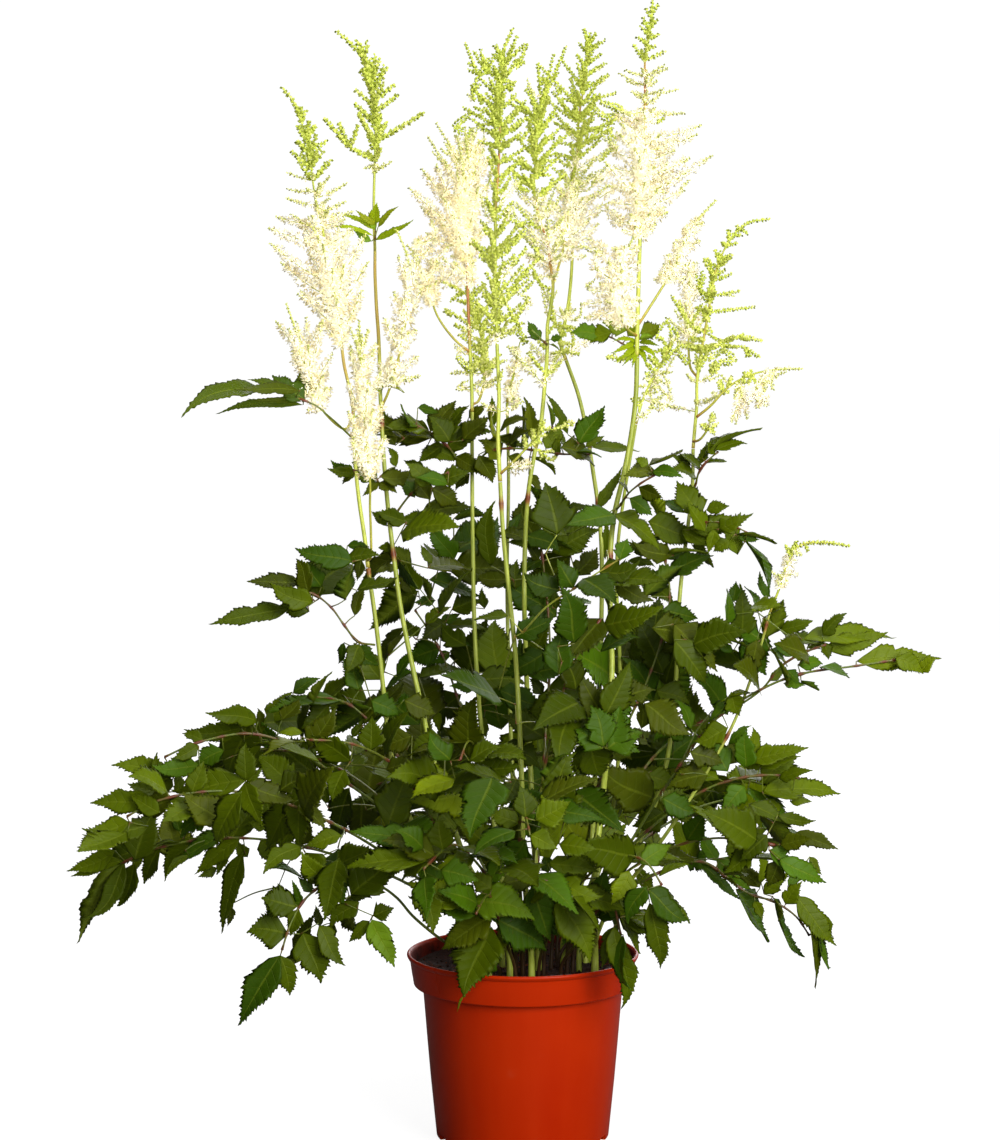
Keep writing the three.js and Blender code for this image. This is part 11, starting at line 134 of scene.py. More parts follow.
  ((-133.6,24.8,318.9,-188.5,15,313.2,-116,79,40.3,0.028),(-143.2,30.2,315.5,-164.2,26.1,297.8,-95,18,18.3,0.028),(-120.8,26.3,326.4,-134.9,36.3,349.5,-85,26,18.1,0.059),(-101.8,27.1,326.6,-79,19.2,342.1,-163,52,20.7,0.048),(-104,23.1,334.6,-124.7,22.2,362.4,-82,4,19.2,0.04),(-114.7,43,315,-151,61.4,318.6,-112,42,24,0.062),(-111.8,21.1,314.5,-148.2,51.9,287.9,81,43,24.2,0.086),(-64.1,-13.8,234.4,-91.8,-30.5,230.4,-64,35,14.6,0.051),(-117.3,19.2,301.7,-88.7,44,332,-132,51,26.4,0.067),(-154.2,21.2,318.1,-139.2,6,343.4,153,39,16.6,0.047),(-86,26.2,282.1,-112,29.9,277.9,-108,46,11.7,0.039),(-149.8,49.8,311.3,-122.3,40.9,337.5,-146,34,18.4,0.088),(-99.2,28.5,352.2,-81.3,49.5,371.9,-167,48,16.5,0.064),(-110.5,11.3,301.6,-90.8,25.8,318,-170,53,14.9,0.038),(-92.9,22.6,337.1,-78.6,26.3,357,-139,33,11.8,0.043),(-71.9,28.9,375.2,-52.9,38.2,387.7,-113,51,11.9,0.087),(-61.7,21.5,384.5,-37.1,34.7,417.3,-167,39,25.2,0.031),(-74.9,13.6,402.1,-85.2,13,424.9,-105,-8,12.8,0.027),(-170.8,38.7,322.7,-150.3,45.1,333.3,-107,15,9.9,0.053),(-125.8,23.1,292.1,-117.9,23.6,306.4,-108,11,6.7,0.054),(-83.2,27.2,286.8,-97.4,29.2,294.7,-68,28,8.6,0.043),(-85.7,-35,327.2,-62.8,-32,316.6,-97,25,18,0.04),)),
 "left_slope_front": (True, ((-21.7,-18.7,111),(-21.9,-18.9,131.5),(-24.2,-21,151.6),(-31,-26.7,170.1),(-39.3,-33.7,187.4),(-47.8,-41.6,204.3),(-55.5,-50.7,220.9),(-62.2,-61,237.3),(-68.7,-71.9,253.4),(-75.9,-83.2,268.9),(-84.9,-94.6,283.3),(-97.1,-105.7,295.3),(-111.9,-116.4,304.6),(-128.7,-126.5,310.4),(-147,-135.4,312.4),),
  ((-1,((-93.9,-103,292.7),(-96.3,-105.5,287.1),)),(-1,((-118,-120.3,307.3),(-119.1,-121.9,301.5),(-120.1,-123.4,295.7),)),(1,((-120.1,-123.4,295.7),(-123.7,-125.8,290.6),)),(-1,((-65,-65.7,244.5),(-72.8,-63.5,246.8),(-80.5,-61.2,249.4),(-88.2,-59,251.7),)),(-1,((-58.7,-55.3,228.5),(-54.5,-66.2,227.7),(-50.4,-77.1,226.8),(-46.2,-87.9,224.9),)),(-1,((-85.8,-95.6,284.4),(-96.9,-90.9,286),(-108.1,-86.2,287.3),(-119.4,-81.4,287.1),(-130.5,-76.8,285.2),(-141.6,-72.1,283.2),)),(-1,((-80.9,-90,277.7),(-75,-98.8,279.5),(-69.2,-107.7,280.9),(-63.3,-116.7,280.3),)),(3,((-88,-59,251.6),(-90.8,-64.8,248),(-93.7,-70.6,244.3),(-96.5,-76.4,240.6),)),(4,((-54.2,-67,227.7),(-50.8,-65.4,232.6),(-47.3,-63.8,237.6),)),(-1,((-95.9,-104.7,294.3),(-97.3,-101.4,297),)),(-1,((-138.9,-131.4,311.5),(-142.5,-125.2,308.8),(-146,-119,306),(-149.6,-112.7,303.2),)),(6,((-63.6,-116.2,280.4),(-59.9,-113.2,277.1),(-56.3,-110.2,273.8),)),(7,((-96.5,-76.4,240.6),(-90.1,-82.6,241),)),(-1,((-147,-135.4,312.4),(-153.3,-135.3,314.5),)),(13,((-152.8,-135.3,314.3),(-153,-140.2,313),(-153.2,-145.1,311.8),)),(5,((-141.6,-72.1,283.2),(-144,-74.3,287.8),)),(-1,((-77,-84.8,270.9),(-72.6,-87.6,271.5),)),(4,((-46.5,-87.3,225),(-50.9,-89,224.3),(-55.4,-90.7,223.5),)),(3,((-85.1,-59.9,250.8),(-81.5,-57.5,259.9),(-77.6,-54.9,268.9),(-73.2,-52,277.5),)),(-1,((-79.5,-88.2,275.4),(-79.5,-81.9,281.7),(-79.5,-75.5,287.9),(-79.5,-68.8,293.8),(-79.5,-61.4,298.8),(-79.5,-54,303.7),)),),
  ((-106.4,-112.6,301.6,-105.7,-113.2,326.2,-104,2,17.5,0.024),(-96.3,-105.5,287.1,-75.9,-107.7,292.7,-107,35,15.3,0.058),(-120.1,-123.4,295.7,-147.2,-129.8,315.3,-105,-34,24.5,-0.077),(-123.7,-125.8,290.6,-132.8,-131.5,269.1,-113,23,17.3,0.042),(-96.5,-76.4,240.6,-80,-66.3,284.2,-90,13,25.1,0.071),(-47.3,-63.8,237.6,-81,-46,255.7,-86,48,20.9,0.033),(-97.3,-101.4,297,-80.1,-113.8,330.1,-150,15,19.1,0.076),(-149.6,-112.7,303.2,-130.1,-118.6,333.2,-108,1,17.8,0.027),(-56.3,-110.2,273.8,-95.2,-138.6,286.6,-49,19,26.2,0.082),(-90.1,-82.6,241,-56.8,-115.2,243,-141,69,27.7,0.077),(-153.2,-145.1,311.8,-177.2,-183.1,309.6,-91,87,21.7,0.086),(-144,-74.3,287.8,-191.7,-68.4,301.5,-11,74,28.1,0.05),(-72.6,-87.6,271.5,-62.5,-117.5,295.7,156,41,20,0.03),(-55.4,-90.7,223.5,-105.4,-80.2,223.8,-101,56,28,0.05),(-58.7,-112.2,276,-22.4,-152.7,281.6,-146,54,26.8,0.035),(-73.2,-52,277.5,-50.4,-49,266.9,-90,28,18,0.04),(-79.5,-54,303.7,-102.5,-51,293.2,-83,25,18,0.04),)),
 "front_left_rim": (True, ((-5,-45.8,111),(-6,-48.2,134),(-11.4,-60.6,153.4),(-16.7,-75.1,171.4),(-20.3,-90.8,188.8),(-25.8,-110.5,199.6),(-33.4,-129.3,190.1),),
  ((-1,((-23.4,-104,198.3),(-22.4,-102.8,202.4),)),(-1,((-20.9,-94.1,191.9),(-17.1,-92.8,192.6),)),(-1,((-18.4,-81.7,179),(-24.9,-81.4,178.2),)),(2,((-24.9,-81.4,178.2),(-23.3,-82.4,171),)),(-1,((-18.9,-84,181.7),(-28.5,-84.9,190.4),(-38.3,-85.8,198.7),(-49.3,-86.9,205.4),)),(-1,((-16.2,-73.6,169.6),(-12.8,-75.9,172.2),(-9.4,-78.1,174.8),)),(-1,((-23.3,-103.7,198.2),(-28.2,-104,199.8),(-33.2,-104.4,201.4),)),(-1,((-31.4,-123.6,196.4),(-43.4,-124.2,199.1),(-55.6,-124.7,200.1),(-67.9,-125.2,199.2),)),(4,((-48.8,-86.8,205.1),(-51.2,-81.9,199.7),)),(7,((-67.9,-125.2,199.2),(-70.2,-129.4,205.3),(-72.5,-133.7,211.5),)),(7,((-40.4,-124,198.5),(-42.4,-130.6,195.3),)),(6,((-32.7,-104.4,201.2),(-34.3,-101.7,197.6),(-35.9,-99.1,193.9),)),(5,((-9.9,-77.8,174.4),(-7.8,-74.8,174.1),)),(-1,((-33.3,-129,190.7),(-32.3,-124.4,188.9),)),(-1,((-15.1,-70.1,165.6),(-15.5,-65.3,160.6),(-15.8,-60.4,155.6),(-16.2,-55.5,150.6),)),(11,((-35.9,-99.1,193.9),(-42,-102,195),)),),
  ((-32.1,-125.3,195.3,-59.6,-143.3,210.1,-43,25,20.7,0.087),(-18.8,-79.7,176.6,16.7,-73.3,152.2,-77,21,28,0.024),(-22.4,-102.8,202.4,-36.8,-99.8,214.7,-86,18,13.8,0.036),(-17.1,-92.8,192.6,-32.4,-98.3,190.3,-76,37,11.8,0.076),(-21.7,-81.4,178.4,-58.5,-80,155.1,-107,33,25,0.086),(-22.4,-82.4,171.4,-42.7,-102.2,124.9,-110,29,33,-0.052),(-51.2,-81.9,199.7,-80.1,-90,218.8,-59,22,18.8,0.088),(-72.5,-133.7,211.5,-63.1,-144.3,178.9,-97,16,18.1,0.086),(-42.4,-130.6,195.3,-81.7,-123.6,211.5,-81,39,20.4,0.026),(-35.9,-99.1,193.9,7.8,-109.3,181.4,-94,29,25,0.079),(-7.8,-74.8,174.1,-22.3,-78.3,151,-114,22,12.1,0.032),(-32.3,-124.4,188.9,-67.4,-130.1,196.4,-69,43,18.3,0.058),(-16.2,-55.5,150.6,-28.8,-55.2,128.3,-119,15,14.6,0.084),(-14.1,-75,171.2,-51.1,-73.2,196.1,-33,52,21.2,0.089),(-42,-102,195,-81.1,-120.4,201.5,-55,47,21.9,0.062),(-42.4,-102.2,126.3,-46.9,-106.2,115.8,-111,30,1.6,0.12),)),
 "front_left": (True, ((-4.8,-28,111),(-4.8,-28.2,131.9),(-6.1,-32,152.2),(-10.3,-43.1,169.3),(-15.6,-56.4,184.5),(-21.6,-70.4,198.7),(-28.8,-84.6,212.3),(-36.9,-99.2,224.8),(-45.2,-115.3,235.2),(-52.2,-134.3,238.8),(-59.4,-153.6,235.8),(-68.4,-171.4,229.4),),
  ((-1,((-61.8,-158.6,234.1),(-64.9,-157.1,232.7),)),(0,((-64.9,-157.1,232.7),(-66.9,-157.2,236.8),(-68.9,-157.3,240.9),)),(-1,((-64.5,-163.7,232.2),(-57.3,-164.3,227.4),)),(-1,((-23.7,-74.8,203),(-31.6,-73.8,204.5),(-39.4,-72.9,206.1),)),(-1,((-28.7,-84.4,212),(-22.7,-91.6,212.4),(-16.6,-98.9,212.7),)),(-1,((-39.7,-104.3,228.6),(-51.1,-103.7,228.9),(-62.6,-103.1,228.4),(-73.8,-102.5,226),)),(-1,((-40.5,-105.9,229.7),(-34.7,-113,229.9),(-28.9,-120.2,229.9),(-23.2,-127.3,228.8),(-17.6,-134.2,226.5),(-12.1,-141.1,224.1),)),(-1,((-52.1,-133.8,238.9),(-60.7,-134.7,240.5),(-69.5,-135.6,241.5),(-78.3,-136.6,240.8),)),(5,((-73.5,-102.5,226.1),(-75.3,-107.9,232.1),(-77.2,-113.4,238.1),)),(4,((-16.9,-98.6,212.7),(-16.1,-97.4,217.7),(-15.3,-96.1,222.8),)),(-1,((-63.1,-161.2,233.2),(-66.6,-160.6,232.8),)),(-1,((-68.4,-171.4,229.4),(-67,-175.3,224.8),)),(-1,((-48.3,-122.4,237.8),(-44.1,-123.7,236.3),)),(6,((-30.9,-117.8,230),(-35,-120.4,229.1),)),),
  ((-55.8,-145.2,237.5,-58,-148.5,262.4,-91,-10,18.3,0.052),(-64.9,-157.1,232.7,-84.4,-143.5,216.1,-154,34,20.9,0.068),(-68.9,-157.3,240.9,-88.4,-164.6,254.7,-56,20,18,0.086),(-57.3,-164.3,227.4,-30.9,-168.9,220.5,-94,23,17.9,0.062),(-77.2,-113.4,238.1,-97.2,-116.5,213.4,-115,25,16.9,0.031),(-15.3,-96.1,222.8,-29.1,-90,200.4,-108,-4,12.8,0.048),(-66.6,-160.6,232.8,-122.8,-150.6,227.3,-113,66,31.3,0.059),(-42.8,-104.2,228.6,-85.5,-101.3,230.4,-92,60,20.9,0.021),(-77.5,-136.5,240.9,-120.8,-136.2,249.3,-76,56,22.9,0.043),(-67,-175.3,224.8,-66.8,-203.6,200.8,-133,40,17.4,0.089),(-60.6,-156,235,-97.9,-155.2,245.5,-74,46,22.3,0.052),(-44.1,-123.7,236.3,-16.5,-159.4,229.7,-62,82,24.8,0.033),(-34.7,-113,229.9,-4.3,-153,230,-143,73,24.3,0.051),(-39.1,-72.9,206,-86,-60.4,197.7,-176,82,23.9,0.07),(-13.9,-138.8,224.9,9.5,-184.3,220,-136,70,25.5,0.03),(-35,-120.4,229.1,-63.3,-138.6,223.1,-77,62,17.2,0.08),)),
 "front_mid": (True, ((0.3,-36.8,111),(0.3,-37,131.1),(0.2,-40.7,150.7),(-0.5,-51.3,167.7),(-1.5,-64.3,183),(-2.3,-77.9,197.8),(-2.8,-91.3,212.8),(-3.1,-104.2,228.2),(-3.2,-117.8,243),(-3,-133.3,255.8),(-2.1,-151.6,263.8),(-0.6,-171.3,267.5),(1.2,-191.1,266),(3.2,-210,259.4),),
  ((-1,((-3.2,-114.5,239.7),(1.5,-115.4,239.3),)),(-1,((0.8,-187.3,266.9),(6.9,-187.8,265.4),)),(-1,((-3,-133.3,255.8),(6.5,-137.2,253.4),(15.9,-141.2,251),(25.1,-145,247.6),)),(-1,((-0.9,-167.3,267.1),(-9,-171.8,270.1),(-17.2,-176.4,273),(-25.6,-181.1,274.6),)),(-1,((-0.8,-169.3,267.3),(8.5,-172.5,267.5),(17.8,-175.6,266.7),(26.7,-178.7,264.3),)),(3,((-25,-180.8,274.5),(-23.3,-180.9,284.3),(-21.6,-181.1,294.1),)),(2,((24.7,-144.8,247.8),(21.2,-146.5,240.4),(17.6,-148.2,233),)),(-1,((-2.6,-85.1,205.7),(-9.1,-86.1,204.4),(-15.7,-87.1,203.2),)),(4,((26.1,-178.5,264.5),(24.6,-177.2,255.8),(23.1,-176,247.1),)),(4,((5.3,-171.4,267.4),(8,-165,271.2),)),(-1,((2.3,-201.5,262.3),(-6.3,-201.4,260.8),)),(-1,((-3.2,-108.5,233.1),(5.2,-107.8,232.4),)),),
  ((3.2,-210,259.4,21.7,-215.2,251,-86,27,14.1,0.024),(-3.1,-130.2,253.7,-23.8,-127.8,261.4,-81,28,16.3,0.035),(0.8,-187.3,266.9,-3.8,-185.4,288.8,-75,9,17.1,0.047),(1.5,-115.4,239.3,-12.1,-105.6,215.4,-118,-5,21,0.071),(6.9,-187.8,265.4,30.7,-188.4,278.7,-105,23,19.6,0.029),(-21.6,-181.1,294.1,-36.5,-216.6,257.7,-96,45,30.1,0.053),(17.6,-148.2,233,11.7,-168.5,280,-39,-10,28.4,0.032),(-15.7,-87.1,203.2,13.4,-77.7,209.3,-77,22,14.7,0.075),(23.1,-176,247.1,48.8,-183.1,244.8,-102,35,15.6,0.075),(8.3,-172.4,267.5,53.8,-179.2,264.3,-94,55,22.6,0.089),(8,-165,271.2,50.1,-171.8,292.5,-138,51,24.5,0.04),(-6.3,-201.4,260.8,-34.3,-220.5,248.3,-107,65,19.8,0.045),(5.2,-107.8,232.4,15.6,-122.7,264.5,-169,13,21.7,0.022),)),
 "front_right_rim": (True, ((11,-36.6,111),(11.5,-39.5,133.7),(14,-54.4,151.8),(17.1,-70.4,168.9),(20.8,-84.9,187.1),(26,-102,202.1),(33.8,-123.3,201),),
  ((-1,((26.7,-103.8,202.8),(25.1,-101.6,207.9),)),(0,((25.1,-101.6,207.9),(18.1,-99.9,204.6),)),(1,((21.6,-100.8,206.2),(19.3,-99.3,213.1),(17,-97.8,219.9),)),(1,((18.1,-99.9,204.6),(12.4,-98.9,203.1),(6.8,-97.8,201.7),)),(-1,((17.9,-73.8,172.8),(15.1,-75.8,173),)),(-1,((18.8,-77.5,177.4),(30,-77.6,181.5),(41.7,-77.7,184),(53.7,-77.9,184.6),)),(-1,((26,-102,202.1),(22.9,-107.5,205.6),(19.7,-113.1,209),(16.3,-119,211.4),)),(-1,((22.6,-91.1,194.3),(30.3,-92,196.4),(38,-92.9,198.3),)),(6,((16.6,-118.5,211.3),(10.8,-115.5,212.8),(4.9,-112.5,214.4),)),(5,((53.7,-77.9,184.6),(52.8,-82.6,189.2),)),(4,((15.4,-75.5,172.9),(12.7,-72.3,174.7),(10.1,-69.2,176.4),)),(7,((37.6,-92.8,198.2),(36,-99.9,198.4),)),(-1,((22.2,-90,193.2),(23.5,-88.4,194.1),)),(3,((7.3,-97.9,201.8),(6.5,-97.1,205),)),),
  ((33.6,-122.9,201.3,53.5,-116.3,175.9,-11,31,24.2,0.022),(25.1,-101.6,207.9,56.8,-108.2,199.3,-93,31,16.2,0.065),(23.5,-88.4,194.1,46.7,-96,147.8,-87,12,24,0.075),(18.1,-99.9,204.6,1,-92.9,190.5,-138,29,16.7,0.059),(17,-97.8,219.9,53.1,-106.2,215.1,-96,42,16.2,0.051),(6.5,-97.1,205,19.3,-86.6,161.5,-84,12,22,0.035),(4.9,-112.5,214.4,37.7,-139.3,192,-75,57,22.7,0.048),(52.8,-82.6,189.2,58.9,-92.1,216.3,-81,-21,14,0.022),(10.1,-69.2,176.4,32.8,-71,162.6,-74,30,15.1,0.02),(36,-99.9,198.4,71.6,-95.8,186.5,-66,43,21.6,0.058),)),
 "front_right_drop": (True, ((26.6,-28.3,111),(28.1,-30.5,132.8),(36.7,-43.3,149.5),(45.9,-57.2,164.9),(53.6,-69.7,182.3),(63.3,-86.4,187.4),(68.3,-96.6,168.7),),
  ((-1,((68.2,-96.5,169.2),(69.8,-101.3,169.7),)),(-1,((62.5,-84.9,188.4),(63,-88.2,191.7),)),(-1,((65,-89.3,185.1),(66.4,-90.4,187.6),)),(-1,((67.8,-95.1,175.1),(63.6,-97.3,175.4),)),(3,((63.6,-97.3,175.4),(63.5,-94,174),)),(-1,((50.1,-63.9,173.6),(59.5,-62.4,174.6),(69,-60.9,174.9),)),(-1,((57.7,-76.8,189.5),(69.6,-75.5,192.2),(81.5,-74.2,194.2),(93.7,-72.8,194),)),(-1,((66.9,-92.9,180.4),(75.1,-91.3,181.7),(83.4,-89.7,181.8),(91.6,-88.1,180.6),)),(-1,((52.5,-67.9,179.6),(48.2,-63,185.6),(43.8,-58.2,191.5),)),(8,((47.3,-62.1,186.8),(51,-62.9,191.3),(54.7,-63.7,195.9),)),(-1,((51.6,-66.3,177.2),(48.4,-69.6,175.1),)),(7,((70,-92.3,180.9),(70.2,-87.6,180.7),)),(7,((91.6,-88.1,180.6),(100.2,-87.1,180.6),)),),
  ((69.8,-101.3,169.7,75.3,-109,131,-145,0,14,0.085),(63,-88.2,191.7,88.6,-82.1,193,-77,13,14,0.076),(66.4,-90.4,187.6,83.1,-85.6,152.5,-25,21,28.2,-0.062),(63.6,-97.3,175.4,68.4,-91.1,113.7,-95,-6,16.2,0.075),(63.5,-94,174,55,-89.3,143.1,-99,-6,11.3,-0.052),(43.8,-58.2,191.5,44.8,-62.1,153.1,-77,6,23,0.076),(54.7,-63.7,195.9,68.7,-55.2,159.3,-15,17,21.8,0.032),(68,-61,174.9,92.6,-60.5,163.4,-71,35,12.9,0.07),(48.4,-69.6,175.1,27.1,-92.4,160.4,-84,54,18.3,0.051),(70.2,-87.6,180.7,102.3,-77.8,154.5,-44,32,21.7,0.056),(93.1,-72.9,194,119.4,-63.3,169.9,-24,43,17,0.085),(53.1,-63.4,173.9,87.6,-76.5,187.3,-131,45,19.3,0.055),(73,-91.7,181.4,104.2,-90,161.7,-34,55,21.7,0.048),(100.2,-87.1,180.6,115.7,-85.9,178.7,-109,11,6.5,0.037),)),
 "front_right": (True, ((15,-26.4,111),(15.1,-26.6,131.7),(17,-30.3,151.7),(22.2,-42,167.9),(28.6,-55.8,181.8),(36.4,-69.6,195.1),(46,-82.1,208.5),(57.2,-94.5,220.7),(70.4,-108.4,227.7),(85,-122.6,224.8),(95,-133,211.1),),
  ((-1,((80,-117.8,226.8),(80.7,-116.9,222.8),)),(-1,((94.9,-132.8,211.6),(89.9,-134.2,210.1),(85,-135.6,208.6),)),(0,((80.7,-116.9,222.8),(77,-115.8,220.3),(73.3,-114.6,217.8),)),(1,((85,-135.6,208.6),(84.2,-141.1,211.7),)),(1,((85,-135.6,208.6),(85.7,-135.3,204),(86.4,-135.1,199.4),)),(-1,((37.6,-71.4,196.9),(33.4,-77.6,200.4),(29.2,-83.8,203.8),(24.8,-90.4,206.2),)),(-1,((44.1,-79.8,206),(52.3,-78.9,206),(60.5,-78,205.9),(68.7,-77.1,205.2),(76.7,-76.1,203.5),(84.5,-75.3,201.1),)),(-1,((65.6,-103.3,226.4),(71.5,-101.2,227.3),(77.5,-99.2,228),)),(7,((77.2,-99.3,228),(78.7,-104.8,226.2),)),(6,((83.8,-75.3,201.3),(83.2,-80.8,202.5),)),(-1,((59.4,-96.9,222.7),(61.6,-94.9,221.2),)),),
  ((92.9,-130.6,216.9,113.9,-129.1,225.2,-158,66,18.2,0.025),(80.7,-116.9,222.8,103.3,-105.7,234.5,-75,23,13.9,0.047),(85,-135.6,208.6,115.6,-132,186.7,-69,19,17.7,0.044),(73.3,-114.6,217.8,60.4,-118.3,194.4,-86,7,15.4,0.031),(84.2,-141.1,211.7,71.7,-134.5,183.5,-115,-2,14.2,0.046),(86.4,-135.1,199.4,94.9,-117.2,148.4,-80,-18,15.4,0.081),(78.7,-104.8,226.2,30.4,-142.7,234.1,-53,-12,27.4,0.02),(83.2,-80.8,202.5,79.5,-118.9,210.5,140,70,21.8,0.067),(61.6,-94.9,221.2,114.9,-94.1,221.8,-92,75,26.3,0.076),(24.9,-90.1,206.1,59,-86.6,228,-113,37,23.1,0.025),)),
 "front_high": (True, ((-0.6,-19.2,111),(-0.7,-19.4,131.3),(-1.2,-22.3,151.2),(-3.3,-31.5,169.1),(-6,-42.9,185.7),(-8.9,-54.7,201.9),(-12,-66.2,218.3),(-15.3,-76.4,235.4),(-18.9,-85.6,253.1),(-22.9,-94.8,270.8),(-27.3,-105.4,287.5),(-32.4,-117.4,302.9),(-38.6,-133.7,311.3),(-44,-150,300.7),),
  ((-1,((-42.4,-145.2,304),(-37.8,-144,299.2),)),(-1,((-44,-150,300.7),(-50.6,-145.5,299.6),)),(1,((-50.6,-145.5,299.6),(-49.1,-144.9,293.1),(-47.5,-144.2,286.7),)),(-1,((-14.1,-73,229.3),(-3.8,-79.3,231.3),(6.5,-85.6,233.3),(16.9,-91.9,234.1),(27.3,-98.3,233.2),(37.6,-104.6,231.6),)),(-1,((-21,-90.4,262.6),(-33,-88.5,265.2),(-45.1,-86.5,267),(-57.4,-84.6,266.6),)),(-1,((-25.1,-100.1,279.8),(-15.4,-107.3,280.9),(-5.7,-114.6,281.8),(4,-121.9,281.1),(13.6,-129.1,278.9),(23.1,-136.3,276.5),)),(-1,((-29.4,-110.3,294.1),(-22.4,-117.2,290.8),(-15.6,-123.9,287.3),(-9.1,-130.3,282.5),)),(5,((20.7,-134.5,277),(22,-131,268.5),(23.2,-127.5,260),)),(-1,((-31.1,-114.4,299.3),(-38.1,-115.1,297.4),)),(4,((-35.9,-88,265.8),(-34.1,-82.4,265.1),)),(3,((37.1,-104.3,231.6),(39.6,-97.9,227.8),)),(-1,((-28.1,-107.3,290),(-33.2,-109.2,287.9),(-38.4,-111.1,285.7),)),(-1,((-13.9,-72.2,228),(-16.2,-78.1,223.5),(-18.5,-84,219.1),)),(-1,((-31.9,-116.3,301.5),(-24.8,-119.8,299.4),)),(-1,((-18.6,-84.8,251.7),(-14.2,-85.9,251.3),)),(6,((-9.4,-130,282.7),(-13.2,-134.3,283.2),)),(5,((15.9,-130.9,278.2),(15.2,-134,285.6),)),(4,((-56.6,-84.7,266.7),(-56.4,-78.7,273.7),(-56.1,-72.6,280.7),(-55.9,-66.3,287.4),(-55.6,-59.1,293.2),(-55.3,-52,299.1),)),),
  ((-37.8,-144,299.2,-15.7,-147.4,309.1,-122,42,17.6,0.055),(-50.6,-145.5,299.6,-64.5,-145.1,319.7,-63,19,17.6,0.09),(-47.5,-144.2,286.7,-78.1,-157.8,275.4,-110,64,23.7,0.043),(23.2,-127.5,260,35.6,-132.9,303.5,-91,-7,26.1,0.071),(-38.1,-115.1,297.4,-32.6,-138.7,342.9,-118,-22,27.6,0.036),(-34.1,-82.4,265.1,-79.8,-94,263.2,-77,19,26.2,0.082),(39.6,-97.9,227.8,22.1,-113.2,262.6,-44,3,23.7,0.081),(-38.4,-111.1,285.7,-2.1,-129.1,293.5,-123,30,24.1,0.07),(-18.5,-84,219.1,-10,-94.5,259.9,-119,-7,21.4,0.071),(-24.8,-119.8,299.4,1.4,-142.1,299.9,-132,59,18.5,0.084),(-14.2,-85.9,251.3,21,-108,271.8,-151,45,24.3,0.056),(-13.2,-134.3,283.2,-50.8,-151.7,297.3,-23,63,24.2,0.059),(-35.3,-124.7,309.4,-81.8,-124.4,300.2,-162,78,25.5,0.049),(15.2,-134,285.6,29.1,-157.2,306.9,149,48,17.1,0.056),(-18.6,-84.8,251.7,-44.7,-84.4,284.3,-34,32,24.1,0.083),(-17.6,-81.7,220.9,-51.5,-90.8,252.6,-49,26,24.8,0.055),(-55.3,-52,299.1,-79.7,-49,291.5,-77,25,18,0.04),)),
 "right_low_a": (True, ((32.2,1,111),(32.4,1,130.9),(34.9,1,150.6),(43.1,0.8,168.7),(53.8,0.2,185.4),(66.1,-1,201.1),(79.5,-2.6,215.6),(93.9,-4.3,229.3),(109.1,-5.8,242),(125.4,-7,253.4),(143.1,-8.2,262.3),(162.3,-9.2,267.3),(182.1,-10.4,269),(201.8,-12,267),),
  ((-1,((186.9,-10.8,268.7),(186.3,-13.1,266.8),)),(-1,((145.5,-8.3,263.2),(143,-12.7,266),)),(-1,((171.9,-9.7,268.5),(173.3,-4.7,273.3),)),(-1,((160,-9.1,266.9),(162.3,-4.5,260.1),)),(-1,((163,-9.2,267.4),(162.3,-7.4,273.5),)),(-1,((151.2,-8.6,264.9),(149.6,-8.8,271.2),)),(4,((162.3,-7.4,273.5),(166.7,-1.3,278.2),)),(-1,((174.9,-9.9,268.8),(174.7,-9.4,262.6),(174.6,-8.9,256.5),)),(7,((174.6,-8.9,256.5),(177.5,-6.6,251.3),)),(-1,((91.7,-4.1,227.3),(95.1,3.1,229.1),(98.5,10.3,230.9),(101.9,17.5,232.6),)),(-1,((131.8,-7.4,257.1),(136.2,2,255.6),(140.6,11.4,253.7),(144.8,20.6,250.6),)),(-1,((148.3,-8.5,264.1),(153.5,1.7,264.7),(158.6,11.8,263.5),(163.6,21.7,260.8),)),(11,((162.2,19,261.5),(169.1,14.3,260.5),(176,9.6,259.4),)),(2,((173.3,-4.7,273.3),(176.3,0.2,272.5),(179.2,5.1,271.7),)),(12,((170.5,13.4,260.2),(175.7,19.2,257.5),)),(12,((167.8,15.3,260.7),(166.1,13,256.2),)),(2,((173.3,-4.7,273.3),(177.8,2.1,274.7),)),(-1,((198.9,-11.8,267.3),(197.6,-9.1,261.1),(196.5,-6.8,254.8),(195.5,-4.7,248.3),)),(9,((101.6,16.8,232.4),(104.4,16,237.3),)),),
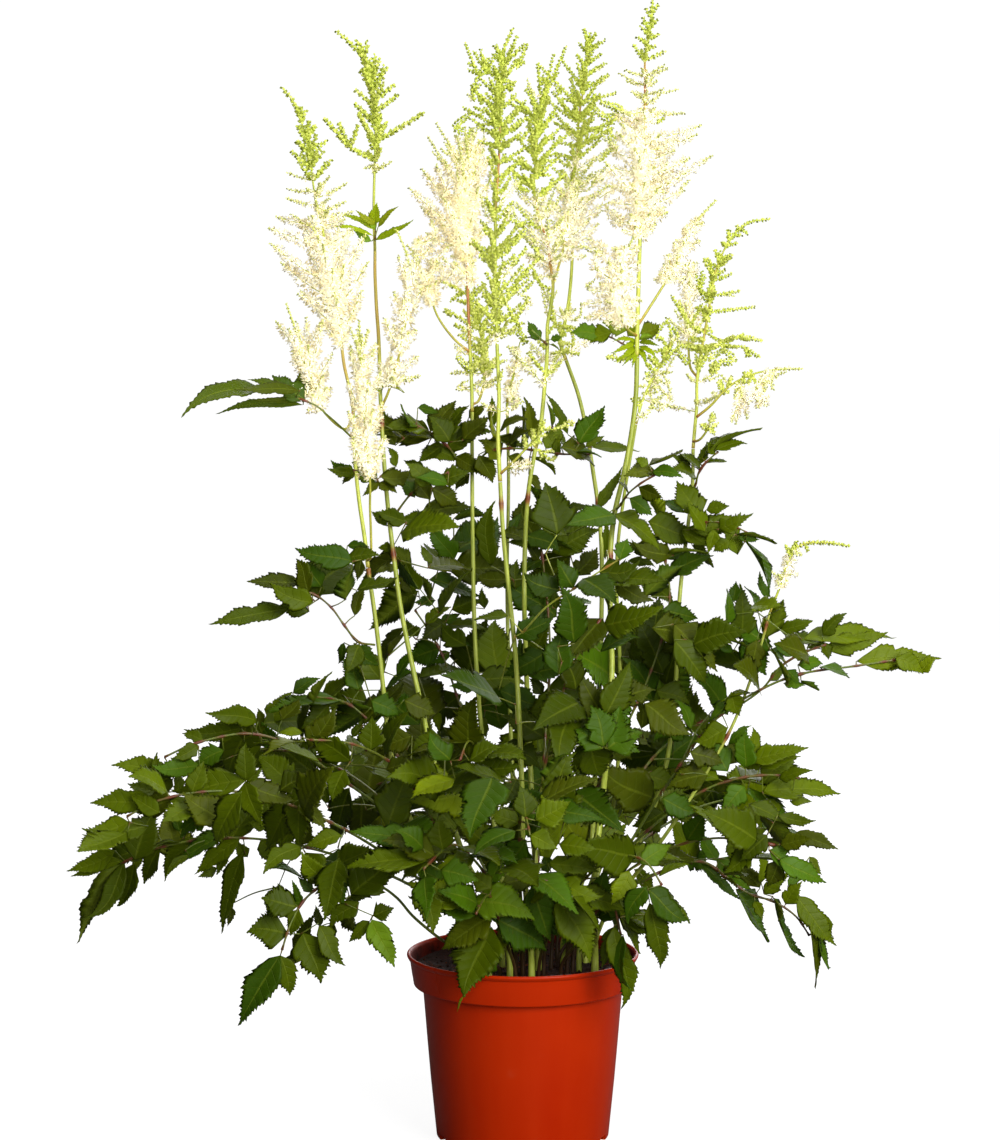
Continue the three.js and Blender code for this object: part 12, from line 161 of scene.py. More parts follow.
  ((186.3,-13.1,266.8,210,-24.7,274.5,-120,13,8.8,0.084),(143,-12.7,266,120.7,-11,280,-49,49,19,-0.024),(173.3,-4.7,273.3,202.8,-10.5,282.8,-114,34,10,0.078),(162.3,-4.5,260.1,143.6,-9.5,240.5,-91,15,16,0.055),(162.3,-7.4,273.5,163.2,-12.1,303.1,-98,-9,16,0.056),(149.6,-8.8,271.2,129.1,-0.1,294.3,-85,24,18.5,0.031),(166.7,-1.3,278.2,208.2,-13.1,289.7,-118,38,16,0.061),(166.7,-1.3,278.2,168.1,1,302.9,-61,-1,12.3,-0.061),(174.6,-8.9,256.5,234,4.6,253.2,-73,51,22.2,0.05),(177.5,-6.6,251.3,186.9,-10.7,237.4,-34,36,12.5,0.078),(176,9.6,259.4,202.4,10.4,284,-95,7,21.1,0.025),(160.9,16.3,262.3,189.1,59,254.7,-8,69,28.1,0.051),(144.6,20.1,250.8,149.2,-18.2,268.4,48,55,23.2,0.079),(179.2,5.1,271.7,204.3,47,265.1,13,79,26,0.044),(175.7,19.2,257.5,210.6,36.6,243.8,-12,66,20.3,0.045),(166.1,13,256.2,187,-19.4,227.3,-37,51,25,0.041),(177.8,2.1,274.7,162.3,8.6,271.5,-106,31,7,0.031),(195.5,-4.7,248.3,211.6,-4.8,248.1,-92,15,6.5,0.062),(104.4,16,237.3,80.9,19,226.4,-83,25,18,0.04),)),
 "right_low_b": (True, ((32.2,-18.5,111),(32.3,-18.6,130.8),(34.9,-20.4,150.2),(42.9,-26.7,167.1),(52.9,-34.9,182.1),(64,-44.3,195.4),(75.7,-55.2,207.1),(88.3,-66.3,217.6),(102.7,-76.5,226.5),(119.3,-84.9,233.1),(137.5,-91.8,236.7),(156.6,-96.5,235.9),(175.9,-100,233.2),),
  ((-1,((158.3,-96.8,235.7),(156.7,-95.1,231.7),)),(-1,((175.9,-100,233.2),(179.1,-102.6,233.9),)),(-1,((173,-99.4,233.5),(171.4,-102.7,230.2),)),(0,((156.7,-95.1,231.7),(160.5,-91.8,227.5),)),(-1,((170,-98.9,233.9),(170.4,-101.8,240.9),)),(2,((171.4,-102.7,230.2),(174.7,-105.1,227.3),(178.1,-107.6,224.4),)),(1,((179.1,-102.6,233.9),(184.3,-101,237.7),(189.4,-99.4,241.5),)),(4,((170.4,-101.8,240.9),(173.9,-101.9,247.7),(177.5,-102,254.5),)),(-1,((113.2,-82.1,231.1),(118.8,-77.2,235.8),(124.3,-72.2,240.5),(130,-67.1,244.9),(136.1,-61.8,248.4),(142.3,-56.2,251.1),)),(-1,((144.5,-93.9,237),(145.8,-101.8,240.3),(147,-109.7,243.5),(148.2,-117.8,246),)),(-1,((146.5,-94.4,236.9),(151.5,-88,238.5),(156.5,-81.6,239.9),(161.6,-75.1,240.2),(166.6,-68.6,239.5),(171.7,-62.2,238.6),)),(9,((148.1,-117,245.8),(155.1,-116.6,242.4),(162.2,-116.2,239),)),(7,((174.6,-101.9,249.1),(170.4,-95.1,251.3),(166.3,-88.3,253.5),)),(12,((166.3,-88.3,253.5),(162.2,-89.1,257.1),(158.2,-89.9,260.7),)),(8,((133.2,-64.3,246.9),(136.6,-70,249.3),)),(5,((178.1,-107.6,224.4),(178.2,-102.7,223.3),)),),
  ((156.7,-95.1,231.7,137.4,-94.8,242.5,-9,60,15.9,0.088),(179.1,-102.6,233.9,200.7,-116.8,240.5,-123,-3,11.2,0.023),(171.4,-102.7,230.2,193.1,-103.8,216.4,-70,32,14.8,-0.035),(160.5,-91.8,227.5,140.5,-93.1,212.2,-116,33,16.1,-0.049),(170.4,-101.8,240.9,151.3,-96.6,220.7,-105,-1,13.9,0.05),(178.1,-107.6,224.4,212.3,-102.3,206.8,-70,21,15,0.05),(189.4,-99.4,241.5,220.3,-104.3,230.8,-94,15,11.2,0.044),(177.5,-102,254.5,204,-109.1,252.5,-103,24,8.6,-0.088),(162.2,-116.2,239,121.6,-138.6,264.4,-57,7,26.5,0.048),(166.3,-88.3,253.5,188.7,-79.7,222.6,47,35,22.4,0.04),(86.2,-64.5,215.9,124.9,-50.6,215.3,-71,52,22.8,0.045),(158.2,-89.9,260.7,181.8,-100.9,248.3,-73,55,17,0.072),(115.2,-80.4,232.7,128.5,-91.9,257.7,-115,-8,14.8,0.063),(169.8,-64.7,238.9,208.4,-25.8,221.1,1,67,30.5,0.043),(136.6,-70,249.3,131,-125.4,250.6,1,79,28.4,0.052),(142,-56.5,250.9,167,-37.7,233.9,-3,58,19.1,0.045),(178.2,-102.7,223.3,170.6,-97.3,203,-87,31,13.3,0.054),)),
 "right_low_c": (True, ((26.1,10.1,111),(27.3,10.2,130.8),(38.7,10.9,147.4),(52.5,12.3,162.1),(68.1,15.6,174.5),(85.5,20.7,183.4),(102.9,28.4,190.3),(119.6,38.5,195.5),(137.7,46.3,193.8),(153.8,48.6,181.9),(170.1,48.5,170.1),(189.1,45,164.4),(205.3,45.9,153.3),(216.2,52.1,137.4),),
  ((-1,((198.3,44.1,160.1),(197.6,49,161.7),)),(-1,((162.6,48.7,174.6),(160.5,50.2,172.7),)),(-1,((187.4,45.3,164.9),(187.6,41.4,169.1),)),(-1,((209.8,48.4,146.9),(214.8,41.5,148),)),(-1,((176,47.7,168),(173.8,40.1,166.2),)),(-1,((187.4,45.3,164.9),(189.7,48,166.5),)),(-1,((144,47.6,190),(146.7,48,194.6),)),(-1,((176,47.7,168),(178.8,51,173.9),)),(-1,((216.2,52.1,137.4),(219.6,53.7,140.4),(222.9,55.3,143.3),)),(0,((197.6,49,161.7),(201.8,49.9,164.8),(205.9,50.7,168),)),(9,((205.9,50.7,168),(201.2,53.6,172.1),)),(-1,((100.4,27,189.3),(108.7,20.6,194.3),(116.9,14.1,199.2),(125.6,7.3,202.8),(134.5,0.2,204.9),(143.5,-6.8,206.7),)),(-1,((146.6,47.9,188),(149.1,43.9,186.8),(151.6,39.9,185.6),)),(-1,((151.2,48.4,184.1),(153.9,59.2,183.5),(156.5,70,182.6),(159.1,80.5,180.3),(161.6,90.7,176.7),(164.1,100.9,172.9),)),(13,((164.1,100.9,172.9),(159.3,103.4,177.2),(154.5,106,181.5),(149.7,108.5,185.8),)),(2,((187.6,41.4,169.1),(180.7,36.6,171.9),)),(15,((180.7,36.6,171.9),(178.7,40.3,179.7),)),(-1,((92.2,23.2,186.1),(87.5,23.8,189.5),(82.9,24.4,193),)),(11,((143.5,-6.8,206.7),(149.8,-7.9,206.3),)),(10,((201.2,53.6,172.1),(206.1,56.6,180.2),(211.4,59.9,188.1),(217.3,63.5,195.3),)),(-1,((133,44.9,195.5),(133.4,51.3,193.6),)),(8,((222.9,55.3,143.3),(226.1,57.7,147.3),(229.8,60.4,150.7),)),),
  ((162.6,48.7,174.6,146.3,52.6,183.7,22,56,14,0.041),(197.6,49,161.7,209.5,40.8,181,-108,-12,11.9,0.032),(160.5,50.2,172.7,187.3,61,130.4,-18,28,35.6,0.036),(187.6,41.4,169.1,192.2,43.4,149.5,10,14,14.5,0.086),(214.8,41.5,148,222.7,61.3,93.5,-21,0,17.8,0.046),(173.8,40.1,166.2,178.8,31.4,152.5,-103,29,7.5,0.068),(189.7,48,166.5,215.7,71.2,116.5,-16,21,24.4,-0.086),(146.7,48,194.6,133.4,52.8,217.3,-66,23,12.1,-0.052),(178.8,51,173.9,166.5,59.5,191,-80,31,14.7,0.068),(222.9,55.3,143.3,235.6,73.5,108.1,-15,12,24.4,-0.061),(205.9,50.7,168,236.9,49.5,129.8,-74,14,17.4,0.065),(201.2,53.6,172.1,206.9,59.6,190.1,-80,15,7.7,0.04),(149.7,108.5,185.8,176.9,104.7,161.9,-67,31,19.8,0.052),(180.7,36.6,171.9,200.5,31.6,189.5,-80,-26,13,0.041),(178.7,40.3,179.7,175.4,36.3,206.3,-47,-1,12.9,0.088),(82.9,24.4,193,99.1,32.4,173.1,-43,18,12.9,0.033),(164.1,100.9,172.9,177,137,165.3,6,60,21.2,0.032),(149.8,-7.9,206.3,197.3,-23.7,207,148,89,26.4,0.054),(151.3,40.3,185.7,164.6,7.3,191.2,40,67,16.6,0.075),(217.3,63.5,195.3,226.8,62.3,181.7,-91,12,6.5,0.058),(133.4,51.3,193.6,166.7,48.6,164.4,-75,24,8.2,0.066),(229.8,60.4,150.7,236.5,67.6,132.9,-103,34,6.5,0.037),)),
 "right_low_d": (True, ((25.6,28,111),(25.7,28.2,130.6),(28.3,30.9,149.7),(38.7,40.8,162.8),(51.1,52.7,172.5),(63.5,64.7,181.9),(75.8,77.1,190.9),(88.3,89.7,199.4),(101.4,102.1,207.2),(115.4,114.1,213.8),(130.4,125.5,219.6),(146.2,136.4,223.8),(162.5,147.2,225.4),(179.1,157.4,222.8),(195.6,167.1,218.4),),
  ((-1,((86.3,87.6,198.1),(95.2,85,196.5),(104.1,82.4,195),(112.9,79.8,192.6),(121.3,77.4,189.1),(129.5,75,185),)),(-1,((99.5,100.4,206.1),(96,112.2,208.8),(92.4,124,211.2),(88.9,136,212.1),(85.3,148.1,211.3),(81.7,160.1,210.2),)),(-1,((122.7,119.8,216.8),(133.3,113.5,217.9),(144,107.2,218.8),(154.6,100.9,218.4),(165.1,94.6,216.4),(175.6,88.4,213.8),)),(-1,((127.4,123.2,218.5),(124.6,133.8,218.4),(121.8,144.5,218.2),(119,155,217.2),(116.3,165.4,214.7),(113.6,175.5,211.5),)),(-1,((170,152,224.6),(169.3,160.4,227.2),(168.6,168.9,229.6),(167.9,177.7,230.9),(167.2,186.5,231.1),(166.5,195.3,231),)),(-1,((162.3,147.1,225.4),(163.8,144.9,218.5),(165.4,142.6,211.6),)),(3,((113.7,174.9,211.7),(114.4,177.6,218),(115.1,180.4,224.3),(115.8,183.1,230.6),)),(4,((166.5,195.3,231),(165.4,195.2,222.4),(164.4,195,213.8),)),(0,((128.9,75.2,185.3),(128.5,68.1,187.8),(128.1,61,190.2),)),(3,((118.9,155.2,217.1),(115.5,156,225),(112.1,156.8,233),(108.7,157.6,240.9),)),(1,((81.7,160.1,210.2),(84.6,159,202.5),)),(-1,((81.4,82.8,194.9),(76.7,83.9,197.7),)),(8,((128.1,61,190.2),(124.7,60.4,194.1),(121.4,59.7,198.1),)),(-1,((118.7,116.7,215.2),(118.7,114.1,219.4),(118.8,111.6,223.6),)),(2,((167.5,93.2,215.9),(164.6,89,214.2),(161.7,84.8,212.5),)),(-1,((99.2,100.1,206),(101.4,102.8,198.9),(103.6,105.5,191.9),)),(2,((175.2,88.6,213.9),(178.7,95.5,208.2),(182.2,102.4,202.6),)),(-1,((195.3,167,218.5),(193.8,170.1,223.1),)),(4,((169.5,158,226.4),(168.1,158.7,220.3),)),(2,((162.3,96.3,217.1),(164.9,102.2,213.2),)),(3,((118.2,158.1,216.6),(122.7,159.1,215.5),)),(7,((164.8,195.1,217.3),(165.6,200.6,215.4),)),(4,((169.5,158,226.4),(173.2,156.7,227.1),)),(4,((167.5,182.7,231.1),(171.6,184.5,231),)),),
  ((165.4,142.6,211.6,198.1,124.1,251.4,-97,-20,30.9,0.068),(115.8,183.1,230.6,90,187.8,188.3,95,9,29.1,0.074),(164.4,195,213.8,179.7,199.3,254.8,-105,11,26.2,0.08),(128.1,61,190.2,111.7,54.4,228.9,-56,5,20.5,0.073),(108.7,157.6,240.9,134.5,128,205.6,-84,42,25.7,0.03),(84.6,159,202.5,65.3,190.8,223.1,-71,60,24.5,0.071),(76.7,83.9,197.7,105.2,75.8,193.7,-93,60,16.5,0.045),(121.4,59.7,198.1,139.8,77.3,179.8,-42,6,18.3,0.041),(118.8,111.6,223.6,146,96.7,215.1,47,42,15.9,0.033),(161.7,84.8,212.5,156.8,82.7,182.2,-69,1,15,0.033),(103.6,105.5,191.9,91.9,136.3,210.7,-59,60,16.9,0.042),(182.2,102.4,202.6,176.2,84,233.3,-42,-15,16.7,0.04),(193.8,170.1,223.1,217.7,162.6,221.6,-93,76,12.7,0.056),(168.1,158.7,220.3,172.6,208.7,192.4,62,59,33.4,0.053),(164.9,102.2,213.2,153.9,140.6,201.9,32,43,19.4,0.081),(122.7,159.1,215.5,165.7,144.1,212.1,63,62,22.9,0.029),(182.2,102.4,202.6,199.4,134.2,186.6,45,65,17.9,0.082),(165.6,200.6,215.4,172.3,245.8,199.8,34,63,27.8,0.046),(173.2,156.7,227.1,199.2,128.3,225.1,40,45,17.9,0.039),(171.6,184.5,231,199.3,157.4,230.8,45,67,22.8,0.032),)),
 "right_up_a": (True, ((36.8,8.5,111),(37,8.5,130.3),(39.2,9,149.4),(44.2,9.3,168.1),(50.3,9.6,186.4),(57.2,10.3,204.4),(64.7,11.4,222.1),(72.6,12.3,239.7),(81.4,14.2,256.7),(91.9,19.4,271.9),(103.3,31.1,282),(115.7,43.9,289.4),(131.3,49.6,298.4),(148.4,47,306.9),(164.9,42,315.5),(179.5,38.1,327.4),(190.9,34.8,342.6),(206.4,31,353.2),(224.2,28.8,360.2),),
  ((-1,((223.6,28.8,360),(222.6,32.3,361.9),)),(0,((222.6,32.3,361.9),(221.7,29.5,366.9),)),(-1,((209.7,30.3,354.7),(208.1,30.5,359.2),(206.5,30.7,363.8),)),(2,((206.5,30.7,363.8),(202.1,29.7,363.7),(197.7,28.7,363.6),)),(-1,((194.4,33.9,345.8),(188.8,33.3,350.8),(183.3,32.6,355.8),)),(4,((183.3,32.6,355.8),(181.3,31.4,360.1),(179.3,30.3,364.5),)),(3,((197.7,28.7,363.6),(193.6,24.6,367.8),(189.6,20.5,372),)),(5,((179.3,30.3,364.5),(175.9,31.9,363.5),)),(7,((175.9,31.9,363.5),(170.2,33.8,357.5),(164.5,35.8,351.5),)),(8,((169,34.2,356.3),(166,31,358.4),)),(9,((166,31,358.4),(161,30.8,363.3),)),(5,((179.3,30.3,364.5),(177.5,30.3,371.2),(175.8,30.3,377.8),(174,30.3,384.4),)),(-1,((96.2,23.2,276.3),(106.8,21.8,276),(117.4,20.5,275.8),(128,19.1,275.2),(138.5,17.7,273.6),(148.8,16.4,270.9),)),(-1,((114.8,43.2,288.9),(111.5,54.7,298.3),(108.1,66.3,307.5),(104.5,78.8,315.4),(100.6,92.1,321.6),(96.6,105.6,327.5),)),(-1,((207.9,30.7,353.9),(211.2,35.3,356.5),(214.5,40,359.1),)),(13,((104.5,78.8,315.4),(102.2,81.9,308.4),(99.9,85.1,301.3),)),(-1,((85.8,15.9,263.8),(91.1,15.4,255.9),(96.4,15,248),)),(-1,((131.9,49.6,298.7),(133.8,51.8,293.5),(135.8,54,288.3),)),(-1,((112.8,41.3,287.8),(112.7,45.6,281.2),(112.6,49.8,274.7),(112.5,54,268.1),)),(8,((173.6,32.7,361.1),(171,36.8,365.9),(168.4,41,370.7),)),(13,((96.6,105.6,327.5),(90.6,110.1,329.6),(84.6,114.6,331.8),(78.6,119.1,333.9),)),(18,((112.5,54,268.1),(106.2,53.2,267),(100,52.3,265.8),)),(8,((164.5,35.8,351.5),(168.2,43.5,347.4),(172,51.2,343.3),)),(11,((174,30.3,384.4),(167.4,25.5,384.3),(160.8,20.7,384.2),(154.2,15.9,384.1),)),(17,((134.5,52.5,291.7),(127.3,54.5,290.1),)),(23,((154.2,15.9,384.1),(152,6.5,382.4),(149.7,-2.8,380.8),(147.4,-12.2,379.1),)),(12,((147.9,16.5,271.2),(147.9,11.2,272.4),(148,5.9,273.5),)),(11,((174,30.3,384.4),(177.2,30.8,389.5),(180.9,31.4,394.1),)),(23,((154.2,15.9,384.1),(154.6,19.3,388.4),(154.9,23.3,392),)),(2,((206.5,30.7,363.8),(201.1,30.9,370),)),(-1,((215.7,29.2,357.1),(220.2,33,356.8),(224.6,36.6,355.1),)),(10,((161,30.8,363.3),(158,31.1,358.8),(155.5,31.4,353.9),)),(14,((214.4,39.8,359),(211.5,42.2,356.3),)),(-1,((200.3,32.5,349.9),(200.8,35.9,350.9),)),(-1,((185.2,36.4,335.2),(184.6,43.7,331.3),)),(-1,((133.7,49.6,299.6),(128.7,50.5,306.7),)),(26,((148,5.9,273.5),(149.3,5.9,281.5),(151,6,289.3),)),(17,((135.8,54,288.3),(131.2,58.4,289.4),)),(-1,((89.3,17.7,268.7),(91.1,18,264.6),)),),
  ((222.6,32.3,361.9,226.4,29.3,348.9,-63,19,10,0.069),(221.7,29.5,366.9,239.6,27.2,383.7,-85,-12,11.1,0.058),(206.5,30.7,363.8,280.2,54.4,362.8,-71,55,20.1,0.045),(197.7,28.7,363.6,222,37.3,362.9,-68,65,18.6,0.039),(183.3,32.6,355.8,197.5,39.9,342.9,-20,40,14.7,0.035),(179.3,30.3,364.5,190.7,7.6,396,84,34,15.2,0.072),(189.6,20.5,372,212.8,13.1,379.3,-114,20,10.8,0.051),(175.9,31.9,363.5,150.8,27.3,380.9,-55,31,20.1,-0.033),(164.5,35.8,351.5,174.8,31.4,334.8,-44,32,14.5,0.029),(166,31,358.4,139.4,20.8,365.8,-4,74,21.2,0.052),(161,30.8,363.3,160,27.1,406.1,-74,-4,17.3,0.079),(174,30.3,384.4,164.5,38.1,403.1,-18,31,16.1,0.039),(99.9,85.1,301.3,128.9,52.8,341,73,30,30.8,0.068),(96.4,15,248,53.7,-16.3,282.4,-54,0,30.1,0.054),(135.8,54,288.3,127.4,52,328.7,-61,3,19.5,0.053),(112.5,54,268.1,102.4,94.7,300.4,-118,44,28.7,0.052),(168.4,41,370.7,182.3,48,335,-78,-6,22.3,0.054),(78.6,119.1,333.9,114.4,127.1,322.9,-59,46,18.5,0.048),(100,52.3,265.8,136.2,61.8,289.1,-91,23,19.6,0.052),(172,51.2,343.3,136.6,94.4,338.4,45,49,28.6,0.033),(127.3,54.5,290.1,122.9,54.9,317.8,-48,7,12.8,0.06),(147.4,-12.2,379.1,148.8,2.2,404.8,-28,12,15.8,0.057),(148,5.9,273.5,164.6,25.3,291,-86,46,15.9,0.074),(180.9,31.4,394.1,175.4,31.2,414.8,-76,10,6.5,0.023),(154.9,23.3,392,157.2,27.3,407.8,-104,19,8.4,0.041),(201.1,30.9,370,215.9,37.9,377.3,-103,17,7.1,0.049),(224.6,36.6,355.1,272.5,44.4,368,-85,12,14.9,0.06),(155.5,31.4,353.9,145,33.7,366.1,-105,17,7,0.065),(211.5,42.2,356.3,226.8,46,362.6,-68,31,6.5,0.06),(200.8,35.9,350.9,186,38,360,-86,13,6.5,0.055),(184.6,43.7,331.3,197.3,48.1,341.7,-72,22,6.5,0.032),(128.7,50.5,306.7,130.2,48.8,323.4,-91,22,7.7,0.031),(151,6,289.3,167.9,3.1,303.4,-92,14,6.5,0.034),(131.2,58.4,289.4,146,64.6,280.2,-112,15,7.6,0.068),(91.1,18,264.6,113.5,21,254.4,-97,25,18,0.04),)),
 "right_up_b": (True, ((36.7,-9.9,111),(36.8,-9.9,130.4),(39.6,-10.5,149.6),(47.3,-11.5,167.4),(57,-12.7,184.2),(67.1,-14.3,200.8),(76.7,-16.5,217.6),(86.3,-19.3,234.3),(96,-22.3,250.9),(106.2,-25,267.2),(116.6,-26.9,283.5),(127.6,-28.5,299.5),(140.4,-30.3,314),(155.8,-32.2,325.7),(172.5,-34.3,335.5),(190,-37,343.5),(208.6,-38.8,348.5),(227.9,-39.7,351),(247.2,-40.1,353.7),(266.4,-40,356.7),),
  ((-1,((170.8,-34.1,334.6),(169.9,-39.4,334.1),)),(-1,((152.9,-31.8,323.8),(152.6,-28.6,323.9),)),(-1,((212.8,-39,349.2),(212.3,-42.4,352),)),(0,((169.9,-39.4,334.1),(163.4,-41,333.2),)),(-1,((239.7,-40,352.5),(238.9,-37.6,355.5),)),(-1,((198.2,-38,346.2),(199.5,-36,341.6),)),(-1,((189.7,-36.9,343.4),(188.2,-41.3,349.7),)),(-1,((198.2,-38,346.2),(197.3,-35.4,352.3),)),(-1,((112.5,-26.2,277),(112.9,-34.8,275.6),(113.3,-43.5,274.4),)),(-1,((113.6,-26.4,278.7),(118.6,-15.5,286.7),(123.6,-4.5,294.6),(129,7.2,301.1),(134.7,19.6,305.9),(140.4,32,310.4),)),(9,((140.4,32,310.4),(146.4,30.2,309.2),(152.3,28.4,308.1),)),(7,((197.3,-35.4,352.3),(201.1,-34.1,356),(204.9,-32.7,359.6),)),(11,((204.9,-32.7,359.6),(203.9,-28.6,361.6),(202.9,-24.5,363.7),)),(-1,((189.7,-36.9,343.4),(189.6,-39.9,338.7),)),(-1,((266.4,-40,356.7),(266.1,-45.6,359.2),)),(12,((202.9,-24.5,363.7),(194.9,-26.3,369.7),(187,-28,375.8),(179,-29.8,381.9),(171.1,-31.6,388),(163.1,-33.4,394.1),)),(-1,((127.2,-28.5,299),(124.2,-30,301.9),(121.1,-31.6,304.9),)),(16,((121.1,-31.6,304.9),(121,-35.2,305.8),)),(15,((173.1,-31.1,386.5),(176.3,-37.7,389.2),(179.5,-44.3,391.9),(182.7,-50.9,394.5),)),(-1,((266.4,-40,356.7),(273.1,-39,354.3),(279.5,-38,351.1),(285.6,-37.1,347.4),)),(-1,((258.2,-40,355.4),(257.9,-35.2,353.5),(257.6,-30.9,350.6),)),(13,((189.6,-39.9,338.7),(188.6,-35.2,339.3),(187.7,-30.5,338.7),)),(18,((173.1,-31.1,386.5),(170.1,-34.4,378.8),(167.6,-37,370.8),)),(-1,((156.1,-32.2,326),(152.8,-35.4,330.1),(149.1,-39,333.5),)),(-1,((142.9,-30.6,316.1),(145,-36.1,312.4),(146.9,-41,307.7),)),(-1,((121.6,-27.7,290.9),(120.6,-34.9,291.6),(119.7,-42,290.5),)),(8,((113.3,-42.7,274.5),(123,-42.8,275.4),(132.6,-43,274),)),(-1,((101.4,-23.8,259.7),(100.8,-30.6,259.8),(100.2,-37.4,259),(99.6,-44,257.4),)),(9,((131.7,13.1,303.6),(126.6,15.6,302.2),(121.9,18,299.6),)),),
  ((169.9,-39.4,334.1,148.6,-65.8,356.1,-21,25,29,0.058),(152.6,-28.6,323.9,132.2,-32.6,311.2,-140,55,17.6,0.08),(212.3,-42.4,352,233.4,-50.1,344.9,-48,70,17,0.054),(163.4,-41,333.2,141.1,-39.1,326.8,178,74,16.8,0.044),(238.9,-37.6,355.5,302.1,-26.7,356.4,-80,21,16.7,0.041),(199.5,-36,341.6,213.8,-28.3,333.3,47,62,13.2,-0.045),(188.2,-41.3,349.7,198.5,-44.7,340.2,-72,34,8.9,0.035),(197.3,-35.4,352.3,216.6,-24.1,351.9,-59,33,11.2,0.076),(152.3,28.4,308.1,121.2,25.6,344.2,-46,28,23.5,0.05),(204.9,-32.7,359.6,177.7,-59.1,370.8,-36,30,21.9,0.055),(189.6,-39.9,338.7,177.2,-43.2,366.7,9,24,16.2,0.029),(266.1,-45.6,359.2,286.9,-41.4,346.9,-73,9,13.4,0.04),(163.1,-33.4,394.1,185.2,-56.2,397.8,-147,58,18.3,0.053),(121,-35.2,305.8,107.7,-34.8,327.6,-47,23,11.6,0.034),(285.6,-37.1,347.4,296.3,-39.5,358.9,-106,30,9.8,0.068),(257.6,-30.9,350.6,273.5,-30.7,350.4,-110,19,6.5,0.046),(187.7,-30.5,338.7,203.1,-33.8,337.6,-107,19,7,0.036),(167.6,-37,370.8,158.7,-34,344.4,-69,25,15,0.04),(149.1,-39,333.5,155.9,-36,315.7,-109,18,15,0.04),(146.9,-41,307.7,122.1,-38,297.9,-83,34,18,0.04),(119.7,-42,290.5,143.7,-39,281.3,-97,25,18,0.04),(132.6,-43,274,104.1,-40,265.5,-76,31,20,0.04),(99.6,-44,257.4,125,-41,246.8,-90,18,18,0.04),(121.9,18,299.6,97,21,288.7,-77,22,18,0.04),)),
 "centre_left_tall": (True, ((-5.7,26.6,111),(-5.7,26.8,130.8),(-6.4,29.3,150.3),(-9.1,38.4,167.6),(-12.5,49.5,183.6),(-16.5,59.5,200.2),(-21,67.6,217.7),(-26,74.7,235.5),(-31.2,81.3,253.4),(-36.7,87.2,271.5),(-42.4,92.6,289.7),(-48.1,97.1,308.1),(-54.1,100.9,326.5),(-61.2,104.4,344.7),(-70.7,107.5,361.7),(-81.8,110,377.9),),
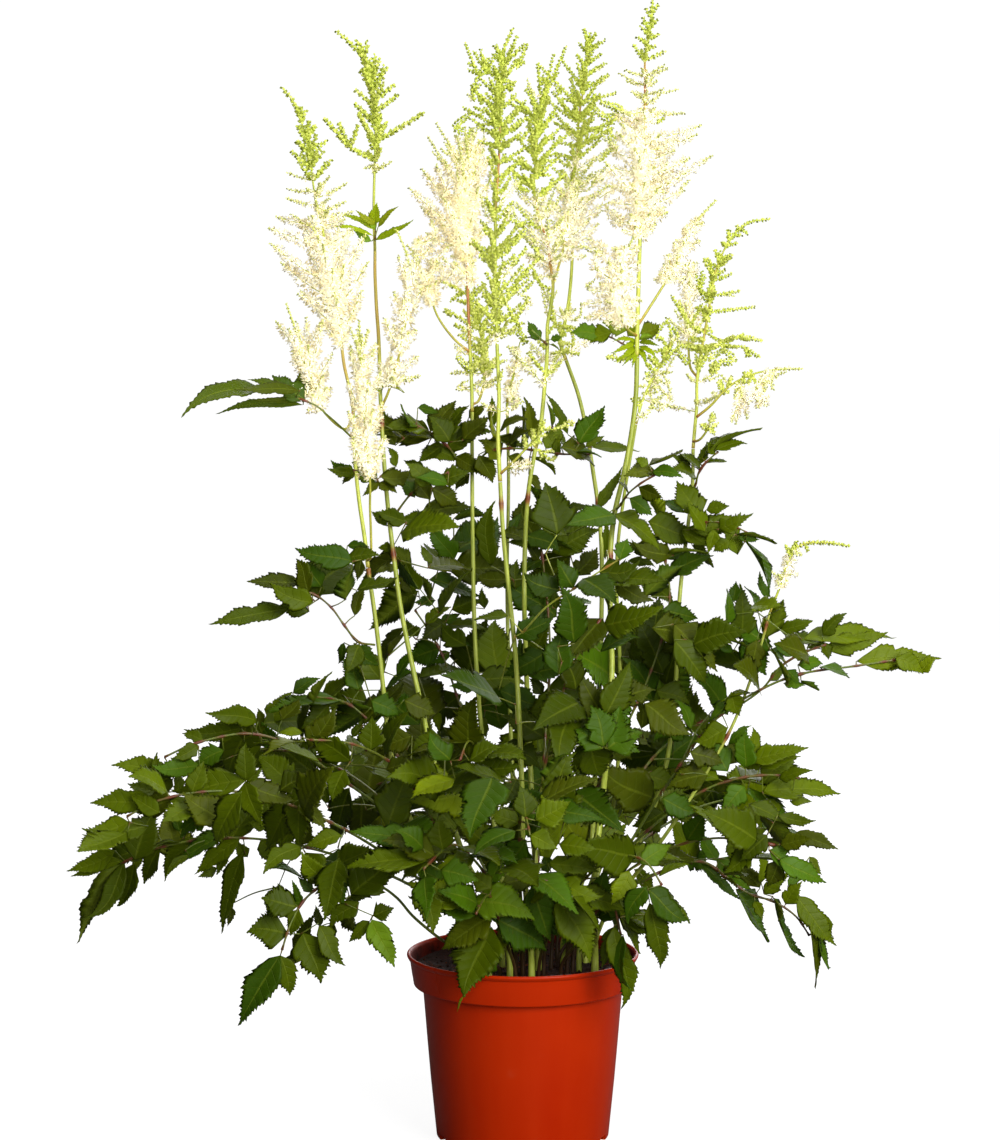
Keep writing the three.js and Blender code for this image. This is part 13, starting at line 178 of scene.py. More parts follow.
  ((-1,((-63.8,105.5,350.2),(-62.7,113.6,348.1),)),(-1,((-81.8,110,377.9),(-76.2,107.1,382.2),(-70.6,104.3,386.4),)),(-1,((-69.9,107.3,360.6),(-63.9,109.1,364.9),(-58,110.9,369.3),)),(2,((-58,110.9,369.3),(-55.9,111.2,373.6),(-53.8,111.6,377.9),)),(1,((-70.6,104.3,386.4),(-67.7,106.3,396.2),(-64.9,108.3,406),(-62.1,110.4,415.8),)),(4,((-62.1,110.4,415.8),(-58.7,108.5,417.9),)),(-1,((-32.4,82.6,257.2),(-27.7,88.9,258.8),(-23.1,95.2,260.6),(-18.5,101.5,262.2),(-13.8,107.9,263.5),(-9.1,114.3,264.1),)),(-1,((-44.9,94.7,297.7),(-40,103.7,300),(-35.2,112.7,302),(-30.2,121.9,302.7),(-25.3,131.1,302.1),(-20.3,140.3,301.2),)),(-1,((-46.6,96,303.3),(-54,89.4,305),(-61.5,82.8,306.5),(-69.1,76.1,306.7),(-76.6,69.4,305.6),(-84.1,62.8,304.4),)),(-1,((-56.5,102.2,333.2),(-53.2,114.3,336.1),(-49.9,126.5,338.1),(-46.6,138.8,337.6),)),(-1,((-64.4,105.7,351.3),(-69.5,97.6,355.1),(-74.8,89.3,357.5),(-80.2,80.6,358.4),)),(4,((-63.8,109.2,409.9),(-59.3,106.7,408.9),(-54.8,104.2,408),)),(9,((-46.8,138,337.7),(-44.4,136.3,331),(-41.9,134.6,324.4),)),(6,((-9.5,113.7,264.1),(-2.6,108.9,271.5),(4.2,104.1,278.9),(11.1,99.4,286.4),)),(7,((-20.3,140.3,301.2),(-18.7,142.5,294.3),(-17.1,144.7,287.3),(-15.6,146.9,280.4),)),(8,((-84.1,62.8,304.4),(-80.4,59.3,300.6),(-76.7,55.8,296.9),)),(5,((-58.7,108.5,417.9),(-55.3,114.3,419.6),(-51.9,120.2,421.4),)),(8,((-74.7,71.1,306),(-72.6,69.6,301.7),(-70.5,68.2,297.5),)),(1,((-77.3,107.7,381.3),(-78.3,113.2,386.6),(-79.4,118.7,391.9),)),(11,((-54.8,104.2,408),(-53.1,102.9,412.5),(-51.5,101.7,417),)),(2,((-58,110.9,369.3),(-57.9,114.1,365.6),)),(4,((-66.3,107.3,401.1),(-71.1,105.8,401.5),)),(8,((-70,75.3,306.7),(-72.7,77.6,314.1),(-75.4,80,321.6),(-78.2,82.3,329.1),)),(-1,((-50,98.4,314.1),(-48.2,105.6,313.4),(-46.4,112.8,312.7),)),(18,((-78.5,114.3,387.6),(-82.9,110.4,389.6),)),(9,((-51.7,119.9,337.3),(-52.5,121.9,330.3),(-53.4,123.9,323.3),)),(10,((-80.2,80.6,358.4),(-84.6,80.9,363.1),(-88.9,81.1,367.7),)),(0,((-62.7,113.6,348.1),(-62.5,114.8,354.8),)),(16,((-51.9,120.2,421.4),(-52.1,119.7,430.1),(-52.2,119.1,438.8),(-52.4,118.6,447.6),)),(3,((-53.8,111.6,377.9),(-45.4,112.8,379.1),(-36.9,114,379.2),(-28.5,115.3,378.3),)),(1,((-70.6,104.3,386.4),(-68.4,109.2,386.3),(-66.3,113.9,385),)),(2,((-58,110.9,369.3),(-62.4,112.9,368.8),)),(10,((-79.5,81.8,358.3),(-78.6,82.5,360.5),)),(-1,((-61,104.3,344.3),(-54.9,107.3,345.8),)),(7,((-30,122.3,302.7),(-30.5,126.8,302.3),)),(8,((-66.1,78.7,306.9),(-66,83.6,305.8),(-65.9,88.1,303.7),)),(-1,((-37.3,87.8,273.3),(-43.8,88.1,270.9),(-49.9,88.4,267.7),(-55.7,88.7,264),)),),
  ((-62.7,113.6,348.1,-88,119.8,337.6,-105,4,20.2,0.02),(-70.6,104.3,386.4,-79.4,102.5,406.8,27,23,16,0.087),(-58,110.9,369.3,-76.6,103,355.8,-73,8,17.5,0.032),(-53.8,111.6,377.9,-30.9,114.3,383.8,-91,27,17.2,0.077),(-62.1,110.4,415.8,-74.9,108.5,429.9,-25,37,13.8,-0.06),(-58.7,108.5,417.9,-40.6,111.7,430.8,-149,53,16.2,0.071),(-54.8,104.2,408,-4.2,103.2,413.4,-95,34,26.5,0.064),(-41.9,134.6,324.4,-26.7,119.9,370.8,-106,-12,29.7,0.058),(11.1,99.4,286.4,-13.5,118.6,241.3,-125,-2,28.2,0.056),(-15.6,146.9,280.4,-24.5,142.6,333.1,-98,-6,25.6,0.074),(-76.7,55.8,296.9,-102.8,80.4,320.8,-112,29,22,0.074),(-51.9,120.2,421.4,-18.4,166.9,446.1,-61,45,27.8,0.025),(-70.5,68.2,297.5,-84.4,125.9,330.3,-72,61,36.3,0.086),(-79.4,118.7,391.9,-118.2,116.6,361.8,116,27,27.6,0.072),(-51.5,101.7,417,-69.3,96.3,444.4,-79,-4,16.8,0.062),(-57.9,114.1,365.6,-26.6,110.8,363.1,-87,62,15,0.054),(-71.1,105.8,401.5,-31.4,118.4,388.2,-51,48,19.5,0.083),(-78.2,82.3,329.1,-40.2,106.3,331.3,-83,83,26.3,0.07),(-46.4,112.8,312.7,-63.2,138.2,275.3,-143,-3,24.1,0.08),(-82.9,110.4,389.6,-91.2,115.6,413.1,-102,8,13.2,0.071),(-53.4,123.9,323.3,-12.6,122.7,317.1,-50,77,22.9,0.032),(-88.9,81.1,367.7,-110.8,91,332.8,-157,25,24.2,0.061),(-62.5,114.8,354.8,-37.8,117.6,348.4,-54,63,15.3,0.054),(-52.4,118.6,447.6,-26.4,128.7,448.7,114,51,14.4,0.044),(-28.5,115.3,378.3,-30.2,122.5,394.5,-90,25,6.5,0.05),(-66.3,113.9,385,-83,109.8,383.8,-77,23,8.1,0.044),(-62.4,112.9,368.8,-46.8,116,374.8,-104,20,7.6,0.022),(-78.6,82.5,360.5,-87.2,78.7,375.1,-105,31,9.9,0.032),(-54.9,107.3,345.8,-69.3,104.9,337.4,-109,18,7.9,0.048),(-30.5,126.8,302.3,-30.3,123.2,319.8,-80,31,6.5,0.02),(-65.9,88.1,303.7,-63.2,94,286.2,-75,21,6.5,0.059),(-55.7,88.7,264,-44.7,89.4,276.6,-70,11,6.7,0.022),)),
 "centre_tall_front": (True, ((5.1,-26.8,111),(5.1,-27,131.1),(5.5,-29.4,151),(5.8,-35.9,170),(6.2,-44,188.4),(6.8,-52.3,206.7),(7.9,-60.1,225.2),(9.5,-66.8,244),(11.6,-73,263.1),(14.3,-78.6,282.2),(17.6,-83.9,301.3),(21.9,-88.7,320.3),(27,-92.8,339.3),(33.4,-96.8,357.9),(42.1,-100.9,375.6),(52.7,-105,392.1),),
  ((-1,((28.8,-94,344.9),(36.1,-94.5,341.6),)),(-1,((43.1,-101.3,377.2),(48.1,-103.1,373.5),(53,-104.8,369.8),)),(-1,((19,-85.7,307.9),(28.4,-84.5,305.9),(37.8,-83.4,303.9),(47.2,-82.2,302),)),(2,((47.2,-82.2,302),(49.7,-82.9,308.8),(52.3,-83.6,315.6),)),(3,((52.3,-83.6,315.6),(57.1,-84.2,321.6),(61.9,-84.7,327.5),(66.7,-85.3,333.5),)),(4,((54.4,-83.8,318.1),(58.4,-82.4,315.2),(62.3,-80.9,312.3),)),(-1,((11,-71.2,257.3),(2.1,-75.9,262),(-6.7,-80.5,266.8),(-15.6,-85.3,271.2),(-24.9,-90.2,274.5),(-34.5,-95.3,276.7),)),(-1,((9.5,-66.8,244),(19.1,-65.5,247.5),(28.7,-64.2,251),(38.5,-62.8,253.7),)),(-1,((20.6,-87.4,314.6),(15.4,-94.7,317),(10.2,-102,319.4),(5,-109.4,321.3),(-0.3,-117,322.2),(-5.7,-124.6,322.1),)),(-1,((21.5,-88.3,318.4),(30.8,-83,321.4),(40.2,-77.6,324.3),(49.9,-72.2,325.8),(59.6,-66.6,325.8),(69.3,-61.1,325.6),)),(-1,((34.9,-97.6,361.6),(31.8,-107.2,363.9),(28.8,-117,365.6),(25.7,-126.9,365.3),)),(10,((25.8,-126.4,365.3),(24.3,-126.8,370.7),(22.8,-127.2,376),)),(-1,((51.2,-104.4,389.6),(55,-103.6,387.8),)),(5,((62.3,-80.9,312.3),(60.5,-83.1,307.2),)),(7,((37.9,-62.9,253.6),(36.5,-69.3,260.7),(35.1,-75.8,267.9),)),(11,((23,-127.2,375.5),(28.8,-127.6,376.9),(34.6,-128.1,378.4),)),(9,((37.1,-79.4,323.4),(38.4,-82.5,327),(39.6,-85.5,330.5),)),(-1,((52.7,-105,392.1),(54.8,-101.8,393),)),(4,((58.5,-84.3,323.3),(57.6,-92.2,323.8),(56.7,-100.2,324.4),)),(8,((-5.4,-124.2,322.1),(-5.8,-124.8,328.9),(-6.2,-125.3,335.7),)),(7,((23.6,-64.9,249.2),(22,-61,251),(20.5,-57,252.7),)),(6,((-10.8,-82.7,268.9),(-7.9,-83.7,273),(-5,-84.7,277),)),(6,((-33.8,-95,276.5),(-33.9,-93.1,281.4),(-34,-91.2,286.3),)),(9,((69.3,-61.1,325.6),(68.5,-57.7,328.7),(67.7,-54.2,331.8),)),(10,((25.8,-126.4,365.3),(24.7,-124.9,360.6),(23.5,-123.5,355.8),)),(16,((39.6,-85.5,330.5),(41.4,-88,333.9),)),(19,((-6.2,-125.3,335.7),(-9.9,-130.4,337.9),(-13.6,-135.5,340.1),(-17.3,-140.7,342.2),)),(-1,((15.6,-81,290.5),(15.6,-69.1,295.4),(15.6,-56.7,298.9),(15.6,-44,300.9),)),(21,((-5,-84.7,277),(-7.7,-76.1,281.2),(-10.4,-67.5,285.5),(-13.1,-58.6,288.9),(-16,-49.3,291),(-18.9,-40,293.1),)),(9,((44,-75.5,325.1),(39.4,-68.2,328.1),(34.9,-60.9,331),(30.2,-53.4,333),(25.4,-45.7,333.9),(20.6,-38,334.8),)),(18,((56.7,-100.2,324.4),(55.8,-104.6,317.4),(54.9,-108.4,310.2),(54.1,-112,302.8),)),(18,((56.7,-100.2,324.4),(56.3,-104.6,317.9),(55.9,-108.4,311.1),(55.5,-112,304.2),)),(18,((56.7,-100.2,324.4),(56.8,-103.8,317.7),(56.9,-107,310.9),(57,-110,303.9),)),(18,((56.7,-100.2,324.4),(57.1,-104.6,317.4),(57.4,-108.4,310.2),(57.6,-112,302.8),)),),
  ((36.1,-94.5,341.6,25.3,-102.5,367.5,-54,0,21,0.079),(53,-104.8,369.8,80.7,-104.7,379.7,-129,60,21.1,0.078),(47.2,-82.2,302,55.7,-62.8,275.8,-69,-30,24.2,0.085),(52.3,-83.6,315.6,37.4,-79.6,327.3,-94,14,13.9,0.037),(66.7,-85.3,333.5,91.7,-84.3,340.9,-96,25,18.8,0.032),(62.3,-80.9,312.3,82,-89.5,297.5,-90,30,18.8,0.077),(55,-103.6,387.8,95.8,-126.1,404.9,-132,31,24.2,0.04),(60.5,-83.1,307.2,38.4,-94.4,353.8,-73,-5,25.7,0.055),(35.1,-75.8,267.9,69.6,-103.6,243.1,-103,38,24.7,0.032),(34.6,-128.1,378.4,23.8,-138.2,419.1,-85,-13,22,0.052),(39.6,-85.5,330.5,25.4,-128.3,289.2,-59,35,28.3,0.046),(54.8,-101.8,393,30.2,-122.6,365.6,-97,41,23.1,0.022),(56.7,-100.2,324.4,74.5,-95.3,362.2,-75,0,20.3,0.038),(20.5,-57,252.7,-6.4,-61.6,228.4,-102,22,20.4,0.049),(-5,-84.7,277,-17.3,-101.3,259,-91,43,13.8,0.05),(-34,-91.2,286.3,-52.6,-103.3,269.1,-119,49,13.7,0.041),(67.7,-54.2,331.8,72.7,-67.8,301.5,-61,25,16.3,0.026),(23.5,-123.5,355.8,28.6,-117.7,388.3,-97,11,19.9,0.03),(41.4,-88,333.9,5.5,-123.2,317.5,-66,47,27.4,0.067),(-17.3,-140.7,342.2,-57.6,-185.6,365.4,-19,46,30.7,0.039),(15.6,-44,300.9,-16.7,-41,316.4,-83,30,20,0.04),(-18.9,-40,293.1,12.1,-37,276.7,-96,18,19,0.04),(20.6,-38,334.8,4.9,-35,301.8,-74,19,18,0.04),(54.1,-112,302.8,35.4,-109,316.4,-100,30,21,0.04),(55.5,-112,304.2,45.8,-109,333.2,-90,37,22,0.04),(57,-110,303.9,66.7,-107,332.2,-82,38,24,0.04),(57.6,-112,302.8,82.7,-109,313.6,-77,27,23,0.04),)),
 "centre_tall": (True, ((4.4,26.4,111),(4.4,26.5,130.3),(4.9,28,149.5),(7,31.1,168.5),(9.9,34.8,187.2),(12.5,38.7,206),(14.2,42.6,224.8),(15.2,46.8,243.6),(16,50.8,262.5),(16.8,54.4,281.5),(18,57.1,300.6),(19.5,59.1,319.7),(20.6,60.8,338.9),(20.7,62.5,358.1),(19.6,64,377.4),(17.9,65.4,396.6),(15.8,66.7,415.7),(13.3,68,434.8),),
  ((-1,((13.3,68,434.8),(14,72,435),)),(-1,((13.3,68,434.8),(8.1,64.8,436.8),(2.9,61.5,438.9),)),(0,((14,72,435),(18.5,71.3,440.2),(23.1,70.7,445.5),)),(2,((23.1,70.7,445.5),(21,73.7,449.8),)),(-1,((16.4,52.7,272),(30.6,50.6,277.4),(45,48.5,282.7),(59.8,46.3,286.1),(74.9,44.1,287.6),(90.1,41.9,288.6),)),(-1,((17.2,55.3,287.7),(8.4,60.1,292.2),(-0.4,64.8,296.6),(-9.4,69.6,300.5),(-18.7,74.6,303.1),(-28.2,79.7,304.7),)),(-1,((20.5,60.7,337.4),(33.1,59.7,341.4),(45.8,58.8,345.2),(58.9,57.8,347.4),(72.1,56.8,347.8),(85.3,55.8,348),)),(-1,((20.1,60,329.4),(8.9,58.4,332.5),(-2.3,56.8,335.4),(-13.8,55.1,336.8),(-25.3,53.4,336.7),(-36.9,51.8,336.3),)),(-1,((19.3,64.3,381.2),(21.2,72.6,383.7),(23.1,80.9,386),(25.1,89.3,387.2),(27,97.9,387.2),(29,106.5,387.1),)),(-1,((18.6,64.9,389.2),(19.3,56.4,390.1),(20,47.8,391),(20.7,39.3,391.1),(21.4,30.8,390),(22.1,22.3,388.4),)),(6,((67.3,57.2,347.8),(67.4,54.7,339.4),(67.6,52.2,331),)),(8,((21.4,73.2,383.8),(26.1,73.4,376.3),)),(-1,((19.3,59,318.1),(13.3,60.7,317.9),)),(7,((-18.6,54.4,336.9),(-18.7,53.5,330.4),)),(-1,((15.9,50,258.7),(23,51.7,258.4),)),(6,((85.3,55.8,348),(88.8,54.4,345.2),(92.3,53,342.5),)),(10,((67.5,53.2,334.3),(70.4,57.7,332.3),(73.3,62.2,330.4),)),(4,((81,43.2,287.9),(80.7,39.8,285.3),)),(-1,((15.3,67,419.9),(22.3,71.8,420.7),(29.3,76.6,421.6),(36.4,81.3,422.4),)),(1,((2.9,61.5,438.9),(2.9,56,435.6),)),(4,((90.1,41.9,288.6),(88.4,40,295.8),)),(8,((29,106.5,387.1),(30.1,107.4,384.1),)),(15,((92.3,53,342.5),(97.3,53.6,337.3),(102.2,54.1,332.1),(107.2,54.7,326.9),)),(3,((21,73.7,449.8),(21.7,70.8,457.6),)),(7,((-33.9,52.2,336.4),(-33.9,49.6,331.2),)),(7,((-36.9,51.8,336.3),(-38.5,49.2,343.5),(-40,46.6,350.6),(-41.6,44.1,357.7),)),(-1,((16.7,66.2,408),(8.9,62,407.3),(1.1,57.7,406.6),(-6.7,53.5,405.9),)),(26,((-6.7,53.5,405.9),(-12,54.1,409.9),(-17.7,54.8,413.5),(-23.7,55.5,416.3),)),(23,((21.7,70.8,457.6),(27.7,72.6,458.9),(33.7,74.4,458.7),)),(1,((2.9,61.5,438.9),(-3.3,64,441.1),(-9.8,66.6,441.7),)),(2,((23.1,70.7,445.5),(28,76.2,441.8),)),(-1,((14.8,67.3,423.9),(18.4,69.7,425),(22.2,72.2,425.1),)),(18,((36.4,81.3,422.4),(38.7,82.4,414.4),(40.6,83.3,406.3),)),(19,((2.9,56,435.6),(5,61,432.5),)),(-1,((14.8,67.3,423.9),(12.4,67.9,419.3),)),(26,((-6.7,53.5,405.9),(-6,57.6,402.4),(-5.4,61.1,398.4),)),(26,((-6.7,53.5,405.9),(-9.9,58.5,404),(-12.9,63,400.8),)),(9,((22.1,22.9,388.5),(24.6,31,386.3),)),(7,((0.7,57.2,334.7),(3.1,57.3,340.1),)),(7,((0.7,57.2,334.7),(-0.7,62.1,332.5),)),(24,((-33.9,49.6,331.2),(-33.4,54.7,329.7),(-32.9,59.2,327.1),)),(12,((13.3,60.7,317.9),(15.9,68.5,318.1),)),(5,((-27.5,79.3,304.6),(-28.3,84.4,301.9),(-29,88.9,298.3),)),(4,((47.5,48.1,283.5),(49.9,56.4,282.8),)),(-1,((11.5,37.1,198.1),(8.9,41.7,197.4),(6.4,46,195.5),)),(-1,((10.5,35.6,191),(15.1,35.7,190.2),(19.5,35.7,188.3),)),),
  ((14,72,435,40.6,67.3,426.8,11,72,20.4,0.036),(15.3,67,419.9,-4,59.7,409.6,-112,55,16.2,0.035),(2.9,61.5,438.9,27.9,55.3,426.5,-90,27,17.7,0.034),(23.1,70.7,445.5,35.4,58.1,465.2,-120,-13,13.8,0.078),(21,73.7,449.8,3.8,73,476.6,26,30,22.9,0.049),(67.6,52.2,331,29.4,9,361.4,-34,15,35.1,0.087),(26.1,73.4,376.3,-18,65.8,406.1,-80,1,24,0.033),(13.3,60.7,317.9,63.7,62.6,311.2,-85,22,29.9,0.067),(-18.7,53.5,330.4,-19.9,86.9,372.9,-87,38,28.4,0.077),(10.7,66.4,435.8,3.3,76.6,467.5,-106,14,19.4,0.053),(23,51.7,258.4,-15,48.6,249.1,-104,52,21.9,0.071),(92.3,53,342.5,70.9,49.7,375.1,-62,13,19.7,0.027),(73.3,62.2,330.4,82.3,85.8,361.5,-99,38,17.7,0.044),(80.7,39.8,285.3,38.4,68.4,297.2,-115,35,25.2,0.024),(36.4,81.3,422.4,-2,104.7,402.4,-110,-25,29.4,0.022),(2.9,56,435.6,-18.6,68.1,440.2,-104,55,14.9,0.071),(88.4,40,295.8,85.6,53,318.5,-44,26,14.8,0.058),(30.1,107.4,384.1,53.5,122.6,383.9,-55,70,16.3,0.036),(107.2,54.7,326.9,114.1,39.1,355.8,-117,-20,18.1,0.075),(2.5,57.5,334.3,40.8,47.1,337,-113,48,22,0.036),(-33.9,49.6,331.2,4.1,51.9,327.4,-83,32,19.2,0.027),(-41.6,44.1,357.7,-60.6,60.8,374,-118,19,15,0.077),(-6.7,53.5,405.9,-34.7,65,410.5,-104,43,16.5,0.064),(-23.7,55.5,416.3,-20,50.2,465.9,-103,26,15.9,0.064),(33.7,74.4,458.7,50.1,74.3,461.1,-82,30,6.5,0.067),(-9.8,66.6,441.7,-0.6,70.7,455.2,-88,19,6.5,0.045),(28,76.2,441.8,44.5,77.1,443.8,-85,29,6.9,0.046),(22.2,72.2,425.1,58.8,74.8,442.3,-102,25,22.6,0.054),(40.6,83.3,406.3,57,91.1,427.9,-79,34,16.3,0.035),(5,61,432.5,-11.4,62.7,433.3,-92,18,6.5,0.044),(12.4,67.9,419.3,1.6,64.9,432.1,-94,26,9.4,0.069),(-5.4,61.1,398.4,-3.6,66.6,420.7,-91,21,10.6,0.067),(-12.9,63,400.8,-28.5,58,406.7,-89,15,6.5,0.04),(24.6,31,386.3,23,28.6,402.7,-99,33,7.4,0.045),(3.1,57.3,340.1,20.7,52.1,375.9,-110,32,17.1,0.061),(-0.7,62.1,332.5,-2.5,65.3,365.6,-101,18,6.5,0.046),(-32.9,59.2,327.1,-55,53.5,326.3,-104,21,10.7,0.048),(15.9,68.5,318.1,4.6,70.3,330.1,-89,17,9,0.053),(-29,88.9,298.3,-27,90.8,281.3,-86,33,6.5,0.035),(49.9,56.4,282.8,37,57.9,272.4,-111,23,6.5,0.051),(6.4,46,195.5,4.1,42.1,212.7,-79,22,6.5,0.045),(19.5,35.7,188.3,15,36.6,204.2,-92,19,8.8,0.026),)),
 "centre_right_tall": (True, ((20.9,0,111),(21,0.1,130.4),(22.5,0.4,149.8),(25.8,2.7,168.7),(30,5.9,187.4),(34.9,8.8,206),(41.1,10.4,224.3),(48.5,10.7,242.3),(56.6,10.4,259.9),(64.9,10,277.4),(73,10.1,295.1),(81,10.5,312.8),(89.1,11.2,330.4),(96.3,11.9,348.5),(102.3,12.8,366.9),(106.9,13.7,385.7),(107.5,14.1,405.1),(104.2,14,424.2),),
  ((-1,((55.2,10.5,256.9),(57,-1.2,254.2),(58.7,-12.9,251.4),(60.4,-24.4,247.6),(62,-35.2,242.4),(63.6,-45.8,236.6),)),(-1,((58.6,10.3,264.2),(62.8,24.8,268.6),(67,39.3,272.7),(71.3,54.2,275),(75.7,69.3,275.2),(80,84.4,275),)),(-1,((82.9,10.7,316.8),(86,-1.9,320.5),(89.2,-14.5,324),(92.4,-27.4,325.9),(95.6,-40.4,326),(98.9,-53.4,325.8),)),(-1,((85.4,10.9,322.3),(86.6,19.7,325.3),(87.7,28.6,328.5),)),(-1,((104.5,13.2,374.8),(107.1,5.2,375.1),(109.6,-2.8,375.1),(112.1,-10.7,374.1),(114.6,-18.4,372.1),(117,-26.1,369.9),)),(-1,((101.8,12.7,365.2),(101.5,24,367.7),(101.3,35.5,368.5),(101,47.1,367.6),)),(4,((112.3,-11.3,374),(109,-13.1,379.7),)),(-1,((94.1,11.7,342.5),(98.9,17.8,340.7),(103.7,23.8,338.8),)),(2,((98.9,-53.4,325.8),(92.3,-57,326.9),(85.8,-60.6,328),)),(5,((101,47.1,367.6),(99.4,49.1,362.8),(97.7,51.1,358.1),)),(-1,((108,14,397.5),(101.4,12.3,397.6),(94.7,10.6,397.6),(88.1,8.8,397.7),)),(4,((117,-26.1,369.9),(112.7,-28.4,370),(108.5,-30.6,370.1),)),(-1,((106.3,14.1,412.4),(106.6,19.5,412.6),)),(1,((79.2,81.5,275),(86.9,79.6,274.2),(94.6,77.6,273.4),(102.3,75.7,272.6),)),(6,((109,-13.1,379.7),(101.2,-13.9,378.4),(93.3,-14.6,377.1),)),(-1,((104.2,14,424.2),(109.8,13.6,427.6),)),(0,((63.5,-45.2,236.9),(59.1,-42.3,231.4),(54.6,-39.3,225.9),(50.2,-36.4,220.3),)),(-1,((107.3,13.8,388.5),(102.1,8.1,388.4),)),(3,((87.7,28.2,328.3),(92.2,28.9,323),(96.7,29.6,317.7),)),(4,((117,-26.1,369.9),(121.8,-28.8,366.1),)),(10,((91.4,9.7,397.7),(89.7,15.8,400.9),(88,21.9,404.1),(86.3,27.9,407.2),)),(-1,((67.2,10,282.2),(61.6,6.2,285.2),(56.1,2.5,288.3),)),(-1,((49.3,10.7,244.2),(49.6,15.7,243.8),(49.9,20.7,243.3),)),(15,((107,13.8,425.9),(105.5,9.5,429.4),)),(-1,((104.2,14,424.2),(96.7,14.5,426.4),(88.9,14.9,426.8),)),(15,((109.8,13.6,427.6),(108.9,24.8,427),(108,35.8,425.1),(107.2,46.5,422),)),(20,((86.3,27.9,407.2),(82.5,29.6,415.1),(78,31.7,422.4),)),(10,((88.1,8.8,397.7),(88.9,11,392.6),(89.5,12.8,387.3),)),(5,((101.7,18.6,366.5),(109.4,19.1,366.8),(117.1,19.5,366.1),(124.6,20,364.6),)),(3,((86.8,21.4,326),(92.5,20.7,327.4),(98.3,20,327.5),)),),
  ((109,-13.1,379.7,141,-20.7,345.6,-70,28,26.8,0.056),(103.7,23.8,338.8,85.1,30.7,382.4,-78,14,22.5,0.05),(85.8,-60.6,328,119.7,-69.7,307.1,-93,19,22.8,0.031),(97.7,51.1,358.1,103.3,69.1,392.4,-91,28,20.3,0.047),(88.1,8.8,397.7,119.6,7.9,422.1,114,29,20.7,0.03),(108.5,-30.6,370.1,133,-24.2,336.7,-63,9,22.1,0.088),(106.6,19.5,412.6,140.9,22.2,426.9,-105,39,17.2,0.066),(102.3,75.7,272.6,70.4,107.6,263.5,-135,0,20.8,0.036),(93.3,-14.6,377.1,128,3.9,367.6,-56,23,22.7,0.022),(109.8,13.6,427.6,79.3,9.3,440,-65,35,18.3,0.043),(50.2,-36.4,220.3,75.7,-26.1,236.4,-82,22,16.3,0.041),(102.1,8.1,388.4,129.1,21.5,380.4,-59,16,15.1,0.057),(96.7,29.6,317.7,72.5,23.3,351.8,-62,10,20.6,0.072),(121.8,-28.8,366.1,159.4,-49,378,-120,7,23.4,0.026),(86.3,27.9,407.2,113.4,39.4,387.3,-45,29,19.1,0.054),(56.1,2.5,288.3,80.6,12.6,276.7,-56,26,17.2,0.076),(49.9,20.7,243.3,38.7,27.9,270.8,-35,26,15.8,0.069),(105.5,9.5,429.4,134.5,0.2,430.7,81,74,14,0.036),(88.9,14.9,426.8,77.4,22,437.4,-96,15,6.5,0.02),(107.2,46.5,422,122.2,51.5,428.7,-98,27,6.5,0.045),(78,31.7,422.4,98.8,38,416.4,-94,20,6.7,0.038),(89.5,12.8,387.3,75.8,17.8,374.9,-112,33,8.8,0.068),(124.6,20,364.6,101.3,23,355.4,-83,25,17,0.04),(98.3,20,327.5,123.6,23,316.7,-103,25,18,0.04),)),
 "back_left": (True, ((-10.3,36.3,111),(-10.4,36.6,131.4),(-12,41.6,150.9),(-16.9,56.8,163.5),(-22.5,74.1,172.9),(-28.7,91.6,181.6),(-35.6,108.4,191.1),(-43,124.6,201.1),(-50.9,140.9,210.7),(-59.7,157.4,219.1),(-69.4,174.3,225.2),(-79.9,191.5,229.1),(-91.6,208.2,230.6),(-105.1,223.3,228.4),(-119.9,236,222.1),),
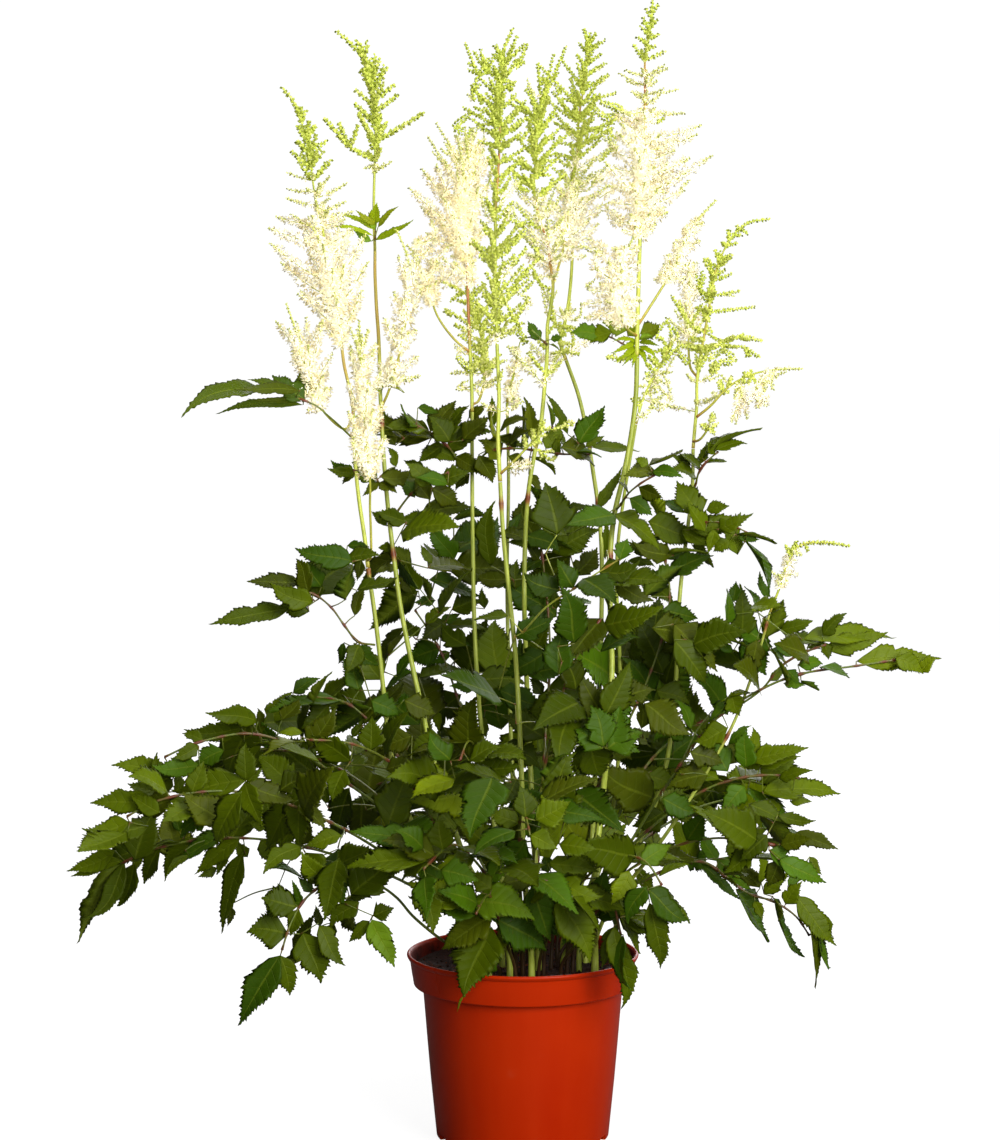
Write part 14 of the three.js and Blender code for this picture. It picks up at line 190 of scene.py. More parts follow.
  ((-1,((-50.5,140.1,210.3),(-44.2,147.6,209.4),(-37.9,155.2,208.6),(-31.7,162.7,207.3),(-25.5,170.1,205.2),(-19.5,177.3,202.1),)),(-1,((-41.3,121,198.8),(-55.1,119.8,201.3),(-69,118.7,203.5),(-83.1,117.6,204),(-97.1,116.5,202.5),(-111.1,115.3,200.9),)),(-1,((-75.6,184.6,227.8),(-69.9,192.9,232.7),(-64.3,201.2,237.7),(-58.4,209.8,242),)),(-1,((-64.7,166.2,222.6),(-76.2,164.5,222.7),(-87.8,162.9,222.7),(-99.3,161.2,221.4),(-110.5,159.6,218.7),(-121.6,158,215.4),)),(-1,((-99,217.1,230),(-94.8,226.8,234.9),(-90.5,236.7,239.3),(-86,247.2,241.8),)),(-1,((-100.3,218.5,229.7),(-111,216.3,236),(-122.3,214,240.9),(-134.3,211.5,244),)),(-1,((-113.1,230.4,225.2),(-109,234.4,224.6),(-104.8,238.3,223.9),)),(-1,((-40.2,118.6,197.4),(-39,113.9,205.6),(-37.9,109.2,213.9),)),(1,((-108,115.6,201.2),(-108,111.5,207.8),(-108,107.4,214.4),(-108,103.2,221.1),)),(4,((-86.2,246.7,241.8),(-80.6,244.5,243.4),)),(3,((-121.3,158,215.5),(-123.3,159.4,220.3),(-125.3,160.8,225.2),)),(-1,((-119.7,235.8,222.2),(-121.3,232.8,218.4),(-122.8,229.7,214.6),)),(9,((-80.6,244.5,243.4),(-77.3,245,235.8),(-74.1,245.5,228.2),)),(5,((-131.3,212.1,243.2),(-131.2,213,248.8),)),(3,((-118.4,158.5,216.4),(-118.1,164.1,214.6),)),(1,((-71.5,118.5,203.8),(-71.3,125.8,208.2),)),(6,((-104.8,238.3,223.9),(-107.2,239.5,220.9),)),(4,((-91,235.5,238.9),(-89.7,235.3,233.7),)),(3,((-94.9,161.8,222.1),(-95,170.5,221.3),)),(14,((-118.1,164.1,214.6),(-122.9,169.5,218.1),)),(-1,((-49.3,137.7,208.9),(-54.2,134.7,206.8),)),(-1,((-62.3,162,221),(-65.4,161.5,220),)),),
  ((-104.8,238.3,223.9,-143.4,242.9,201.7,-104,12,25.7,0.056),(-37.9,109.2,213.9,-28.7,102.4,168.5,-60,13,27.3,0.05),(-108,103.2,221.1,-91.3,145.1,175.1,123,29,30.7,0.08),(-80.6,244.5,243.4,-77.2,269.2,285.5,-100,31,22.2,0.04),(-125.3,160.8,225.2,-121.6,188,186.7,-85,-35,27.2,0.029),(-122.8,229.7,214.6,-121.5,279.1,260.6,-116,44,37.7,0.055),(-74.1,245.5,228.2,-105.9,267.7,258,-89,38,22.7,0.088),(-131.2,213,248.8,-138.7,237.4,264.1,-47,56,15.5,0.068),(-118.1,164.1,214.6,-116.8,196.9,204.5,138,64,16.4,0.026),(-20,176.7,202.4,-10.7,222.3,191,24,67,23.1,0.078),(-71.3,125.8,208.2,-47.9,154.7,223.5,157,34,23.5,0.057),(-58.7,209.3,241.8,-87.4,199.5,209.1,151,32,23.1,0.042),(-107.2,239.5,220.9,-103,280.3,184.6,96,48,28.3,0.022),(-89.7,235.3,233.7,-61.1,275.5,211.5,42,65,28,0.08),(-95,170.5,221.3,-95.3,214.5,216.9,173,53,23.5,0.079),(-122.9,169.5,218.1,-124.2,224.1,214.9,177,56,30.4,0.034),(-53,144.9,212.9,-83.4,149.9,235.9,45,36,19.8,0.054),(-53.3,120,201,-96,125.6,202.4,79,60,22.6,0.046),(-54.2,134.7,206.8,-106.7,148,211.7,57,74,27.4,0.061),(-65.4,161.5,220,-115,153.2,204.2,136,62,29.3,0.058),)),
 "back_mid": (True, ((-5.1,44.6,111),(-5.1,44.9,130.5),(-5.2,49.3,149.3),(-4.2,62.8,163.1),(-2.8,79.1,173.7),(-1.7,95.9,183.5),(-1.3,112.4,193.7),(-1.6,128.5,204.8),(-2.4,144.5,215.9),(-3.5,160.9,226.3),(-4.7,178.3,235),(-5.9,196.7,241.2),(-7.3,215.8,244.7),(-9.1,235,243),),
  ((-1,((-1.7,130.2,206),(-12.8,133.5,207.3),(-23.9,136.8,208.5),(-35.1,140.1,208.5),(-46.1,143.4,207),(-57.1,146.7,204.8),)),(-1,((-4.3,172.6,232.5),(3.7,176.4,231.5),(11.8,180.2,230.6),(19.8,184.1,229.1),(27.6,187.8,226.7),(35.2,191.4,223.4),)),(-1,((-4.6,176.2,234.2),(-14.6,179.6,237.5),(-24.7,183.1,240.6),(-35.1,186.7,242.4),(-45.6,190.3,242.7),(-56.2,193.9,242.8),)),(-1,((-9.1,234.5,243.2),(-1.8,239.9,245.1),(5.5,245.3,246.9),(13,250.8,247.5),(20.4,256.3,246.9),(27.9,261.8,246.1),)),(-1,((-7.1,212.7,244.4),(-15,215.2,247.9),(-22.9,217.7,251.3),(-31.2,220.3,253.6),(-39.7,222.9,254.8),(-48.2,225.6,255.8),)),(3,((22.9,258.1,246.6),(20.9,260.2,237.8),(18.8,262.3,229),)),(2,((-56.2,193.9,242.8),(-61.3,191.4,237.7),(-66.4,188.8,232.7),(-71.4,186.3,227.7),)),(-1,((-1.6,128.5,204.8),(3.5,126.6,208.4),(8.7,124.7,211.9),)),(1,((26.5,187.2,227.1),(30.1,180.1,228.6),(33.8,172.9,230.2),)),(0,((-56.7,146.6,204.9),(-56.5,150.2,207.9),(-56.2,153.7,210.9),)),(5,((19.5,261.6,231.9),(12.3,260.2,232.8),(5.1,258.8,233.7),)),(4,((-24.1,218,251.7),(-24,221.7,248.1),(-23.9,225.3,244.4),)),(6,((-64.9,189.6,234.2),(-69.4,187.5,237.6),)),(4,((-42.1,223.7,255),(-41.5,223.2,262.1),(-40.8,222.7,269.2),(-40.2,222.2,276.3),)),(4,((-48.2,225.6,255.8),(-53.1,226.4,261.1),(-58,227.3,266.5),(-62.9,228.1,271.9),)),(1,((34.4,191,223.8),(30.7,196.6,220.6),)),(2,((-21.3,181.9,239.7),(-19.5,186.7,240.9),)),(3,((25.4,259.9,246.4),(28.6,258,248.5),)),(-1,((-7.8,221.4,244.9),(-5.1,223,244.9),)),(5,((18.8,262.3,229),(15.1,265.2,225.1),)),(2,((-21.3,181.9,239.7),(-21.9,184.8,234.4),)),),
  ((18.8,262.3,229,22.2,286.8,277.6,-83,26,30,0.021),(-71.4,186.3,227.7,-29.4,181.8,259.3,-125,33,27.8,0.077),(8.7,124.7,211.9,-36.4,122,197.1,-128,64,26.2,0.042),(33.8,172.9,230.2,-2.8,194.3,220.9,-130,37,25.2,0.064),(-56.2,153.7,210.9,-40.7,184,181.7,117,34,21,0.084),(5.1,258.8,233.7,47.3,283.2,216.1,-35,50,25.4,0.064),(-23.9,225.3,244.4,-5,221.3,263.6,-148,36,12.7,0.045),(-69.4,187.5,237.6,-73.4,179.9,262.2,-96,-18,12.6,0.057),(-40.2,222.2,276.3,-55.6,240.4,295.1,-26,49,13.5,0.05),(-62.9,228.1,271.9,-45.7,251.2,242.9,64,44,19.8,0.032),(30.7,196.6,220.6,-9.2,223.4,208.5,109,72,28.1,0.056),(-24.2,182.9,240.5,-53.2,214.4,230.2,104,76,20.1,0.045),(-19.5,186.7,240.9,-44.1,215.7,256,-9,62,22,0.056),(28.6,258,248.5,79.6,274.8,254.5,142,78,29.1,0.037),(-5.1,223,244.9,30.9,245,245,122,70,23.4,0.051),(27.9,184.4,227.7,63.7,194.8,231,127,85,21.2,0.037),(15.1,265.2,225.1,37.7,285.7,196.1,76,41,21.3,0.043),(-56.7,146.6,204.9,-82.3,171.5,180.2,109,52,23.9,0.049),(-33.7,139.7,208.6,18.9,153.9,187.5,56,64,27.7,0.089),(-21.9,184.8,234.4,-62.7,210.9,223.1,93,68,27.6,0.069),)),
 "back_right": (True, ((11.5,35.9,111),(11.5,36.1,130.5),(13,40.1,149.4),(17.7,52.7,163.3),(23.3,67.9,174.1),(29.5,83.6,183.9),(36.6,99.1,193.4),(44.7,114.1,202.9),(53.7,128.8,212),(63.2,143.6,220.4),(73.4,158.6,227.6),(84.1,174,233.1),(95.4,189.4,237.1),(107.3,204.7,239),(119.9,219.4,237.3),(132.8,232.3,230.3),),
  ((-1,((58.7,136.8,216.6),(54.9,143.1,220.1),(51.1,149.4,223.6),(47.2,155.7,227.1),(43.3,162.1,230.2),(39.3,168.7,232.7),)),(-1,((82,170.9,232.1),(94.2,168.3,231.5),(106.5,165.8,230.6),(118.5,163.2,228.1),(130.2,160.8,224.2),(141.8,158.4,220),)),(-1,((92.3,185.2,236.2),(87.5,195.5,234.9),(82.8,205.8,233.5),(78.1,216,231.1),)),(-1,((119.8,219.3,237.3),(123.4,218.1,239),)),(-1,((110.6,208.8,239),(106.1,217.5,238.7),(101.6,226.2,237.9),)),(-1,((104.9,201.8,238.9),(102.4,204.8,230.3),(99.9,207.9,221.7),)),(1,((141.8,158.4,220),(146,155.8,226.2),(150.2,153.2,232.4),(154.3,150.6,238.6),)),(-1,((132.3,231.9,230.6),(128.2,235.1,227.7),(124.2,238.3,224.9),)),(-1,((46.9,117.8,205.3),(45.4,122.3,200.2),)),(0,((51.4,148.8,223.3),(53.1,152.3,218.2),(54.8,155.7,213.1),)),(-1,((53.9,129.2,212.2),(50.7,126.6,219.4),(47.6,123.9,226.5),(44.5,121.3,233.7),)),(4,((101.8,225.7,238),(103.7,227.6,245.7),(105.6,229.5,253.4),)),(0,((39.4,168.5,232.7),(43.9,167.3,240.2),)),(1,((118.5,163.2,228.1),(118.5,168.4,228.4),)),(-1,((124.4,224.1,235.3),(124.1,225.4,238.1),)),(-1,((88.8,180.4,235),(83.8,184,233.8),)),(3,((122.6,218.4,238.6),(121.3,213.8,237.2),)),(-1,((110.6,208.8,239),(114.9,205.6,234.2),)),(8,((45.4,122.3,200.2),(43.1,125.3,203.2),(40.8,128.3,206.2),)),(1,((133.1,160.2,223.1),(133.7,164.6,223.9),(134.3,169,224.7),)),(-1,((80.3,168.5,231.3),(75.6,171.5,232.3),(71,174.5,233.2),)),),
  ((99.9,207.9,221.7,116.7,179.6,268.6,56,16,27.9,0.072),(154.3,150.6,238.6,123.2,178.6,203.5,61,15,30.9,0.076),(124.2,238.3,224.9,157,235.2,241.4,-120,40,16.7,0.078),(45.4,122.3,200.2,72,108.4,198.4,59,48,13.6,0.047),(54.8,155.7,213.1,86.4,182.2,248.5,-76,27,27.8,0.035),(44.5,121.3,233.7,56.9,134.4,188.2,-84,-14,22,0.047),(105.6,229.5,253.4,92,246.2,268.7,-98,44,13.7,0.063),(43.9,167.3,240.2,53.6,167.1,269.5,-98,2,15.6,0.072),(118.5,168.4,228.4,169.4,187.4,218.2,66,75,31,0.05),(124.1,225.4,238.1,135.1,280,233.8,47,85,31.9,0.038),(83.8,184,233.8,73.3,240.5,234.8,8,67,30.4,0.077),(78.4,215.4,231.2,69.5,251,225.3,56,76,20.1,0.074),(121.3,213.8,237.2,161.6,199.1,228.5,36,70,20.7,0.079),(114.9,205.6,234.2,144.3,216.7,220.4,18,66,16.7,0.065),(124.1,225.4,238.1,97.3,271.7,222.7,39,29,29.1,0.029),(124.2,238.3,224.9,113.1,272.2,193.5,102,48,24.7,0.066),(40.8,128.3,206.2,14.1,168.7,223.5,-25,67,26.5,0.087),(134.3,169,224.7,140.9,216.7,233.4,-43,72,27.5,0.052),(71,174.5,233.2,36,212.8,245.4,18,60,29.6,0.04),(129.6,234,228.7,129.1,278.7,213.7,87,70,26.6,0.046),)),
 "stem_a_low": (False, ((-106.4,-42.4,367.9),(-117.9,-53.5,371.4),(-127.3,-58,383.6),(-136.7,-60.3,396.9),(-149.3,-63.3,406.6),(-164.9,-67.2,409.6),),
  ((-1,((-144.4,-62.1,404.2),(-145.4,-57.2,402.3),)),(-1,((-117,-52.7,370.8),(-121.7,-49.8,367.1),)),(-1,((-147,-62.7,405.6),(-143.1,-62.2,411.2),)),(-1,((-158.1,-65.5,409),(-158.2,-64.9,415.1),)),(0,((-145.4,-57.2,402.3),(-149.1,-58.6,399.8),(-152.9,-60,397.2),)),(-1,((-136,-60.1,396),(-131.1,-63.4,399.2),(-126.2,-66.7,402.5),)),(-1,((-164,-67,409.6),(-164.9,-66.5,402.8),(-165.8,-66.1,396),)),(5,((-126.2,-66.7,402.5),(-124.3,-67.5,411.6),(-122.4,-68.3,420.8),(-120.5,-69.2,429.9),)),(-1,((-149.7,-63.4,406.8),(-148.8,-72.6,404.5),(-148,-81.7,402.2),)),(4,((-147.9,-58.1,400.6),(-151.8,-53.6,404),)),(-1,((-121,-55.7,373.9),(-118.5,-60.4,372.5),(-116,-65.1,371),)),(7,((-120.5,-69.2,429.9),(-123.3,-62,430.7),(-126.1,-54.8,431.5),)),(7,((-124.3,-67.5,411.6),(-117.9,-70.2,409.6),)),(8,((-148.3,-78.7,403),(-150.7,-79.5,408.7),)),(11,((-126.1,-54.8,431.5),(-125.8,-50.5,435.8),(-125.4,-45.6,439.4),)),(7,((-120.5,-69.2,429.9),(-114.5,-66.4,431),)),(-1,((-127.3,-58,383.6),(-124,-54.8,387.1),(-120.2,-51.1,389.7),)),(4,((-152.9,-60,397.2),(-152.2,-58.7,393.2),)),(1,((-121.7,-49.8,367.1),(-128.2,-44.6,369.7),)),(1,((-121.7,-49.8,367.1),(-118.8,-50.3,359.7),(-115.8,-50.8,352.2),(-113.4,-51.2,344.6),(-111.1,-51.6,337),(-108.7,-52,329.3),)),),
  ((-145.4,-57.2,402.3,-149.4,-55.1,417.5,-99,5,10.1,0.04),(-121.7,-49.8,367.1,-102.5,-64.2,356.1,-97,47,16,-0.034),(-143.1,-62.2,411.2,-157.5,-65.5,430.6,-83,-5,14.2,0.081),(-158.2,-64.9,415.1,-195.3,-73.8,416.4,-74,46,15,0.021),(-152.9,-60,397.2,-176.2,-61.9,404.5,29,71,17.6,0.052),(-126.2,-66.7,402.5,-119.8,-86,426.5,143,35,17.1,0.038),(-165.8,-66.1,396,-221.6,-84,387.1,-79,39,15.4,0.028),(-120.5,-69.2,429.9,-161.5,-70,439.7,-86,11,17,0.027),(-148,-81.7,402.2,-178.1,-84.2,416.4,-83,5,15.6,0.086),(-151.8,-53.6,404,-119.4,-15.2,422.7,-65,49,30.7,0.087),(-116,-65.1,371,-126,-74.8,351,-80,22,13.5,0.069),(-126.1,-54.8,431.5,-100.8,-61.4,433.5,-108,36,12.3,0.029),(-117.9,-70.2,409.6,-89,-70.3,418.8,-124,60,18.2,0.049),(-150.7,-79.5,408.7,-160.7,-70,432.2,-118,9,14.1,0.062),(-125.4,-45.6,439.4,-109.6,-48.8,438.9,-79,17,6.5,0.03),(-114.5,-66.4,431,-117.7,-69.2,416,-110,24,7.7,0.042),(-120.2,-51.1,389.7,-111.2,-46.1,411.6,-98,22,8,0.023),(-152.2,-58.7,393.2,-175.7,-57.5,394.9,-102,19,14.9,0.061),(-128.2,-44.6,369.7,-133,-40.3,354,-109,15,6.5,0.069),(-108.7,-52,329.3,-88.9,-49,317.4,-97,25,17,0.04),)),
 "stem_b_mid": (False, ((-100.5,1.8,477.3),(-103,-7.9,480.7),(-105.7,-17.3,484.8),(-109.4,-26.6,488.5),(-114.9,-35.2,491.5),(-121.2,-43.6,493.2),),
  ((-1,((-105.8,-17.6,484.9),(-103,-16.1,486.8),)),(-1,((-120.6,-42.8,493.1),(-120.2,-43.5,490.1),)),(0,((-103,-16.1,486.8),(-99.6,-5.7,490),(-96.1,4.8,491.9),(-92.6,15.5,492.5),)),),
  ((-104.9,-14.8,483.7,-124.1,-8.1,497.2,-95,20,13.1,0.074),(-104.2,-12.1,482.5,-91,-17.3,475.1,-89,39,9.7,0.075),(-103,-16.1,486.8,-81.2,-12.9,492.3,-92,36,15.5,-0.077),(-120.2,-43.5,490.1,-139.2,-52.2,495.2,-60,19,9.1,0.069),(-120.2,-43.5,490.1,-137,-48.4,500.6,-74,-4,8.5,-0.062),(-120.2,-43.5,490.1,-129.2,-49,483.4,-112,59,7.5,0.086),(-92.6,15.5,492.5,-99.8,18.5,506.8,-108,27,6.5,0.052),(-104.3,-12.1,482.9,-116.1,-18,472.9,-104,19,6.5,0.066),)),
 "stem_b_right": (False, ((-94.4,-0.4,456.1),(-87.7,-3.7,465.9),(-80.6,-9.4,474.7),(-72.6,-17.1,481.1),(-63.7,-24.5,486.7),(-53.5,-31.1,490.8),),
  ((-1,((-61.1,-26.2,487.9),(-59.1,-24.3,484.6),)),(-1,((-81.4,-8.6,473.9),(-78.4,-6.7,471.3),)),(-1,((-70,-19.6,483),(-65.9,-20.4,479.1),)),(-1,((-90.5,-2.5,459.8),(-87.5,-3.6,456.5),(-84.6,-4.7,453.3),)),(2,((-65.9,-20.4,479.1),(-66.5,-19.2,474.8),(-67.1,-17.9,470.4),)),(3,((-84.6,-4.7,453.3),(-88,-2.2,447.1),(-91.3,0.4,440.8),(-94.7,2.9,434.6),)),(5,((-94.7,2.9,434.6),(-92.8,5,429.5),(-90.9,7.1,424.4),)),(6,((-90.9,7.1,424.4),(-91.1,14.1,425.3),(-91.3,21.1,426.1),(-91.6,28.1,426.9),)),(-1,((-63.4,-24.6,486.8),(-66.1,-29.9,481.1),)),(6,((-90.9,7.1,424.4),(-83.6,1.9,423),(-76.3,-3.3,421.5),(-69,-8.5,420.1),)),(7,((-91.4,22.1,426.2),(-86.5,22.5,421.1),(-81.6,22.9,416.1),)),(-1,((-53.7,-30.9,490.7),(-54,-34.5,482.7),)),(3,((-90.5,-2.5,459.8),(-95.2,3.5,455.2),(-99.3,8.7,449.4),)),(9,((-69,-8.5,420.1),(-66.4,-6.1,423.3),)),(6,((-90.9,7.1,424.4),(-92.3,7.4,419.1),)),(10,((-81.6,22.9,416.1),(-87.3,27.8,413),(-92.4,32.2,408.5),)),),
  ((-59.1,-24.3,484.6,-38.6,-28.9,491.5,-114,31,15.9,0.064),(-78.4,-6.7,471.3,-91.1,-1,483.9,-70,38,12.2,0.086),(-65.9,-20.4,479.1,-47.3,-11.4,466,-62,4,16.4,0.052),(-84.6,-4.7,453.3,-106.9,-6.3,461,-87,-2,11.7,-0.079),(-67.1,-17.9,470.4,-77.9,-3.3,484.8,-105,38,11.7,0.06),(-94.7,2.9,434.6,-105.6,4,434,-95,-13,7.9,0.035),(-90.9,7.1,424.4,-76.4,-0.3,404.2,-154,-26,18.7,0.033),(-88.9,-1.4,445.3,-45.5,-32.7,452.6,-134,47,30,0.05),(-91.6,28.1,426.9,-121.2,34.1,403,-144,41,22.6,0.03),(-66.1,-29.9,481.1,-84.3,-31.7,497.7,-74,12,13.7,0.032),(-69,-8.5,420.1,-36.7,24,415.8,-33,65,25.1,0.021),(-81.6,22.9,416.1,-98.4,8.2,436.2,115,17,13.8,0.06),(-54,-34.5,482.7,-76.9,-40,487.8,-70,29,10.9,0.055),(-99.3,8.7,449.4,-111.1,12.6,460.1,-97,31,6.5,0.032),(-66.4,-6.1,423.3,-74.3,-3.6,437.1,-71,12,6.5,0.063),(-92.3,7.4,419.1,-107.7,3.5,415.2,-71,13,6.5,0.039),(-92.4,32.2,408.5,-107.4,35.8,401.5,-101,23,6.5,0.032),)),
 "stem_c_left": (False, ((-40.6,45,484),(-46.6,43.1,492.8),(-52.1,41.1,502.6),(-59.8,37.5,510.4),(-68.4,33.9,517.2),(-78.5,31.3,522.2),),
  ((-1,((-76,31.9,521.2),(-76.7,28.7,520.9),)),(-1,((-57,38.8,507.8),(-59.8,41.1,506.3),)),(-1,((-65.8,34.9,515.3),(-67.6,35.7,512.4),)),(-1,((-59.1,37.8,509.8),(-53.7,30.9,509.8),)),(2,((-67.6,35.7,512.4),(-69.3,38.8,509),(-71,41.9,505.6),)),(3,((-53.7,30.9,509.8),(-48.9,29.8,510.4),(-44.2,28.7,511),)),(-1,((-44.7,43.5,487.7),(-53,49,484.3),(-61.3,54.6,481),(-69.6,60.1,477.6),)),(0,((-76.7,28.7,520.9),(-81.8,24.4,517),(-86.8,20.1,513.2),)),(6,((-69.6,60.1,477.6),(-69.6,64.9,466.3),(-69.6,69.7,455),(-69.7,74.5,443.6),)),(-1,((-77.8,31.5,521.9),(-77.6,33.4,528.5),(-77.3,35.8,534.9),)),(5,((-44.2,28.7,511),(-42.9,37.9,517.3),(-41.5,47.6,522.6),(-40,57.9,526.8),)),(7,((-86.8,20.1,513.2),(-93.6,20.4,518.5),(-101.3,20.8,522.4),)),(7,((-86.8,20.1,513.2),(-93.5,20.3,507.8),)),(-1,((-55.4,39.6,506.2),(-56.5,41.6,505),)),(6,((-69.6,60.1,477.6),(-71.3,62.3,483.8),(-73.5,64.9,489.7),)),(6,((-44.7,43.5,487.7),(-41.8,47.9,487),(-39.2,52.1,485.2),)),(8,((-69.7,74.5,443.6),(-72.8,78.2,449),(-76.4,82.4,453.4),)),),
  ((-61.2,36.8,511.7,-90.1,21.9,515.8,-47,66,24.2,0.036),(-49.4,42.2,498.9,-29.5,32.7,485.6,-111,14,13.3,0.047),(-70.7,33.3,518.6,-102.7,22.6,519.4,-72,60,25.1,0.089),(-59.1,37.8,509.8,-39.2,46.2,537.1,-136,36,24.1,0.06),(-76.7,28.7,520.9,-89.6,22.4,538.4,177,-35,16.3,0.079),(-59.8,41.1,506.3,-76.9,32.2,495.3,-112,53,16,-0.022),(-67.6,35.7,512.4,-104.4,73.2,532.2,-126,24,20.8,0.038),(-53.7,30.9,509.8,-69.3,29.2,529.2,-68,12,18,0.053),(-71,41.9,505.6,-46.9,45.8,494.9,-68,28,15.8,0.052),(-44.2,28.7,511,-23.9,29.5,529.1,-123,33,18.5,0.086),(-68.1,34,517.1,-49.3,51.9,539.9,-121,46,19.2,0.033),(-69.6,60.1,477.6,-99.3,45.9,481.6,-51,61,15.1,0.049),(-86.8,20.1,513.2,-113.1,32.6,514.6,-88,84,13.1,0.053),(-69.7,74.5,443.6,-94.5,82.9,449,-100,36,15.4,0.084),(-77.3,35.8,534.9,-61.7,43.5,530.8,-72,31,7.5,0.04),(-40,57.9,526.8,-26.4,52.8,536.1,-87,18,8.8,0.064),(-101.3,20.8,522.4,-115.1,24.3,513.6,-73,16,6.5,0.065),(-93.5,20.3,507.8,-100.3,24.2,522.3,-112,22,7.8,0.042),(-56.5,41.6,505,-20.7,40.2,516.3,-76,18,16.4,0.027),(-73.5,64.9,489.7,-89.2,72.3,494.8,-99,21,6.5,0.02),(-39.2,52.1,485.2,-49.8,57.7,472.3,-107,24,8.7,0.033),(-76.4,82.4,453.4,-37.2,82,458.9,-86,29,17,0.045),)),
 "stem_c_right": (False, ((-35.3,43.9,489.1),(-26.6,32,502),(-9.2,24.1,505.6),(10,18.7,504.2),(29.2,13.9,501.8),(48.9,10.1,501.9),),
  ((-1,((30.8,13.5,501.6),(28.9,5.6,504.5),(27.1,-2.4,507.5),)),(-1,((-9.9,24.3,505.6),(-10.5,23.2,508.4),)),(-1,((39.6,11.7,501.2),(37.1,4.8,503.7),)),(-1,((16.2,17,503.5),(16.7,19.8,505.3),)),(-1,((4.6,20.2,504.5),(5.2,18.6,499.9),)),(-1,((48.6,10.2,501.8),(50.2,14.4,506.7),)),(1,((-10.5,23.2,508.4),(-13.5,18.9,509.8),(-16.5,14.6,511.2),)),(2,((37.1,4.8,503.7),(40.7,3.8,509.7),)),(-1,((-18.5,27.3,505.5),(-17.4,28.1,501.1),(-16.3,28.9,496.8),)),(-1,((7.5,19.4,504.4),(6.5,17.1,511),)),(6,((-16.5,14.6,511.2),(-17.3,17.8,517.5),)),(10,((-17.3,17.8,517.5),(-22.4,20.9,513.6),)),(10,((-17.3,17.8,517.5),(-18.9,21.6,520.3),(-20.8,25.8,522.3),)),(7,((40.7,3.8,509.7),(37,4.1,513.4),(32.6,4.3,516.4),)),(5,((50.2,14.4,506.7),(45.9,18.9,506.9),)),(-1,((25.5,14.7,502.2),(24.9,19.8,499.5),)),(1,((-10.5,23.2,508.4),(-11,42.1,510.3),(-11.5,61.1,512.1),(-12,80,511.7),(-12.5,98.9,509.1),(-12.9,117.8,506.4),)),(-1,((-20.2,28,505.3),(-26.7,29.9,503.5),(-32.6,31.7,500.4),)),(-1,((-10.5,24.5,505.7),(-10.6,28.3,502.9),(-10.6,31.6,499.6),)),(4,((5.2,18.6,499.9),(4.7,21.7,493.3),(4.4,24.1,486.5),)),),
  ((-1.2,21.8,505,0.4,35.8,537.5,-5,-2,25.9,0.024),(27.1,-2.4,507.5,52.9,12.4,493.3,-35,42,23.7,0.073),(-10.5,23.2,508.4,5.7,8.8,519.4,-157,41,17.5,0.086),(37.1,4.8,503.7,57.5,2.9,500.3,-24,80,15,0.077),(16.7,19.8,505.3,27.1,26,525.9,-77,10,11.9,0.038),(5.2,18.6,499.9,24.2,23.6,486.2,28,55,17.2,0.056),(50.2,14.4,506.7,86.9,34.8,503.3,-54,56,12.4,0.023),(-16.5,14.6,511.2,-23.4,5.7,539.6,-176,-15,22,0.083),(40.7,3.8,509.7,59.5,7.2,537.8,-108,18,17.3,-0.028),(-16.3,28.9,496.8,-32.8,29.7,511.8,-67,25,15.5,0.03),(6.5,17.1,511,0.6,22.2,543.8,-36,13,16.3,0.036),(-17.3,17.8,517.5,3.5,9.9,527.5,-144,50,14.1,0.079),(-22.4,20.9,513.6,-6.4,43,502.4,95,61,14.9,0.06),(-20.8,25.8,522.3,-22.8,27,544.3,-100,11,6.5,0.039),(32.6,4.3,516.4,16.4,-1,547.2,-68,26,7.5,0.032),(45.9,18.9,506.9,60,24.1,514.7,-102,19,6.5,0.06),(24.9,19.8,499.5,27.3,20.9,515.4,-102,10,6.5,0.067),(-12.9,117.8,506.4,3.4,116.9,502.4,-70,20,6.5,0.067),(-32.6,31.7,500.4,-22.1,36.9,479.3,-104,20,14.2,0.06),(-10.6,31.6,499.6,4.2,34.2,490.8,-70,33,9.2,0.056),(4.4,24.1,486.5,14.2,19.6,473.9,-73,17,7,0.042),)),
 "stem_d_low": (False, ((-4.2,-68.3,375.1),(5,-81.5,387.5),(17.1,-91,401),(33.8,-95.5,412.3),(50.5,-98.9,424),(67.6,-102.4,435),),
